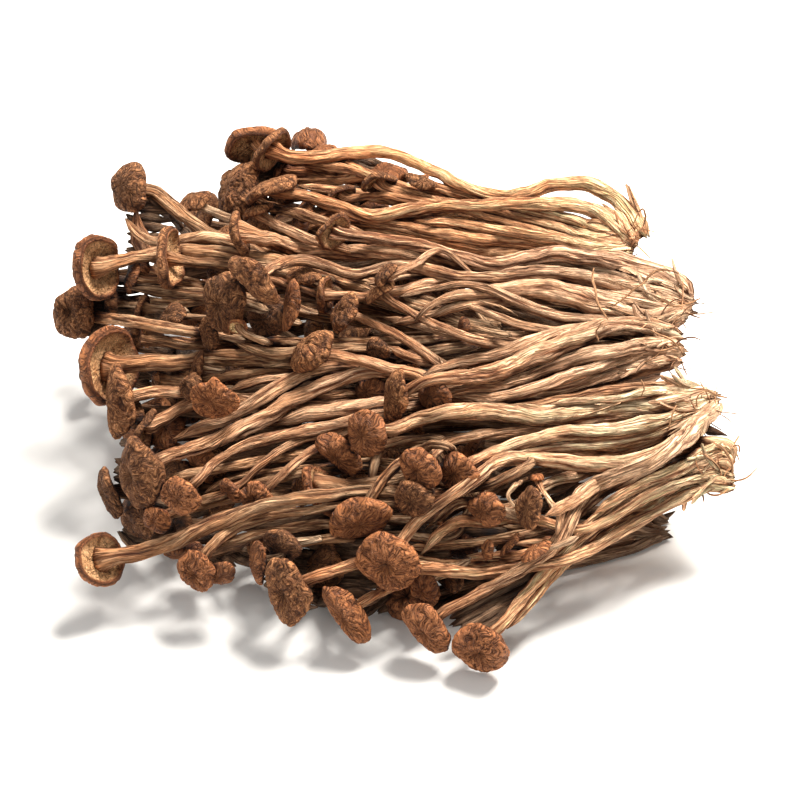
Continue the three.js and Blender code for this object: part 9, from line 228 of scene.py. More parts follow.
    ("K10_0", "clump_under_10", "K10", "under", [[0.117,0.339,0.934,0.87],[406,1151,353,327,352,1139,367,321,299,1128,380,314,245,1116,394,307,192,1105,408,301,138,1095,423,294,85,1084,438,288,32,1074,453,284,-22,1065,468,283,-75,1055,484,282,-128,1046,501,281,-181,1037,518,281,-234,1027,535,280,-287,1018,553,279,-340,1009,571,278,-392,999,589,277,-445,989,608,276,-497,980,627,280,-549,971,647,299,-601,957,665,351]], [-585,962,660,-8996,-3089,3086,4060,-3319,8515,1236,894,576,60]),
    ("K10_1", "clump_under_10", "K10", "under", [[0.263,0.962,-0.076,0.88],[407,1078,358,346,351,1080,357,339,295,1083,356,333,240,1086,355,326,184,1089,356,319,128,1092,358,313,73,1094,361,306,17,1097,363,300,-39,1098,365,298,-94,1099,367,296,-150,1099,369,294,-206,1099,371,291,-261,1097,372,289,-317,1095,373,287,-373,1092,374,284,-428,1088,374,282,-484,1084,374,280,-539,1079,374,278,-595,1078,373,280,-650,1072,372,298,-702,1052,378,348]], [-687,1062,375,-8020,-5646,1950,1961,-5571,-8069,1352,1201,606,0]),
    ("K10_2", "clump_under_10", "K10", "under", [[-0.224,-0.894,0.387,0.84],[397,1058,364,350,341,1052,369,342,285,1045,373,334,229,1040,378,325,173,1036,383,317,116,1035,387,309,60,1037,392,305,4,1040,397,307,-53,1045,403,308,-108,1050,410,310,-164,1057,418,311,-220,1066,425,313,-275,1076,431,314,-330,1088,434,315,-385,1101,433,317,-440,1111,428,336,-491,1134,427,409]], [-484,1126,425,-6200,7641,1781,-2921,-4355,8514,659,557,339,0]),
    ("K10_3", "clump_under_10", "K10", "under", [[-0.046,-0.469,0.882,0.87],[400,1123,358,255,345,1129,355,249,290,1134,352,242,235,1139,349,236,180,1143,346,229,125,1146,342,223,70,1147,338,223,14,1146,334,224,-41,1144,330,225,-96,1142,325,226,-151,1138,320,227,-206,1133,315,228,-261,1126,310,229,-316,1120,305,230,-370,1111,301,244,-424,1109,289,296]], [-416,1108,293,-8942,1635,-4166,3808,7672,-5162,923,594,291,0]),
    ("K10_4", "clump_under_10", "K10", "under", [[0.061,0.998,0.028,0.76],[431,1113,358,256,379,1100,374,251,327,1086,390,246,276,1073,406,241,224,1060,422,236,171,1047,435,231,118,1035,446,226,64,1023,453,223,9,1011,459,222,-45,999,467,222,-97,985,481,222,-148,969,499,222,-198,952,518,222,-249,936,537,222,-300,921,556,222,-352,904,572,221,-403,886,584,221,-454,866,594,221,-505,848,607,225,-556,829,620,240,-602,798,623,283]], [-589,813,626,-6588,-7359,-1566,-5998,3881,6997,1196,1061,660,30]),
    ("K11_0", "clump_under_11", "K11", "under", [[-0.345,-0.576,0.741,0.76],[965,795,562,295,911,809,568,289,857,824,575,283,803,839,581,277,749,853,587,270,695,867,594,264,641,881,600,258,587,895,607,254,533,908,614,251,479,922,621,248,425,936,629,245,371,950,638,242,319,965,650,239,269,982,670,236,219,1002,694,233,168,1021,714,230,112,1038,720,227,54,1051,714,226,-3,1064,710,244,-23,1070,727,282]], [-20,1069,716,-2128,1180,9699,9387,-2507,2365,1170,754,374,0]),
    ("K11_1", "clump_under_11", "K11", "under", [[-0.083,0.996,0.036,0.88],[987,752,552,259,931,765,554,255,876,777,556,250,821,790,558,246,766,803,560,241,711,817,562,236,657,832,565,232,603,849,569,227,549,866,573,224,495,884,576,222,441,901,580,220,387,918,584,218,332,933,587,215,273,944,591,213,204,944,590,211,125,937,581,209,56,951,574,206,11,982,575,204,-26,1012,583,202,-63,1036,592,200,-108,1055,599,198,-158,1071,606,210,-182,1078,595,250]], [-177,1077,602,-5029,1337,-8540,3385,9395,-523,806,520,277,60]),
    ("K11_2", "clump_under_11", "K11", "under", [[0.397,0.554,0.732,0.81],[960,753,567,368,904,753,569,360,848,752,572,353,793,753,574,345,737,756,576,338,681,762,578,331,626,768,580,323,570,775,582,319,515,782,584,318,460,789,587,316,404,796,592,315,349,803,600,313,294,810,611,312,239,817,621,310,184,825,625,309,129,834,622,307,75,842,618,306,20,850,617,305,-34,857,618,321,-84,879,619,387]], [-71,867,619,-7108,7034,38,6745,6831,-2802,1201,816,611,0]),
    ("K11_3", "clump_under_11", "K11", "under", [[-0.225,0.834,-0.503,0.85],[978,779,554,351,924,784,569,345,871,790,584,338,817,796,599,332,763,801,613,326,708,804,624,319,653,806,632,313,597,805,638,307,541,803,644,305,486,801,649,305,430,798,654,305,374,796,658,304,318,794,661,304,262,792,663,304,206,790,666,303,151,788,669,303,95,786,673,303,39,785,677,302,-17,783,682,302,-73,783,688,307,-128,785,694,326,-182,773,696,386]], [-169,780,697,-8794,-4759,-121,-2224,3883,8943,1030,873,491,60]),
    ("K11_4", "clump_under_11", "K11", "under", [[0.098,0.758,-0.644,0.77],[982,780,562,279,927,781,553,273,873,781,543,268,818,782,535,262,762,784,528,257,707,788,524,251,652,791,524,245,596,795,525,242,540,797,526,242,485,798,526,242,429,797,526,241,374,794,524,241,319,788,522,241,266,778,521,240,214,769,528,240,162,766,545,240,108,774,563,239,51,787,569,239,-6,799,567,244,-61,812,568,305]], [-54,809,566,-8975,3622,2515,-4151,-8865,-2046,714,488,262,60]),
    ("K12_0", "clump_under_12", "K12", "under", [[-0.039,0.776,-0.629,0.74],[111,766,488,276,56,762,479,271,2,759,472,265,-53,758,466,260,-109,758,463,255,-164,758,460,249,-220,759,457,244,-275,760,453,240,-331,761,449,238,-386,761,445,236,-441,761,441,234,-496,762,436,232,-552,761,431,230,-607,761,426,228,-662,760,420,226,-717,758,415,224,-772,756,410,222,-827,754,404,220,-883,750,401,225,-937,750,392,255,-963,754,383,277]], [-946,750,391,-8890,2185,-4023,4552,5167,-7252,1185,925,659,60]),
    ("K12_1", "clump_under_12", "K12", "under", [[-0.111,-0.832,0.544,0.85],[132,804,475,301,79,783,467,295,27,762,462,289,-25,740,459,283,-78,720,456,276,-131,700,454,270,-185,681,452,264,-238,663,450,261,-291,644,449,259,-344,625,450,258,-397,605,456,256,-450,585,463,255,-503,563,466,253,-555,541,460,251,-607,518,449,250,-659,495,440,248,-710,472,435,247,-762,450,431,248,-814,428,428,270,-833,412,442,311]], [-829,418,432,-2930,-5350,7924,9546,-1174,2737,889,685,399,30]),
    ("K12_2", "clump_under_12", "K12", "under", [[0.103,0.995,-0.017,0.74],[112,803,484,268,58,819,480,262,4,833,479,256,-51,845,479,250,-107,854,481,244,-162,863,481,238,-218,870,483,233,-273,875,487,230,-326,880,495,227,-380,886,506,225,-435,892,519,222,-489,899,531,219,-544,904,542,217,-598,908,554,214,-652,912,570,211,-704,916,590,208,-756,919,611,216,-806,919,635,261]], [-795,920,629,-8588,-1120,4999,-449,-9556,-2913,1007,669,404,60]),
    ("K12_3", "clump_under_12", "K12", "under", [[0.215,-0.811,0.545,0.88],[126,766,484,363,75,745,487,356,22,725,493,348,-30,708,501,341,-84,692,508,334,-137,677,511,326,-191,663,512,319,-245,649,511,314,-299,634,510,311,-353,620,509,309,-408,606,510,306,-462,592,511,303,-516,577,512,300,-570,560,513,298,-623,541,512,295,-675,519,510,292,-727,496,506,289,-779,473,503,287,-830,449,500,299,-881,437,515,362]], [-869,437,505,-7657,506,6412,5852,4684,6619,835,676,516,0]),
    ("K12_4", "clump_under_12", "K12", "under", [[-0.616,-0.780,-0.114,0.80],[137,766,487,296,82,772,475,290,29,781,465,284,-25,791,459,278,-79,802,457,272,-134,814,459,266,-189,827,461,260,-243,842,462,257,-297,859,462,258,-350,876,463,259,-403,894,466,260,-456,911,470,261,-509,927,475,262,-562,942,480,263,-615,957,484,264,-668,975,485,265,-721,995,481,265,-772,1018,474,272,-822,1040,466,290,-875,1056,472,343]], [-860,1054,466,-9286,1073,3553,3662,4204,8302,1258,968,546,30]),
    ("K13_0", "clump_under_13", "K13", "under", [[-0.202,0.786,-0.584,0.78],[331,228,343,312,281,250,350,305,230,274,349,299,179,297,338,293,128,320,326,287,78,344,323,280,29,368,328,274,-20,393,337,270,-69,417,345,269,-121,437,354,268,-174,452,364,266,-228,466,374,265,-281,480,381,264,-334,496,382,262,-387,513,377,261,-439,532,368,260,-492,552,365,258,-544,572,375,257,-596,591,391,270,-644,614,415,326]], [-636,609,409,-6793,5295,5081,-2851,4475,-8476,833,768,361,60]),
    ("K13_1", "clump_under_13", "K13", "under", [[0.153,-0.979,0.137,0.83],[339,291,338,363,285,291,351,356,231,286,362,348,177,276,369,340,123,265,371,333,67,252,370,325,12,239,367,318,-44,226,363,316,-98,213,361,315,-153,201,361,315,-209,195,363,314,-265,192,368,314,-322,190,372,314,-378,187,376,313,-435,183,379,313,-491,177,381,312,-546,171,382,312,-602,165,379,322,-657,158,386,363,-680,152,400,398]], [-668,156,387,-6657,-1986,7193,-4191,8971,-1402,1077,858,606,0]),
    ("K13_2", "clump_under_13", "K13", "under", [[-0.166,0.115,0.979,0.81],[316,231,334,283,269,204,330,278,223,178,327,273,175,155,323,268,121,140,319,263,64,126,315,258,8,109,311,253,-47,85,310,248,-102,55,314,245,-156,25,318,242,-207,4,310,240,-254,-10,292,238,-302,-22,272,236,-350,-38,257,233,-400,-56,249,231,-451,-75,243,229,-503,-92,236,227,-554,-110,227,224,-603,-135,217,222,-650,-164,208,220,-697,-194,197,226,-740,-218,213,277]], [-737,-215,195,-1963,-1612,9672,6292,-7773,-19,1130,763,608,60]),
    ("K13_3", "clump_under_13", "K13", "under", [[-0.085,-0.283,0.955,0.78],[318,285,345,337,269,265,358,331,220,243,370,325,171,220,375,319,118,200,373,312,64,183,369,306,9,167,367,300,-45,151,367,294,-98,133,369,291,-150,115,372,288,-203,98,375,285,-256,80,377,282,-308,62,379,279,-361,45,381,277,-414,27,382,274,-467,10,383,271,-521,-6,384,268,-574,-23,384,265,-628,-39,384,262,-681,-56,382,261,-734,-73,379,276,-786,-85,393,327]], [-774,-84,385,-8381,-462,5435,5243,-3432,7793,1275,992,479,0]),
    ("K13_4", "clump_under_13", "K13", "under", [[0.075,0.095,0.993,0.80],[335,298,347,288,280,301,340,282,226,311,336,277,172,323,332,271,116,318,325,266,59,297,317,260,3,267,308,254,-52,239,301,251,-107,220,297,252,-162,204,294,253,-217,189,292,253,-272,173,290,254,-328,156,290,255,-383,139,290,256,-438,124,288,257,-493,112,285,258,-547,99,280,259,-601,84,275,260,-653,64,268,265,-705,45,260,291,-731,50,252,335]], [-722,42,256,-7179,6159,-3244,-5251,-7851,-3284,1029,781,424,60]),
    ("K14_0", "clump_under_14", "K14", "under", [[-0.329,0.931,0.160,0.81],[226,1018,622,327,171,1010,631,319,119,1003,647,311,66,995,659,303,10,986,661,295,-47,973,657,287,-101,956,654,283,-154,935,653,281,-206,914,653,280,-257,891,656,278,-307,866,659,276,-356,839,663,274,-402,809,669,273,-447,776,675,271,-492,743,679,273,-537,710,681,303,-557,690,683,342]], [-551,697,682,-6445,-7591,916,-4316,4601,7759,867,613,293,30]),
    ("K14_1", "clump_under_14", "K14", "under", [[-0.705,-0.709,0.034,0.75],[258,1028,617,274,206,1012,627,266,154,995,640,259,102,980,656,251,51,966,673,243,-2,954,687,239,-56,944,697,240,-111,936,704,241,-167,929,708,242,-222,921,711,244,-277,912,713,245,-332,904,716,246,-387,893,717,253,-442,885,721,279,-466,891,733,318]], [-457,884,723,-6282,4815,6111,-5070,3424,-7910,1003,826,507,60]),
    ("K14_2", "clump_under_14", "K14", "under", [[0.243,0.942,-0.230,0.85],[258,1030,619,366,208,1027,592,356,159,1024,556,346,107,1020,523,336,51,1008,513,326,-7,989,521,317,-62,963,537,312,-112,932,551,306,-157,898,561,301,-201,863,566,295,-246,828,563,290,-293,794,555,284,-340,762,544,279,-387,731,531,286,-427,695,538,346]], [-420,705,529,-4252,-6863,5901,-5009,-3645,-7850,958,760,519,0]),
    ("K14_3", "clump_under_14", "K14", "under", [[-0.487,-0.793,-0.366,0.81],[246,1024,617,297,191,1030,621,288,136,1033,626,279,81,1035,633,269,26,1036,639,261,-30,1035,644,255,-85,1036,648,251,-140,1038,653,247,-195,1042,659,244,-250,1047,664,240,-305,1053,667,236,-360,1059,666,234,-415,1065,669,257,-439,1068,682,291]], [-431,1067,673,-6233,1247,7720,7330,-2505,6324,924,774,399,0]),
    ("K15_0", "clump_under_15", "K15", "under", [[-0.032,-0.992,-0.121,0.80],[1170,349,177,265,1114,340,174,261,1058,331,171,256,1002,322,168,252,947,313,166,247,891,305,163,242,835,297,162,238,779,289,160,233,723,281,159,230,667,273,159,229,611,266,159,228,555,260,159,227,499,253,160,226,443,248,161,225,389,243,161,224,338,241,160,223,290,240,156,221,243,241,151,220,192,242,149,219,132,239,154,218,64,233,167,217,-2,228,177,228,-60,222,196,276]], [-49,224,188,-8149,-1393,5626,1760,-9843,112,1012,656,473,0]),
    ("K15_1", "clump_under_15", "K15", "under", [[-0.146,-0.832,-0.534,0.80],[1147,383,177,345,1095,366,188,339,1042,348,199,333,990,331,209,327,937,312,217,321,885,293,222,315,832,273,227,309,780,252,230,304,728,231,234,299,677,208,239,297,626,184,245,296,577,158,252,294,529,129,261,292,485,97,273,290,443,63,288,288,400,30,303,286,351,4,312,285,296,-13,313,283,239,-28,309,281,185,-46,306,279,133,-68,304,277,82,-91,304,280,39,-124,300,351]], [40,-116,303,-993,-9371,-3347,-3650,3472,-8638,616,528,289,0]),
    ("K15_2", "clump_under_15", "K15", "under", [[0.042,-0.006,0.999,0.84],[1172,331,171,316,1118,314,173,310,1065,297,174,305,1011,280,175,299,956,265,176,293,902,251,176,287,846,238,176,282,791,227,175,276,736,217,176,275,680,208,178,276,624,200,182,277,568,193,187,278,512,188,190,278,456,186,193,279,400,183,192,280,345,173,190,281,294,150,187,281,244,119,186,282,189,97,195,283,127,96,216,283,65,104,235,300,8,107,257,364]], [19,107,250,-8149,177,5794,-874,9843,-1530,935,723,430,60]),
    ("K15_3", "clump_under_15", "K15", "under", [[-0.166,0.036,-0.985,0.82],[1160,382,181,277,1105,378,176,270,1050,375,170,263,995,372,165,257,940,369,159,250,885,367,153,243,830,364,147,240,776,362,140,238,721,361,133,237,666,359,125,236,611,358,117,235,557,357,109,233,502,356,100,232,448,355,91,231,393,354,81,230,339,352,91,242,285,357,97,291]], [300,353,100,-9473,2567,-1916,-3149,-6358,7047,1234,850,513,0]),
    ("K16_0", "clump_under_16", "K16", "under", [[0.013,0.371,0.928,0.76],[-3,-59,217,351,-58,-53,211,344,-113,-50,206,337,-168,-51,202,330,-224,-54,198,323,-279,-57,194,316,-335,-60,188,309,-391,-63,180,304,-447,-66,172,302,-503,-71,167,299,-559,-79,168,297,-614,-85,173,295,-668,-83,175,292,-722,-72,173,290,-774,-54,170,288,-826,-33,168,285,-878,-12,167,283,-930,8,165,283,-982,27,162,299,-1030,42,183,355]], [-1019,39,169,-5984,1297,7906,-7827,1162,-6115,1288,1110,593,0]),
    ("K16_1", "clump_under_16", "K16", "under", [[-0.336,-0.899,-0.280,0.86],[-30,-17,219,253,-83,-35,228,247,-136,-52,237,241,-189,-70,245,235,-243,-87,254,229,-296,-103,262,223,-350,-119,270,220,-403,-135,279,221,-457,-149,288,222,-512,-163,297,222,-566,-175,306,223,-621,-187,315,224,-675,-198,324,224,-730,-207,333,225,-785,-217,342,225,-841,-224,349,239,-890,-238,369,290]], [-882,-233,360,-5919,-4279,6830,5992,3332,7280,934,696,446,0]),
    ("K16_2", "clump_under_16", "K16", "under", [[0.052,0.079,-0.996,0.78],[-12,-80,213,321,-66,-84,210,314,-120,-90,208,307,-175,-100,208,300,-231,-111,211,293,-286,-122,214,287,-340,-133,219,280,-393,-146,228,278,-445,-162,242,278,-497,-177,257,278,-551,-184,269,277,-608,-181,277,277,-667,-174,284,277,-724,-171,290,276,-779,-174,292,276,-834,-182,290,276,-889,-193,286,280,-943,-204,285,298,-998,-211,291,352]], [-984,-210,288,-9793,-560,1946,676,-9963,537,1205,984,454,0]),
    ("K16_3", "clump_under_16", "K16", "under", [[-0.285,-0.481,0.829,0.84],[12,-9,222,278,-39,-31,231,271,-89,-55,239,264,-138,-81,247,257,-186,-108,253,250,-235,-133,257,243,-287,-156,257,240,-339,-175,254,238,-392,-193,250,236,-445,-210,247,234,-498,-228,245,232,-551,-245,245,230,-605,-263,246,228,-660,-281,247,226,-715,-291,242,235,-765,-313,240,285]], [-756,-303,238,-6838,-7206,1146,4921,-5714,-6568,905,658,461,60]),
    ("K16_4", "clump_under_16", "K16", "under", [[-0.067,0.117,0.991,0.81],[45,-12,212,289,-8,1,213,282,-61,20,212,275,-114,45,210,268,-167,70,211,261,-220,91,216,254,-272,113,221,249,-324,137,225,247,-374,163,232,244,-424,186,246,241,-474,207,267,238,-522,227,291,235,-570,250,315,232,-618,274,335,229,-667,298,350,227,-718,319,361,234,-763,352,370,284]], [-757,341,368,-5477,8290,1127,-5535,-4601,6942,1154,769,416,0]),
    ("E9", "clump_front", "E", "seen", [1364,-490,402,220,1367,-472,423,237,1370,-454,444,254,1353,-442,452,265,1327,-431,452,273,1300,-421,448,279,1273,-413,441,280,1247,-407,432,280,1221,-405,420,276,1197,-404,407,270,1173,-406,394,265,1149,-409,380,259,1126,-413,367,254,1103,-417,353,250,1081,-420,339,245,1057,-423,325,240,1034,-426,311,234,1011,-428,297,228,987,-430,283,222,963,-431,269,216,939,-433,255,210,915,-435,241,205,891,-438,228,201,866,-440,214,197,842,-443,201,192,818,-446,187,185,794,-449,173,177,771,-452,159,168,747,-455,145,159,723,-458,131,150], None),
    ("K16_x0", "clump_under_16", "K16", "under", [[-0.550,-0.098,-0.829,0.88],[8,-64,214,341,-45,-64,233,334,-98,-65,252,328,-151,-68,270,321,-205,-71,289,314,-259,-76,305,308,-313,-84,319,301,-367,-94,331,296,-421,-106,342,293,-475,-119,354,291,-527,-135,368,288,-578,-153,384,286,-627,-174,401,283,-676,-196,419,281,-726,-216,436,278,-780,-228,450,276,-837,-234,459,273,-894,-239,464,271,-951,-244,467,272,-1006,-252,471,302,-1032,-262,475,340]], [-1021,-256,472,-8475,-4851,2156,3340,-8030,-4936,755,655,436,0]),
    ("K12_x1", "clump_under_12", "K12", "under", [[-0.207,-0.939,0.273,0.79],[89,839,477,265,34,831,484,261,-21,823,490,257,-75,814,496,253,-130,807,499,249,-186,802,498,245,-241,799,491,241,-297,797,483,237,-353,793,480,233,-408,784,482,230,-462,771,487,227,-516,758,492,225,-570,744,495,223,-624,731,497,221,-678,719,499,219,-732,707,500,216,-787,695,501,214,-841,685,502,212,-896,675,503,210,-951,665,503,208,-1006,656,504,205,-1061,647,504,203,-1116,639,504,201,-1170,630,501,201,-1225,621,501,216,-1246,625,519,251]], [-1243,620,505,-2493,3008,9205,934,9536,-2863,894,741,480,30]),
    ("K16_x2", "clump_under_16", "K16", "under", [[-0.098,0.608,0.788,0.81],[-10,14,217,243,-61,32,224,239,-109,59,227,234,-158,83,236,230,-211,94,258,226,-265,97,284,221,-320,101,307,217,-373,111,323,212,-427,125,331,211,-481,141,331,211,-535,157,327,210,-589,172,322,210,-642,187,318,210,-696,201,317,209,-750,215,319,209,-805,229,325,209,-859,243,333,208,-913,256,341,208,-967,269,347,207,-1021,283,353,207,-1075,297,354,217,-1124,306,374,264]], [-1118,307,364,-5668,-358,8231,-743,-9928,-943,981,770,384,0]),
    ("K16_x4", "clump_under_16", "K16", "under", [[0.087,-0.322,0.943,0.87],[-22,-8,221,309,-75,4,210,304,-128,17,200,299,-181,32,191,294,-233,48,185,289,-286,66,181,284,-338,83,177,279,-391,100,174,275,-444,116,171,270,-497,132,168,267,-551,147,166,264,-604,161,164,262,-658,175,162,260,-711,188,162,258,-764,199,162,255,-817,209,163,253,-870,220,164,251,-923,236,164,248,-977,256,164,246,-1030,279,162,244,-1082,302,161,241,-1134,323,160,239,-1185,343,160,238,-1237,363,161,254,-1289,382,160,299]], [-1275,378,160,-9494,3103,-478,-920,-1295,9873,981,867,494,0]),
    ("K5_x5", "clump_under_05", "K5", "under", [[-0.351,0.191,-0.917,0.83],[290,-289,31,240,236,-299,30,235,181,-309,29,230,126,-318,27,224,72,-328,26,219,17,-336,25,214,-38,-343,26,209,-93,-349,29,208,-149,-355,31,207,-204,-361,34,206,-259,-367,35,206,-314,-373,37,205,-369,-379,38,204,-424,-385,38,203,-480,-392,39,203,-535,-398,39,202,-590,-404,39,202,-644,-412,48,213,-694,-408,71,256]], [-680,-413,62,-7936,2914,5341,-2434,-9566,1603,1048,804,577,0]),
    ("A17", "clump_rear", "", "seen", [-89,883,805,230,-116,891,808,230,-142,899,812,230,-169,907,815,230,-196,915,817,230,-222,924,819,231,-248,933,821,234,-275,943,822,236,-301,952,823,239,-328,960,824,239,-355,968,825,236,-382,976,826,234,-409,982,827,232,-436,987,827,228,-464,991,828,224,-492,995,827,219,-520,998,827,215,-548,1000,827,210], None),
    ("A18", "clump_rear", "", "seen", [-79,821,882,220,-102,831,869,220,-124,840,857,220,-147,850,846,220,-170,859,835,220,-194,868,826,222,-219,876,817,226,-244,883,811,231,-270,890,805,236,-296,897,801,240,-322,903,798,235,-349,908,796,230,-375,914,794,225,-402,920,793,220], None),
    ("L41", "clump_left", "", "seen", [-699,379,595,230,-725,393,595,230,-750,406,594,230,-776,420,594,230,-802,433,594,230,-828,446,593,232,-854,458,593,234,-880,470,593,237,-907,482,593,239,-934,493,593,238,-961,503,594,235,-988,513,594,235,-1017,520,595,248,-1045,520,602,294], [-1037,521,598,-9023,-1077,4175,3505,3810,8556,620,460,300,0]),
    ("L42", "clump_left", "", "seen", [-710,221,695,220,-730,233,679,220,-750,245,663,220,-770,257,647,220,-790,269,632,220,-812,281,618,221,-834,293,606,223,-857,304,594,225,-881,316,584,228,-905,327,576,230,-930,338,569,227,-955,348,564,225,-981,358,560,222,-1007,368,558,218,-1034,377,557,209,-1061,386,556,199,-1088,395,556,190], None),
]
# look of a cap: w wrinkle depth, g size of the wrinkles, p crown pit, s skin
# (0 brown wrinkled, 1 smooth orange brown), d darkness
LOOKS = {
    "A1": (0.9, 2.2, 0.1, 0, 0.05),
    "A2": (1, 2.2, 0.1, 0, 0),
    "A0": (0.5, 2.6, 0.2, 1, 0.05),
    "A3": (0.5, 2.5, 0.1, 1, 0.25),
    "A4": (0.5, 2.5, 0.1, 1, 0.15),
    "A5": (0.6, 2.3, 0.1, 0, 0.12),
    "A6": (0.6, 2.3, 0.1, 0, 0.12),
    "A7": (0.6, 2.2, 0.1, 0, 0.15),
    "A11": (0.4, 2.5, 0.2, 1, 0.3),
    "A15": (0.5, 2.4, 0.1, 1, 0.3),
    "B1": (1, 2, 0.1, 0, 0.05),
    "B2": (1.1, 2, 0.1, 0, 0.05),
    "B2q": (0.9, 2, 0.1, 0, -0.12),
    "B3": (0.9, 2.2, 0.15, 0, -0.05),
    "B4": (1, 2, 0.1, 0, -0.05),
    "B12": (1.1, 1.8, 0.1, 0, 0.22),
    "C1": (1, 1.9, 0.1, 0, -0.15),
    "C3": (0.5, 2.2, 0.2, 1, 0.35),
    "B5": (0.9, 2, 0.1, 0, 0),
    "B6": (1.2, 2.2, 0.1, 0, 0),
    "B7": (1.2, 2.3, 0.1, 0, -0.2),
    "D1": (0.6, 2.4, 0.25, 1, 0.05),
    "D2": (0.7, 2.2, 0.25, 1, 0.15),
    "D3": (0.6, 2.4, 0.35, 1, 0),
    "D5": (0.8, 2.6, 0.5, 1, -0.08),
    "D6": (0.8, 2.4, 0.4, 1, 0),
    "D10": (0.3, 2, 0.1, 1, -0.6),
    "D11": (1, 2.2, 0.2, 0, 0.05),
    "D12": (0.7, 2.2, 0.2, 1, 0.1),
    "E2": (0.8, 2.2, 0.4, 1, 0.02),
    "E6": (0.5, 2.2, 0.1, 1, -0.1),
    "L1": (0.7, 2.2, 0.1, 0, 0.2),
    "L3": (0.5, 2.4, 0.1, 1, 0.1),
    "L4": (0.7, 2.1, 0.1, 0, 0),
    "L5": (1.4, 2.3, 0.5, 0, 0.15),
    "L6": (0.5, 2, 0.2, 0, 0.3),
    "L7": (0.5, 2, 0.2, 0, 0.3),
    "L8": (0.5, 2, 0.2, 0, 0.3),
    "L9": (0.4, 2.6, 0.1, 1, 0.05),
    "L16": (1.2, 1.9, 0.2, 0, 0.1),
    "L17": (1.5, 2.4, 0.3, 0, 0.2),
    "L18": (0.5, 2, 0.1, 1, -0.4),
    "L19": (1.6, 3.2, 0.1, 0, 0),
    "L21": (0.8, 2.2, 0.1, 0, 0.12),
    "L22": (0.8, 2, 0.1, 0, -0.1),
    "L23": (1.3, 2, 0.1, 0, 0.2),
    "L24": (1.2, 2.2, 0.2, 0, 0.45),
    "L25": (0.6, 2.4, 0.1, 1, 0.1),
    "L26": (1, 1.9, 0.1, 0, 0),
    "L34": (0.5, 2, 0.1, 0, 0.2),
    "L40": (0.5, 2.4, 0.2, 1, 0.3),
    "L37": (0.6, 2.2, 0.1, 0, 0.25),
    "L39": (0.6, 2.2, 0.1, 0, 0.25),
    "M1": (0.9, 2, 0.2, 0, 0.3),
    "M3": (0.4, 2, 0.1, 1, 0.4),
    "L10": (1.1, 1.9, 0.1, 0, -0.18),
    "L12": (1.1, 2, 0.1, 0, 0.3),
    "L13": (0.35, 2.6, 0.1, 1, -0.25),
    "L14": (1.2, 1.8, 0.1, 0, 0.2),
    "L15": (1.2, 1.8, 0.4, 0, 0.25),
    "M2": (0.7, 2.2, 0.2, 1, 0.3),
    "F1": (1, 2.1, 0.3, 0, 0.1),
    "F5": (0.8, 2, 0.25, 1, 0.05),
    "F6": (0.9, 2, 0.4, 1, 0.1),
    "F6b": (0.7, 2, 0.2, 1, 0.1),
    "F7": (0.5, 2.3, 0.1, 1, 0.05),
    "F8": (0.9, 2, 0.3, 1, 0.05),
    "F9": (1.2, 2.2, 0.5, 0, -0.05),
    "F2": (1.1, 1.9, 0.2, 0, 0.3),
    "F4": (0.5, 2.4, 0.2, 1, 0),
    "F3": (0.8, 2, 0.2, 0, 0.25),
    "F18": (0.8, 2.1, 0.1, 1, 0.05),
    "F19": (1, 2, 0.2, 0, 0.1),
    "F20": (0.7, 2.3, 0.3, 1, 0.02),
    "D15": (1.1, 2.1, 0.35, 0, 0.12),
    "D16": (0.5, 2.6, 0.3, 1, -0.02),
    "F12": (0.7, 2.2, 0.3, 1, 0),
    "F14": (0.8, 2.1, 0.2, 1, 0.1),
    "F10": (0.8, 2.1, 0.2, 1, 0.25),
    "F11": (0.8, 2, 0.2, 0, 0.35),
    "F8b": (0.6, 2.1, 0.2, 1, 0.3),
    "F8c": (0.6, 2.1, 0.2, 1, 0.3),
    "F29": (0.6, 2.1, 0.2, 1, 0.2),
    "F30": (0.6, 2.1, 0.2, 1, 0.2),
    "F32": (0.6, 2.1, 0.2, 1, 0.35),
}
VIEW = np.array([0.0, -0.76604444, 0.64278761])
FLAT = 0.74
MM = 0.001
TARGET = (5.346, -27.601, 55.0)
FAN_LENGTH = {"B": 44, "G": 15, "H": 14, "J": 15}
# how far the pale part runs up the stems, mm
PALE_LENGTH = {"A": 60, "B": 110, "C": 120, "D": 150, "E": 90, "G": 60, "H": 60, "J": 70}
# brown specks on the root fans
SPECKS = {"A": 0.35, "B": 0.55, "C": 1.0, "D": 0.85, "E": 0.8}
# torn fibres at the root ends
HAIRS = {"A": 30, "B": 34, "C": 38, "D": 34, "E": 30, "G": 6, "H": 6, "J": 10}
# tint of the clumps; partly painted light, as the rear clump is brightened where it gets less light
SHADES = {"clump_rear": (1.50, 1.20, 1.00), "clump_upper": (1.18, 1.06, 1.00), "clump_middle": (1.28, 1.12, 1.04), "clump_lower": (1.44, 1.29, 1.20), "clump_front": (1.54, 1.28, 1.12), "clump_left": (1.0, 0.89, 0.79), "clump_front_left": (0.97, 0.84, 0.73)}
# single growths that are paler or browner than their clump; C7 and D20 are darkened as painted shade where they lie in
# shadow in the heap
GROWTH_TONES_AND_SHADE = {"L1b": (0.55, 0.45, 0.40), "L13": (1.06, 1.02, 1.0), "B1": (1.15, 1.1, 1.1), "C7": (0.34, 0.26, 0.20), "D20": (0.54, 0.45, 0.38)}
# caps that have opened flatter
FOLDS = {"F9": 0.2, "F1": 0.6}
# caps that have shrunk
SHRUNK = {"D12": 0.80, "D16": 0.95}
CAP_STEP = 0.66
# painted hollow shade: darkest, and the openness range it fades over
HOLLOW_SHADE = (0.045, 0.17, 0.50)
WORLD = 0.52
# area lights: name, place, looks at, size, watts, colour
LIGHTS = [
    ("key", (0.46, 0.50, 1.28), (0, 0, 0.04), (0.50, 0.50), 57, (1.0, 0.965, 0.91)),
    ("fill", (-0.9, -0.7, 0.9), (0, 0, 0.04), (0.9, 0.9), 4, (1.0, 0.99, 0.97)),
]


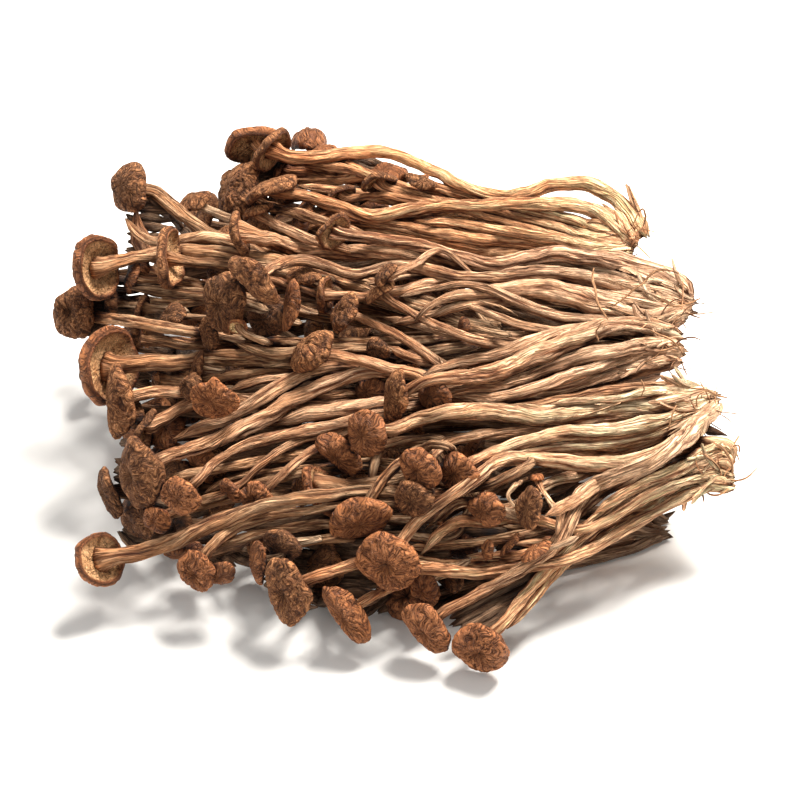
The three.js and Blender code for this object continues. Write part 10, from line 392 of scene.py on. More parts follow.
# ------------------------------------------------------------------ numbers
def unit(v):
    v = np.asarray(v, float)
    return v / (np.linalg.norm(v, axis=-1, keepdims=True) + 1e-12)


GRAD = np.array(
    [[1, 1, 0], [-1, 1, 0], [1, -1, 0], [-1, -1, 0], [1, 0, 1], [-1, 0, 1],
     [1, 0, -1], [-1, 0, -1], [0, 1, 1], [0, -1, 1], [0, 1, -1], [0, -1, -1],
     [1, 1, 0], [-1, 1, 0], [0, -1, 1], [0, -1, -1]], float)


def noise(p, seed=0):
    """Gradient noise at points p (n, 3), about -1 to 1."""
    p = np.asarray(p, float)
    i = np.floor(p).astype(np.int64)
    f = p - i
    w = f * f * f * (f * (f * 6 - 15) + 10)
    out = np.zeros(len(p))
    for dx in (0, 1):
        for dy in (0, 1):
            for dz in (0, 1):
                h = ((i[:, 0] + dx) * 374761393 + (i[:, 1] + dy) * 668265263
                     + (i[:, 2] + dz) * 1440662683 + seed * 1274126177) & 0xFFFFFFFF
                h = ((h ^ (h >> 13)) * 1274126177) & 0xFFFFFFFF
                h = h ^ (h >> 16)
                g = GRAD[h & 15]
                d = g[:, 0] * (f[:, 0] - dx) + g[:, 1] * (f[:, 1] - dy) + g[:, 2] * (f[:, 2] - dz)
                k = (w[:, 0] if dx else 1 - w[:, 0]) * (w[:, 1] if dy else 1 - w[:, 1]) * (w[:, 2] if dz else 1 - w[:, 2])
                out += d * k
    return out * 1.1


def fbm(p, seed=0, octaves=3):
    a, s, out = 1.0, 1.0, 0.0
    for o in range(octaves):
        out = out + a * noise(np.asarray(p) * s, seed + 17 * o)
        a, s = a * 0.5, s * 2.03
    return out


def wave(s, seed, length, octaves=2):
    """Slow noise along s (mm)."""
    s = np.asarray(s, float)
    return fbm(np.stack([s / length, np.full_like(s, seed * 1.37 + 0.5), np.full_like(s, 0.31)], -1), int(seed) + 5, octaves)


def lin(c):
    """sRGB 0-255 to linear."""
    c = np.asarray(c, float) / 255.0
    return np.where(c <= 0.04045, c / 12.92, ((c + 0.055) / 1.055) ** 2.4)


def smooth(a, b, x):
    t = np.clip((x - a) / (b - a), 0, 1)
    return t * t * (3 - 2 * t)


def mixc(a, b, t):
    t = np.asarray(t)[..., None]
    return a * (1 - t) + b * t


def spline(P, step):
    """Centripetal-like smooth resampling of rows (x, y, z, r) at about step mm."""
    P = np.asarray(P, float)
    d = np.r_[0, np.cumsum(np.linalg.norm(np.diff(P[:, :3], axis=0), axis=1))]
    n = max(3, int(round(d[-1] / step)))
    s = np.linspace(0, d[-1], n + 1)
    m = np.gradient(P, d, axis=0) if len(P) > 2 else np.repeat([(P[1] - P[0]) / d[-1]], 2, 0)
    k = np.clip(np.searchsorted(d, s, side="right") - 1, 0, len(P) - 2)
    h = (d[k + 1] - d[k])[:, None]
    t = ((s - d[k]) / (d[k + 1] - d[k]))[:, None]
    out = ((2 * t**3 - 3 * t**2 + 1) * P[k] + (t**3 - 2 * t**2 + t) * h * m[k]
           + (-2 * t**3 + 3 * t**2) * P[k + 1] + (t**3 - t**2) * h * m[k + 1])
    return out, s


# ------------------------------------------------------------------ meshes
class Skin:
    """A piece's mesh as it grows: points, quads and triangles, colours, fibre coordinates and islands of its map."""

    def __init__(self):
        self.co, self.tint, self.fib, self.rough, self.nrm, self.fold = [], [], [], [], [], []
        self.faces, self.n = [], 0
        self.islands = []

    def grid(self, V, tint, fib, rough, size, cap0=None, cap1=None, fold=0.060):
        """V (rows, around, 3): a closed tube of quads; cap0 and cap1 are end points. size (mm): the island's width and height."""
        R, M, _ = V.shape
        base = self.n
        co = [V.reshape(-1, 3)]
        tn = [tint.reshape(-1, 3)]
        fb = [fib.reshape(-1, 3)]
        rg = [rough.reshape(-1)]
        fd = [np.broadcast_to(fold, (R, M)).reshape(-1)]
        ends = []
        for q, row in ((cap0, 0), (cap1, R - 1)):
            if q is not None:
                ends.append((base + R * M + len(ends), row))
                co.append(np.asarray(q, float).reshape(1, 3))
                tn.append(tint[row].mean(0, keepdims=True))
                fb.append(fib[row].mean(0, keepdims=True))
                rg.append(rough[row].mean(keepdims=True))
                fd.append(fd[0].reshape(R, M)[row].mean(keepdims=True))
        co = np.concatenate(co)
        i, j = np.meshgrid(np.arange(R - 1), np.arange(M), indexing="ij")
        k = (j + 1) % M
        quads = np.stack([base + i * M + j, base + i * M + k, base + (i + 1) * M + k, base + (i + 1) * M + j], -1).reshape(-1, 4)
        u0, u1 = i / (R - 1), (i + 1) / (R - 1)
        v0, v1 = j / M, (j + 1) / M
        lo_, hi_ = (0.03 if cap0 is not None else 0.0), (0.97 if cap1 is not None else 1.0)
        u0, u1 = lo_ + (hi_ - lo_) * u0, lo_ + (hi_ - lo_) * u1
        quv = np.stack([np.stack([u0, v0], -1), np.stack([u0, v1], -1), np.stack([u1, v1], -1), np.stack([u1, v0], -1)], 2).reshape(-1, 4, 2)
        tris, tuv = [], []
        for e, row in ends:
            jj = np.arange(M)
            kk = (jj + 1) % M
            a, b = base + row * M + jj, base + row * M + kk
            t = np.stack([b, a, np.full(M, e)], -1) if row == 0 else np.stack([a, b, np.full(M, e)], -1)
            ur = lo_ if row == 0 else hi_
            ue = 0.0 if row == 0 else 1.0
            va, vb, vm = jj / M, (jj + 1) / M, (jj + 0.5) / M
            if row == 0:
                w = np.stack([np.stack([np.full(M, ur), vb], -1), np.stack([np.full(M, ur), va], -1), np.stack([np.full(M, ue), vm], -1)], 1)
            else:
                w = np.stack([np.stack([np.full(M, ur), va], -1), np.stack([np.full(M, ur), vb], -1), np.stack([np.full(M, ue), vm], -1)], 1)
            tris.append(t)
            tuv.append(w)
        tris = np.concatenate(tris) if tris else np.zeros((0, 3), int)
        tuv = np.concatenate(tuv) if tuv else np.zeros((0, 3, 2))
        # faces point out
        loc = np.concatenate([quads[:, [0, 1, 2]], quads[:, [0, 2, 3]], tris]) - base
        a, b, c = co[loc[:, 0]] - co[0], co[loc[:, 1]] - co[0], co[loc[:, 2]] - co[0]
        du = np.gradient(V, axis=0)
        dv = np.roll(V, -1, 1) - np.roll(V, 1, 1)
        nn = unit(np.cross(dv, du)).reshape(-1, 3)
        inside = np.einsum("ij,ij->", np.cross(a, b), c) < 0
        # cross(dv, du) follows the first winding of the quads
        q0 = quads[len(quads) // 3] - base
        face = np.cross(co[q0[1]] - co[q0[0]], co[q0[3]] - co[q0[0]])
        way = np.sign((nn[q0[0]] * face).sum() + 1e-12) * (-1 if inside else 1)
        nn = nn * way
        ends_n = [unit(co[e - base] - V[row].mean(0)).reshape(1, 3) for e, row in ends]
        self.nrm.append(np.concatenate([nn] + ends_n))
        if inside:
            quads, quv = quads[:, ::-1], quv[:, ::-1]
            tris, tuv = tris[:, ::-1], tuv[:, ::-1]
        self.co.append(co)
        self.tint.append(np.concatenate(tn))
        self.fib.append(np.concatenate(fb))
        self.rough.append(np.concatenate(rg))
        self.fold.append(np.concatenate(fd))
        self.faces.append((quads, quv, tris, tuv))
        self.islands.append([float(size[0]), float(size[1])])
        self.n += len(co)

    def object(self, name, material):
        # islands laid in rows on a square
        sizes = np.array(self.islands)
        sizes = np.maximum(sizes, 0.5)
        order = np.argsort(-sizes[:, 1])
        side = math.sqrt((sizes[:, 0] * sizes[:, 1]).sum())
        side = max(side, sizes[:, 0].max() * 1.02)
        while True:
            gap = side * 0.006
            x = y = row = gap
            row = 0.0
            at = {}
            for k in order:
                w, h = sizes[k]
                if x + w + gap > side:
                    x, y, row = gap, y + row + gap, 0.0
                at[k] = (x, y)
                x += w + gap
                row = max(row, h)
            if y + row + gap <= side:
                break
            side *= 1.03
        co = np.concatenate(self.co) * MM
        low = 0.00004
        co[:, 2] = np.where(co[:, 2] < low, low, co[:, 2])
        fv, ft, uv = [], [], []
        for k, (quads, quv, tris, tuv) in enumerate(self.faces):
            s = np.array(self.islands[k]) / side
            o = np.array(at[k]) / side
            fv.append(quads.reshape(-1)); ft.append(np.full(len(quads), 4)); uv.append((quv * s + o).reshape(-1, 2))
            fv.append(tris.reshape(-1)); ft.append(np.full(len(tris), 3)); uv.append((tuv * s + o).reshape(-1, 2))
        fv, ft, uv = np.concatenate(fv), np.concatenate(ft), np.concatenate(uv)
        me = bpy.data.meshes.new(name)
        me.vertices.add(len(co))
        me.vertices.foreach_set("co", co.astype(np.float32).ravel())
        me.loops.add(len(fv))
        me.loops.foreach_set("vertex_index", fv.astype(np.int32))
        me.polygons.add(len(ft))
        start = np.r_[0, np.cumsum(ft)[:-1]]
        me.polygons.foreach_set("loop_start", start.astype(np.int32))
        me.polygons.foreach_set("loop_total", ft.astype(np.int32))
        layer = me.uv_layers.new(name="OFBake", do_init=False)
        layer.uv.foreach_set("vector", uv.astype(np.float32).ravel())
        me.update(calc_edges=True)
        me.validate(clean_customdata=False)
        me.polygons.foreach_set("use_smooth", np.ones(len(me.polygons), bool))
        tint = np.concatenate(self.tint)
        t = me.attributes.new("tint", "FLOAT_COLOR", "POINT")
        t.data.foreach_set("color", np.c_[np.clip(tint, 0.001, 0.95), np.concatenate(self.fold)].astype(np.float32).ravel())
        f = me.attributes.new("fibre", "FLOAT_VECTOR", "POINT")
        f.data.foreach_set("vector", np.concatenate(self.fib).astype(np.float32).ravel())
        g = me.attributes.new("dry", "FLOAT", "POINT")
        g.data.foreach_set("value", np.concatenate(self.rough).astype(np.float32).ravel())
        me.update()
        ob = bpy.data.objects.new(name, me)
        bpy.context.scene.collection.objects.link(ob)
        me.materials.append(material)
        return ob


# ------------------------------------------------------------------ colours
CREAM = lin([232, 205, 174])
PALE = lin([231, 198, 163])
TAN = lin([219, 175, 135])
WARM = lin([202, 151, 109])
BROWN = lin([148, 99, 65])
DEEP = lin([82, 42, 21])
DARK = lin([44, 24, 13])
# cap colours: the ridge colours are painted highlights and the crease colours painted shade
CAP_RIDGE_HIGHLIGHT = lin([196, 142, 98])
CAP_MID = lin([142, 90, 53])
CAP_CREASE_SHADE = lin([46, 24, 12])
SOFT_RIDGE_HIGHLIGHT = lin([176, 117, 74])
SOFT_MID = lin([142, 89, 54])
SOFT_CREASE_SHADE = lin([70, 36, 17])
GILL = lin([236, 196, 150])
# colour between the gills: painted shade, also used for the underside's own mottling
GILL_DEEP_SHADE = lin([178, 126, 78])
RIM = lin([112, 66, 36])


def stem(skin, rows, facing, flat, seed, around, step, tone=1.0, base_end=True, cap_end=True, root_pale=1.0,
         grooves=None, shade_dimming=0.0, shade=(1, 1, 1), shade_browning=0.0, group=""):
    """A dried stem: a flattened fibrous strand with long grooves."""
    rng = np.random.default_rng(seed)
    S, s = spline(rows, step)
    P, r = S[:, :3].copy(), S[:, 3].copy()
    L = s[-1]
    n = len(P)
    t = unit(np.gradient(P, axis=0))
    wide = unit(np.cross(t, facing))
    thick = np.cross(wide, t)
    h = seed % 977
    flat = flat * rng.uniform(0.72, 1.02)
    # small wander and knots
    P = P + wide * (0.20 * r * wave(s, h, 12.0))[:, None] + thick * (0.15 * r * wave(s, h + 31, 10.0))[:, None]
    r = r * (1 + 0.13 * wave(s, h + 3, 11.0) + 0.07 * wave(s, h + 9, 3.6))
    if cap_end:
        r = r * (1 + 0.30 * smooth(L - 7.0, L - 0.5, s))
    twist = 0.85 * wave(s, h + 57, 34.0) + rng.normal(0, 0.2)
    th = 2 * np.pi * np.arange(around) / around
    A, T = np.meshgrid(s, th, indexing="ij")
    k = grooves or int(rng.integers(4, 8))
    w = np.ones_like(A)
    groove = np.zeros_like(A)
    for g in range(k):
        c0 = 2 * np.pi * (g + rng.uniform(-0.32, 0.32)) / k
        c = c0 + 0.6 * wave(s, h + 100 + g, 26.0) + rng.normal(0, 0.2) * s / max(L, 20)
        depth = rng.uniform(0.14, 0.38) * np.clip(0.65 + 1.2 * wave(s, h + 200 + g, 16.0), 0.05, 1.6)
        sig = rng.uniform(0.15, 0.26)
        dl = (T - c[:, None] + np.pi) % (2 * np.pi) - np.pi
        b = np.exp(-((dl / sig) ** 2))
        w -= depth[:, None] * b
        groove = np.maximum(groove, b * np.clip(depth / 0.22, 0, 1.3)[:, None])
    q = np.stack([np.cos(T) * 2.3 + seed % 89, np.sin(T) * 2.3, A / 12.0 + seed % 53], -1)
    fine = fbm(q.reshape(-1, 3), 3, 3).reshape(A.shape)
    w += 0.085 * fine
    ca, sa = np.cos(T + twist[:, None]), np.sin(T + twist[:, None])
    X = ca * (r[:, None] * w)
    Y = sa * (r[:, None] * w * flat)
    along = np.zeros_like(A)
    jag = fbm(np.stack([np.cos(th) * 1.9 + h * 0.7, np.sin(th) * 1.9, np.full(around, 0.5)], -1), 77, 3)
    if base_end:
        f = np.sqrt(np.clip(s / (0.7 * r[0] + 0.3), 0.14, 1))[:, None]
        X, Y = X * f, Y * f
        along -= (1.1 * r[0] * jag)[None] * np.clip(1 - A / 6.0, 0, 1)
    if not cap_end:
        f = (np.clip((L - s) / (2.6 * r[-1] + 0.3), 0.10, 1) ** 0.8)[:, None]
        X, Y = X * f, Y * f * (0.55 + 0.45 * f)
        along += (1.6 * r[-1] * jag)[None] * np.clip(1 - (L - A) / 8.0, 0, 1)
    V = P[:, None] + wide[:, None] * X[..., None] + thick[:, None] * Y[..., None] + t[:, None] * along[..., None]
    # colour: pale at the root, browner to the cap; the darkening in the grooves and on the edges is painted shade
    u = s / max(L, 1)
    mot = fbm(np.stack([np.cos(T) * 0.8 + seed % 71, np.sin(T) * 0.8, A / 17.0], -1).reshape(-1, 3), 11, 3).reshape(A.shape)
    streak = fbm(np.stack([np.cos(T) * 3.0 + seed % 43, np.sin(T) * 3.0, A / 26.0], -1).reshape(-1, 3), 15, 2).reshape(A.shape)
    rootw = (1 - smooth(14, PALE_LENGTH.get(group, 90), s)) * root_pale
    capw = smooth(0.55, 1.0, u) if cap_end else smooth(0.8, 1.3, u)
    col = mixc(np.broadcast_to(PALE, A.shape + (3,)), TAN, np.clip(0.50 + 1.1 * mot + 0.5 * streak, 0, 1))
    col = mixc(col, CREAM, np.clip(rootw[:, None] * (0.75 + 0.9 * mot), 0, 1))
    col = mixc(col, WARM, np.clip((0.30 + 0.9 * capw[:, None] - 0.25 * rootw[:, None]) * smooth(-0.15, 0.5, streak + 0.5 * mot), 0, 1) * 0.85)
    col = mixc(col, WARM, capw[:, None] * 0.45 * np.ones_like(A))
    col = mixc(col, BROWN, capw[:, None] ** 2 * 0.28 * smooth(-0.3, 0.5, mot))
    # painted shade on the sides of the stem
    side_shade = np.abs(ca) ** 3
    col = mixc(col, BROWN, side_shade * (0.24 - 0.12 * rootw[:, None]))
    # painted shade in the grooves and dents of the stem
    groove_shade = np.clip(groove * (0.75 + 0.25 * (1 - rootw[:, None])) + 0.5 * smooth(0.28, 0.75, -fine), 0, 1.1)
    col = mixc(col, BROWN, np.clip(groove_shade * 0.95, 0, 1))
    col = mixc(col, DEEP, np.clip(groove_shade - 0.35, 0, 1) * 1.25 * (0.65 + 0.35 * capw[:, None]))
    specks = smooth(0.42, 0.6, fbm(np.stack([np.cos(T) * 2.2, np.sin(T) * 2.2 + seed % 31, A / 3.2], -1).reshape(-1, 3), 29, 2).reshape(A.shape))
    col = mixc(col, DEEP, specks * 0.5 * (0.4 + 0.6 * (1 - rootw[:, None])))
    # painted shade: strands deep in the heap are browned and dimmed
    if shade_browning > 0:
        col = mixc(col, BROWN * 0.85, shade_browning)
    col = col * (tone * (1 - shade_dimming)) * np.asarray(shade)
    ref = float(r.mean())
    fib = np.stack([np.cos(T) * ref + (seed % 97) * 3.1, np.sin(T) * ref + (seed % 41) * 2.3, A + (seed % 61) * 7.0], -1)
    dry = np.full(A.shape, 0.86)
    around_mm = 2 * np.pi * ref * 0.87
    skin.grid(V, col, fib, dry, (L, around_mm), P[0] - t[0] * (0.2 * r[0]), P[-1] + (t[-1] * 0.2 * r[-1] if not cap_end else 0))
    return P, r


def cap_points(cap):
    C, a, X, Rl, Rs, h, fold = cap
    Y = np.cross(a, X)
    k = fold * 1.3 / Rs

    def at(x, y, z):
        if k > 1e-6:
            z = z - (1 - np.cos(k * y)) / k
            y = np.sin(k * y) / k
        return C + x[..., None] * X + y[..., None] * Y + z[..., None] * a

    return at


def cap(skin, cap_row, seed, res, look, fine=True, outline=None):
    """A shrivelled cap: wrinkled dome, rolled rim and gills underneath."""
    C, a, X, Rl, Rs, h, fold = cap_row
    rng = np.random.default_rng(seed + 7)
    at = cap_points(cap_row)
    wr, gs, pit, skin_kind, dark = look
    M = int(np.clip(2 * np.pi * math.sqrt((Rl * Rl + Rs * Rs) / 2) / res, 20, 118))
    nt = int(np.clip((Rs + h) / res * 1.05, 8, 40))
    nr, nu = (6, max(5, int(nt * 0.34))) if fine else (3, 4)
    t = np.linspace(0.03, 1, nt) ** 0.92
    rho = [np.sin(t * np.pi / 2)]
    z = [h * np.cos(t * np.pi / 2) ** 0.85 * (1 - 0.02 * t)]
    zone = [np.zeros(nt)]
    ang = np.linspace(0, 1, nr + 1)[1:]
    rho.append(1.0 - 0.16 * (1 - np.cos(ang * np.pi * 0.8)) / 1.8)
    z.append(-0.22 * Rs * np.sin(ang * np.pi * 0.55))
    zone.append(np.linspace(0.12, 0.8, nr))
    ug = np.linspace(0, 1, nu + 1)[1:]
    rho.append(0.83 * (1 - ug) + 0.02)
    z.append(-0.17 * Rs + (0.30 * h + 0.17 * Rs) * np.sin(ug * np.pi / 2) ** 0.7)
    zone.append(np.ones(nu))
    rho, z, zone = np.concatenate(rho), np.concatenate(z), np.concatenate(zone)
    R = len(rho)
    th = 2 * np.pi * np.arange(M) / M
    Q, T = np.meshgrid(np.arange(R), th, indexing="ij")
    RH, Z, ZN = rho[Q], z[Q], zone[Q]
    ph = rng.uniform(0, 6.28, 8)
    big = min(1.0, Rs / 7.0)
    lobes = 1 + 0.032 * np.cos(2 * T + ph[0]) + 0.036 * np.cos(3 * T + ph[1]) + 0.026 * np.cos(5 * T + ph[2]) + 0.016 * np.cos(9 * T + ph[5])
    lobes = 1 + (lobes - 1) * RH * (0.55 if skin_kind > 0.5 else 1.0)
    if outline:
        o = np.array(outline, float)
        share = np.interp(np.degrees(T), np.r_[o[-1, 0] - 360, o[:, 0], o[0, 0] + 360], np.r_[o[-1, 1], o[:, 1], o[0, 1]])
        lobes = 1 + (share - 1) * smooth(0.35, 1.0, RH) + 0.25 * (lobes - 1)
    x, y = Rl * RH * np.cos(T) * lobes, Rs * RH * np.sin(T) * lobes
    zz = Z + 0.085 * Rs * np.sin(3 * T + ph[3]) * RH**2 + 0.06 * Rs * np.sin(2 * T + ph[4]) * RH**2 + 0.03 * Rs * np.sin(6 * T + ph[6]) * RH**3
    topw = 1 - smooth(0.0, 0.75, ZN)
    # crown pit and a low ring round it, dents where the flesh has shrunk
    zz = zz - pit * h * np.exp(-((RH / 0.24) ** 2)) * topw + 0.16 * pit * h * np.exp(-(((RH - 0.5) / 0.17) ** 2)) * topw
    dent = fbm(np.stack([x, y, zz], -1).reshape(-1, 3) / (0.75 * Rs) + [seed % 17, seed % 23, seed % 31], 61, 2).reshape(T.shape)
    zz = zz + 0.12 * h * dent * topw
    loc = np.stack([x, y, zz * 1.2], -1).reshape(-1, 3) / gs + [seed % 83, seed % 59, seed % 37]
    # wrinkles: meandering valleys that run round the crown, and others that run out from it
    R0 = 0.5 * (Rl + Rs)
    wx, wy = noise(loc * 0.55, 5).reshape(T.shape), noise(loc * 0.55, 6).reshape(T.shape)
    tw = T + 0.28 * wx
    rw = RH * R0 + 0.9 * gs * wy * smooth(0, 0.3, RH)
    off = [seed % 83 + 0.3, seed % 59 + 0.7, seed % 37 + 0.1]
    ring = noise(np.stack([np.cos(tw) * R0 * 0.42, np.sin(tw) * R0 * 0.42, rw * 1.05], -1).reshape(-1, 3) / gs + off, 21).reshape(T.shape)
    spoke = noise(np.stack([np.cos(tw) * R0 * 0.80, np.sin(tw) * R0 * 0.80, rw * 0.30], -1).reshape(-1, 3) / gs + off, 25).reshape(T.shape)
    maze = noise(loc * 1.05 + 0.5 * np.stack([wx, wy, wx], -1).reshape(-1, 3), 27).reshape(T.shape)
    n2 = noise(loc * 2.2, 22).reshape(T.shape)
    n3 = fbm(loc * 3.4, 23, 2).reshape(T.shape)
    choose = smooth(-0.25, 0.25, noise(loc * 0.22, 29).reshape(T.shape))
    n1 = maze * 0.30 + 0.75 * (ring * choose + spoke * (1 - choose))
    crease = np.exp(-((n1 / 0.085) ** 2))
    crease2 = np.exp(-((n2 / 0.10) ** 2))
    swell = np.clip(np.abs(n1) * 2.6, 0, 1) ** 0.8
    # folds that run outward from the crown to the rim
    wig = wx
    radial = np.exp(-((spoke / 0.095) ** 2)) * (0.35 + 0.65 * smooth(0.10, 0.4, RH)) * np.clip(0.75 + 0.8 * noise(loc * 0.4 + 7, 33).reshape(T.shape), 0.15, 1)
    rim_w = smooth(0.15, 0.6, RH)
    if skin_kind < 0.5:
        wr = wr * 0.72
        depth = wr * (0.40 * crease + 0.12 * crease2 * (1 - 0.4 * crease)) + wr * 0.20 * radial * rim_w
        up = wr * (0.20 * swell + 0.04 * n3)
        shade = np.clip(0.70 * crease + 0.15 * crease2 + 0.25 * radial * rim_w, 0, 1.1)
    else:
        depth = wr * (0.22 * crease + 0.06 * crease2) + wr * 0.72 * radial
        up = wr * (0.35 * np.clip(np.abs(spoke) * 2.2, 0, 1) + 0.05 * n3)
        shade = np.clip(0.25 * crease + 0.08 * crease2 + 0.90 * radial, 0, 1.0)
    disp = (up - depth) * topw * (0.5 + 0.5 * big) * (1 - 0.7 * np.exp(-((RH / 0.10) ** 2)))
    G = max(16, int(2 * np.pi * Rs / 1.3))
    G = min(G, M // 3)
    gill = 0.5 + 0.5 * np.cos(G * (T + 0.08 * wig))
    gill_on = smooth(0.80, 0.97, ZN) * smooth(0.06, 0.2, RH)
    crack = np.exp(-((noise(loc * 0.9 * np.array([1, 1, 0.4]) + 3, 71).reshape(T.shape) / 0.10) ** 2)) * gill_on
    disp = disp + gill_on * ((gill - 0.5) * 0.22 - 0.35 * crack) * big
    # the rolled rim is rough
    rimz = np.exp(-(((ZN - 0.45) / 0.3) ** 2)) * (ZN > 0.05)
    disp = disp + rimz * (0.30 * n2 + 0.22 * n3) * wr * big
    V0 = at(x, y, zz)
    # normals of the smooth shape
    du = np.empty_like(V0); du[1:-1] = V0[2:] - V0[:-2]; du[0] = V0[1] - V0[0]; du[-1] = V0[-1] - V0[-2]
    dv = np.roll(V0, -1, 1) - np.roll(V0, 1, 1)
    nrm = unit(np.cross(dv, du))
    mid = V0[int(nt * 0.5)].mean(0) - a * h
    if np.einsum("ijk,ijk->", nrm[: nt // 2], (V0 - mid)[: nt // 2]) < 0:
        nrm = -nrm
    V = V0 + nrm * disp[..., None]
    # colours
    mot = fbm(np.stack([x, y, zz], -1).reshape(-1, 3) / 6.5 + seed % 29, 41, 3).reshape(T.shape)
    ridge_highlight, midc, cr = (CAP_RIDGE_HIGHLIGHT, CAP_MID, CAP_CREASE_SHADE) if skin_kind < 0.5 else (SOFT_RIDGE_HIGHLIGHT, SOFT_MID, SOFT_CREASE_SHADE)
    # painted highlight: swollen ridges and the rim edge are lightened, over the cap's own mottling
    highlight_mottle = np.clip(0.34 + 0.65 * swell * (1 - crease) + 0.45 * mot + 0.15 * n3, 0, 1)
    col = mixc(np.broadcast_to(midc, T.shape + (3,)), ridge_highlight, highlight_mottle)
    rimc = smooth(0.80, 1.0, RH) * topw
    col = mixc(col, ridge_highlight * 1.05, rimc * 0.25)
    # painted shade: the creases and the crown pit are darkened
    col = mixc(col, cr, np.clip(shade, 0, 1) * (0.88 if skin_kind < 0.5 else 0.66))
    col = mixc(col, cr, pit * 0.8 * np.exp(-((RH / 0.20) ** 2)) * topw)
    specks = smooth(0.44, 0.62, fbm(loc * 2.9 + 9, 51, 2)).reshape(T.shape)
    col = mixc(col, CREAM * 0.8, specks * 0.12 * topw * (1 - np.clip(shade, 0, 1)))
    # painted shade: the gill troughs and cracks are darker, mixed with the underside's own mottling
    under = mixc(np.broadcast_to(GILL, T.shape + (3,)), GILL_DEEP_SHADE, np.clip(0.25 * (1 - gill) + 0.15 + 0.4 * mot + 0.35 * crack, 0, 1))
    under = mixc(under, DEEP, crack * 0.18)
    under = mixc(under, BROWN, smooth(0.68, 0.84, RH) * 0.7)
    col = mixc(col, RIM * (1 + 0.5 * n3[..., None]), smooth(0.10, 0.35, ZN) * 0.75)
    col = mixc(col, under, smooth(0.80, 0.98, ZN))
    col = col * ((1 - dark) * np.array([1.16, 1.04, 0.93]))
    ca_, cb_ = ((0.62, 0.80), (0.50, 1.0), (0.80, 0.55))[seed % 3] if skin_kind < 0.5 else ((0.80, 0.45), (0.62, 0.62))[seed % 2]
    g2 = 1.75 if skin_kind < 0.5 else 2.1
    fib = np.stack([(np.cos(tw) * R0 * ca_ / g2 + seed % 23) / 0.42, (np.sin(tw) * R0 * ca_ / g2 + seed % 31) / 0.42, (rw * cb_ / g2 + seed % 17) / 0.030], -1)
    flat_f = np.stack([x * 0.9 + seed % 23 * 2.4, y * 0.9 + seed % 31 * 2.4, zz * 4], -1)
    fib = np.where((ZN > 0.5)[..., None], flat_f, fib)
    dry = np.where(skin_kind < 0.5, 0.72, 0.62) * np.ones_like(T) + 0.06 * np.clip(shade, 0, 1)
    size = (float(np.linalg.norm(np.diff(V0[:, 0], axis=0), axis=1).sum()), 2 * np.pi * (Rl + Rs) / 2 * 0.62)
    crown = V[0].mean(0)
    fold = np.where(ZN > 0.5, 0.02, 0.070 if skin_kind < 0.5 else 0.034) * smooth(0.03, 0.12, RH)
    skin.grid(V, col, fib, dry, size, crown, V[-1].mean(0), fold=np.maximum(fold, 0.012))


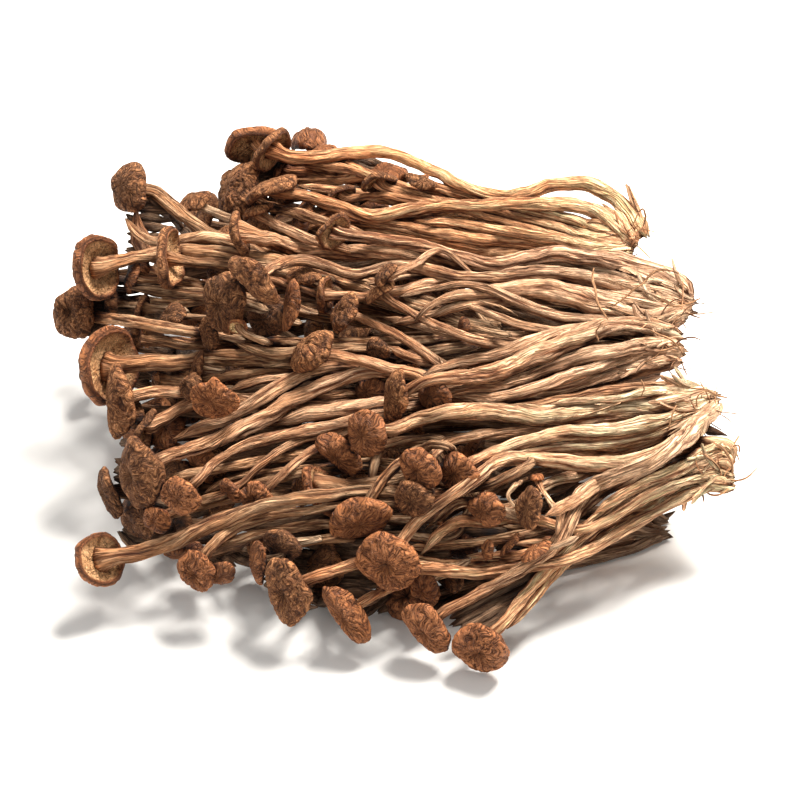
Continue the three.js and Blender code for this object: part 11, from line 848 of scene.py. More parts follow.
# ------------------------------------------------------------------ root fans
def root_sheet(skin, members, seed, reach, shade=(1, 1, 1), speck=0.3):
    """The roots grown into one pale, creased fan that splits into the stems."""
    rng = np.random.default_rng(seed)
    step = 1.5
    m = int(reach / step) + 1
    lines = []
    for rows, facing, flat in members:
        S, s = spline(rows, step)
        if len(S) < m:
            S = np.vstack([S, np.repeat(S[-1:], m - len(S), 0)])
        lines.append(S[:m])
    lines = np.array(lines)
    n = len(lines)
    if n < 2:
        return
    k0 = min(m - 1, int(16 / step))
    mean_t = unit((lines[:, k0, :3] - lines[:, 0, :3]).mean(0))
    across = unit(np.cross(mean_t, VIEW))
    order = np.argsort(lines[:, k0, :3] @ across)
    lines = lines[order]
    reach_k = []
    for k in range(n - 1):
        gap = np.linalg.norm(lines[k][:, :3] - lines[k + 1][:, :3], axis=1) - 0.95 * (lines[k][:, 3] + lines[k + 1][:, 3])
        far = np.where(gap > 1.3)[0]
        far = far[far > 3]
        reach_k.append(min(m - 1, int(far[0]) if len(far) else m - 1) * rng.uniform(0.8, 1.0))
    cols = []
    for k in range(n):
        near = max([reach_k[j] for j in (k - 1, k) if 0 <= j < n - 1])
        cols.append((k, k, 0.0, min(m - 1, near + 3), 1.0))
        if k < n - 1:
            for w in (0.2, 0.4, 0.6, 0.8):
                cols.append((k, k + 1, w, max(3.0, reach_k[k] * (1 - 0.16 * math.sin(math.pi * w)) * rng.uniform(0.9, 1.0)), 0.62))
    nc, nr = len(cols), 26
    cen = np.zeros((nr, nc, 3)); rad = np.zeros((nr, nc)); S_ = np.zeros((nr, nc))
    tt = np.linspace(0, 1, nr)
    for c, (i, j, w, top, th_) in enumerate(cols):
        x = tt * top
        k = np.clip(x.astype(int), 0, m - 2)
        f = (x - k)[:, None]
        a = lines[i][k] * (1 - f) + lines[i][k + 1] * f
        b = lines[j][k] * (1 - f) + lines[j][k + 1] * f
        q = a * (1 - w) + b * w
        cen[:, c], rad[:, c], S_[:, c] = q[:, :3], q[:, 3] * th_, x * step
    t = unit(np.gradient(cen, axis=0))
    side = np.gradient(cen, axis=1)
    up = np.cross(t, side)
    up = unit(up * np.sign((up * VIEW).sum(-1, keepdims=True) + 1e-9) + 0.6 * VIEW)
    lane = np.arange(nc)[None] + 0.35 * fbm(np.stack([S_.ravel() / 15, np.tile(np.arange(nc) * 0.2, nr), np.full(nr * nc, seed % 19)], -1), 5, 2).reshape(nr, nc)
    f1 = fbm(np.stack([lane.ravel() * 0.55, S_.ravel() / 24, np.full(nr * nc, seed % 13 + 0.5)], -1), 81, 3).reshape(nr, nc)
    f2 = noise(np.stack([lane.ravel() * 0.9, S_.ravel() / 34, np.full(nr * nc, seed % 29 + 0.2)], -1), 83).reshape(nr, nc)
    cre = np.exp(-((f2 / 0.11) ** 2))
    fade = 1 - smooth(0.82, 1.0, tt)[:, None]
    start = np.sqrt(np.clip(S_ / 3.0, 0.05, 1))
    top = cen + up * ((rad * 0.82 + 0.45 * f1 - 0.65 * cre) * fade * start)[..., None]
    bot = cen - up * ((rad * 0.82 + 0.4 * f1[:, ::-1]) * fade * start)[..., None]
    V = np.concatenate([top, bot[:, ::-1]], 1)
    jag = fbm(np.stack([np.arange(2 * nc) * 0.45, np.full(2 * nc, seed % 7 + 0.3), np.zeros(2 * nc)], -1), 91, 2)
    V = V - (np.clip(1 - np.concatenate([S_, S_[:, ::-1]], 1) / 7.0, 0, 1) * jag[None] * 2.6)[..., None] * mean_t
    SS = np.concatenate([S_, S_[:, ::-1]], 1)
    ff1, root_crease_shade = np.concatenate([f1, f1[:, ::-1]], 1), np.concatenate([cre, cre[:, ::-1]], 1)
    mot = fbm(V.reshape(-1, 3) / 5.0, 93, 3).reshape(SS.shape)
    col = mixc(np.broadcast_to(CREAM, SS.shape + (3,)), PALE, np.clip(0.25 + SS / 60 + 0.8 * mot, 0, 1))
    col = mixc(col, TAN, np.clip(0.2 + 0.8 * ff1, 0, 1) * 0.5)
    # painted shade: the creases of the fan are darkened to brown and deep brown
    col = mixc(col, BROWN, np.clip(root_crease_shade * 0.9, 0, 1))
    col = mixc(col, DEEP, np.clip(root_crease_shade - 0.5, 0, 1) * 1.2)
    sp = smooth(0.28, 0.5, fbm(V.reshape(-1, 3) / 1.5 + 4, 95, 2).reshape(SS.shape)) * np.clip(1.1 - SS / 22, 0, 1)
    col = mixc(col, DEEP, sp * speck)
    torn = smooth(-0.1, 0.35, fbm(V.reshape(-1, 3) / np.array([4.0, 4.0, 4.0]) + 9, 97, 3).reshape(SS.shape))
    rootdark = np.clip(1.15 - SS / 11.0, 0, 1) * torn
    col = mixc(col, BROWN * 0.9, np.clip(rootdark * (0.35 + speck), 0, 1))
    col = mixc(col, DEEP, np.clip(1 - SS / 5.0, 0, 1) * torn * speck * 0.8)
    col = col * np.asarray(shade)
    fib = np.stack([np.concatenate([lane, lane[:, ::-1] + 50], 1) * 0.62, mot * 0.5, SS], -1)
    width = float(np.linalg.norm(np.diff(cen[nr // 2], axis=0), axis=1).sum()) * 2
    skin.grid(V, col, fib, np.full(SS.shape, 0.87), (float(S_.max()), width), cen[0].mean(0) - mean_t * 0.6, cen[-1].mean(0) if False else None)


def fan(skin, members, seed, fine, length, shade=(1, 1, 1)):
    """Loose strands between the stems near the root, with torn ends."""
    rng = np.random.default_rng(seed)
    lines = []
    for rows, facing, flat in members:
        S, s = spline(rows, 2.0)
        m = max(3, int(length / 2.0))
        lines.append((S[: m + 1], facing, flat))
    n = len(lines)
    if n < 2:
        return
    ends = np.array([l[0][-1][:3] for l in lines])
    mean_t = unit(np.mean([unit(l[0][-1][:3] - l[0][0][:3]) for l in lines], 0))
    # order across the fan
    dev = ends - ends.mean(0)
    dev = dev - np.outer(dev @ mean_t, mean_t)
    u, sv, vt = np.linalg.svd(dev)
    across = vt[0]
    order = np.argsort(dev @ across)
    count = int((n - 1) * (2.6 if fine else 1.3))
    for q in range(count):
        k = rng.integers(0, n - 1)
        i, j = order[k], order[k + 1]
        if rng.random() < 0.25 and n > 3:
            j = order[min(n - 1, k + 2)]
        a, b = lines[i], lines[j]
        m = min(len(a[0]), len(b[0]))
        w = rng.uniform(0.15, 0.85)
        wob = w + 0.12 * wave(np.arange(m) * 2.0, seed % 91 + q, 16.0)
        S = a[0][:m] * (1 - wob[:, None]) + b[0][:m] * wob[:, None]
        S = S.copy()
        lift = rng.normal(0, 1.0) * np.sin(np.linspace(0.15, 1, m) * np.pi * 0.9)
        S[:, :3] += np.outer(lift, VIEW if fine else [0, 0, 1])
        keep = int(m * rng.uniform(0.6, 1.0))
        start = int(rng.integers(0, 2))
        S = S[start:max(start + 4, keep)]
        x = np.linspace(0, 1, len(S))
        S[:, 3] = S[:, 3] * rng.uniform(0.30, 0.75) * (1 - 0.75 * smooth(0.5, 1.0, x))
        S[:, :3] += np.outer(smooth(0.6, 1, x) * 0.8, -VIEW if fine else [0, 0, -1])
        stem(skin, S, a[1], a[2], seed * 31 + q, 12 if fine else 8, 1.8 if fine else 2.8,
             tone=rng.uniform(0.80, 1.05), cap_end=False, root_pale=1.0, grooves=3, shade=shade)


# strands under the heap that show through its gaps, coloured dark as painted shade: clump, radius, points (mm)
UNDER_SHADE_STRANDS = [
    ("clump_under_11", 2.4, [-15.7,95.4,89.1,-10.6,104.2,81.5,-5.4,112.5,74.2,0.1,111.8,73.5]),
    ("clump_under_11", 2.2, [-21.5,94,88.7,-16.3,93.2,87.1,-11.3,102,79.4,-5.9,110.8,72.5,-0.3,110.3,72]),
    ("clump_under_14", 2.2, [-61.2,80.7,85.5,-57.2,87.3,84.1,-53.3,94.6,82.4,-48.6,97,82.8,-44.1,98.7,84.6]),
    ("clump_under_14", 2.3, [-60.5,79.2,84.9,-56.4,85.9,83,-52.1,93,80.2,-47.6,95.8,81.1,-43.1,97.4,82.8]),
    ("clump_under_12", 2.3, [-111.8,71.7,83.5,-106.9,73.7,82.5,-102,74.6,80.6,-96.8,74.5,80.4]),
    ("clump_under_12", 2.4, [-107.5,72.5,78.1,-102.4,72.5,77.6,-97.1,71.8,77.8,-91.8,70,78.1]),
    ("clump_under_12", 2.4, [-107.9,70,75.3,-102.7,70,75.1,-97.4,67.8,75.2,-92,65.8,76.1]),
    ("clump_under_12", 2.1, [-108.2,67.6,72.9,-103,66.9,72.4,-97.1,61,75.9,-92,61.8,75.5]),
    ("clump_under_12", 2, [-103.1,62.8,71.2,-97.4,57.6,73.5,-91.5,51.8,77.9]),
    ("clump_under_12", 2.2, [-103.6,76.8,83,-98.5,73.1,78.9,-94.6,84.9,65,-91.6,99.6,47.8,-83.1,75.7,59.4]),
    ("clump_under_12", 2.3, [-111.2,70.5,76.1,-107.5,68.5,73.7,-103.1,66.9,72.2]),
    ("clump_under_12", 2.3, [-110.1,63.4,70.8,-105.8,63.1,70.5,-101.4,61.7,70.8]),
    ("clump_under_12", 2.2, [-110.2,60.2,69.4,-105.9,60,69,-101.5,58.9,69.3]),
    ("clump_under_12", 2.4, [-110.5,57.4,67.3,-106.2,56.7,66.6,-101.8,56.2,67.1]),
    ("clump_under_12", 2.3, [-85.4,48.7,75.9,-81.2,49.2,76.3,-77,49.3,76.6,-72.8,49.3,76.8,-68.5,48.3,76.8]),
    ("clump_under_12", 2.4, [-118.9,32.4,70.6,-115,35.3,68.1,-111.4,40.7,63.5,-107.9,46.4,58.7,-103.6,47.5,57.3]),
    ("clump_under_16", 2.1, [-119.3,29.9,67.9,-115.6,33.9,64.2,-112,38.1,59.7,-107.9,41.1,57.5,-103.3,40.8,58]),
    ("clump_under_16", 2.4, [-120.4,31.5,61.6,-116.2,33.5,60.1,-112.3,35.7,57.1,-108.2,38.1,55.1,-103.7,37.7,55.1]),
    ("clump_under_12", 2.2, [-109.9,45.1,58.6,-105,40.2,61.9,-101,41.4,60.5,-96.3,38.5,63.3,-91.4,32.9,67.2]),
    ("clump_under_16", 2.4, [-127.8,26.9,63.4,-124.1,27.5,62.1,-120.7,30.2,59.9,-117.1,31.8,58.8,-113.3,32.2,58.2]),
    ("clump_under_16", 2.3, [-128.1,25.6,60.6,-124.5,27.4,59.4,-120.7,28,58.5,-117.1,29.1,57.1,-113.4,30.2,56.2]),
    ("clump_under_16", 2.1, [-118.6,28.9,57.5,-114.3,30,56.1,-109.8,29.5,55.4,-105.6,31.4,53.9,-101.3,33.1,52.2]),
    ("clump_under_07", 2.2, [63.4,21.9,64.6,68.9,21.5,64,74.3,21,63.3,79.6,18,65,84.7,14.5,66.7]),
    ("clump_under_07", 2.2, [120.1,19,65.5,124.1,18.7,63.8,128.2,19.3,63.3]),
    ("clump_under_12", 2.3, [-106.1,30.2,55.4,-102,30,54.2,-98.1,32.3,51.6,-93,25.1,55.6,-87.5,16,62.8]),
    ("clump_under_16", 2, [-125,19.8,52.7,-120,24.2,54.2,-114.9,27.5,56.7]),
    ("clump_under_16", 2.2, [-123.6,18.7,51.5,-119.1,23.3,53.5,-114.1,26.6,56.2]),
    ("clump_under_16", 2.3, [-100.8,29,34.6,-98.4,49.7,17.7,-95.5,69.3,2.2,-86,36.2,27.4,-76.8,2.1,54]),
    ("clump_under_16", 2.4, [-109.6,13.9,36,-108.3,32.7,20.2,-104,32.3,19.8,-96.9,12.9,35.7,-90.1,-6.7,51.6]),
    ("clump_under_16", 2, [-109.8,12.2,33.8,-108.5,31,17.8,-104.1,31.5,18.4,-97,11.9,34.4,-90.2,-8.6,49.4]),
    ("clump_under_16", 2.1, [-97.7,-4.5,51.4,-93.6,-5.6,51.7,-92.4,15,34.2,-91.2,36.3,16.2,-86.9,36.3,16.1]),
    ("clump_under_08", 2.2, [125.7,-35,46.4,131,-34.8,44.5,135.6,-37.3,44.8]),
    ("clump_under_16", 2, [-111.7,-6.1,13.5,-106,-17.3,23.5,-100.5,-28.1,32.1]),
    ("clump_under_16", 2.1, [-43.8,-22.9,23.7,-38.7,-32.9,33.5,-33.8,-42.5,42.9,-29.5,-42.3,43,-25.2,-42.3,44.3]),
    ("clump_under_16", 2.4, [-105.5,-58.1,49.9,-101.6,-59.6,49.6,-97.2,-61.8,52.2]),
    ("clump_under_16", 2.4, [-107,-53.9,41.1,-102.3,-57.4,45,-97.8,-62.5,48.1]),
    ("clump_under_05", 2.2, [-107.3,-56,38.4,-103.1,-58,40.2,-98.5,-62.1,43.7]),
    ("clump_under_05", 2, [-107.8,-57.3,35.1,-103.9,-57.3,34.9,-99.3,-61.4,38.3]),
    ("clump_under_04", 2.1, [-39.2,-47.7,38.7,-34,-47.3,39.2,-28.7,-47.4,39.5,-23.4,-47.3,40.2,-18,-49.2,42.9]),
    ("clump_under_05", 2.5, [-54.2,-50.2,37.6,-49.3,-48.9,37.8,-44.4,-47.8,38.3,-39.5,-47,39,-34.5,-46.8,39.2]),
    ("clump_under_08", 2.5, [36.9,-65.9,49.7,41.2,-59.4,46.3,45.6,-54.2,43.8,49.9,-51,43.3,54.1,-49.1,43.8]),
    ("clump_under_08", 2.4, [37.8,-70.2,50.4,42.2,-60.5,44.2,46.7,-51.2,38.7,51.1,-46.7,36.9,55.5,-42.6,35.5]),
    ("clump_under_05", 2.4, [-76.8,-31,12.8,-73.1,-30.5,13.4,-69.6,-29.8,14.9,-66,-28.8,15.7,-62.2,-28.2,15.1]),
    ("clump_under_08", 2.3, [56.5,-64.8,35.8,62.3,-59.2,34.9,68.7,-57.1,35.2,74.4,-55.1,37.2,80.1,-53.4,39.4]),
    ("clump_under_08", 2.2, [59.4,-52.5,19.1,66.1,-41.5,12.5,71,-51,24.8,75.9,-57.7,34.6,81.8,-58.7,38]),
    ("clump_under_04", 2.4, [48,-31.8,6.6,52.1,-30.5,7.9,55.8,-29,10.1,59.6,-36.1,18,62.9,-40.9,25.1]),
    ("clump_under_05", 2.4, [-79.1,-65.6,40.8,-78.2,-45,21.8,-76.3,-33.6,9.9,-72.7,-33.5,9.8,-68.7,-37.2,12.5]),
    ("clump_under_05", 2.1, [-98.3,-59.7,28.7,-93.8,-63.6,32.1,-89.2,-68.9,36.5,-86.4,-62,29.4,-83.5,-55.5,22.1]),
    ("clump_under_04", 2.4, [108.3,-44.3,2.3,112.8,-40.9,2.5,117.2,-39.3,4.3]),
    ("clump_under_05", 2.1, [-84.3,-56.1,17.5,-80.2,-54.1,16.5,-76.6,-48.7,12.8,-72.7,-44.8,10.7,-68.3,-44.3,10.7]),
    ("clump_under_05", 2.4, [-104.7,-61.6,16.5,-100.1,-65.4,14.7,-95.3,-71.3,14.8]),
    ("clump_under_05", 2.2, [-106.3,-62.7,15.2,-102,-67.3,13.6,-96.1,-78.8,19.4]),
    ("clump_under_08", 2.3, [6.1,-75.8,29.8,10.2,-74.8,29.3,14.4,-63.5,18,18.7,-53,7.8,22.6,-63.2,17.1]),
    ("clump_under_08", 2, [-6.3,-83.9,37.1,-1.9,-79.9,33.4,2.4,-75.7,30.2,6.8,-75.1,30.8,11.3,-75,30.9]),
    ("clump_under_05", 2.1, [-99.5,-68.1,16.2,-94.6,-68.5,17.7,-90.5,-65.2,16.6,-86.8,-59,13,-82.3,-57.9,14.1]),
    ("clump_under_05", 2.3, [-43.5,-79.6,28.7,-37.4,-78.6,29.1,-31.7,-69.3,21.5,-25.9,-60.2,14.4,-19.2,-68.4,23.2]),
    ("clump_under_04", 2.5, [23.6,-76.1,27.7,30.2,-75.2,27.3,36.7,-76.4,28.5,43.5,-73.9,25.8,50.3,-70.2,22.7]),
    ("clump_under_05", 2.2, [-79,-78.8,24.7,-75.1,-77.8,25.7,-70.9,-77.8,26.2,-66.7,-79,29.2,-62.6,-78.9,30.5]),
    ("clump_under_04", 2.5, [-25.5,-69.4,17.5,-20.3,-70.1,18,-15,-75.2,23.1,-9.8,-82.6,28.8,-4.7,-86.3,32.6]),
    ("clump_under_04", 2.5, [-25.6,-72,15.6,-20.5,-72.6,15.7,-15.3,-73.8,16.2,-10,-80.8,23.2,-4.8,-92.5,34.1]),
    ("clump_under_04", 2.3, [-25.8,-73.8,13,-20.7,-75.2,13.1,-15.5,-76.1,14.4,-10.2,-84.4,21.4,-4.9,-95.6,32.1]),
    ("clump_under_08", 2.1, [2.7,-90.5,35.1,6.4,-82.4,28.7,10.3,-70.3,16.9,14.4,-57.7,4.8,18.3,-56.3,5]),
    ("clump_under_05", 2, [-42.4,-81.7,29.4,-37.4,-75.9,22.6,-32.1,-70.4,17.2,-26.5,-71.2,16,-20.8,-71.8,16.7]),
    ("clump_under_05", 2.1, [-42.3,-91.5,32.7,-37.4,-82.9,24,-32.6,-71.6,12.5,-26.9,-72.4,12.5,-21.2,-74,13.7]),
    ("clump_under_04", 2.1, [-42.6,-94.9,31.4,-37.8,-85.6,21.6,-33,-74,9.5,-27.3,-74.3,9.3,-21.6,-76.3,10.8]),
    ("clump_under_04", 2.2, [-42.8,-99.2,30.4,-38,-90.4,20.9,-33.3,-76.3,7.1,-27.6,-76.9,6.9,-22,-78.3,6.7]),
    ("clump_under_04", 2.5, [43.5,-83,25.6,47.1,-82.1,26,50.7,-81.7,25.6,54.4,-80.9,25.4,58,-80.6,25.2]),
    ("clump_under_05", 2.1, [-69.6,-74.9,25,-63.7,-69.3,16.1,-57.1,-70.6,13.4,-49.4,-82,21,-42.1,-95.3,29.6]),
    ("clump_under_05", 2.2, [-70.9,-74.1,20.8,-65.1,-71.5,13.7,-58.6,-72.6,10.6,-50.8,-85.1,19.4,-43.5,-98.9,28.4]),
    ("clump_under_05", 2.4, [-72.6,-77.2,18.1,-66.3,-75.4,12.8,-58.8,-85.8,19.1]),
    ("clump_under_05", 2.5, [-73.2,-83.2,20.4,-66.4,-87.6,20.5,-59.7,-93.7,22]),
    ("clump_under_04", 2.1, [14.7,-62.4,2.1,19.2,-63.3,2.1,23.8,-62.8,2.1,28,-69.2,7.7,32.1,-78.2,16.7]),
    ("clump_under_04", 2, [-25.5,-75.7,3.7,-18.7,-73.6,2,-11.8,-73.6,2,-4.6,-85.9,14.3,2.3,-101.7,29.2]),
    ("clump_under_04", 2.1, [-25.4,-80.4,3.7,-18.6,-78.9,2.1,-11.8,-78.7,2.1,-4.6,-85.6,9.4,2.2,-89,11.8]),
    ("clump_under_04", 2.2, [-25.4,-84.3,2.1,-18,-94.9,12.9,-11.1,-101.5,20,-4.5,-95.2,13.3,2.2,-90.3,9]),
    ("clump_under_05", 2, [-46.5,-99.8,26,-43,-101,27,-39.4,-103.6,28.7]),
    ("clump_under_05", 2.2, [-46.8,-100.7,24,-43.2,-102.3,25.2,-39.7,-104.5,26]),
    ("clump_under_04", 2.5, [23.3,-99.2,7.7,35.7,-84.6,2.4,47.1,-88.2,15.3,57.8,-90.8,28.4]),
    ("clump_under_04", 2.2, [24.6,-110.6,15.4,36.3,-104.8,18.7,48.1,-98.2,21.4,59.7,-91.6,24.8]),
    ("clump_under_04", 2.2, [26,-112.5,13.9,37.8,-106.2,16.4,49.9,-98.8,17.9,61.3,-91.1,20.8]),
    ("clump_under_04", 2.2, [27.8,-118.4,15.2,39.1,-110.2,16.9,51.2,-99.9,15.9,63,-92.7,18.4]),
    ("clump_under_04", 2.2, [29,-120.1,13.9,40.7,-111.8,14.7,52.2,-103.9,16.9]),
    ("clump_under_04", 2.2, [-35.6,-105.3,25.6,-31.5,-92.8,12.7,-27.3,-83,2.2,-22.3,-83.5,2.2,-16.9,-94.8,13.4]),
    ("clump_under_04", 2.1, [-35.7,-107,23.4,-31.7,-95.3,11,-27.4,-88,2,-21.9,-96.5,11.2,-16.6,-109.1,23.7]),
    ("clump_under_04", 2.2, [-35.9,-108.1,20.3,-31.2,-108.7,19.5,-26.4,-109,19.6]),
    ("clump_under_04", 2, [11.3,-98.8,7.9,17.8,-93.6,6.4,24.5,-86.9,3.6,30.8,-83,4.7,37.3,-80.9,6.9]),
    ("clump_under_04", 2.5, [12.4,-109.2,14.6,19,-97.1,6.2,25.3,-88.4,2.6,32,-84.4,2.4,38.5,-82.2,4.5]),
    ("clump_under_04", 2.1, [-15.9,-110.6,17.8,-10.7,-105.6,16.5,-5.7,-96.9,11.9,-1,-89.6,10,4.1,-88,12.7]),
    ("clump_under_04", 2.1, [-13.7,-112.8,15.4,-9.1,-102.2,9.4,-4.3,-92.3,4.2,0.7,-90.4,6.9,5.7,-89.1,10.4]),
    ("clump_under_04", 2.1, [-2.8,-93.8,2.1,2.3,-91.1,4.1,7.6,-90.7,7.7]),
    ("clump_under_07", 2.3, [40.6,10.5,64.3,50.2,39,39.8,59.2,38.4,38.6]),
    ("clump_under_08", 2.3, [106.1,-62,47.6,118.5,-43.6,36.6,128.2,-42.9,41.3]),
    ("clump_under_08", 2.3, [70.1,-13.1,55,86.4,-11.6,56.4,103,-7.7,54.2]),
    ("clump_under_08", 2.3, [72.6,-53,40.1,84,-56.5,44.4,97.3,-44,36.4]),
]
# loose fibres lying on the heap: clump, radius, pale, points (mm)
FIBRES = [
    ("clump_upper", 0.55, 1, [84.6,21.7,84,83.6,18.4,83.1,83.4,14.7,82.5,84.1,10.8,82.1,84.4,6.9,81.6,84.7,3.8,80.5,86,1.7,79.1,87.6,0.2,77.3,89.2,-1.1,75.4]),
    ("clump_upper", 0.5, 1, [91.8,10.3,73.2,95.2,11.7,74.8,98.5,13.3,76.6,101.6,15.3,78.4,104.7,17.5,80,107.9,20.1,81.4,111.5,22.7,81.9,115.6,24.3,80.8,119.6,24.4,78.9]),
    ("clump_rear", 0.5, 1, [103.5,53.9,84.1,104,55,85.5,104.6,56,87,105.8,56.7,88.1,107.3,57,88.8,107.9,55.7,87.5,108.3,54.5,86.2,108,53.3,84.8,107.6,52.1,83.3]),
    ("clump_lower", 0.35, 1, [101.2,-26,64.1,101.5,-26.7,63.6,101.8,-27.3,63.1,102.1,-27.9,62.5,102.4,-28.4,61.9,102.1,-28.9,61.3,101.8,-29.4,60.7,101.5,-29.9,60,101.2,-30.3,59.4]),
    ("clump_lower", 0.35, 1, [115.2,-32.5,56.5,114.6,-34.1,56.3,114.2,-35.3,55.9,113.8,-36.1,55,113.4,-36.8,54.2,113,-37.6,53.3,112.6,-38.3,52.4,112.2,-39,51.5,111.8,-39.7,50.6]),
    ("clump_middle", 0.4, 1, [86.1,-4.7,76.7,85.6,-5.3,76.1,85.1,-6,75.5,84.6,-6.5,74.8,84.1,-7.1,74.2,84.3,-7.7,73.4,84.6,-8.3,72.7,84.9,-8.9,72,85.3,-9.4,71.2]),
    ("clump_under_08", 1, 0, [54.7,-67.1,48.6,52.7,-71.7,51.3,50.7,-77.7,55.3,48.8,-82.3,58.1,47.3,-85.1,58.8,46,-86.7,58.3,46.1,-87.8,57.3,47.1,-88.8,56.1,48.2,-89.9,54.8]),
    ("clump_upper", 0.45, 1, [111.5,12.7,74.4,113.5,12.2,73.8,115.5,11.7,73.2,117.5,11.2,72.6,119.7,11.5,72.8,121.9,12.1,72.9,124,12.8,72.9,126.1,14.1,73.2,128.1,15.2,73.6]),
    ("clump_middle", 0.45, 1, [106.4,-2,70.5,108.4,-3.3,70.3,110.3,-4.8,70.3,112.3,-6,70.1,114.1,-7,69.5,115.9,-8,68.6,117.7,-8.8,67.5,118.9,-9.9,66,119.8,-11,64.2]),
    ("clump_middle", 0.4, 1, [108.1,-10.2,65.6,109.5,-10.1,65.8,110.9,-10,66,112.2,-9.8,66.1,113.6,-9.6,66.4,114.8,-9.2,66.9,116.1,-8.9,67.5,117.3,-8.4,68,118.5,-8,68.5]),
    ("clump_lower", 0.5, 1, [121,-26.9,60.6,122.8,-27.2,60.6,124.7,-27.5,60.5,126.6,-27.7,60.4,128.4,-28.2,59.8,130.2,-28.5,59,132,-28.5,58,134,-28.1,57,136,-27.7,56.1]),
    ("clump_front", 0.6, 1, [128.2,-49,51.3,129.8,-50,50.7,131.4,-51.1,50.2,132.9,-52.2,49.6,134,-53.4,48.4,135.1,-54.5,47.2,135.9,-55.7,45.8,136.1,-57,44.3,136.2,-58.2,42.7]),
    ("clump_front", 0.5, 1, [123,-54,50.5,124.3,-54.5,49.8,125.6,-55.1,49.1,126.8,-55.6,48.4,128.1,-56.1,47.5,129.2,-56.6,46.4,130.1,-57.1,45.1,131,-57.5,43.8,131.9,-58.1,42.6]),
    ("clump_upper", 0.5, 0, [38,12.1,74.9,40,11.7,74.4,42,11.4,73.9,44.1,11.1,73.4,46.1,10.9,72.8,48,10.7,71.7,49.9,10.9,70.2,51.9,12.5,67.6,53.9,14.7,64.6]),
    ("clump_middle", 0.45, 0, [59.3,-15.3,69.7,61.8,-14.8,70.3,64.3,-14.3,70.9,66.8,-13.7,71.5,69.3,-13,72,71.8,-12.3,72.2,74.4,-11.6,72.4,76.9,-10.9,72.6,79.5,-10.3,72.9]),
    ("clump_lower", 0.45, 0, [68.7,-39.9,54.9,71.7,-39.5,55.4,74.8,-39.1,55.9,77.8,-38.7,56.3,80.9,-38.1,56.8,83.8,-37.2,57.5,86.7,-36,58,89.7,-34.9,58.5,92.6,-33.8,59.2]),
]
# outline of torn caps: angle in degrees, share of the plain radius
OUTLINES = {
    "L13": [(21, 1.06), (43, 1.06), (60, 0.93), (80, 0.96), (98, 1.24), (112, 0.88), (143, 0.86), (181, 0.83), (214, 0.81), (253, 1.0), (278, 1.04), (303, 0.94), (339, 0.91)],
}


def hair(skin, line, radius, seed, colour, around=6, step=1.3, flat=0.7, wander=0.5):
    """A loose fibre: thin, tapering and slightly curled."""
    S, s = spline(np.c_[np.asarray(line, float), np.full(len(line), radius)], step)
    P, L = S[:, :3].copy(), s[-1]
    t = unit(np.gradient(P, axis=0))
    side = unit(np.cross(t, VIEW))
    up = np.cross(side, t)
    P = P + side * (wander * wave(s, seed % 53 + 3, 8.0))[:, None]
    P[:, 2] = np.maximum(P[:, 2], radius * 0.8 + 0.2)
    r = radius * (0.35 + 0.65 * np.sin(np.clip(s / L, 0, 1) * 2.5 + 0.32)) * (1 + 0.35 * wave(s, seed % 97, 4.0))
    th = 2 * np.pi * np.arange(around) / around
    A, T_ = np.meshgrid(s, th, indexing="ij")
    X, Y = np.cos(T_) * r[:, None], np.sin(T_) * r[:, None] * flat
    V = P[:, None] + side[:, None] * X[..., None] + up[:, None] * Y[..., None]
    m = noise(np.stack([A / 3.0, np.cos(T_) * 0.7 + seed % 31, np.sin(T_) * 0.7], -1).reshape(-1, 3), 5).reshape(A.shape)
    col = np.asarray(colour)[None, None] * (1 + 0.5 * m)[..., None]
    fib = np.stack([X + seed % 41 * 2.1, Y + seed % 23 * 1.7, A + seed % 61], -1)
    skin.grid(V, col, fib, np.full(A.shape, 0.86), (L, 2 * np.pi * radius * 0.85), P[0] - t[0] * r[0] * 0.6, P[-1] + t[-1] * r[-1])


def root_hairs(skin, members, seed, count, shade):
    """Torn fibres and flakes at the root end."""
    rng = np.random.default_rng(seed)
    for q in range(count):
        rows = members[rng.integers(len(members))][0]
        S, s = spline(rows, 2.0)
        k = min(int(abs(rng.normal(0, 3.5))), len(S) - 3)
        t = unit(S[k + 1, :3] - S[k, :3])
        side = unit(np.cross(t, VIEW))
        out = unit(VIEW * rng.uniform(0.5, 1.0) + side * rng.normal(0, 0.6))
        p = S[k, :3] + out * (S[k, 3] * 0.75)
        flake = rng.random() < 0.4
        n, size = 5, rng.uniform(8, 20) if flake else rng.uniform(5, 14)
        d = unit(t * (1.0 if flake else rng.choice([-0.5, 1.0])) + side * rng.normal(0, 0.25 if flake else 0.7) + out * 0.12)
        turn = rng.normal(0, 0.12 if flake else 0.4)
        line = [p]
        for i in range(n):
            line.append(line[-1] + d * size / n)
            d = unit(d + side * turn + VIEW * rng.normal(0.02, 0.08 if flake else 0.2))
        line = np.array(line)
        line[:, 2] = np.maximum(line[:, 2], 0.6)
        c = mixc(CREAM, BROWN, rng.uniform(0.0, 0.55)) if flake else mixc(TAN, DEEP, rng.uniform(0.0, 0.8))
        hair(skin, line, rng.uniform(0.7, 1.3) if flake else rng.uniform(0.22, 0.45), seed + 13 * q, c * np.asarray(shade),
             around=7 if flake else 5, step=1.6 if flake else 1.3, flat=0.32 if flake else 0.8, wander=0.4)


def extras(parts):
    for q, (node, r, line) in enumerate(UNDER_SHADE_STRANDS):
        P = np.array(line, float).reshape(-1, 3)
        # painted shade: these strands are dimmed and browned to stand for the dark gaps
        stem(parts[node], np.c_[P, np.full(len(P), r)], VIEW, 0.8, 9000 + 17 * q, 7, 3.4, tone=0.55, cap_end=False,
             root_pale=0.1, grooves=4, shade_dimming=0.25, shade_browning=0.55)
    for q, (node, r, pale, line) in enumerate(FIBRES):
        P = np.array(line, float).reshape(-1, 3)
        hair(parts[node], P, r, 9500 + 11 * q, TAN if not pale else WARM * 0.95)


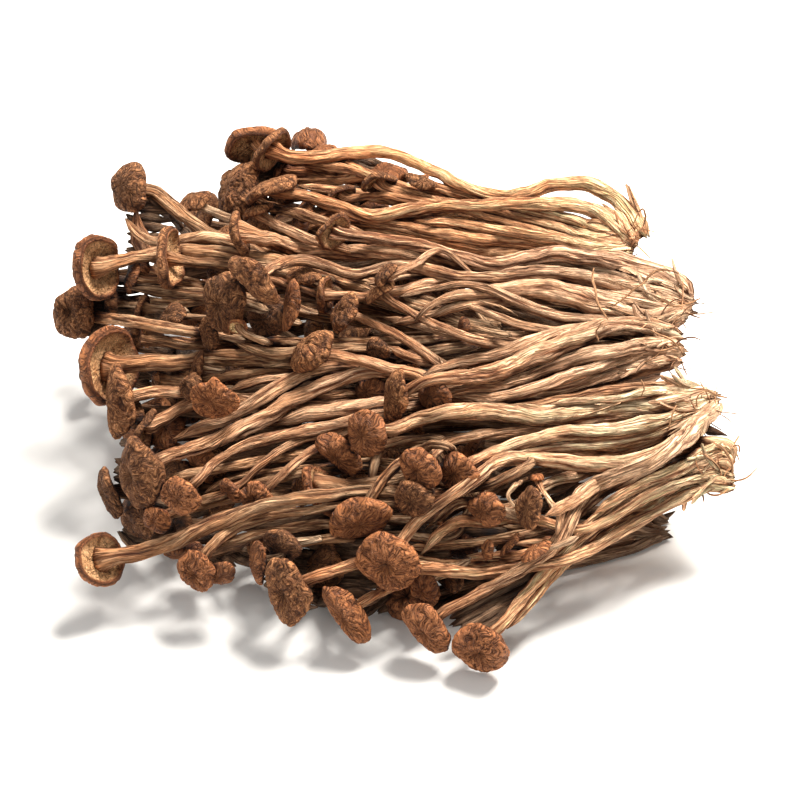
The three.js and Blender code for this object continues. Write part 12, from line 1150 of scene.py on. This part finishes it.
# ------------------------------------------------------------------ material
def skin_material():
    m = bpy.data.materials.new("dried_mushroom")
    m.use_nodes = True
    nt = m.node_tree
    nt.nodes.clear()
    out = nt.nodes.new("ShaderNodeOutputMaterial")
    p = nt.nodes.new("ShaderNodeBsdfPrincipled")
    nt.links.new(p.outputs[0], out.inputs[0])
    tint = nt.nodes.new("ShaderNodeAttribute"); tint.attribute_name = "tint"
    fib = nt.nodes.new("ShaderNodeAttribute"); fib.attribute_name = "fibre"
    dry = nt.nodes.new("ShaderNodeAttribute"); dry.attribute_name = "dry"

    def noise_node(stretch, detail, rough=0.6, distortion=0.0):
        k = nt.nodes.new("ShaderNodeVectorMath"); k.operation = "MULTIPLY"
        nt.links.new(fib.outputs["Vector"], k.inputs[0])
        k.inputs[1].default_value = stretch
        n = nt.nodes.new("ShaderNodeTexNoise")
        n.inputs["Scale"].default_value = 1.0
        n.inputs["Detail"].default_value = detail
        n.inputs["Roughness"].default_value = rough
        n.inputs["Distortion"].default_value = distortion
        nt.links.new(k.outputs[0], n.inputs["Vector"])
        return n.outputs[0]

    def math_node(op, a, b=0.0):
        n = nt.nodes.new("ShaderNodeMath"); n.operation = op
        for i, v in enumerate((a, b)):
            if isinstance(v, (int, float)):
                n.inputs[i].default_value = v
            else:
                nt.links.new(v, n.inputs[i])
        return n.outputs[0]

    def ramp(v, a, b, c, d):
        n = nt.nodes.new("ShaderNodeMapRange")
        n.inputs[1].default_value, n.inputs[2].default_value = a, b
        n.inputs[3].default_value, n.inputs[4].default_value = c, d
        nt.links.new(v, n.inputs[0])
        return n.outputs[0]

    def crease(v, width):
        return ramp(math_node("ABSOLUTE", math_node("SUBTRACT", v, 0.5)), 0.0, width, 1.0, 0.0)

    # long creases about 2 mm apart, fibres about 0.8 mm apart, and grain
    long_ = noise_node((0.42, 0.42, 0.030), 2.0, 0.5)
    fibre = noise_node((1.05, 1.05, 0.075), 3.0, 0.6)
    grain = noise_node((2.1, 2.1, 0.30), 3.0, 0.6)
    patch = noise_node((0.10, 0.10, 0.022), 1.0)
    wide = tint.outputs["Alpha"]

    def crease_of(v, share):
        off = math_node("ABSOLUTE", math_node("SUBTRACT", v, 0.5))
        n = nt.nodes.new("ShaderNodeMath"); n.operation = "DIVIDE"; n.use_clamp = True
        nt.links.new(off, n.inputs[0])
        nt.links.new(math_node("MULTIPLY", wide, share), n.inputs[1])
        return math_node("SUBTRACT", 1.0, n.outputs[0])

    c1, c2 = crease_of(long_, 1.0), crease_of(fibre, 0.9)
    some = math_node("MAXIMUM", ramp(patch, 0.38, 0.60, 0.55, 1.0), ramp(dry.outputs["Fac"], 0.80, 0.84, 1.0, 0.0))
    crease_cut_shade = math_node("MULTIPLY", math_node("MAXIMUM", c1, math_node("MULTIPLY", c2, 0.75)), some)
    # caps are smoother than stems between their wrinkles
    soft = ramp(dry.outputs["Fac"], 0.80, 0.84, 0.45, 1.0)
    speckle = math_node("ADD", 1.0, math_node("MULTIPLY", ramp(grain, 0.34, 0.66, -0.26, 0.26), soft))
    streak = math_node("ADD", 1.0, math_node("MULTIPLY", ramp(fibre, 0.37, 0.63, -0.27, 0.25), soft))
    v = math_node("MULTIPLY", streak, speckle)
    # painted shade: the base colour darkens along the creases
    v = math_node("MULTIPLY", v, ramp(crease_cut_shade, 0.0, 1.0, 1.0, 0.20))
    mul = nt.nodes.new("ShaderNodeVectorMath"); mul.operation = "SCALE"
    nt.links.new(tint.outputs["Color"], mul.inputs[0])
    nt.links.new(v, mul.inputs[3])
    # creases are painted redder as well as darker, as painted shade
    mix = nt.nodes.new("ShaderNodeVectorMath"); mix.operation = "MULTIPLY"
    warm = nt.nodes.new("ShaderNodeCombineXYZ")
    warm.inputs[0].default_value = 1.0
    nt.links.new(ramp(crease_cut_shade, 0.0, 1.0, 1.0, 0.80), warm.inputs[1])
    nt.links.new(ramp(crease_cut_shade, 0.0, 1.0, 1.0, 0.62), warm.inputs[2])
    nt.links.new(mul.outputs[0], mix.inputs[0])
    nt.links.new(warm.outputs[0], mix.inputs[1])
    nt.links.new(mix.outputs[0], p.inputs["Base Color"])
    h = math_node("ADD", math_node("MULTIPLY", fibre, 0.55), math_node("MULTIPLY", grain, 0.25))
    h = math_node("SUBTRACT", h, math_node("MULTIPLY", crease_cut_shade, 0.40))
    bump = nt.nodes.new("ShaderNodeBump")
    bump.inputs["Strength"].default_value = 1.0
    bump.inputs["Distance"].default_value = 0.0019
    nt.links.new(h, bump.inputs["Height"])
    nt.links.new(bump.outputs[0], p.inputs["Normal"])
    nt.links.new(math_node("ADD", dry.outputs["Fac"], ramp(grain, 0.3, 0.7, -0.07, 0.09)), p.inputs["Roughness"])
    p.inputs["Specular IOR Level"].default_value = 0.32
    return m


material = skin_material()

# ------------------------------------------------------------------ build
parts, fans, order = {}, {}, []
for k, (name, node, root, kind, line, cp) in enumerate(GROWTHS):
    skin = parts.setdefault(node, Skin())
    if node not in order:
        order.append(node)
    seed = 101 + 37 * k
    rng = np.random.default_rng(seed)
    visible = kind != "under"
    facing, flat = VIEW, FLAT
    if line and isinstance(line[0], list):
        facing, flat = np.array(line[0][:3], float), line[0][3]
        line = line[1]
    rows = np.array(line, float).reshape(-1, 4) * [0.1, 0.1, 0.1, 0.01] if line else None
    cap_row = None
    if cp:
        c = np.array(cp, float)
        cap_row = (c[:3] * 0.1, unit(c[3:6]), unit(c[6:9]), c[9] * 0.01 * SHRUNK.get(name, 1), c[10] * 0.01 * SHRUNK.get(name, 1), c[11] * 0.01, c[12] * 0.01 * FOLDS.get(name, 1))
    tone = rng.uniform(0.84, 1.08)
    shade = SHADES.get(node, (1, 1, 1))
    look = LOOKS.get(name)
    shade = tuple(np.asarray(shade) * GROWTH_TONES_AND_SHADE.get(name, (1, 1, 1)))
    if rows is not None:
        big = float(rows[:, 3].mean())
        around = int(np.clip(big * 8.2, 14, 22)) if visible else 9
        # painted shade: growths under the heap are dimmed and browned
        stem(skin, rows, facing, flat, seed, around, 1.7 if visible else 3.2, tone=tone, shade=shade,
             cap_end=cap_row is not None, root_pale=1.0 if root else 0.1, shade_dimming=0.0 if visible else 0.30, shade_browning=0.0 if visible else 0.60, group=root)
        if root:
            fans.setdefault((node, root), []).append((rows, facing, flat))
    if cap_row is not None:
        if look is None:
            look = (rng.uniform(0.75, 1.15), rng.uniform(2.1, 3.0), rng.uniform(0.1, 0.45), 0 if rng.random() < 0.6 else 1, rng.uniform(0.08, 0.32))
        cap(skin, cap_row, seed, (CAP_STEP if visible else 1.7), look, fine=visible, outline=OUTLINES.get(name))
for (node, root), members in fans.items():
    seen = not root.startswith("K")
    shade = SHADES.get(node, (1, 1, 1))
    if seen:
        root_sheet(parts[node], members, 500 + ord(root[0]), FAN_LENGTH.get(root, 34), shade, SPECKS.get(root, 0.3))
        root_hairs(parts[node], members, 800 + ord(root[0]), HAIRS.get(root, 8), shade)
    fan(parts[node], members, 7000 + sum(map(ord, root)), seen, FAN_LENGTH.get(root, 30 if seen else 22), shade)
extras(parts)



def paint_hollow_shade(parts, cell=2.5):
    """Painted shade: deep in the heap the skin is painted browner and darker where little light reaches; the openness
    of each point comes from a coarse grid of the heap.
    """
    every = np.concatenate([np.concatenate(p.co) for p in parts.values()])
    low = every.min(0) - 30
    size = np.ceil((every.max(0) + 30 - low) / cell).astype(int) + 1
    grid = np.zeros(size, np.float32)
    k = ((every - low) / cell).astype(int)
    grid[k[:, 0], k[:, 1], k[:, 2]] = 1
    grid = grid.ravel()
    golden = np.arange(7) * 2.39996
    tilt = np.array([0, 0.75, 0.75, 0.75, 0.75, 0.75, 0.75])
    for p in parts.values():
        co, nn = np.concatenate(p.co), np.concatenate(p.nrm)
        nn = unit(nn)
        side = unit(np.cross(nn, [0.31, 0.52, 0.79]))
        up = np.cross(nn, side)
        open_ = np.zeros(len(co))
        for g, t_ in zip(golden, tilt):
            d = nn * math.cos(t_) + (side * math.cos(g) + up * math.sin(g)) * math.sin(t_)
            d = unit(d + [0, 0, 0.15])
            hit = np.zeros(len(co))
            for r in (3.6, 6.2, 9.4, 14.0, 20.0, 28.0):
                q = ((co + d * r - low) / cell).astype(int)
                q = np.clip(q, 0, size - 1)
                hit += grid[(q[:, 0] * size[1] + q[:, 1]) * size[2] + q[:, 2]] * (1.0 if r < 12 else 0.7)
            open_ += np.exp(-0.62 * hit) * (2.0 if t_ == 0 else 1.0)
        open_ = open_ / 8.0
        # painted shade: points that are closed in are darkened and reddened
        k = HOLLOW_SHADE[0] + (1 - HOLLOW_SHADE[0]) * smooth(HOLLOW_SHADE[1], HOLLOW_SHADE[2], open_)
        tint = np.concatenate(p.tint)
        p.tint = [tint * np.stack([k ** 0.82, k ** 1.06, k ** 1.26], -1)]


paint_hollow_shade(parts)

total = 0
for node in order:
    ob = parts[node].object(node + "_grown", material)
    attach(ob, "root")
    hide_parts(node)
    tris = sum(len(p.vertices) - 2 for p in ob.data.polygons)
    total += tris
    print("PIECE", node, tris)
print("TOTAL triangles", total)

# ------------------------------------------------------------------ stage
def plain(name, colour, rough):
    m = bpy.data.materials.new(name)
    m.use_nodes = True
    p = m.node_tree.nodes["Principled BSDF"]
    p.inputs["Base Color"].default_value = (*colour, 1)
    p.inputs["Roughness"].default_value = rough
    return m


bpy.ops.mesh.primitive_plane_add(size=8, location=(0, 0, 0))
floor = bpy.context.object
floor.name = "floor"
floor.data.materials.append(plain("pale_floor", (0.86, 0.85, 0.83), 0.9))

world = bpy.data.worlds.new("studio")
bpy.context.scene.world = world
world.use_nodes = True
world.node_tree.nodes["Background"].inputs[0].default_value = (1.0, 0.985, 0.965, 1)
world.node_tree.nodes["Background"].inputs[1].default_value = WORLD


def area(name, place, look_at, size, power, colour):
    d = bpy.data.lights.new(name, "AREA")
    d.shape = "RECTANGLE"
    d.size, d.size_y = size
    d.energy = power
    d.color = colour
    o = bpy.data.objects.new(name, d)
    o.location = place
    o.rotation_euler = (Vector(look_at) - Vector(place)).to_track_quat("-Z", "Y").to_euler()
    bpy.context.scene.collection.objects.link(o)


for args in LIGHTS:
    area(*args)

cam_data = bpy.data.cameras.new("camera")
camera = bpy.data.objects.new("camera", cam_data)
bpy.context.scene.collection.objects.link(camera)
look_at = Vector((TARGET[0] * MM, TARGET[1] * MM, TARGET[2] * MM))
away = Vector((0, -math.cos(math.radians(40)), math.sin(math.radians(40))))
camera.location = look_at + away * 0.9
camera.rotation_euler = (-away).to_track_quat("-Z", "Y").to_euler()
cam_data.sensor_width = 36
cam_data.lens = 36 * 0.9 / 0.32
cam_data.clip_start, cam_data.clip_end = 0.05, 30
bpy.context.scene.camera = camera
bpy.context.scene.view_settings.view_transform = "Standard"
bpy.context.scene.view_settings.look = "None"

bpy.context.view_layer.update()
